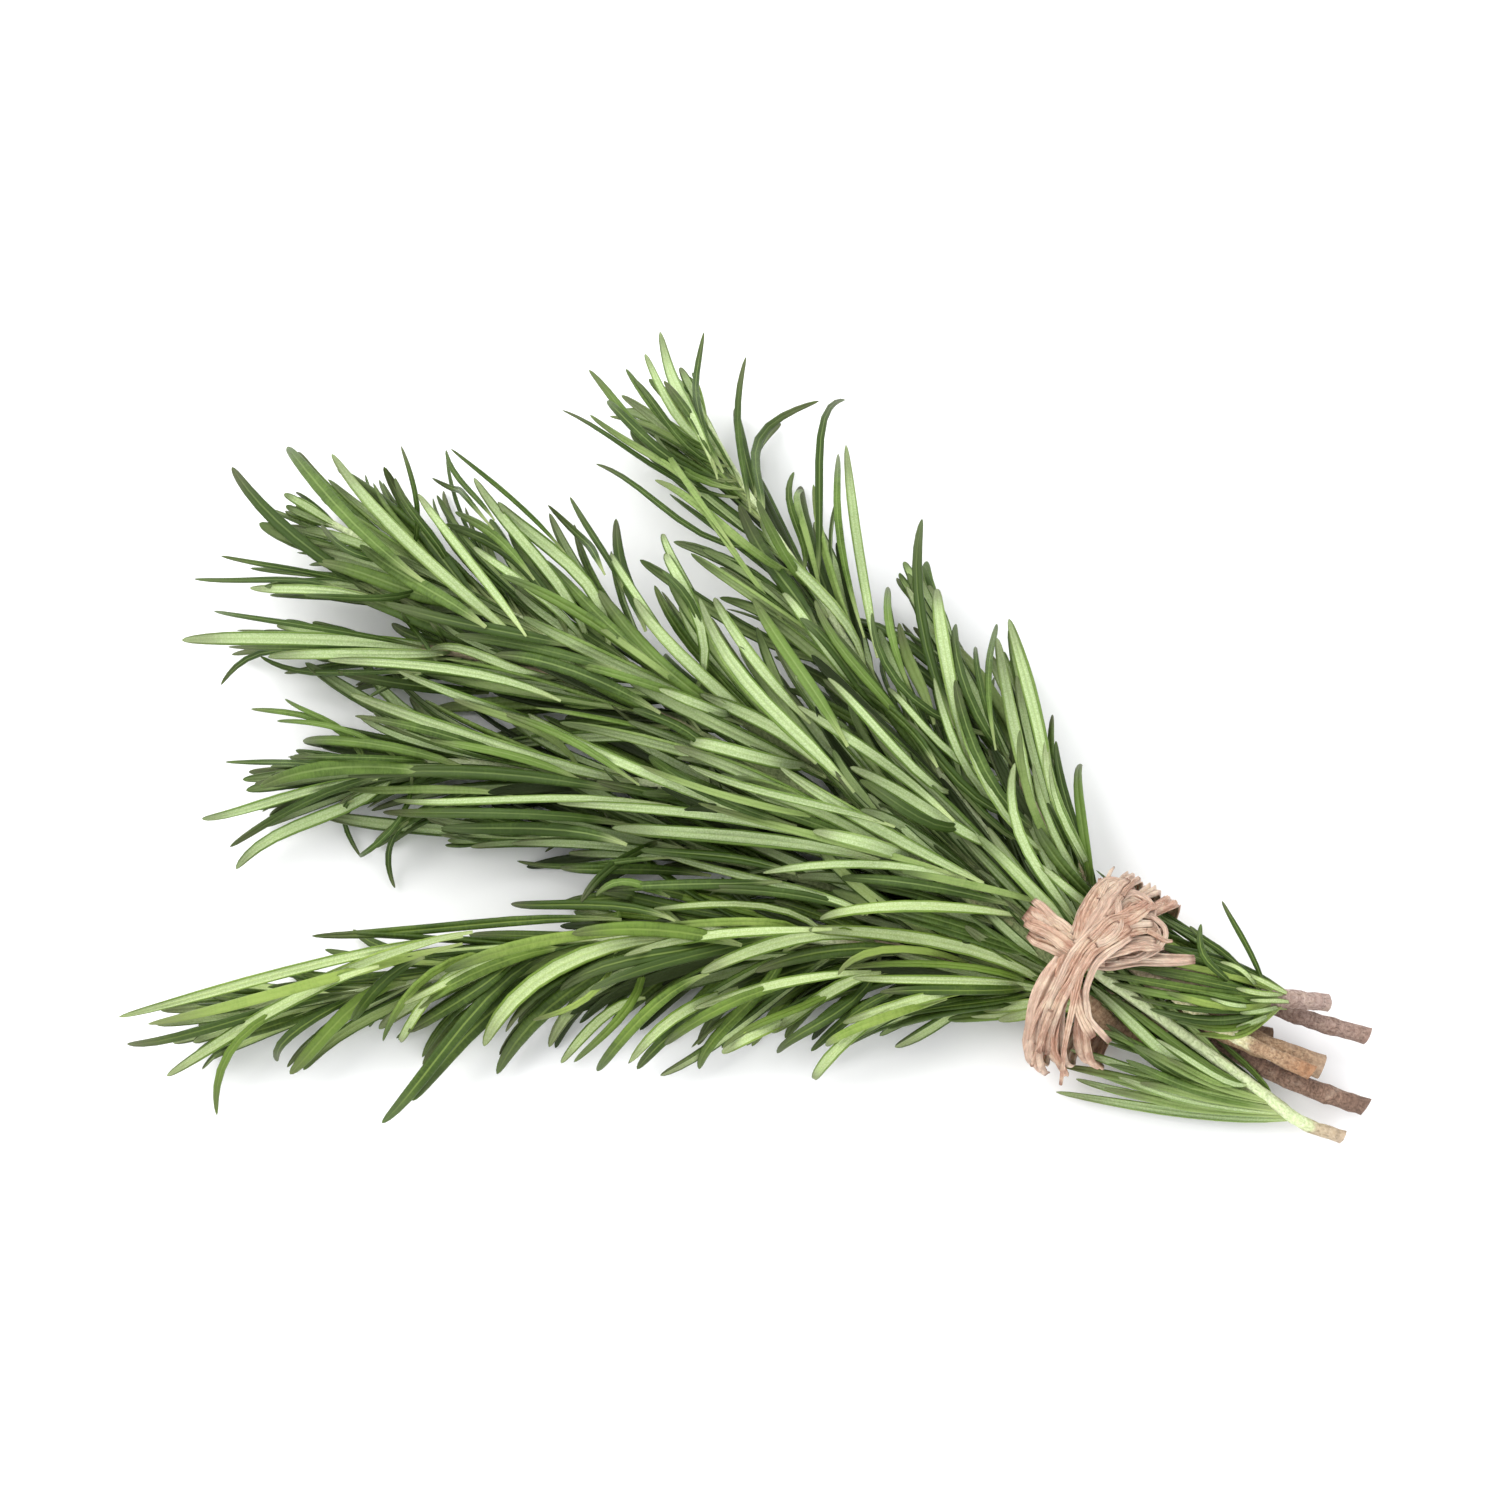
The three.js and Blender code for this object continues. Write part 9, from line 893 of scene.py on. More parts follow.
        [-9.4,-36.23,8.8,-20.67,-41.19,6.89,-32.98,-44.46,6.09,-40.56,-54.65,4.64,-0.65,0.74,0.16,2.61,-0.39,2.1],
        [-37.1,-39.45,8.28,-43.37,-44.12,7.88,-50.11,-47.97,6.88,-53.23,-55.31,5.83,-0.82,0.53,0.19,2.37,-0.41,0.211],
        [51.71,-45.66,9.2,42.07,-47.36,10.08,32.15,-47.52,10.76,23.15,-51.83,12.35,-0.22,0.88,0.42,2.57,-0.23,0.087],
        [6.21,-36.69,10.97,-5.84,-39.97,9.3,-18.12,-42.67,9.5,-28.71,-49.23,11.65,-0.4,0.9,-0.19,2.51,0.46,2.3],
        [-47.89,-42.05,8.8,-56.39,-47.04,7.45,-66.97,-49.14,6.24,-72.45,-57.77,7.87,-0.63,0.58,-0.52,2.38,0.13,0.244],
        [-68.01,-46.01,7.1,-75.27,-48.58,5.41,-82.45,-51.21,4.13,-88.65,-54.79,0.95,-0.54,0.57,0.62,2.44,0.49,0.327],
        [34.26,-41.57,11.89,22.59,-43.7,9.84,9.87,-43.13,8.66,1.22,-52.62,10.16,-0.52,0.81,0.26,2.53,0.47,0.092],
        [23.1,-39.04,11.98,11.4,-42.21,9.6,-0.58,-44.93,8.21,-8.89,-54.36,9.55,-0.58,0.81,0.01,2.68,-0.48,0.293],
        [48.41,-44.97,9.48,35.78,-47.16,10.62,23.41,-47.72,11.5,13.53,-55.63,12.28,-0.44,0.87,-0.21,2.59,0.01,0.179],
        [33.11,-41.27,11.96,24.02,-43.8,11.41,14.57,-44.99,11.96,9.47,-53.2,12.55,-0.64,0.77,-0.02,2.26,-0.42,0.1],
        [-39.27,-39.96,9.21,-46.03,-43.66,9.46,-54.47,-45.45,8.95,-59.98,-51.47,10.61,-0.57,0.73,-0.38,2.46,1.26,0.315],
        [-6.06,-36.08,8.9,-15.4,-40.73,6.93,-28.0,-42.24,5.94,-31.62,-52.91,0.95,-0.81,0.45,0.38,2.15,-1.7,2.3],
        [-16.86,-36.66,8.63,-25.82,-41.63,7.6,-35.4,-45.63,6.45,-40.65,-54.72,4.64,-0.75,0.66,0.06,2.52,0.53,0.15],
        [48.41,-44.97,9.47,38.89,-46.17,8.03,29.39,-46.59,8.09,22.13,-51.31,3.43,-0.44,0.89,0.11,2.41,0.52,0.09],
        [-62.02,-44.96,8.17,-70.75,-48.29,7.27,-79.65,-51.23,6.84,-86.97,-56.04,10.31,-0.52,0.79,-0.32,2.46,0.08,0.102],
        [45.59,-44.49,9.58,33.78,-46.57,8.43,22.08,-48.11,7.23,12.84,-55.06,3.32,-0.48,0.83,0.3,2.7,-0.75,0.082],
        [33.59,-41.53,10.35,21.6,-43.85,10.28,9.2,-44.88,9.04,0.12,-53.66,7.4,-0.51,0.78,0.37,2.5,3.83,0.202],
        [43.36,-44.12,9.63,31.09,-45.52,10.17,18.76,-45.68,10.17,8.36,-52.69,8.63,-0.41,0.89,0.18,2.5,0.14,0.06],
        [-73.51,-46.79,6.99,-78.96,-49.96,6.23,-85.75,-51.48,5.21,-89.66,-56.99,3.87,-0.66,0.7,0.28,2.21,0.22,0.188]
    ],
    "f": [
        [34.47,-4.32,23.53,28.71,7.17,25.36,26.75,21.84,26.17,29.46,33.61,18.61,-0.05,-0.29,0.95,2.0,-0.48,0.079],
        [36.58,-9.88,21.16,33.08,-0.56,32.39,31.06,13.06,30.23,31.82,21.38,18.43,0.06,0.28,-0.96,2.39,0.11,0.849],
        [43.54,-8.44,18.91,37.22,-6.57,30.78,32.76,5.25,32.8,34.64,14.02,22.56,-0.06,-0.27,0.96,1.6,-0.07,0.131],
        [44.39,-10.42,19.1,38.28,-4.88,27.82,36.8,6.28,32.76,38.11,11.13,18.99,-0.07,-0.27,0.96,1.1,0.17,0.203],
        [40.64,-8.18,24.98,37.68,3.96,34.06,41.12,11.84,16.66,42.42,18.29,8.63,-0.07,-0.28,0.96,1.2,0.11,0.387],
        [49.29,-21.22,19.37,37.5,-15.55,16.2,33.41,-8.93,27.82,30.51,2.75,29.46,0.06,0.25,-0.97,1.6,-0.49,0.595],
        [51.1,-25.14,19.1,40.86,-22.95,27.97,35.76,-9.85,25.15,33.81,1.43,28.17,0.07,0.25,-0.97,1.48,0.72,0.852],
        [44.93,-11.65,19.19,34.57,-13.69,22.12,26.95,-2.19,29.85,23.41,3.7,20.28,0.05,0.26,-0.96,1.37,0.31,0.431],
        [27.35,2.22,21.5,21.64,10.84,34.9,23.5,17.36,24.7,23.84,23.19,13.84,-0.04,-0.29,0.95,1.4,-0.03,0.56],
        [30.91,-2.81,21.12,29.04,6.31,19.0,26.79,5.67,20.26,25.12,13.38,25.21,-0.05,-0.28,0.96,2.0,0.11,0.99],
        [41.73,-4.25,18.43,30.7,-3.64,23.78,21.33,2.96,23.76,20.64,14.51,27.11,-0.05,-0.27,0.96,1.4,-0.09,0.085],
        [49.29,-21.22,19.37,40.12,-20.2,29.6,35.7,-5.16,23.18,33.74,1.57,32.37,-0.07,-0.25,0.97,1.8,0.07,0.184],
        [47.94,-18.28,19.45,36.63,-19.29,20.96,30.76,-9.33,30.73,25.94,-3.05,24.86,-0.06,-0.25,0.97,1.9,-0.57,0.049],
        [50.56,-25.17,19.54,37.96,-20.95,21.03,31.32,-9.27,22.42,26.03,2.26,22.98,0.69,0.65,-0.31,2.68,-0.17,0.121],
        [52.28,-28.78,19.17,48.64,-23.5,21.26,43.96,-15.5,23.05,40.18,-6.87,23.14,0.4,0.35,-0.85,2.4,0.09,2.3],
        [45.9,-14.73,19.71,41.64,-5.46,19.11,37.18,3.83,20.12,32.17,12.08,24.71,-0.04,0.41,-0.91,2.48,-0.04,0.137],
        [39.06,0.71,18.08,31.53,7.83,15.56,25.61,18.3,14.03,14.09,18.38,10.87,0.27,0.93,0.25,2.46,-0.29,0.203],
        [53.17,-28.18,18.07,51.13,-23.01,15.52,47.93,-15.34,13.68,43.92,-7.87,13.86,-0.15,0.09,0.98,2.72,-0.66,0.25],
        [51.71,-25.07,18.42,47.36,-14.19,15.21,43.77,-3.33,10.68,40.52,8.12,7.62,-0.31,0.28,0.91,2.44,0.46,0.773],
        [48.55,-18.35,18.85,45.39,-7.96,13.85,38.94,1.37,7.55,42.4,11.09,0.95,-0.74,0.44,0.51,2.84,-0.44,0.813],
        [43.86,-8.08,18.41,40.34,1.43,13.23,37.76,10.3,5.94,34.61,19.64,0.95,-0.61,0.47,0.64,2.63,-0.88,0.152],
        [34.35,12.24,15.05,32.7,18.33,12.16,30.02,24.84,9.95,30.77,30.53,5.24,-0.85,0.26,0.47,2.22,0.74,0.272],
        [42.64,-7.49,18.3,37.99,3.19,13.54,33.14,13.22,7.79,28.4,24.32,4.74,-0.01,0.43,0.9,2.99,-0.12,0.309],
        [40.14,-1.75,17.58,35.83,6.31,12.54,31.91,12.39,3.77,26.81,20.77,0.95,-0.1,0.71,0.69,2.64,1.06,0.142],
        [51.24,-24.24,19.57,48.8,-14.19,19.76,45.81,-4.43,19.97,44.62,5.72,20.74,-0.71,-0.03,-0.7,1.97,-0.44,0.139],
        [34.66,11.59,15.91,32.67,15.61,15.93,30.48,19.71,14.98,29.19,24.19,15.76,-0.4,-0.11,-0.91,1.92,-0.62,0.29],
        [34.45,12.06,15.8,33.39,15.77,15.23,31.88,19.46,14.42,30.71,23.36,14.24,-0.71,-0.28,-0.65,2.31,-0.1,0.307],
        [52.28,-28.78,19.16,48.08,-23.63,20.15,43.26,-15.7,21.48,39.56,-7.15,22.49,0.85,0.5,-0.18,2.01,-0.66,0.04],
        [52.26,-28.79,19.18,49.92,-27.07,20.42,46.66,-22.67,21.74,44.23,-17.63,22.29,0.71,0.56,-0.43,1.72,-1.7,0.408],
        [44.82,-12.56,18.72,40.65,-7.51,18.31,36.34,-2.41,17.45,31.93,2.6,16.39,0.63,0.7,0.34,1.63,0.14,0.074],
        [40.47,-2.45,18.55,35.85,5.4,19.44,30.84,12.56,21.31,26.46,19.96,24.25,-0.28,0.22,-0.93,2.14,-0.32,0.17],
        [41.65,-5.27,18.04,34.27,3.22,15.97,26.87,11.61,13.48,17.52,17.86,10.53,0.49,0.81,0.33,2.27,-0.72,0.109],
        [36.21,6.66,16.14,32.43,10.41,15.01,28.88,14.63,13.8,24.24,17.1,11.51,0.46,0.87,0.18,1.7,2.78,0.204],
        [36.44,6.36,17.01,33.1,12.15,18.49,29.27,17.4,19.86,26.76,22.37,23.83,0.16,0.65,-0.74,1.95,0.5,0.113],
        [53.2,-28.32,19.2,53.36,-25.73,16.33,52.0,-20.95,15.79,50.9,-16.09,16.43,-0.97,-0.26,0.03,1.68,0.58,0.247],
        [46.4,-16.08,18.81,42.78,-7.43,15.76,38.83,0.58,12.1,35.2,8.78,8.43,-0.26,0.39,0.88,2.11,3.33,2.14],
        [44.26,-9.03,18.53,39.4,1.27,13.8,33.81,12.42,11.2,31.61,20.72,1.77,0.08,0.66,0.75,1.93,-0.73,0.253],
        [33.01,14.82,14.48,31.95,19.18,13.04,30.27,23.62,11.66,29.76,28.24,9.93,-0.91,-0.02,0.41,2.11,0.77,0.106],
        [33.87,13.14,14.85,31.91,17.41,12.45,29.67,22.44,11.2,28.2,26.22,7.32,-0.52,0.37,0.77,2.09,0.36,0.279],
        [46.09,-12.98,18.7,41.24,-2.8,14.17,37.1,7.58,9.53,32.75,16.58,2.38,-0.48,0.41,0.77,1.99,1.02,0.212],
        [44.83,-12.56,18.7,39.79,-3.75,15.92,34.43,5.33,13.72,29.2,13.47,8.81,-0.15,0.4,0.91,2.03,-0.98,0.261],
        [39.53,-0.33,17.42,36.0,6.14,14.07,32.18,12.61,10.89,28.36,18.38,6.4,-0.04,0.64,0.77,1.75,-0.93,0.152],
        [34.11,11.15,15.22,31.92,15.23,13.54,29.75,19.38,12.25,27.32,23.26,10.61,-0.04,0.35,0.93,2.32,2.29,0.325]
    ],
    "g": [
        [49.44,-17.23,27.5,47.45,-6.47,32.89,47.02,4.18,18.85,43.45,15.09,21.88,0.08,0.27,-0.96,2.62,-0.48,0.688],
        [47.76,-20.54,20.73,43.83,-9.45,29.42,43.08,1.98,18.95,41.84,13.61,15.95,0.07,0.26,-0.96,2.51,0.52,0.849],
        [56.21,-27.07,11.27,57.24,-26.39,21.19,46.47,-19.01,34.86,48.77,-6.74,27.87,0.09,0.24,-0.97,1.82,-0.13,0.846],
        [58.15,-30.88,10.76,56.21,-25.23,20.62,51.21,-13.28,14.92,51.45,-3.67,14.04,-0.09,-0.24,0.97,1.5,0.02,0.099],
        [57.15,-28.99,10.99,54.85,-27.63,30.94,53.05,-10.53,20.1,56.19,-5.76,7.01,-0.09,-0.24,0.97,1.8,-0.24,0.559],
        [56.8,-28.3,11.1,54.3,-31.36,24.13,47.75,-19.83,22.85,46.58,-10.57,25.9,0.09,0.23,-0.97,1.37,0.25,0.851],
        [55.63,-25.85,11.48,58.53,-27.98,21.42,48.98,-22.56,30.33,48.77,-12.45,32.37,0.09,0.23,-0.97,1.25,-0.16,0.601],
        [60.27,-34.85,11.95,57.69,-34.14,18.77,53.23,-33.54,26.89,47.06,-27.16,25.58,0.09,0.22,-0.97,1.71,0.24,0.689],
        [60.01,-34.37,11.73,58.81,-33.52,21.6,49.34,-27.82,23.89,46.59,-19.17,23.47,-0.09,-0.22,0.97,2.1,-0.47,0.217],
        [53.77,-36.15,20.29,48.22,-30.3,27.42,40.57,-21.64,26.12,43.28,-11.85,30.72,0.08,0.23,-0.97,1.82,-0.1,0.691],
        [55.71,-26.02,11.45,49.63,-25.23,20.33,43.31,-17.27,31.57,44.34,-5.85,28.91,-0.08,-0.24,0.97,1.5,0.32,0.894],
        [54.97,-25.54,11.97,46.99,-30.44,13.73,46.97,-17.03,15.68,43.53,-10.9,16.16,0.65,0.59,-0.48,2.81,-0.17,2.3],
        [54.97,-25.35,11.96,52.39,-22.46,13.53,49.48,-17.94,14.99,48.54,-12.29,14.94,-0.02,0.18,-0.98,2.63,0.36,0.063],
        [51.83,-14.53,11.88,50.7,-8.85,11.71,50.46,-3.2,10.55,51.38,2.35,8.53,-0.99,-0.03,0.11,2.84,0.07,0.318],
        [53.16,-20.97,12.31,49.86,-9.14,14.47,46.32,2.15,17.94,43.61,13.94,20.76,-0.01,0.32,-0.95,2.78,-0.29,0.104],
        [50.03,-11.19,11.43,48.03,-2.9,13.41,45.2,5.27,15.09,44.44,12.62,20.24,-0.19,0.45,-0.87,2.49,0.08,0.903],
        [53.89,-22.78,12.2,44.01,-15.34,13.64,33.75,-8.63,15.34,24.12,-0.92,16.07,0.51,0.81,-0.3,2.99,1.94,0.08],
        [51.51,-16.34,11.2,43.25,-7.52,10.18,34.13,-0.04,8.78,23.92,6.34,7.52,0.46,0.82,0.35,2.46,2.85,0.127],
        [50.08,-11.43,11.45,45.27,-2.53,10.82,42.09,7.59,9.02,34.32,14.55,11.24,0.66,0.61,-0.44,2.16,4.4,0.976],
        [54.91,-25.38,11.01,50.87,-17.5,8.29,45.9,-8.39,6.02,40.91,0.71,3.76,0.25,0.36,0.9,2.9,-0.08,0.04],
        [54.13,-20.98,11.37,51.65,-11.82,8.15,49.6,-3.32,2.61,48.14,6.37,0.95,-0.76,0.17,0.63,2.73,3.6,0.096],
        [51.41,-13.13,10.9,49.66,-4.86,7.74,48.11,2.89,3.27,47.49,11.48,0.95,-0.75,0.26,0.61,2.18,1.64,0.854],
        [48.38,-2.08,9.48,47.38,3.44,7.14,46.78,9.01,5.11,45.91,13.89,1.68,-0.42,0.46,0.78,2.04,2.04,0.803],
        [54.98,-25.35,11.97,51.73,-20.71,14.82,47.81,-14.24,17.37,44.71,-6.95,18.18,0.29,0.42,-0.86,2.06,-0.85,0.29],
        [54.97,-25.37,12.0,53.39,-23.41,15.63,51.0,-20.01,19.2,48.98,-16.45,22.82,0.18,0.77,-0.62,1.83,3.63,0.105],
        [54.62,-24.44,12.04,50.68,-15.0,14.32,46.2,-5.66,15.71,42.82,3.23,20.23,-0.17,0.34,-0.92,1.81,0.19,0.247],
        [49.37,-8.77,11.07,47.51,-3.3,12.18,45.25,2.02,13.49,43.54,7.51,15.03,0.32,0.44,-0.84,1.88,-1.32,0.078],
        [48.67,-3.15,10.35,47.32,2.79,10.83,45.85,8.9,10.46,45.33,15.05,11.75,-0.08,0.13,-0.99,2.28,-1.13,0.937],
        [55.77,-24.99,11.99,54.21,-19.38,11.86,52.59,-13.02,12.72,50.82,-6.62,13.65,-0.74,-0.01,-0.67,1.61,0.41,0.314],
        [54.97,-25.35,11.94,49.48,-20.17,11.83,42.93,-14.14,12.12,36.45,-8.01,12.83,0.58,0.77,-0.25,2.04,-0.46,2.1],
        [54.87,-25.3,11.05,51.77,-21.18,11.16,48.03,-15.51,11.3,44.4,-9.78,10.64,0.79,0.58,-0.19,1.78,-1.33,0.081],
        [50.86,-14.17,10.99,46.86,-8.17,9.82,42.51,-2.5,8.3,38.49,3.33,6.45,0.68,0.67,0.29,1.99,0.89,0.856],
        [50.62,-13.36,10.9,47.84,-8.97,9.31,44.94,-4.69,7.44,41.78,-0.52,5.62,0.29,0.64,0.72,1.72,0.81,2.3],
        [48.46,-5.28,9.85,45.85,0.93,9.42,43.64,7.44,8.79,40.81,13.65,7.69,0.92,0.38,-0.12,2.05,1.04,0.988],
        [54.85,-25.31,11.03,50.61,-21.4,10.36,45.81,-15.86,10.1,41.78,-9.8,10.94,0.6,0.47,0.65,1.87,0.46,2.6],
        [54.86,-25.3,11.03,50.83,-19.81,9.82,46.11,-12.74,9.21,42.17,-5.26,10.09,0.47,0.31,0.83,1.91,-0.01,2.1],
        [53.89,-20.43,11.42,52.8,-14.29,8.43,51.71,-8.43,5.1,52.46,-2.83,0.95,-0.26,0.64,0.72,1.99,0.83,0.218],
        [53.12,-21.0,11.42,51.94,-14.98,8.32,49.74,-10.06,3.97,49.76,-4.09,0.95,-0.7,0.43,0.57,2.03,-0.6,0.103],
        [49.97,-10.94,10.59,48.89,-5.41,7.59,47.07,-0.69,3.9,46.59,4.63,0.95,0.18,0.69,0.7,1.71,-1.34,0.949],
        [48.0,-3.41,9.63,46.41,2.23,8.31,45.02,7.99,7.5,43.18,13.51,6.11,0.66,0.36,0.65,2.06,0.57,0.984],
        [48.15,-1.15,9.39,47.48,4.45,7.96,46.61,10.11,6.99,46.59,15.46,4.69,-0.32,0.28,0.9,2.28,0.17,0.991]
    ],
    "h": [
        [44.86,-38.74,4.78,40.01,-36.66,6.66,31.58,-33.01,8.55,23.01,-29.55,10.12,-0.31,-0.28,-0.91,2.61,-1.56,0.103],
        [44.26,-38.45,4.85,34.18,-33.34,8.83,24.68,-27.77,13.1,15.54,-22.3,18.34,-0.62,-0.34,-0.7,2.36,0.18,0.16],
        [32.65,-33.25,5.88,21.2,-29.24,9.23,10.26,-24.87,13.66,-1.33,-20.44,14.91,-0.34,-0.13,-0.93,2.46,-1.1,0.145],
        [16.85,-27.4,6.63,6.7,-22.45,12.04,-2.92,-17.33,18.09,-13.87,-13.79,22.75,-0.43,0.15,-0.89,2.92,-1.07,2.83],
        [11.69,-25.83,6.69,-0.18,-22.53,8.37,-11.26,-19.1,11.64,-22.24,-15.87,16.36,-0.32,0.35,-0.88,2.42,-1.36,0.207],
        [-4.14,-21.69,6.88,-14.76,-17.28,9.42,-24.93,-12.13,13.92,-36.31,-7.58,15.94,-0.39,-0.05,-0.92,2.81,0.27,0.08],
        [-35.05,-17.95,6.44,-41.22,-17.49,7.77,-47.36,-17.0,8.49,-52.98,-16.07,11.04,-0.34,-0.42,-0.84,2.34,-0.03,0.149],
        [44.58,-39.98,4.7,34.51,-43.21,7.56,25.16,-47.65,12.75,17.28,-54.71,19.07,-0.6,0.79,-0.13,2.55,0.9,0.096],
        [44.78,-38.69,3.49,37.7,-33.13,1.92,27.99,-25.37,0.95,18.11,-17.74,0.95,-0.49,-0.51,0.71,2.88,0.21,0.161],
        [34.47,-33.95,4.67,25.53,-25.47,5.17,16.85,-16.53,5.13,7.59,-8.25,5.84,-0.69,-0.69,0.19,2.84,4.17,0.091],
        [24.44,-30.05,5.33,15.9,-21.37,4.93,7.7,-12.3,3.81,3.65,-0.8,0.95,-0.78,-0.36,0.51,2.5,2.62,0.274],
        [12.97,-26.17,5.79,2.23,-20.34,3.15,-8.21,-13.86,0.95,-19.5,-8.44,0.95,-0.5,-0.73,0.46,2.68,0.31,2.44],
        [-0.19,-22.52,6.05,-10.37,-15.22,4.69,-20.04,-7.52,2.77,-31.19,-2.16,1.43,-0.57,-0.82,-0.0,2.79,1.51,0.227],
        [-6.78,-21.12,6.12,-18.17,-17.06,4.24,-29.46,-12.43,1.09,-41.13,-7.92,0.95,-0.39,-0.58,0.71,2.67,0.13,0.15],
        [-14.73,-19.67,6.14,-26.64,-18.59,4.02,-38.66,-16.1,0.95,-51.18,-16.36,0.95,-0.2,-0.58,0.79,2.93,-0.75,0.08],
        [-31.68,-18.01,5.93,-38.07,-15.88,5.02,-44.64,-13.8,4.16,-50.54,-10.77,1.9,-0.43,-0.46,0.78,2.39,-0.32,0.139],
        [44.52,-39.89,3.59,38.85,-39.0,2.95,29.86,-36.4,3.12,21.05,-33.33,3.92,0.23,0.66,0.72,2.55,0.25,0.151],
        [41.49,-38.45,3.89,30.08,-34.28,2.18,18.15,-30.74,0.95,6.43,-26.34,0.95,0.14,0.68,0.72,2.92,-0.33,0.15],
        [35.24,-35.56,4.52,24.18,-34.04,3.07,12.95,-31.53,0.95,1.66,-34.88,0.95,-0.23,0.71,0.66,2.76,-1.54,2.87],
        [19.05,-29.18,5.56,7.12,-31.07,5.38,-4.47,-34.58,4.47,-16.33,-37.21,4.99,-0.3,0.94,-0.13,2.84,-0.25,2.53],
        [10.38,-25.4,5.86,2.64,-22.63,3.87,-5.16,-20.28,0.95,-12.57,-16.05,0.95,-0.35,-0.12,0.93,2.66,0.95,0.167],
        [0.46,-22.71,6.05,-8.37,-21.62,3.93,-16.81,-18.95,0.95,-25.95,-19.89,0.95,-0.15,0.7,0.7,2.29,-0.08,2.3],
        [44.88,-38.71,4.81,42.86,-36.4,6.67,37.24,-32.62,8.67,31.29,-29.03,9.89,-0.48,-0.35,-0.8,2.06,0.35,0.149],
        [44.9,-38.74,4.84,44.14,-38.23,7.48,40.04,-35.83,10.19,36.21,-32.96,12.83,-0.68,-0.5,-0.54,1.69,-0.92,2.64],
        [44.58,-39.93,4.67,36.35,-37.72,7.61,26.67,-34.58,10.35,17.2,-33.4,15.09,-0.06,0.92,-0.4,1.89,0.8,0.148],
        [31.62,-33.98,5.94,23.64,-31.47,8.35,15.67,-29.23,10.48,7.98,-27.84,14.12,-0.18,0.67,-0.72,2.04,2.29,0.28],
        [25.09,-30.36,6.24,14.37,-26.41,8.95,4.09,-22.0,12.16,-6.67,-18.51,14.78,-0.47,-0.48,-0.74,2.08,0.78,0.121],
        [12.34,-26.02,6.68,3.15,-21.93,8.33,-5.85,-17.67,10.14,-14.85,-13.53,12.28,-0.47,-0.43,-0.77,1.96,0.85,0.21],
        [13.63,-26.4,6.67,5.83,-21.29,9.86,-5.01,-17.46,11.45,-5.72,-8.94,19.3,-0.92,-0.35,-0.19,2.14,-1.62,0.066],
        [3.11,-23.27,6.88,-6.52,-18.97,9.29,-16.83,-15.47,10.47,-23.56,-8.88,16.31,-0.69,-0.67,-0.25,1.9,0.34,0.112],
        [-10.74,-20.33,6.91,-20.76,-19.16,9.01,-30.46,-17.3,12.34,-36.1,-17.55,22.24,-0.76,-0.3,-0.58,2.22,-0.51,0.04],
        [-10.89,-21.11,6.95,-20.3,-20.72,9.8,-30.41,-19.72,11.53,-38.24,-22.11,18.04,-0.53,0.49,-0.7,2.14,-0.27,0.15],
        [-35.75,-18.47,6.41,-40.65,-18.6,7.53,-45.74,-18.94,8.56,-50.49,-19.07,10.92,-0.42,0.26,-0.87,2.25,1.01,0.177],
        [-36.4,-17.91,6.37,-39.89,-16.82,6.1,-43.75,-16.49,6.11,-47.37,-15.12,5.82,-0.27,-0.95,-0.14,1.89,-0.79,0.246],
        [44.6,-39.93,4.69,40.27,-37.36,9.27,32.65,-33.51,14.15,27.57,-32.63,22.81,-0.41,0.7,-0.59,1.97,-0.01,0.247],
        [44.51,-39.92,3.6,39.25,-41.1,4.09,30.48,-39.99,4.32,22.74,-44.61,4.86,-0.26,0.95,0.16,1.99,1.63,0.133],
        [37.15,-36.41,5.47,28.75,-34.65,7.38,20.25,-33.29,9.73,11.65,-31.88,11.67,-0.18,0.55,-0.81,1.88,2.45,0.149],
        [37.15,-36.42,5.49,28.48,-35.32,8.54,20.18,-34.25,12.03,12.47,-37.58,16.06,-0.49,0.49,-0.72,1.9,3.11,0.319],
        [26.0,-31.78,6.26,17.82,-30.13,7.61,9.34,-29.06,9.49,0.95,-27.01,10.58,0.03,0.91,-0.42,1.76,1.51,0.232],
        [-10.23,-21.25,6.93,-16.72,-21.32,7.85,-23.06,-21.76,9.03,-29.43,-21.84,10.13,-0.22,0.71,-0.67,1.67,0.25,0.15],
        [-18.18,-20.01,6.92,-27.74,-19.93,8.24,-37.37,-19.85,10.99,-45.0,-22.71,17.88,-0.64,0.33,-0.69,1.89,1.03,0.04],
        [-30.38,-18.71,6.61,-36.23,-18.67,7.1,-42.65,-18.96,7.08,-47.75,-18.95,11.04,-0.44,-0.18,-0.88,2.46,0.1,0.091],
        [44.79,-38.68,3.48,41.51,-34.5,2.54,35.47,-28.25,1.1,29.06,-22.25,0.95,-0.72,-0.57,0.4,1.99,1.45,0.262],
        [41.22,-37.04,5.1,33.5,-31.05,5.3,25.4,-25.86,6.02,19.13,-18.47,6.76,-0.67,-0.63,0.39,1.99,0.61,0.117],
        [23.8,-29.84,5.36,17.13,-26.98,3.57,10.47,-23.7,1.04,3.43,-20.49,0.95,-0.33,-0.17,0.93,2.08,4.02,0.209],
        [25.69,-30.54,5.25,15.7,-25.62,3.45,5.71,-20.25,0.95,-4.47,-14.77,0.95,-0.48,-0.67,0.57,2.01,3.82,0.333],
        [13.61,-26.38,5.79,7.52,-22.71,5.65,1.18,-19.01,5.08,-5.06,-15.07,5.03,-0.56,-0.82,-0.08,1.74,4.4,0.238],
        [12.32,-26.0,5.81,7.51,-25.18,3.82,3.09,-22.2,0.95,-2.26,-23.48,0.95,-0.27,0.57,0.78,1.97,0.28,0.194],
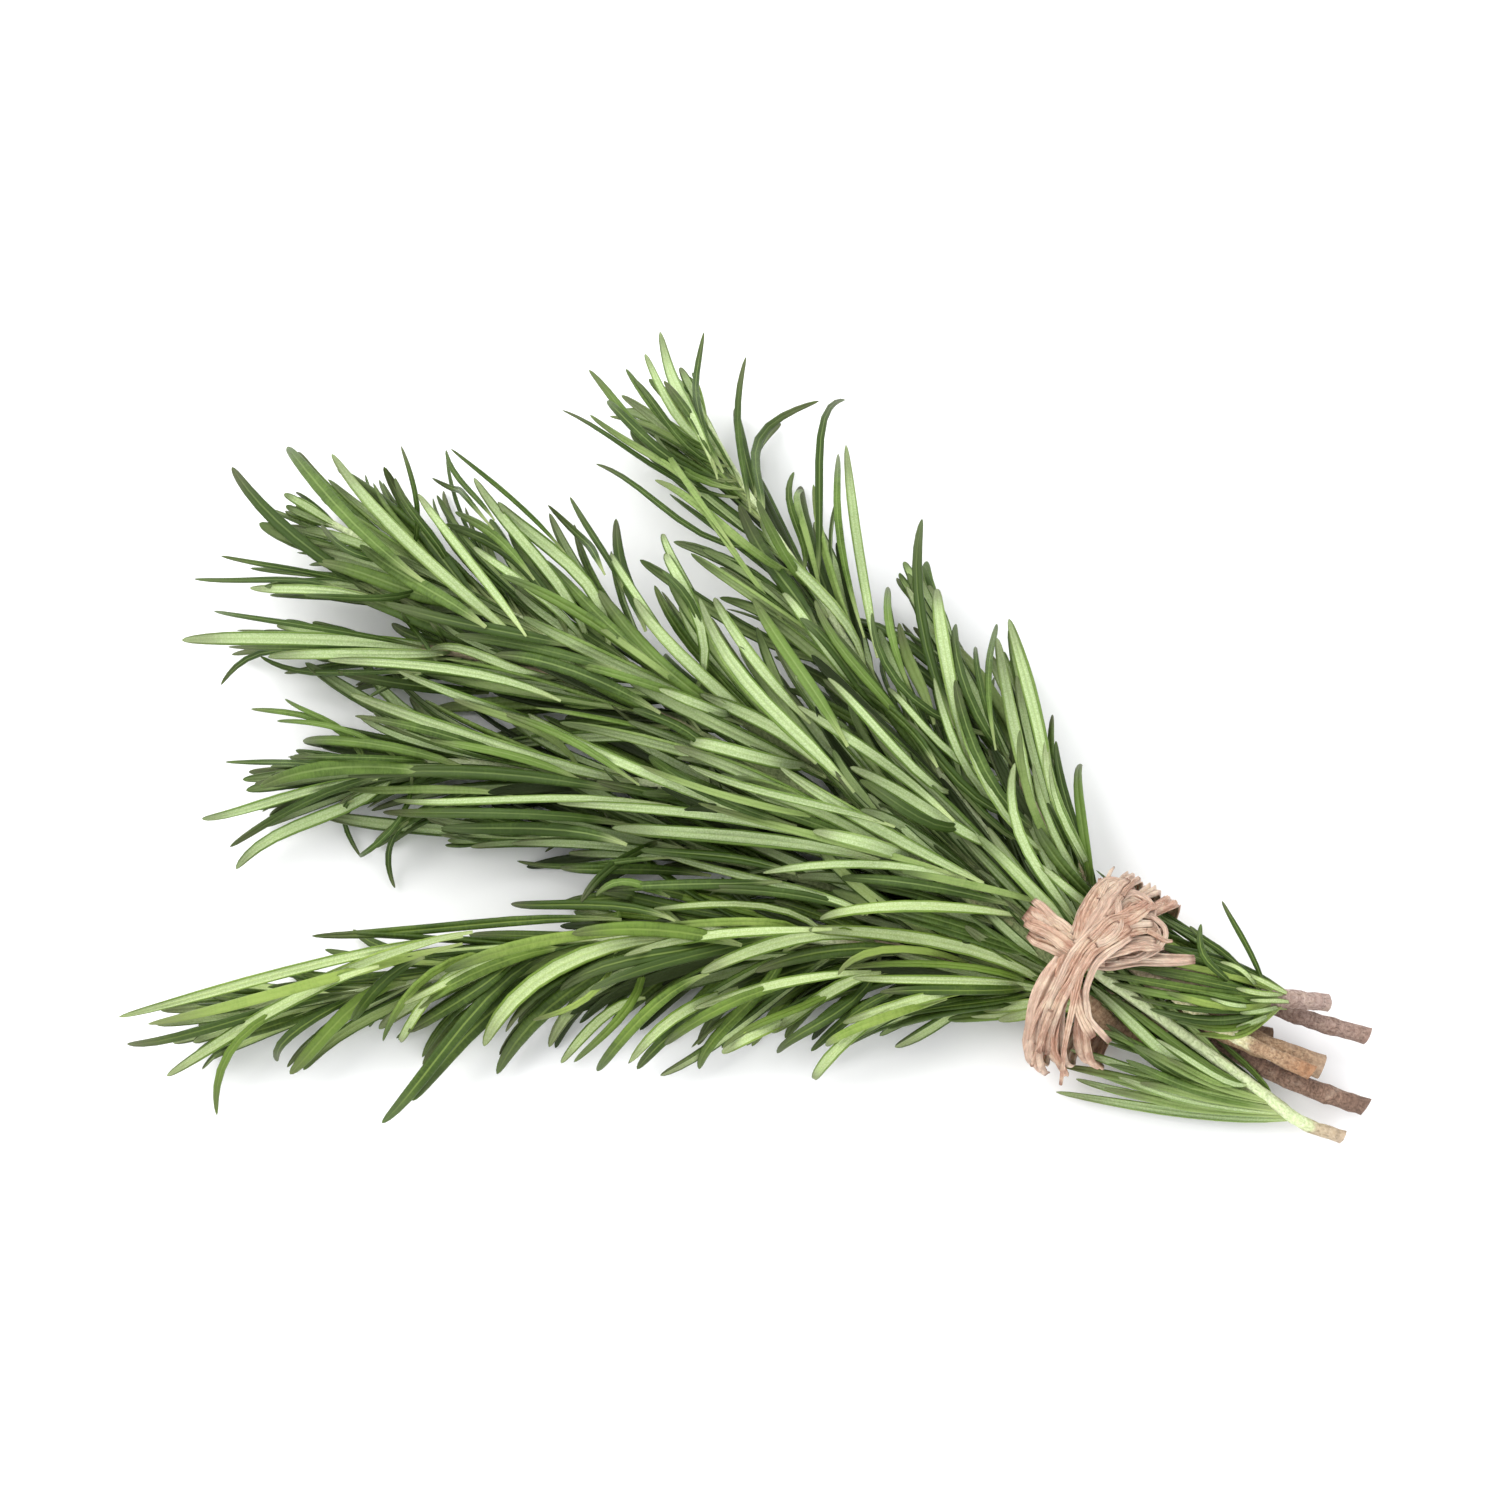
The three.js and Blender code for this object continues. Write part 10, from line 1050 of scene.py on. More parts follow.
        [8.45,-24.82,5.91,-1.34,-20.16,4.67,-10.84,-15.94,3.19,-19.47,-10.26,0.95,-0.49,-0.35,0.79,1.9,-0.39,0.255],
        [4.4,-23.62,5.97,-1.4,-18.82,4.93,-8.29,-15.3,3.28,-9.07,-7.57,0.95,-0.9,-0.23,0.36,1.71,0.15,0.255],
        [-5.46,-21.4,6.11,-14.84,-16.82,4.08,-24.49,-12.69,0.95,-32.58,-5.18,0.95,-0.65,-0.64,0.4,2.01,0.2,0.103],
        [-10.08,-20.46,6.87,-16.07,-17.52,6.77,-22.47,-15.05,6.92,-28.03,-10.94,7.27,-0.54,-0.81,-0.24,1.94,0.84,0.08],
        [-19.41,-19.03,6.79,-26.2,-16.88,7.36,-33.6,-15.73,7.74,-40.17,-12.26,8.87,-0.43,-0.8,-0.42,1.78,-0.01,2.1],
        [-21.4,-18.8,6.09,-28.35,-16.52,5.8,-35.54,-14.19,5.3,-42.78,-12.1,4.39,-0.36,-0.88,0.32,1.89,0.91,2.3],
        [-31.69,-18.02,6.55,-37.84,-16.9,8.1,-44.12,-15.54,9.45,-49.98,-14.44,12.35,-0.36,0.1,-0.93,2.2,3.62,0.07],
        [-30.34,-18.06,5.95,-36.69,-17.14,4.61,-43.13,-16.66,3.85,-48.87,-14.62,1.5,-0.36,-0.76,0.54,2.3,-0.35,2.4],
        [44.53,-39.96,3.58,42.31,-42.75,3.34,36.88,-43.7,3.09,31.47,-44.65,2.67,-0.17,0.98,0.02,1.81,2.34,0.274],
        [40.27,-37.86,4.01,35.32,-35.07,2.63,30.22,-32.86,0.95,25.08,-30.31,0.95,-0.2,0.13,0.97,1.81,0.54,0.135],
        [30.09,-32.23,4.99,23.97,-29.08,3.66,17.55,-26.2,1.52,12.13,-21.4,0.95,-0.54,-0.49,0.68,1.8,0.81,0.103],
        [19.06,-29.13,5.56,14.78,-27.3,3.87,10.2,-25.85,1.87,5.42,-24.39,0.95,-0.4,0.24,0.88,1.9,2.61,0.248],
        [20.3,-29.64,5.49,10.75,-29.04,4.75,1.05,-29.08,3.28,-8.77,-29.11,2.71,-0.15,0.67,0.73,1.96,-0.84,0.268],
        [6.9,-25.33,5.86,0.03,-23.42,3.49,-6.59,-21.58,0.95,-13.97,-21.88,0.95,-0.17,0.58,0.8,2.09,0.05,0.318],
        [-0.85,-22.39,6.05,-7.78,-20.04,4.08,-14.27,-17.34,0.95,-21.26,-14.64,0.95,-0.44,-0.2,0.87,1.81,-1.56,2.1],
        [-0.85,-22.4,6.06,-9.62,-20.43,4.29,-18.15,-18.57,1.54,-26.69,-15.69,0.95,-0.31,-0.19,0.93,2.05,0.2,0.15],
        [-16.18,-20.28,6.04,-23.05,-20.35,3.92,-29.75,-20.81,0.95,-36.91,-22.09,0.95,-0.29,0.84,0.46,2.02,4.4,2.1],
        [-15.39,-19.57,6.13,-21.13,-18.26,4.18,-26.57,-16.98,1.13,-32.32,-14.76,0.95,-0.49,-0.5,0.71,1.85,-0.53,2.3],
        [-26.1,-18.34,6.02,-32.65,-18.36,4.14,-38.99,-17.92,1.31,-45.77,-18.11,0.95,-0.32,0.04,0.95,1.67,0.29,0.04],
        [-34.37,-17.96,5.88,-39.81,-17.43,5.08,-45.53,-16.9,4.43,-51.27,-16.56,4.01,-0.15,-0.68,0.72,2.23,-0.75,0.306],
        [-34.38,-17.96,6.45,-46.92,-16.91,5.0,-59.44,-16.48,5.02,-71.68,-14.39,7.07,-0.17,-0.72,-0.67,2.45,-0.98,0.155]
    ],
}

# The strands of the tie: x, y, z, direction of the flat face, width.
STRANDS = [[[51.66,-39.81,24.74,-0.01,-0.02,1.0,1.4],[49.51,-43.42,24.28,-0.11,-0.16,0.98,1.5],[47.7,-47.66,22.9,-0.22,-0.33,0.92,2.01],[46.77,-51.6,20.71,-0.33,-0.51,0.79,2.72],[46.53,-54.73,17.9,-0.45,-0.69,0.58,3.0],[46.69,-56.77,14.25,-0.53,-0.82,0.2,3.01],[48.05,-56.95,10.01,-0.52,-0.8,-0.29,3.02],[48.93,-54.4,5.38,-0.38,-0.58,-0.72,3.03],[52.04,-48.85,1.68,-0.18,-0.28,-0.94,3.05],[56.13,-42.0,0.35,-0.0,-0.0,-1.0,3.06],[59.83,-35.8,1.49,0.17,0.26,-0.95,3.07],[62.76,-30.78,4.71,0.35,0.53,-0.77,3.08],[64.05,-27.76,8.98,0.5,0.77,-0.4,3.09],[64.03,-26.89,13.19,0.54,0.84,0.08,3.05],[63.19,-27.79,17.12,0.47,0.72,0.5,2.75],[60.94,-30.06,20.71,0.33,0.51,0.79,2.2],[58.14,-33.15,23.12,0.2,0.31,0.93,1.7],[54.8,-35.51,24.28,0.11,0.16,0.98,1.35]],[[53.33,-40.9,24.74,-0.01,-0.02,1.0,1.4],[51.22,-44.54,24.28,-0.11,-0.16,0.98,1.5],[50.51,-49.48,22.9,-0.22,-0.33,0.92,2.01],[49.89,-53.48,20.71,-0.33,-0.51,0.79,2.72],[50.17,-55.89,17.9,-0.45,-0.69,0.58,3.0],[50.87,-57.2,14.25,-0.53,-0.82,0.2,3.01],[52.49,-57.09,10.01,-0.52,-0.8,-0.29,3.02],[52.96,-54.86,5.38,-0.38,-0.58,-0.72,3.03],[55.41,-50.27,1.68,-0.18,-0.28,-0.94,3.05],[59.15,-43.96,0.35,-0.0,-0.0,-1.0,3.06],[62.85,-37.76,1.49,0.17,0.26,-0.95,3.07],[65.78,-32.74,4.71,0.35,0.53,-0.77,3.08],[67.07,-29.72,8.98,0.5,0.77,-0.4,3.09],[67.05,-28.85,13.19,0.54,0.84,0.08,3.05],[66.21,-29.75,17.12,0.47,0.72,0.5,2.75],[63.66,-31.83,20.71,0.33,0.51,0.79,2.2],[60.56,-34.71,23.12,0.2,0.31,0.93,1.7],[56.48,-36.6,24.28,0.11,0.16,0.98,1.35]],[[55.01,-41.99,24.74,-0.01,-0.02,1.0,1.4],[52.93,-45.65,24.28,-0.11,-0.16,0.98,1.5],[53.62,-50.85,22.9,-0.22,-0.33,0.92,2.01],[53.85,-54.06,20.71,-0.33,-0.51,0.79,2.72],[54.38,-56.18,17.9,-0.45,-0.69,0.58,3.0],[55.25,-57.31,14.25,-0.53,-0.82,0.2,3.01],[56.92,-57.22,10.01,-0.52,-0.8,-0.29,3.02],[57.0,-55.31,5.38,-0.38,-0.58,-0.72,3.03],[58.83,-51.61,1.68,-0.18,-0.28,-0.94,3.05],[62.17,-45.92,0.35,-0.0,-0.0,-1.0,3.06],[65.87,-39.72,1.49,0.17,0.26,-0.95,3.07],[68.8,-34.7,4.71,0.35,0.53,-0.77,3.08],[70.09,-31.68,8.98,0.5,0.77,-0.4,3.09],[70.07,-30.81,13.19,0.54,0.84,0.08,3.05],[69.23,-31.71,17.12,0.47,0.72,0.5,2.75],[66.39,-33.59,20.71,0.33,0.51,0.79,2.2],[62.98,-36.28,23.12,0.2,0.31,0.93,1.7],[58.16,-37.69,24.28,0.11,0.16,0.98,1.35]]]
KNOT = [[[57.4,-37.44,25.96,0.09,0.13,0.99,3.6],[55.03,-39.73,26.72,0.02,0.04,1.0,3.2],[52.4,-42.05,26.87,-0.04,-0.06,1.0,2.9],[51.11,-44.53,26.3,-0.09,-0.14,0.99,3.2],[50.5,-47.25,25.25,-0.15,-0.23,0.96,3.4]],[[53.05,-41.71,26.81,-0.03,-0.04,1.0,2.6],[50.53,-39.78,26.92,-0.02,-0.03,1.0,3.0],[47.7,-37.66,26.95,-0.02,-0.03,1.0,3.2],[44.84,-35.6,27.25,-0.01,-0.02,1.0,2.6]],[[52.73,-42.49,26.65,-0.04,-0.06,1.0,2.4],[49.88,-41.18,26.61,-0.05,-0.08,1.0,2.6],[47.35,-40.19,26.55,-0.06,-0.09,0.99,2.6],[45.16,-38.98,26.25,-0.06,-0.1,0.99,1.8]],[[53.38,-41.39,26.83,-0.02,-0.03,1.0,2.6],[56.65,-39.06,26.61,0.05,0.08,1.0,3.4],[60.71,-35.82,25.29,0.15,0.23,0.96,3.8],[64.53,-33.25,23.34,0.25,0.39,0.88,3.0]],[[53.03,-42.67,26.76,-0.04,-0.06,1.0,2.6],[57.21,-41.69,26.74,0.02,0.02,1.0,3.6],[62.15,-39.56,25.91,0.1,0.16,0.98,4.0],[66.56,-37.26,24.35,0.2,0.31,0.93,3.0]],[[53.36,-42.96,26.55,-0.04,-0.07,1.0,2.4],[57.84,-43.57,26.35,-0.01,-0.01,1.0,2.6],[63.17,-42.55,24.55,0.07,0.11,0.99,2.3],[67.7,-42.79,24.15,0.12,0.19,0.97,2.1],[72.1,-42.67,23.55,0.18,0.28,0.94,1.6]],[[53.61,-39.56,26.74,0.01,0.02,1.0,2.4],[49.36,-44.62,25.67,-0.12,-0.18,0.98,2.8],[47.09,-49.23,23.77,-0.24,-0.37,0.9,3.1],[46.18,-53.57,20.98,-0.36,-0.56,0.75,3.1],[46.35,-57.16,17.24,-0.48,-0.74,0.47,3.0],[47.51,-58.5,13.51,-0.54,-0.83,0.1,2.7],[48.59,-58.31,9.68,-0.52,-0.8,-0.29,2.3]],[[54.11,-39.89,26.64,0.01,0.02,1.0,2.2],[51.55,-46.04,25.67,-0.12,-0.18,0.98,2.4],[49.41,-51.72,23.35,-0.26,-0.4,0.88,2.3],[48.88,-55.84,20.21,-0.39,-0.6,0.7,2.1],[50.44,-58.03,16.33,-0.5,-0.77,0.38,1.9],[51.43,-58.7,12.55,-0.54,-0.84,0.0,1.6],[52.15,-58.51,8.64,-0.5,-0.77,-0.38,1.3],[52.78,-57.72,4.44,-0.4,-0.62,-0.67,0.9]]]
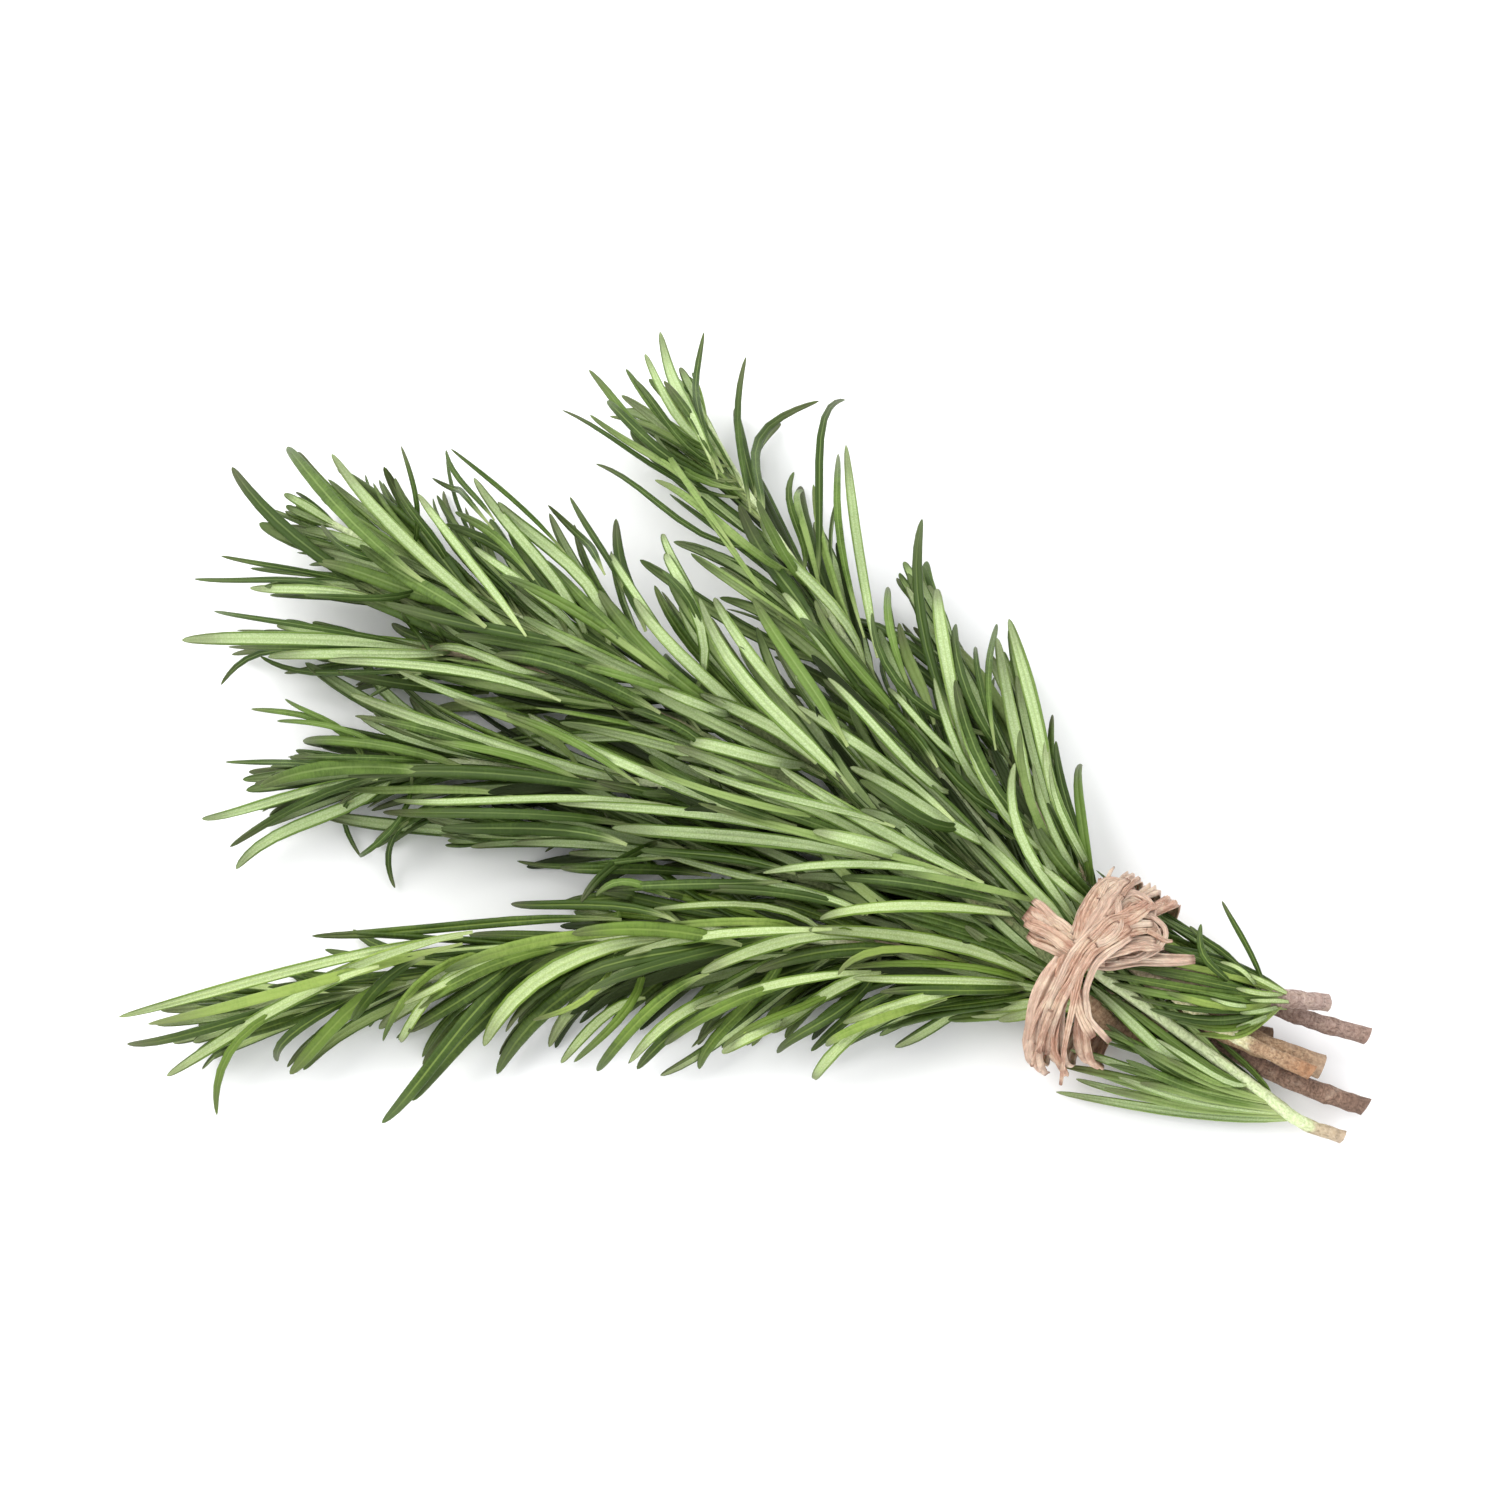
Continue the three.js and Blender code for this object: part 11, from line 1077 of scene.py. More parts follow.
FOLDS = [[[53.28,-40.52,26.95,-0.01,-0.01,1.0,1.2],[55.17,-38.05,26.87,0.05,0.07,0.99,1.39],[57.22,-35.71,26.49,0.1,0.16,0.98,1.52],[59.54,-33.66,25.88,0.16,0.25,0.95,1.55],[62.15,-31.91,24.7,0.22,0.33,0.92,1.4],[65.19,-33.7,24.08,0.23,0.35,0.91,1.25],[64.68,-37.08,25.17,0.17,0.26,0.95,1.33],[62.45,-39.4,26.02,0.11,0.17,0.98,1.31],[59.79,-41.09,26.48,0.06,0.09,0.99,1.21],[56.95,-42.39,26.51,0.01,0.01,1.0,1.06]],[[53.83,-41.2,26.69,-0.01,-0.02,1.0,1.07],[55.59,-38.91,26.89,0.04,0.06,1.0,1.24],[57.49,-36.73,26.68,0.09,0.14,0.98,1.36],[59.59,-34.82,26.09,0.15,0.22,0.96,1.41],[61.62,-33.1,25.02,0.2,0.31,0.93,1.31],[63.66,-33.61,24.31,0.23,0.35,0.91,1.18],[64.09,-35.62,24.69,0.19,0.3,0.93,1.18],[62.85,-37.74,25.59,0.14,0.22,0.96,1.2],[60.68,-39.43,26.26,0.09,0.13,0.99,1.14],[58.21,-40.9,26.48,0.04,0.06,1.0,1.04]],[[54.58,-41.45,27.2,-0.01,-0.01,1.0,1.15],[56.64,-39.16,27.21,0.05,0.08,0.99,1.32],[58.8,-37.05,26.65,0.11,0.16,0.98,1.44],[60.94,-35.15,25.76,0.16,0.25,0.95,1.46],[62.54,-33.66,24.91,0.22,0.34,0.92,1.32],[63.81,-34.37,24.73,0.22,0.34,0.91,1.2],[63.15,-36.37,25.58,0.17,0.26,0.95,1.27],[61.2,-38.22,26.25,0.11,0.16,0.98,1.24],[58.71,-39.9,26.53,0.05,0.08,0.99,1.14],[55.99,-41.38,26.51,0.0,0.0,1.0,1.0]],[[53.85,-41.95,27.05,-0.03,-0.04,1.0,0.8],[56.35,-40.45,27.08,0.02,0.03,1.0,0.97],[58.82,-38.91,26.98,0.07,0.1,0.99,1.08],[61.27,-37.23,26.74,0.11,0.18,0.98,1.1],[64.21,-35.6,25.71,0.16,0.25,0.95,0.98],[67.2,-37.89,25.19,0.17,0.26,0.95,0.88],[66.16,-41.07,25.88,0.12,0.18,0.97,0.92],[63.39,-42.81,26.29,0.07,0.11,0.99,0.92],[60.35,-43.51,26.49,0.03,0.04,1.0,0.85],[57.33,-43.79,26.72,-0.01,-0.01,1.0,0.75]],[[53.99,-42.62,26.81,-0.03,-0.05,1.0,0.77],[56.39,-41.36,27.44,0.01,0.02,1.0,0.93],[58.83,-40.03,27.72,0.05,0.08,0.99,1.03],[61.17,-38.59,27.41,0.1,0.15,0.98,1.07],[63.39,-37.16,26.54,0.15,0.22,0.96,1.0],[65.4,-37.25,25.73,0.17,0.26,0.95,0.9],[66.15,-39.18,25.64,0.15,0.23,0.96,0.87],[64.59,-41.23,26.21,0.1,0.15,0.98,0.91],[62.24,-42.55,26.5,0.05,0.08,0.99,0.88],[59.53,-43.03,26.68,0.02,0.03,1.0,0.81]],[[55.31,-42.98,27.28,-0.02,-0.02,1.0,0.71],[57.85,-41.66,27.62,0.03,0.04,1.0,0.84],[60.32,-40.16,27.55,0.07,0.11,0.99,0.91],[62.74,-38.77,27.12,0.12,0.19,0.97,0.92],[64.51,-37.57,26.36,0.17,0.26,0.95,0.81],[65.6,-38.42,25.76,0.17,0.26,0.95,0.74],[64.58,-39.82,26.11,0.12,0.18,0.97,0.78],[62.63,-40.92,26.53,0.07,0.11,0.99,0.77],[60.24,-41.84,26.87,0.03,0.05,1.0,0.72],[57.56,-42.41,27.09,-0.0,-0.0,1.0,0.64]],[[52.35,-39.5,27.04,0.0,0.01,1.0,1.14],[53.23,-36.58,27.15,0.06,0.09,0.99,1.34],[54.63,-33.81,26.83,0.11,0.17,0.98,1.42],[56.53,-31.4,26.01,0.17,0.26,0.95,1.37],[59.0,-29.79,24.62,0.22,0.34,0.91,1.21],[61.88,-30.11,23.25,0.26,0.4,0.88,1.16],[62.83,-33.45,24.25,0.22,0.33,0.92,1.25],[61.02,-35.99,25.63,0.15,0.24,0.96,1.25],[58.98,-38.14,26.22,0.09,0.14,0.98,1.17],[56.84,-40.2,26.49,0.04,0.06,1.0,1.04]],[[52.93,-40.67,26.88,-0.01,-0.02,1.0,0.93],[53.73,-38.0,27.18,0.04,0.06,1.0,1.12],[54.97,-35.47,27.08,0.09,0.13,0.99,1.24],[56.59,-33.18,26.74,0.14,0.21,0.97,1.24],[58.36,-31.27,25.81,0.19,0.3,0.93,1.12],[60.42,-30.31,24.4,0.24,0.38,0.89,1.03],[61.76,-31.4,24.04,0.24,0.38,0.89,1.04],[61.43,-33.69,24.89,0.2,0.3,0.93,1.1],[59.73,-35.76,25.86,0.14,0.21,0.96,1.08],[57.91,-37.84,26.47,0.08,0.13,0.99,1.01]],[[53.82,-40.38,26.68,-0.0,-0.0,1.0,0.76],[54.89,-37.68,26.85,0.05,0.08,0.99,0.91],[56.3,-35.19,26.78,0.1,0.16,0.98,0.98],[57.92,-32.99,26.21,0.16,0.25,0.95,0.95],[59.59,-31.4,25.1,0.22,0.34,0.91,0.84],[60.99,-31.03,24.06,0.26,0.4,0.88,0.79],[60.91,-32.58,24.58,0.22,0.34,0.91,0.86],[59.3,-34.36,25.51,0.16,0.24,0.96,0.87],[57.5,-36.68,26.14,0.1,0.15,0.98,0.81],[55.69,-39.07,26.51,0.04,0.06,1.0,0.72]],[[52.85,-41.28,27.88,-0.02,-0.03,1.0,1.47],[54.37,-39.04,28.7,0.02,0.04,1.0,1.69],[55.95,-36.74,28.74,0.07,0.11,0.99,1.94],[57.45,-34.44,28.2,0.12,0.18,0.98,2.0],[58.83,-32.35,26.94,0.17,0.26,0.95,1.76],[60.2,-30.69,25.13,0.23,0.35,0.9,1.47],[61.58,-29.25,23.15,0.29,0.45,0.84,1.18]],[[54.0,-41.62,28.27,-0.01,-0.02,1.0,1.08],[55.59,-39.54,28.87,0.03,0.04,1.0,1.23],[57.24,-37.44,28.82,0.07,0.11,0.99,1.39],[58.69,-35.3,28.05,0.12,0.18,0.98,1.43],[59.88,-33.29,26.77,0.16,0.25,0.95,1.26],[61.04,-31.63,25.11,0.22,0.34,0.91,1.07],[62.15,-30.13,23.28,0.28,0.44,0.85,0.87]],[[53.69,-41.5,28.07,-0.02,-0.03,1.0,1.08],[55.71,-39.57,28.82,0.02,0.04,1.0,1.3],[58.02,-37.84,29.01,0.07,0.1,0.99,1.44],[60.36,-36.29,28.46,0.11,0.17,0.98,1.46],[62.32,-34.78,27.07,0.16,0.24,0.96,1.26],[63.9,-33.54,25.09,0.22,0.33,0.91,1.01],[65.07,-32.46,22.74,0.28,0.43,0.86,0.76]],[[54.12,-42.77,28.02,-0.03,-0.04,1.0,1.07],[56.14,-40.94,28.48,0.02,0.03,1.0,1.31],[58.36,-39.23,28.81,0.06,0.09,0.99,1.47],[60.81,-37.7,28.62,0.1,0.16,0.98,1.52],[62.93,-36.08,27.57,0.15,0.23,0.96,1.34],[64.62,-34.65,25.77,0.21,0.32,0.92,1.09],[65.9,-33.42,23.52,0.27,0.41,0.87,0.83]],[[54.26,-42.03,27.99,-0.02,-0.03,1.0,1.14],[55.91,-40.86,28.46,0.01,0.01,1.0,1.26],[57.67,-39.7,28.67,0.04,0.06,1.0,1.4],[59.56,-38.63,28.63,0.07,0.11,0.99,1.51],[61.54,-37.92,28.26,0.1,0.15,0.98,1.46],[63.47,-37.52,27.52,0.13,0.2,0.97,1.28],[65.22,-37.25,26.46,0.16,0.25,0.95,1.04]],[[54.26,-43.21,27.75,-0.03,-0.05,1.0,1.07],[56.12,-42.03,28.62,0.0,0.0,1.0,1.19],[58.08,-40.81,29.02,0.04,0.06,1.0,1.34],[60.14,-39.78,28.91,0.07,0.11,0.99,1.46],[62.21,-39.06,28.22,0.1,0.16,0.98,1.4],[64.13,-38.5,27.02,0.14,0.21,0.97,1.19],[65.87,-38.06,25.56,0.17,0.26,0.95,0.91]],[[54.05,-42.87,27.67,-0.04,-0.06,1.0,1.26],[55.91,-42.12,28.12,-0.01,-0.02,1.0,1.42],[57.86,-41.51,28.19,0.01,0.02,1.0,1.54],[59.83,-40.96,27.94,0.04,0.06,1.0,1.61],[61.78,-40.41,27.52,0.07,0.1,0.99,1.62],[63.74,-40.11,26.93,0.1,0.15,0.98,1.54],[65.61,-40.25,26.08,0.12,0.19,0.97,1.34]],[[54.35,-43.8,27.83,-0.04,-0.06,1.0,1.15],[56.53,-43.18,28.26,-0.01,-0.01,1.0,1.31],[58.76,-42.55,28.43,0.02,0.03,1.0,1.44],[61.0,-41.85,28.44,0.05,0.08,1.0,1.5],[63.22,-41.33,28.02,0.08,0.13,0.99,1.47],[65.18,-41.14,26.93,0.11,0.17,0.98,1.32],[66.89,-41.11,25.25,0.14,0.21,0.97,1.02]],[[52.68,-40.33,27.89,-0.01,-0.01,1.0,1.47],[53.33,-38.27,28.17,0.03,0.04,1.0,1.69],[54.16,-36.25,27.93,0.06,0.1,0.99,1.84],[55.01,-34.29,27.54,0.1,0.16,0.98,1.8],[55.99,-32.55,26.82,0.14,0.22,0.97,1.6],[56.85,-31.02,25.61,0.19,0.29,0.94,1.35],[57.46,-29.61,24.02,0.23,0.36,0.9,1.09]],[[53.79,-40.9,27.91,-0.01,-0.02,1.0,1.1],[54.48,-38.83,28.29,0.03,0.04,1.0,1.27],[55.38,-36.84,28.15,0.06,0.1,0.99,1.39],[56.32,-34.87,27.76,0.1,0.16,0.98,1.37],[57.05,-32.93,26.91,0.14,0.22,0.96,1.21],[57.54,-31.12,25.64,0.19,0.29,0.93,1.01],[58.03,-29.49,24.11,0.24,0.37,0.89,0.8]],[[51.98,-41.32,26.89,-0.02,-0.03,1.0,1.29],[50.62,-40.11,26.86,-0.01,-0.02,1.0,1.43],[49.29,-38.93,26.97,-0.0,-0.0,1.0,1.52],[48.07,-37.67,27.23,0.0,0.01,1.0,1.55],[46.91,-36.34,27.28,0.01,0.01,1.0,1.45],[45.81,-34.99,27.07,0.01,0.02,1.0,1.2]],[[52.81,-40.19,26.77,-0.02,-0.03,1.0,1.34],[51.75,-38.57,26.86,-0.01,-0.02,1.0,1.48],[50.41,-37.15,26.97,-0.0,-0.0,1.0,1.57],[48.74,-36.1,27.14,0.01,0.01,1.0,1.58],[47.3,-34.87,27.14,0.01,0.02,1.0,1.42],[46.12,-33.52,26.88,0.02,0.03,1.0,1.09]],[[51.56,-42.2,27.66,-0.04,-0.05,1.0,1.33],[50.2,-41.13,27.56,-0.03,-0.05,1.0,1.5],[48.83,-40.07,27.69,-0.03,-0.05,1.0,1.55],[47.45,-39.09,28.24,-0.03,-0.05,1.0,1.44],[46.01,-38.23,28.14,-0.04,-0.06,1.0,1.27],[44.56,-37.49,27.66,-0.04,-0.06,1.0,1.06]],[[52.45,-41.45,27.74,-0.04,-0.05,1.0,1.2],[51.12,-40.47,27.6,-0.03,-0.05,1.0,1.36],[49.79,-39.48,27.64,-0.03,-0.05,1.0,1.43],[48.39,-38.6,28.06,-0.03,-0.05,1.0,1.37],[46.92,-37.87,28.1,-0.04,-0.05,1.0,1.23],[45.43,-37.3,27.74,-0.04,-0.06,1.0,1.06]],[[59.44,-37.58,28.98,0.09,0.14,0.99,1.12],[57.18,-40.04,29.44,0.04,0.06,1.0,1.26],[54.93,-42.44,29.19,-0.01,-0.02,1.0,1.34],[53.01,-44.97,28.65,-0.07,-0.11,0.99,1.23],[51.42,-47.7,27.51,-0.13,-0.2,0.97,1.2],[50.07,-50.39,25.87,-0.19,-0.3,0.93,1.26],[49.12,-52.93,23.74,-0.27,-0.41,0.87,1.28],[48.67,-55.08,21.16,-0.35,-0.54,0.74,1.2],[48.44,-57.11,18.52,-0.44,-0.67,0.57,1.06]],[[59.17,-36.78,28.75,0.1,0.15,0.98,1.22],[56.7,-38.97,29.43,0.04,0.07,1.0,1.38],[54.14,-41.21,29.36,-0.01,-0.01,1.0,1.49],[52.26,-43.91,28.54,-0.06,-0.09,0.99,1.37],[50.86,-46.72,27.19,-0.12,-0.18,0.97,1.33],[49.67,-49.46,25.59,-0.18,-0.28,0.94,1.38],[48.67,-52.11,23.8,-0.25,-0.39,0.88,1.41],[48.13,-54.53,21.64,-0.33,-0.52,0.77,1.34],[47.94,-56.71,19.12,-0.42,-0.65,0.6,1.2]],[[57.73,-36.65,29.04,0.08,0.12,0.99,0.92],[55.42,-38.79,29.47,0.03,0.05,1.0,1.02],[53.13,-41.07,29.25,-0.02,-0.02,1.0,1.07],[51.37,-43.74,28.52,-0.07,-0.1,0.99,0.99],[49.98,-46.48,27.45,-0.12,-0.19,0.97,0.96],[48.74,-49.09,25.97,-0.18,-0.28,0.94,1.0],[47.76,-51.56,24.11,-0.25,-0.38,0.89,1.02],[47.19,-53.83,21.94,-0.32,-0.5,0.79,0.99],[47.04,-55.89,19.54,-0.4,-0.62,0.65,0.9]],[[61.43,-39.99,28.92,0.08,0.12,0.99,1.11],[59.05,-41.47,29.19,0.04,0.06,1.0,1.23],[56.89,-43.12,29.19,-0.01,-0.01,1.0,1.27],[55.25,-45.08,28.64,-0.05,-0.08,0.99,1.22],[54.4,-47.34,27.59,-0.1,-0.15,0.98,1.16],[54.2,-49.68,26.4,-0.14,-0.22,0.96,1.23],[54.69,-52.08,25.33,-0.18,-0.28,0.94,1.25],[56.11,-54.32,24.61,-0.22,-0.33,0.92,1.17],[58.04,-56.04,23.69,-0.24,-0.37,0.9,0.88]],[[61.36,-38.69,29.0,0.08,0.13,0.99,1.34],[59.0,-39.95,29.35,0.05,0.07,1.0,1.5],[56.69,-41.44,29.56,0.01,0.01,1.0,1.58],[54.6,-43.32,29.35,-0.03,-0.05,1.0,1.54],[53.14,-45.62,28.48,-0.07,-0.11,0.99,1.46],[52.53,-48.2,27.31,-0.12,-0.18,0.98,1.48],[52.81,-50.81,26.2,-0.16,-0.24,0.96,1.53],[53.87,-53.26,25.25,-0.19,-0.3,0.93,1.52],[55.47,-55.34,24.26,-0.22,-0.34,0.91,1.39]],[[56.01,-40.58,28.49,0.02,0.03,1.0,0.66],[54.12,-43.0,28.73,-0.03,-0.05,1.0,0.83],[52.44,-45.54,28.29,-0.08,-0.13,0.99,0.89],[50.73,-48.0,27.29,-0.14,-0.21,0.97,0.9],[49.35,-50.45,25.88,-0.2,-0.31,0.93,0.9],[48.34,-52.87,24.21,-0.27,-0.42,0.87,0.91],[47.53,-55.09,22.16,-0.35,-0.53,0.76,0.88],[47.0,-56.98,19.64,-0.42,-0.65,0.6,0.81]],[[55.92,-40.12,28.49,0.02,0.04,1.0,0.75],[53.73,-42.22,28.58,-0.02,-0.04,1.0,0.95],[51.93,-44.61,27.98,-0.07,-0.12,0.99,1.03],[50.25,-47.02,27.1,-0.13,-0.2,0.97,1.05],[48.81,-49.4,25.79,-0.19,-0.29,0.94,1.05],[47.78,-51.71,24.05,-0.26,-0.39,0.88,1.06],[47.16,-53.84,21.96,-0.33,-0.5,0.79,1.04],[46.75,-55.73,19.65,-0.4,-0.62,0.65,0.97]],[[55.47,-39.56,28.46,0.03,0.04,1.0,0.61],[53.1,-41.72,28.74,-0.02,-0.04,1.0,0.78],[51.42,-44.41,28.0,-0.08,-0.12,0.99,0.84],[49.79,-46.94,26.87,-0.13,-0.21,0.97,0.86],[48.07,-49.3,25.49,-0.2,-0.3,0.93,0.86],[46.63,-51.62,23.73,-0.27,-0.41,0.87,0.86],[45.77,-53.71,21.43,-0.34,-0.53,0.77,0.84],[45.56,-55.48,18.77,-0.42,-0.65,0.61,0.77]],[[54.08,-43.17,29.17,-0.03,-0.05,1.0,1.2],[52.98,-46.83,28.05,-0.1,-0.15,0.98,1.2],[51.93,-51.3,26.1,-0.18,-0.28,0.94,1.1],[51.13,-55.61,23.19,-0.29,-0.45,0.84,0.9],[50.95,-60.91,12.55,-0.54,-0.84,0.0,0.6]],[[54.71,-40.72,29.85,0.0,0.01,1.0,1.0],[57.68,-37.72,29.51,0.07,0.1,0.99,1.2],[61.05,-36.14,28.22,0.12,0.19,0.97,1.2],[64.16,-35.84,26.11,0.17,0.27,0.95,1.0],[66.15,-36.34,23.89,0.22,0.33,0.92,0.7]],[[55.65,-41.67,29.75,0.0,0.0,1.0,0.9],[58.24,-40.35,29.64,0.04,0.06,1.0,1.1],[59.66,-37.59,28.9,0.09,0.14,0.99,1.2],[59.6,-33.97,27.28,0.15,0.23,0.96,1.0],[59.07,-29.94,24.01,0.24,0.37,0.9,0.6]],[[56.71,-33.68,27.48,0.12,0.19,0.97,1.0],[57.85,-31.43,26.22,0.18,0.27,0.95,0.9],[58.82,-28.84,23.56,0.26,0.4,0.88,0.7],[59.69,-26.58,20.27,0.37,0.57,0.73,0.4]],[[60.37,-32.77,26.34,0.18,0.28,0.94,0.9],[61.88,-30.75,24.67,0.24,0.37,0.9,0.8],[63.88,-28.88,21.56,0.34,0.53,0.78,0.5]],[[63.11,-35.54,26.97,0.16,0.25,0.96,0.9],[65.27,-34.47,25.13,0.21,0.33,0.92,0.8],[67.43,-32.96,22.02,0.31,0.48,0.82,0.5]],[[48.45,-51.25,25.8,-0.22,-0.33,0.92,0.9],[47.37,-55.14,22.37,-0.33,-0.51,0.79,0.9],[46.25,-58.41,15.18,-0.52,-0.81,0.28,0.6]],[[63.95,-38.55,27.31,0.12,0.19,0.97,0.9],[66.26,-39.66,26.39,0.14,0.21,0.97,0.8],[68.38,-39.77,24.58,0.18,0.27,0.95,0.5]]]

CAMERA_AT = [0.66,-157.27,581.52]
CAMERA_TO = [0.66,-1.44,-0.05]


# ---- helpers -------------------------------------------------------------------------------------------------------------
def unit(v):
    v = np.asarray(v, float)
    return v / (np.linalg.norm(v, axis=-1, keepdims=True) + 1e-12)


def catmull(points, n):
    """Centripetal curve through the points, n samples evenly spaced, and its length."""
    p = np.asarray(points, float)
    p = np.vstack([2 * p[0] - p[1], p, 2 * p[-1] - p[-2]])
    out = []
    for i in range(len(p) - 3):
        p0, p1, p2, p3 = p[i : i + 4]
        t1 = np.linalg.norm(p1 - p0) ** 0.5
        t2 = t1 + np.linalg.norm(p2 - p1) ** 0.5
        t3 = t2 + np.linalg.norm(p3 - p2) ** 0.5
        t = np.linspace(t1, t2, 24, endpoint=i == len(p) - 4)[:, None]
        a1 = (t1 - t) / t1 * p0 + t / t1 * p1
        a2 = (t2 - t) / (t2 - t1) * p1 + (t - t1) / (t2 - t1) * p2
        a3 = (t3 - t) / (t3 - t2) * p2 + (t - t2) / (t3 - t2) * p3
        b1 = (t2 - t) / t2 * a1 + t / t2 * a2
        b2 = (t3 - t) / (t3 - t1) * a2 + (t - t1) / (t3 - t1) * a3
        out.append((t2 - t) / (t2 - t1) * b1 + (t - t1) / (t2 - t1) * b2)
    c = np.vstack(out)
    s = np.r_[0, np.cumsum(np.linalg.norm(np.diff(c, axis=0), axis=1))]
    u = np.linspace(0, s[-1], n)
    return np.stack([np.interp(u, s, c[:, k]) for k in range(c.shape[1])], 1), s[-1]


def smooth_noise(n, step, rng):
    """n values of a smooth random wave, about one bend every step samples."""
    k = max(4, int(n / step) + 3)
    return np.interp(np.linspace(0, k - 1, n), np.arange(k), rng.normal(size=k))


def mesh_object(name, verts, faces, material, data=None, uv=None, smooth=True):
    """verts in millimetres, faces as a list of arrays of equal-sided faces, data the colour attribute, uv per vertex."""
    me = bpy.data.meshes.new(name)
    loops = np.concatenate([f.ravel() for f in faces]).astype(np.int32)
    total = np.concatenate([np.full(len(f), f.shape[1]) for f in faces]).astype(np.int32)
    start = np.r_[0, np.cumsum(total)[:-1]].astype(np.int32)
    me.vertices.add(len(verts))
    me.vertices.foreach_set("co", (np.asarray(verts) * MM).astype(np.float32).ravel())
    me.loops.add(len(loops))
    me.loops.foreach_set("vertex_index", loops)
    me.polygons.add(len(total))
    me.polygons.foreach_set("loop_start", start)
    me.polygons.foreach_set("loop_total", total)
    me.update(calc_edges=True)
    me.validate()
    if data is not None:
        a = me.color_attributes.new("data", "FLOAT_COLOR", "POINT")
        a.data.foreach_set("color", np.asarray(data, np.float32).ravel())
    if uv is not None:
        layer = me.uv_layers.new(name="UVMap")
        layer.data.foreach_set("uv", np.asarray(uv, np.float32)[loops].ravel())
    if smooth:
        me.polygons.foreach_set("use_smooth", np.ones(len(total), bool))
    ob = bpy.data.objects.new(name, me)
    bpy.context.scene.collection.objects.link(ob)
    me.materials.append(material)
    return ob


# ---- materials -----------------------------------------------------------------------------------------------------------
class Nodes:
    def __init__(self, name):
        self.m = bpy.data.materials.new(name)
        self.m.use_nodes = True
        self.t = self.m.node_tree
        self.t.nodes.clear()
        self.out = self.t.nodes.new("ShaderNodeOutputMaterial")
        self.bsdf = self.t.nodes.new("ShaderNodeBsdfPrincipled")
        self.t.links.new(self.bsdf.outputs[0], self.out.inputs[0])

    def new(self, kind, **props):
        n = self.t.nodes.new(kind)
        for k, v in props.items():
            setattr(n, k, v)
        return n

    def set(self, socket, value):
        if isinstance(value, bpy.types.NodeSocket):
            self.t.links.new(value, socket)
        else:
            socket.default_value = value

    def math(self, op, a, b=0.0, c=0.0, clamp=False):
        n = self.new("ShaderNodeMath", operation=op, use_clamp=clamp)
        for i, v in enumerate((a, b, c)):
            self.set(n.inputs[i], v)
        return n.outputs[0]

    def ramp(self, value, low, high):
        """0 below low, 1 above high, smooth between."""
        n = self.new("ShaderNodeMapRange", interpolation_type="SMOOTHSTEP")
        for i, v in enumerate((value, low, high, 0.0, 1.0)):
            self.set(n.inputs[i], v)
        return n.outputs[0]

    def mix(self, factor, a, b, blend="MIX"):
        n = self.new("ShaderNodeMix", data_type="RGBA", blend_type=blend)
        self.set(n.inputs[0], factor)
        self.set(n.inputs[6], a)
        self.set(n.inputs[7], b)
        return n.outputs[2]

    def noise(self, vector, scale, detail=3.0, rough=0.55, stretch=None, distortion=0.0):
        if stretch is not None:
            m = self.new("ShaderNodeMapping")
            self.t.links.new(vector, m.inputs[0])
            m.inputs[3].default_value = stretch
            vector = m.outputs[0]
        n = self.new("ShaderNodeTexNoise")
        self.t.links.new(vector, n.inputs["Vector"])
        n.inputs["Scale"].default_value = scale
        n.inputs["Detail"].default_value = detail
        n.inputs["Roughness"].default_value = rough
        n.inputs["Distortion"].default_value = distortion
        return n.outputs[0]

    def data(self):
        a = self.new("ShaderNodeAttribute", attribute_name="data")
        s = self.new("ShaderNodeSeparateColor")
        self.t.links.new(a.outputs["Color"], s.inputs[0])
        return s.outputs[0], s.outputs[1], s.outputs[2], a.outputs["Alpha"]

    def bump(self, height, strength, distance):
        n = self.new("ShaderNodeBump")
        n.inputs["Strength"].default_value = strength
        n.inputs["Distance"].default_value = distance
        self.t.links.new(height, n.inputs["Height"])
        self.t.links.new(n.outputs[0], self.bsdf.inputs["Normal"])


def rgb(r, g, b):
    return (r, g, b, 1.0)


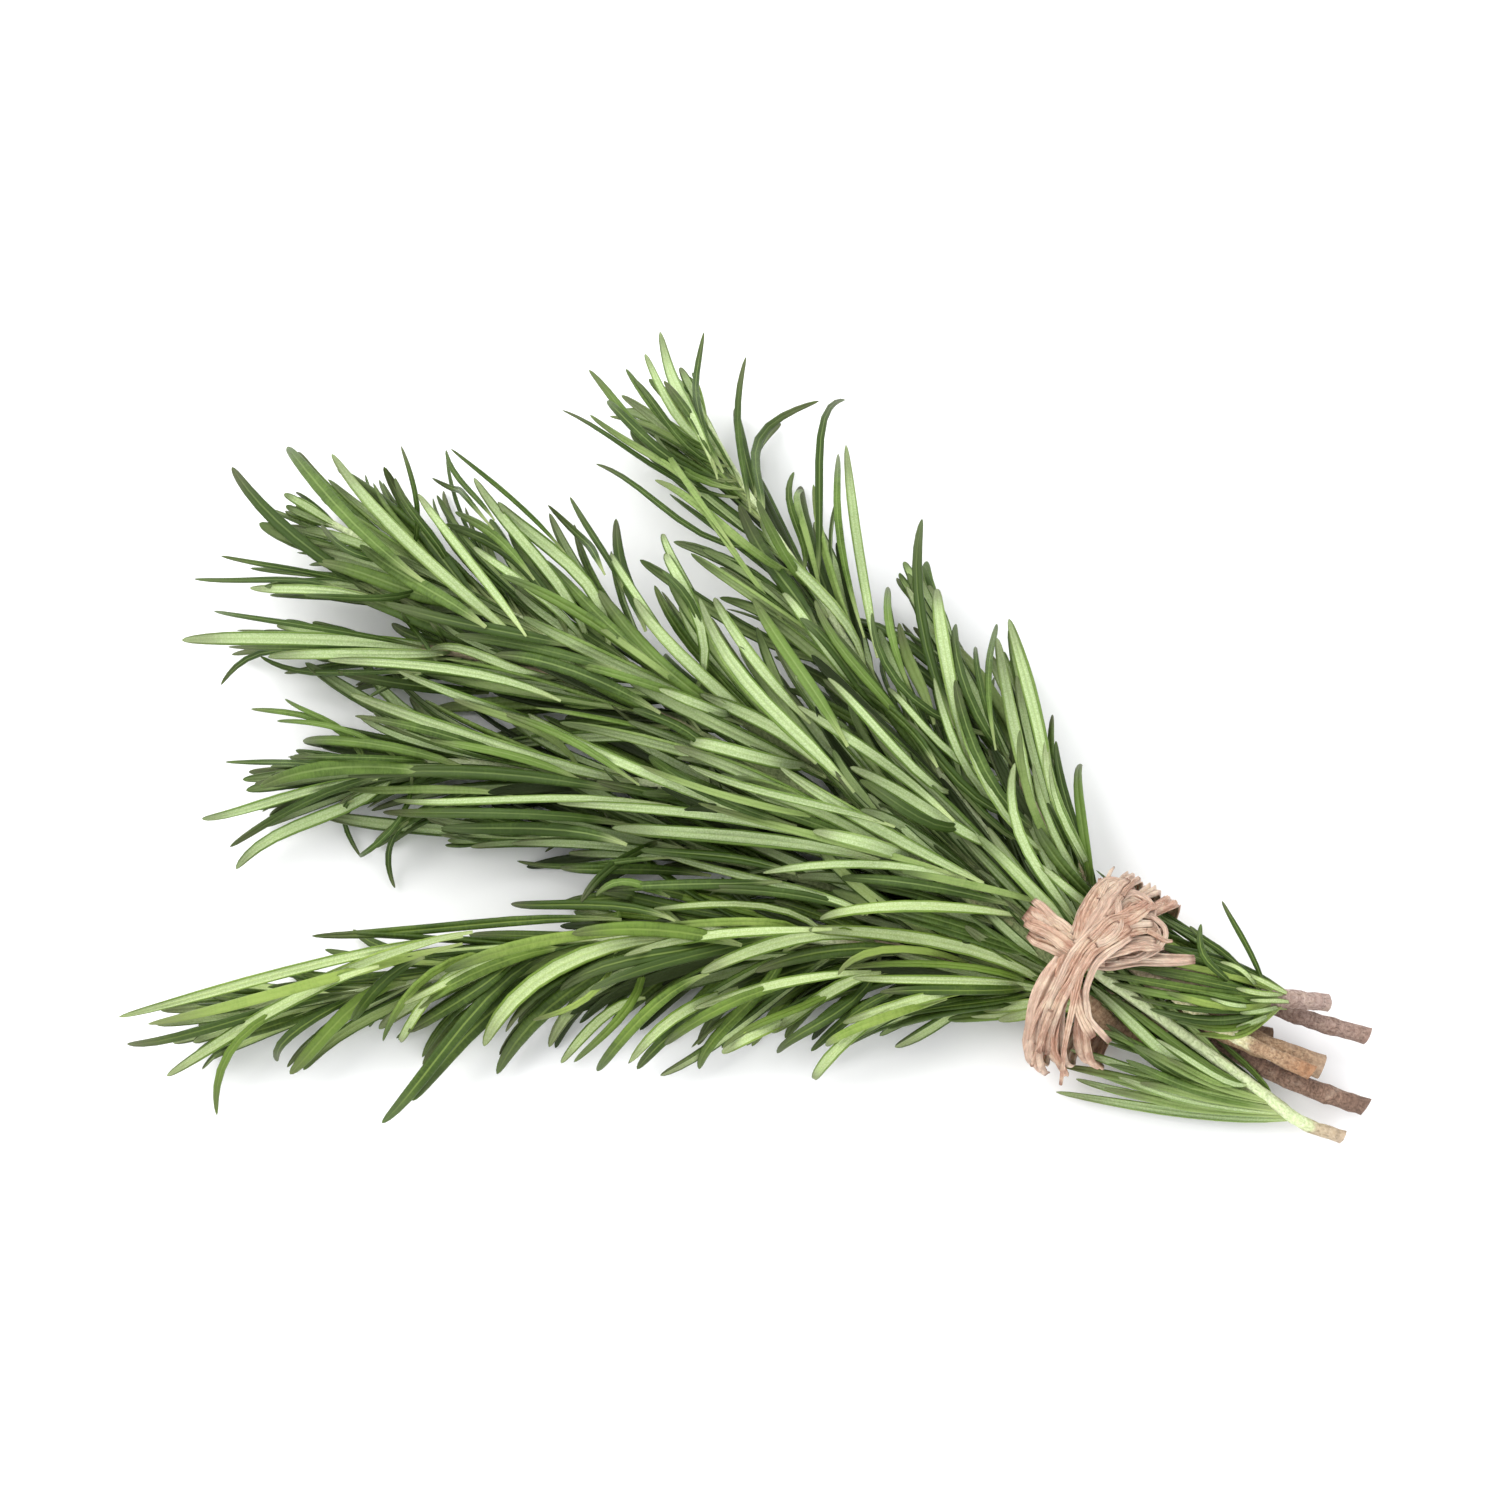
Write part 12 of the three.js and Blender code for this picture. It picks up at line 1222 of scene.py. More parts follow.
def leaf_material(name, dark, mid, light, felt, felt_light):
    """data: underside, share of the length, chance (the leaf's tone: partly random, partly painted light and shade by
    how deep the leaf lies; above 1.5 painted deep shade), distance from the middle line.
    """
    n = Nodes(name)
    under, along, chance, across = n.data()
    obj = n.new("ShaderNodeTexCoord").outputs["Object"]
    uv = n.new("ShaderNodeTexCoord").outputs["UV"]
    other = n.math("FRACT", n.math("MULTIPLY", chance, 7.31))
    third = n.math("FRACT", n.math("MULTIPLY", chance, 23.7))
    patch = n.noise(obj, 150.0, 3.0)
    fine = n.noise(uv, 1.0, 4.0, 0.6, stretch=(60.0, 700.0, 1.0))
    streak = n.noise(uv, 1.0, 3.0, 0.6, stretch=(26.0, 70.0, 1.0))
    # painted light and shade: besides random variation, the tone carries how deep the leaf lies, so deep leaves mix
    # towards dark and top-layer leaves towards light
    tone = n.math("ADD", chance, n.math("MULTIPLY", n.math("SUBTRACT", patch, 0.5), 0.7))
    tone = n.math("ADD", tone, n.math("MULTIPLY", n.math("SUBTRACT", streak, 0.5), 0.45))
    top = n.mix(n.ramp(tone, 0.05, 0.6), dark, mid)
    top = n.mix(n.ramp(tone, 0.6, 1.05), top, light)
    # painted highlight: a pale line along the groove of the upper side, standing in for the gloss along the leaf
    groove = n.math("SUBTRACT", 1.0, n.ramp(across, 0.04, 0.20))
    top = n.mix(n.math("MULTIPLY", groove, 0.5), top, light)
    # the felted underside, with its midrib
    hair = n.noise(obj, 3600.0, 2.0, 0.7)
    low = n.mix(n.ramp(hair, 0.3, 0.75), felt, felt_light)
    low = n.mix(n.math("MULTIPLY", n.ramp(other, 0.4, 1.0), 0.75), low, light)
    low = n.mix(n.math("MULTIPLY", n.math("SUBTRACT", 1.0, n.ramp(across, 0.05, 0.15)), 0.3), low, light)
    col = n.mix(n.ramp(under, 0.35, 0.65), top, low)
    # brighter and duller leaves
    col = n.mix(n.math("MULTIPLY", n.ramp(third, 0.5, 1.0), 0.5), col, dark)
    # foot paler, tip dull and dry
    foot = n.math("SUBTRACT", 1.0, n.ramp(along, 0.02, 0.2))
    col = n.mix(n.math("MULTIPLY", foot, 0.5), col, rgb(0.50, 0.58, 0.26))
    aged = n.math("MULTIPLY", n.ramp(along, 0.5, 1.0), n.ramp(n.math("FRACT", n.math("MULTIPLY", chance, 11.9)), 0.3, 0.8))
    col = n.mix(n.math("MULTIPLY", aged, 0.6), col, rgb(0.075, 0.098, 0.030))
    dull = n.math("MULTIPLY", n.ramp(n.math("ADD", along, n.math("MULTIPLY", n.math("SUBTRACT", patch, 0.5), 0.12)), 0.74, 0.97), n.math("ADD", 0.4, n.math("MULTIPLY", other, 0.5)))
    col = n.mix(dull, col, n.mix(n.ramp(other, 0.2, 0.7), rgb(0.100, 0.096, 0.056), rgb(0.078, 0.112, 0.036)))
    # painted shade: leaves with a tone above 1.5, lying deep among the others, go near-black to stand in for the shade
    # between leaves
    col = n.mix(n.math("MULTIPLY", n.ramp(chance, 1.5, 2.0), 0.9), col, rgb(0.010, 0.020, 0.002))
    n.set(n.bsdf.inputs["Base Color"], col)
    rough = n.math("ADD", n.math("MULTIPLY", n.ramp(under, 0.35, 0.65), 0.36), n.math("ADD", 0.40, n.math("MULTIPLY", fine, 0.16)))
    n.set(n.bsdf.inputs["Roughness"], rough)
    n.bsdf.inputs["Specular IOR Level"].default_value = 0.26
    n.bsdf.inputs["Subsurface Weight"].default_value = 0.1
    n.bsdf.inputs["Subsurface Radius"].default_value = (0.6, 1.0, 0.25)
    n.bsdf.inputs["Subsurface Scale"].default_value = 0.0009
    height = n.math("ADD", n.math("MULTIPLY", fine, 0.7), n.math("MULTIPLY", hair, 0.5))
    n.bump(height, 0.55, 0.00011)
    return n.m


def stem_material(name, foot_tint, bark_dark, bark_light, young, zones):
    """data: share of the length, scar, chance, end face. zones: where the foot's tint ends, where the bark gives way to young stem."""
    n = Nodes(name)
    along, scar, chance, face = n.data()
    obj = n.new("ShaderNodeTexCoord").outputs["Object"]
    uv = n.new("ShaderNodeTexCoord").outputs["UV"]
    fibre = n.noise(uv, 1.0, 5.0, 0.65, stretch=(46.0, 60.0, 1.0), distortion=0.6)
    blotch = n.noise(obj, 420.0, 4.0, 0.6)
    crack = n.noise(uv, 1.0, 3.0, 0.7, stretch=(90.0, 34.0, 1.0))
    place = n.math("ADD", along, n.math("MULTIPLY", n.math("SUBTRACT", blotch, 0.5), 0.05))
    bark = n.mix(n.ramp(fibre, 0.32, 0.68), bark_dark, bark_light)
    soft = n.math("ADD", along, n.math("MULTIPLY", n.math("SUBTRACT", blotch, 0.5), 0.02))
    bark = n.mix(n.math("MULTIPLY", n.math("SUBTRACT", 1.0, n.ramp(soft, zones[0] - 0.028, zones[0] + 0.03)), 0.65), bark, foot_tint)
    bark = n.mix(n.math("MULTIPLY", n.ramp(blotch, 0.52, 0.7), 0.4), bark, rgb(0.50, 0.38, 0.29))
    bark = n.mix(n.math("MULTIPLY", n.ramp(crack, 0.60, 0.72), 0.7), bark, rgb(0.075, 0.045, 0.03))
    green = n.mix(n.ramp(fibre, 0.3, 0.75), young[0], young[1])
    col = n.mix(n.ramp(place, zones[1] - 0.012, zones[1] + 0.015), bark, green)
    col = n.mix(n.ramp(place, zones[2] - 0.02, zones[2] + 0.03), col, n.mix(n.ramp(fibre, 0.3, 0.75), young[2], young[3]))
    col = n.mix(n.math("MULTIPLY", scar, 0.5), col, rgb(0.18, 0.10, 0.06))
    # the cut face: pale wood, darker pith and rim
    wood = n.mix(n.ramp(n.noise(obj, 1500.0, 3.0), 0.35, 0.7), rgb(0.56, 0.40, 0.24), rgb(0.74, 0.60, 0.40))
    wood = n.mix(n.math("SUBTRACT", 1.0, n.ramp(chance, 0.12, 0.26)), wood, rgb(0.30, 0.19, 0.10))
    wood = n.mix(n.ramp(chance, 0.78, 0.92), wood, rgb(0.20, 0.12, 0.07))
    col = n.mix(face, col, wood)
    n.set(n.bsdf.inputs["Base Color"], col)
    n.set(n.bsdf.inputs["Roughness"], n.math("ADD", 0.62, n.math("MULTIPLY", fibre, 0.25)))
    n.bsdf.inputs["Specular IOR Level"].default_value = 0.4
    height = n.math("ADD", n.math("MULTIPLY", fibre, 1.0), n.math("MULTIPLY", n.ramp(crack, 0.5, 0.72), -0.8))
    n.bump(height, 0.8, 0.00028)
    return n.m


def raffia_material():
    """data: across 0..1, share of the length, chance, depth of the pleat, whose troughs get painted shade."""
    n = Nodes("raffia")
    across, along, chance, crest = n.data()
    obj = n.new("ShaderNodeTexCoord").outputs["Object"]
    uv = n.new("ShaderNodeTexCoord").outputs["UV"]
    fibre = n.noise(uv, 1.0, 4.0, 0.65, stretch=(34.0, 4.0, 1.0))
    thread = n.noise(uv, 1.0, 3.0, 0.7, stretch=(105.0, 7.0, 1.0))
    blotch = n.noise(obj, 210.0, 3.0, 0.6)
    col = n.mix(n.ramp(fibre, 0.34, 0.66), rgb(0.36, 0.195, 0.130), rgb(0.66, 0.42, 0.305))
    col = n.mix(n.ramp(blotch, 0.45, 0.66), col, rgb(0.74, 0.56, 0.41))
    col = n.mix(n.math("MULTIPLY", n.ramp(thread, 0.55, 0.68), 0.6), col, rgb(0.95, 0.82, 0.66))
    col = n.mix(n.math("MULTIPLY", n.math("SUBTRACT", 1.0, n.ramp(thread, 0.30, 0.44)), 0.7), col, rgb(0.30, 0.15, 0.09))
    # painted shade: the troughs of the pleats are darkened brown
    col = n.mix(n.math("MULTIPLY", n.math("SUBTRACT", 1.0, n.ramp(crest, 0.1, 0.5)), 0.68), col, rgb(0.29, 0.145, 0.09))
    col = n.mix(n.math("MULTIPLY", n.ramp(chance, 0.45, 1.0), 0.3), col, rgb(0.93, 0.82, 0.68))
    col = n.mix(n.math("MULTIPLY", n.math("SUBTRACT", 1.0, n.ramp(chance, 0.0, 0.5)), 0.3), col, rgb(0.62, 0.33, 0.23))
    # cut ends are brown
    ends = n.math("MAXIMUM", n.ramp(along, 0.93, 0.99), n.math("SUBTRACT", 1.0, n.ramp(along, 0.004, 0.03)))
    col = n.mix(n.math("MULTIPLY", ends, n.math("ADD", 0.35, n.math("MULTIPLY", chance, 0.5))), col, rgb(0.17, 0.08, 0.05))
    n.set(n.bsdf.inputs["Base Color"], col)
    n.set(n.bsdf.inputs["Roughness"], n.math("ADD", 0.46, n.math("MULTIPLY", thread, 0.3)))
    n.bsdf.inputs["Specular IOR Level"].default_value = 0.4
    n.bsdf.inputs["Subsurface Weight"].default_value = 0.06
    n.bsdf.inputs["Subsurface Scale"].default_value = 0.0006
    n.bump(n.math("ADD", thread, n.math("MULTIPLY", fibre, 0.7)), 1.0, 0.00025)
    return n.m


LEAF = leaf_material("rosemary_leaf", rgb(0.031, 0.062, 0.005), rgb(0.120, 0.198, 0.034), rgb(0.245, 0.335, 0.102), rgb(0.33, 0.435, 0.19), rgb(0.49, 0.59, 0.32))
YOUNG = leaf_material("rosemary_leaf_young", rgb(0.033, 0.065, 0.005), rgb(0.126, 0.204, 0.026), rgb(0.26, 0.355, 0.075), rgb(0.36, 0.455, 0.19), rgb(0.505, 0.605, 0.315))
RAFFIA = raffia_material()


# ---- leaves --------------------------------------------------------------------------------------------------------------
# Half of a leaf's section, from the groove of the upper side over the rolled edge to the midrib below:
# share of the half width, height as a share of the half width, and how far it is underside (0 to 1).
HALF = np.array(
    [
        (0.00, 0.10, 0),
        (0.18, 0.185, 0),
        (0.42, 0.27, 0),
        (0.70, 0.24, 0),
        (0.90, 0.12, 0),
        (1.00, -0.04, 0),
        (0.88, -0.31, 0),
        (0.73, -0.29, 0.2),
        (0.63, -0.15, 0.95),
        (0.34, -0.06, 1),
        (0.10, -0.17, 1),
        (0.00, -0.21, 1),
    ]
)
SECTION = np.vstack([HALF, HALF[-2:0:-1] * [-1, 1, 1]])
ALONG = np.array([0.0, 0.035, 0.08, 0.15, 0.25, 0.37, 0.5, 0.62, 0.74, 0.84, 0.91, 0.96, 0.987, 1.0])
WIDE = np.array([0.26, 0.32, 0.46, 0.68, 0.87, 0.97, 1.0, 0.99, 0.94, 0.84, 0.70, 0.52, 0.31, 0.07])


def leaf_mesh(rows, rng):
    rows = np.asarray(rows, float)
    n, k, m = len(rows), len(ALONG), len(SECTION)
    P = rows[:, :12].reshape(n, 4, 3)
    N = rows[:, 12:15]
    w = rows[:, 15]
    t = ALONG[None, :, None]
    C = (1 - t) ** 3 * P[:, None, 0] + 3 * (1 - t) ** 2 * t * P[:, None, 1] + 3 * (1 - t) * t * t * P[:, None, 2] + t**3 * P[:, None, 3]
    T = unit(3 * ((1 - t) ** 2 * (P[:, None, 1] - P[:, None, 0]) + 2 * (1 - t) * t * (P[:, None, 2] - P[:, None, 1]) + t * t * (P[:, None, 3] - P[:, None, 2])))
    U = unit(N[:, None] - (N[:, None] * T).sum(2, keepdims=True) * T)
    W = np.cross(T, U)
    # each leaf is turned a little about its own line, and twists a little from foot to tip
    a = (rows[:, 16, None] * np.clip(ALONG[None] * 6, 0, 1) + rng.uniform(-0.35, 0.35, n)[:, None] * ALONG[None])[:, :, None]
    U, W = U * np.cos(a) + W * np.sin(a), W * np.cos(a) - U * np.sin(a)
    half = 0.5 * w[:, None] * WIDE[None] * (1 + 0.035 * np.sin(ALONG[None] * rng.uniform(9, 17, n)[:, None] + rng.uniform(0, 6, n)[:, None]))
    roll = rng.uniform(0.75, 1.15, n)[:, None, None]
    x = SECTION[None, None, :, 0] * (1 - 0.06 * (roll - 0.75))
    y = SECTION[None, None, :, 1] * roll * 1.12
    # towards the foot the section fills out to a short stalk, towards the tip it closes
    stalk = np.clip(1 - ALONG / 0.12, 0, 1)[None, :, None]
    y = y * (1 + 1.1 * stalk)
    V = C[:, :, None] + W[:, :, None] * (x * half[:, :, None])[..., None] + U[:, :, None] * (y * half[:, :, None])[..., None]
    # nothing goes below the surface that the bunch lies on
    V[..., 2] = np.maximum(V[..., 2], 0.03)
    verts = V.reshape(-1, 3)
    base = (np.arange(n) * k * m)[:, None, None]
    j = (np.arange(k - 1) * m)[None, :, None]
    i = np.arange(m)[None, None, :]
    i2 = (np.arange(m) + 1)[None, None, :] % m
    quads = np.stack([base + j + i, base + j + m + i, base + j + m + i2, base + j + i2], -1).reshape(-1, 4)[:, ::-1]
    ends = np.concatenate([base[:, 0, 0][:, None] + np.arange(m)[None, ::-1], base[:, 0, 0][:, None] + (k - 1) * m + np.arange(m)[None]])[:, ::-1]
    data = np.empty((n, k, m, 4))
    data[..., 0] = SECTION[None, None, :, 2]
    data[..., 1] = ALONG[None, :, None]
    tone = rng.uniform(0, 1, n)
    data[..., 2] = np.where(rows[:, 17] < 0, tone, rows[:, 17])[:, None, None]
    data[..., 3] = np.abs(SECTION[None, None, :, 0])
    length = np.linalg.norm(P[:, 3] - P[:, 0], axis=1)
    uv = np.empty((n, k, m, 2))
    uv[..., 0] = (SECTION[None, None, :, 0] * 0.5 + 0.5) * w[:, None, None] / 30 + rng.uniform(0, 9, n)[:, None, None]
    uv[..., 1] = ALONG[None, :, None] * length[:, None, None] / 30 + rng.uniform(0, 9, n)[:, None, None]
    return verts, [quads, ends], data.reshape(-1, 4), uv.reshape(-1, 2)


def bud_rows(key):
    """The small unopened leaves at the growing tip, as short leaves close round the end of the stem."""
    s = STEMS[key]
    c, length = catmull(s["points"], 200)
    T = unit(c[-1] - c[-6])
    up = unit(np.array([0, 0, 1.0]) - T * T[2])
    side = np.cross(T, up)
    rows = []
    for i in range(14):
        a = i * 2.4 + 0.3
        out = np.cos(a) * up + np.sin(a) * side
        L = 3.4 + 0.55 * i
        back = 0.2 * i
        p0 = c[-1] - T * back + out * 0.25
        p1 = p0 + T * L * 0.33 + out * (0.25 + 0.06 * i)
        p2 = p1 + T * L * 0.36 + out * (0.06 * i)
        p3 = p2 + T * L * 0.31 - out * (0.25 - 0.03 * i)
        rows.append([*p0, *p1, *p2, *p3, *(-out), 0.9 + 0.06 * i, 0.0, -1])
    return rows


# ---- stems ---------------------------------------------------------------------------------------------------------------
def stem_mesh(key, rng):
    s = STEMS[key]
    n = 150
    m = 20
    c, length = catmull(s["points"], n)
    T = unit(np.gradient(c, axis=0))
    up = unit(np.array([0, 0, 1.0])[None] - T * T[:, 2:3])
    side = np.cross(T, up)
    u = np.linspace(0, 1, n)
    r = s["tip"] + (s["foot"] - s["tip"]) * (1 - u) ** 1.35
    knots = np.zeros(n)
    for d in np.arange(4.0 + rng.uniform(0, 3), length, 6.3):
        knots += np.exp(-(((u * length - d) / 0.9) ** 2))
    lumpy = 0.35 if key == "a" else 1.0
    r = r * (0.88 if key == "a" else 1.0) * (1 + lumpy * (0.14 * knots + 0.03 * smooth_noise(n, 6, rng)))
    a = np.linspace(0, 2 * np.pi, m, endpoint=False)
    # young stems are bluntly four-sided, with the leaf feet along the corners
    square = 1 + 0.07 * np.cos(4 * (a - np.pi / 4))[None] * np.clip(u * 3, 0.2, 1)[:, None]
    rough = 1 + 0.05 * rng.normal(size=(n, m)) * np.clip(1.3 - u * 2, 0.25, 1)[:, None]
    rr = r[:, None] * square * rough
    V = c[:, None] + side[:, None] * (np.sin(a)[None, :] * rr)[..., None] + up[:, None] * (np.cos(a)[None, :] * rr)[..., None]
    # a slanting cut
    slant = rng.uniform(-0.5, 0.5)
    V[0] -= T[0] * ((V[0] - c[0]) @ side[0])[:, None] * slant
    data = np.zeros((n, m, 4))
    data[..., 0] = u[:, None]
    data[..., 1] = (knots[:, None] * (rng.uniform(size=(1, m)) > 0.55)).clip(0, 1) * (u[:, None] < 0.4)
    data[..., 2] = 1.0
    uv = np.empty((n, m, 2))
    uv[..., 0] = np.abs(a / (2 * np.pi) - 0.5)[None] * 2 * s["foot"] * 3 / 30
    uv[..., 1] = (u * length / 30)[:, None]
    verts, d, q = V.reshape(-1, 3), data.reshape(-1, 4), uv.reshape(-1, 2)
    i = np.arange(m)
    j = (np.arange(n - 1) * m)[:, None]
    quads = np.stack([j + i, j + (i + 1) % m, j + m + (i + 1) % m, j + m + i], -1).reshape(-1, 4)
    # cut face: rings inwards from a sharp rim, with vertices of its own so that the rim stays crisp
    rings = [(1.0, 0.0), (0.86, 0.06), (0.55, 0.02), (0.25, 0.05), (0.12, 0.22)]
    face_v, face_d = [], []
    for f, depth in rings:
        face_v.append(c[0] + (V[0] - c[0]) * f + T[0] * depth)
        face_d.append(np.tile([0.0, 0.0, f, 1.0], (m, 1)))
    b = len(verts)
    verts = np.vstack([verts, *face_v])
    d = np.vstack([d, *face_d])
    q = np.vstack([q, np.zeros((len(rings) * m, 2))])
    fq = [np.stack([b + k * m + i, b + (k + 1) * m + i, b + (k + 1) * m + (i + 1) % m, b + k * m + (i + 1) % m], -1) for k in range(len(rings) - 1)]
    inner = (b + (len(rings) - 1) * m + i)[None, ::-1]
    tip = ((n - 1) * m + i)[None]
    return verts, [np.vstack([quads[:, ::-1], *[x[:, ::-1] for x in fq]]), np.vstack([inner[:, ::-1], tip])], d, q


# ---- raffia --------------------------------------------------------------------------------------------------------------
def strand_mesh(rows, rng, thick=0.5, pleat=0.32, wide=1.0, across=19):
    """A flat fibrous strand with lengthwise pleats, along rows of x, y, z, face, width."""
    rows = np.asarray(rows, float)
    n = 26 * len(rows) // 4
    m = across
    q, length = catmull(rows, n)
    c, F, w = q[:, :3], q[:, 3:6], q[:, 6] * wide
    T = unit(np.gradient(c, axis=0))
    F = unit(F - (F * T).sum(1, keepdims=True) * T)
    S = np.cross(T, F)
    x = np.linspace(-0.5, 0.5, m)
    u = np.linspace(0, 1, n)
    # pleats that wander a little along the strand
    height = np.zeros((n, m))
    for k in range(3):
        f = rng.uniform(1.6, 4.4) * (k + 1) * 0.7
        ph = rng.uniform(0, 6.28) + 0.5 * smooth_noise(n, 14, rng)
        height += pleat / (k + 1) * np.sin(2 * np.pi * f * x[None] + ph[:, None])
    edge = 1 + 0.09 * smooth_noise(n, 5, rng)
    w = w * edge
    shift = 0.12 * smooth_noise(n, 8, rng)
    fold = -0.5 * (np.abs(x) * 2) ** 4 * 0.35
    top = c[:, None] + S[:, None] * (x[None] * w[:, None] + shift[:, None])[..., None] + F[:, None] * (height * np.clip(w, 0, 3)[:, None] / 3 + fold[None] + thick / 2)[..., None]
    bottom = top - F[:, None] * (thick * (1 - 0.55 * (np.abs(x) * 2) ** 3))[None, :, None]
    V = np.concatenate([top, bottom[:, ::-1]], 1)
    M = 2 * m
    data = np.zeros((n, M, 4))
    xs = np.r_[x, x[::-1]] + 0.5
    data[..., 0] = xs[None]
    data[..., 1] = u[:, None]
    data[..., 2] = rng.uniform()
    # the pleat height, which the raffia material uses to paint shade into the troughs
    lift = np.clip((height - height.min()) / (np.ptp(height) + 1e-6), 0, 1)
    data[..., 3] = np.concatenate([lift, lift[:, ::-1]], 1)
    uv = np.empty((n, M, 2))
    uv[..., 0] = (xs[None] * w[:, None]) / 10 + rng.uniform(0, 5)
    uv[..., 1] = (u * length / 10)[:, None] + rng.uniform(0, 5)
    V[..., 2] = np.maximum(V[..., 2], 0.03)
    i = np.arange(M)
    j = (np.arange(n - 1) * M)[:, None]
    quads = np.stack([j + i, j + M + i, j + M + (i + 1) % M, j + (i + 1) % M], -1).reshape(-1, 4)
    ends = []
    for e, flip in ((0, 1), ((n - 1) * M, 0)):
        k = np.arange(m - 1)
        f = np.stack([e + k, e + k + 1, e + M - 2 - k, e + M - 1 - k], -1)
        ends.append(f[:, ::-1] if flip else f)
    return V.reshape(-1, 3), [np.vstack([quads, *ends])], data.reshape(-1, 4), uv.reshape(-1, 2)


def join(parts):
    verts, faces, data, uv, b = [], {}, [], [], 0
    for v, fs, d, q in parts:
        verts.append(v)
        data.append(d)
        uv.append(q)
        for f in fs:
            faces.setdefault(f.shape[1], []).append(f + b)
        b += len(v)
    return np.vstack(verts), [np.vstack(f) for f in faces.values()], np.vstack(data), np.vstack(uv)


# ---- the bunch -----------------------------------------------------------------------------------------------------------
PALE = (rgb(0.56, 0.68, 0.32), rgb(0.84, 0.91, 0.60))
CREAM = (rgb(0.62, 0.58, 0.28), rgb(0.86, 0.84, 0.60))
ROSE = (rgb(0.42, 0.34, 0.20), rgb(0.66, 0.53, 0.40))
MOSS = (rgb(0.17, 0.22, 0.08), rgb(0.34, 0.40, 0.18))
LOOKS = {
    "a": (rgb(0.50, 0.36, 0.27), rgb(0.42, 0.33, 0.20), rgb(0.62, 0.52, 0.36), (*PALE, *PALE), (0.012, 0.034, 0.5)),
    "b": (rgb(0.13, 0.08, 0.06), rgb(0.13, 0.075, 0.05), rgb(0.32, 0.20, 0.145), (*MOSS, *PALE), (0.01, 0.26, 0.75)),
    "c": (rgb(0.30, 0.22, 0.16), rgb(0.26, 0.15, 0.08), rgb(0.50, 0.34, 0.21), (*MOSS, *ROSE), (0.01, 0.24, 0.66)),
    "d": (rgb(0.26, 0.16, 0.12), rgb(0.20, 0.125, 0.10), rgb(0.42, 0.30, 0.25), (*MOSS, *PALE), (0.01, 0.22, 0.6)),
    "e": (rgb(0.40, 0.29, 0.25), rgb(0.24, 0.155, 0.13), rgb(0.50, 0.38, 0.33), (*ROSE, *PALE), (0.01, 0.12, 0.45)),
    "f": (rgb(0.35, 0.155, 0.070), rgb(0.26, 0.15, 0.08), rgb(0.50, 0.34, 0.21), (*CREAM, *ROSE), (0.030, 0.105, 0.25)),
    "g": (rgb(0.18, 0.11, 0.07), rgb(0.18, 0.11, 0.07), rgb(0.33, 0.22, 0.15), (*ROSE, *PALE), (0.02, 0.16, 0.6)),
    "h": (rgb(0.16, 0.10, 0.07), rgb(0.16, 0.10, 0.07), rgb(0.30, 0.21, 0.15), (*MOSS, *MOSS), (0.02, 0.20, 0.6)),
}
for key in STEMS:
    rng = np.random.default_rng(ord(key))
    tint, dark, light, young, zones = LOOKS[key]
    v, f, d, q = stem_mesh(key, rng)
    stem = mesh_object(f"sprig_{key}_stem_bark", v, f, stem_material(f"stem_{key}", tint, dark, light, young, zones), d, q)
    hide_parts(f"sprig_{key}_stem")
    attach(stem, "root")
    v, f, d, q = leaf_mesh(LEAVES[key] + bud_rows(key), rng)
    leaves = mesh_object(f"sprig_{key}_foliage", v, f, YOUNG if key == "e" else LEAF, d, q)
    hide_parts(f"sprig_{key}_leaves")
    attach(leaves, "root")

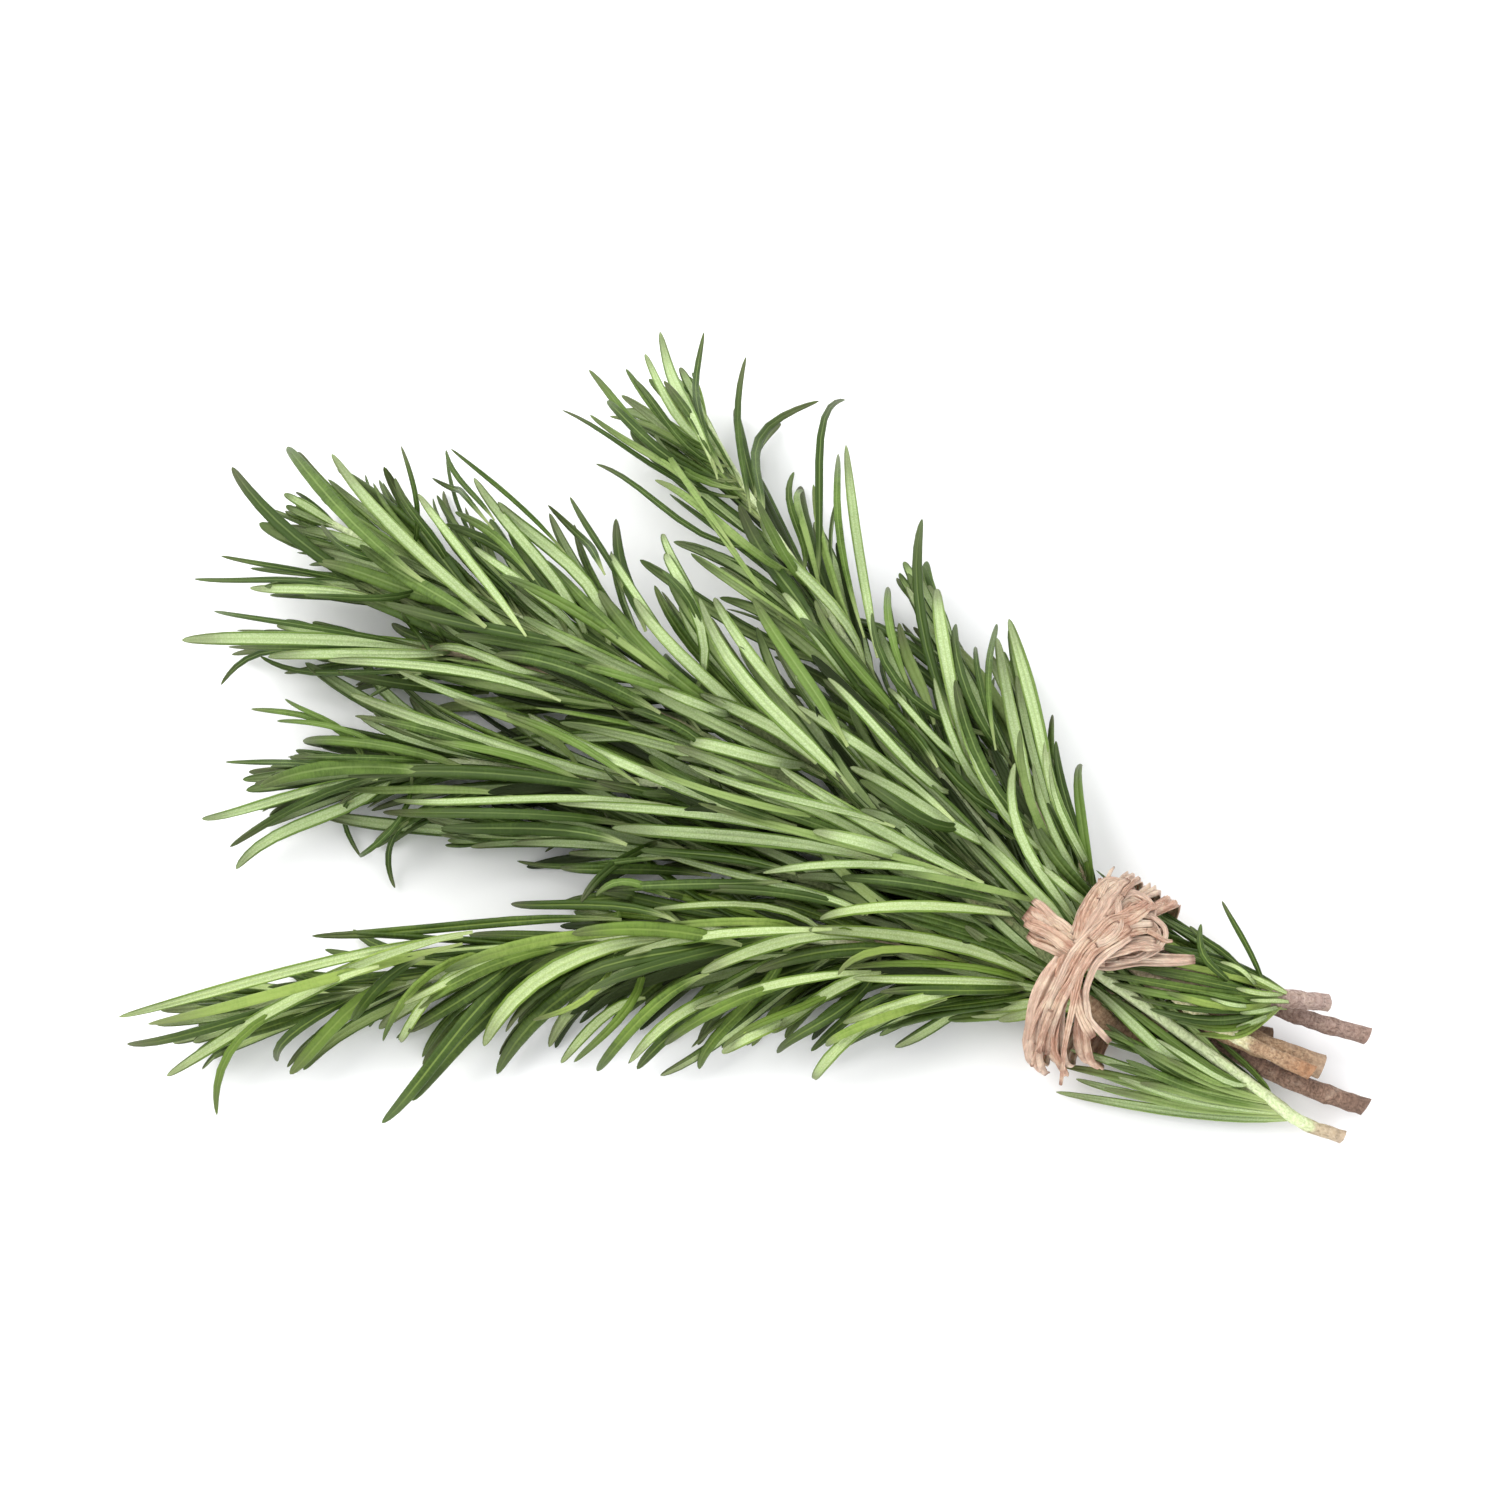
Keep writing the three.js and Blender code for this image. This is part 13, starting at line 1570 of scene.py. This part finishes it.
for i, rows in enumerate(STRANDS):
    ob = mesh_object(f"raffia_strand_{i + 1}_fibres", *strand_mesh(rows, np.random.default_rng(50 + i))[:2], RAFFIA, *strand_mesh(rows, np.random.default_rng(50 + i))[2:])
    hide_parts(f"raffia_strand_{i + 1}")
    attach(ob, "root")
v, f, d, q = join(
    [strand_mesh(rows, np.random.default_rng(70 + i)) for i, rows in enumerate(KNOT)]
    + [strand_mesh(rows, np.random.default_rng(90 + i), thick=0.4, pleat=0.22, across=11) for i, rows in enumerate(FOLDS)]
)
ob = mesh_object("raffia_knot_fibres", v, f, RAFFIA, d, q)
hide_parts("raffia_knot")
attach(ob, "root")

# ---- surface, light and camera -------------------------------------------------------------------------------------------
floor = bpy.data.meshes.new("surface")
floor.from_pydata([(-3, -3, 0), (3, -3, 0), (3, 3, 0), (-3, 3, 0)], [], [(0, 1, 2, 3)])
floor_ob = bpy.data.objects.new("surface", floor)
bpy.context.scene.collection.objects.link(floor_ob)
fm = Nodes("surface")
fm.bsdf.inputs["Base Color"].default_value = rgb(0.95, 0.95, 0.96)
fm.bsdf.inputs["Roughness"].default_value = 0.7
fm.bsdf.inputs["Specular IOR Level"].default_value = 0.2
floor.materials.append(fm.m)

world = bpy.data.worlds.new("studio")
bpy.context.scene.world = world
world.use_nodes = True
bg = world.node_tree.nodes["Background"]
bg.inputs[0].default_value = rgb(0.98, 0.99, 1.0)
bg.inputs[1].default_value = 1.03


def area(name, at, to, size, power, color=(1, 1, 1)):
    light = bpy.data.lights.new(name, "AREA")
    light.shape = "DISK"
    light.size = size
    light.energy = power
    light.color = color
    ob = bpy.data.objects.new(name, light)
    ob.location = at
    ob.rotation_euler = (Vector(to) - Vector(at)).to_track_quat("-Z", "Y").to_euler()
    bpy.context.scene.collection.objects.link(ob)
    return ob


area("key", (-0.85, 0.35, 1.05), (0, 0, 0), 1.2, 14.0, (1.0, 0.99, 0.97))
area("top", (0.15, 0.75, 1.1), (0, 0, 0), 0.7, 4.5)
area("fill", (0.35, -1.1, 0.75), (0, 0, 0), 1.0, 4.5)

cam = bpy.data.cameras.new("camera")
cam.lens = 85
cam.sensor_width = 36
cam_ob = bpy.data.objects.new("camera", cam)
cam_ob.location = Vector(CAMERA_AT) * MM
cam_ob.rotation_euler = (Vector(CAMERA_TO) * MM - Vector(CAMERA_AT) * MM).to_track_quat("-Z", "Y").to_euler()
cam.clip_start = 0.01
bpy.context.scene.collection.objects.link(cam_ob)
bpy.context.scene.camera = cam_ob
bpy.context.scene.view_settings.view_transform = "Standard"
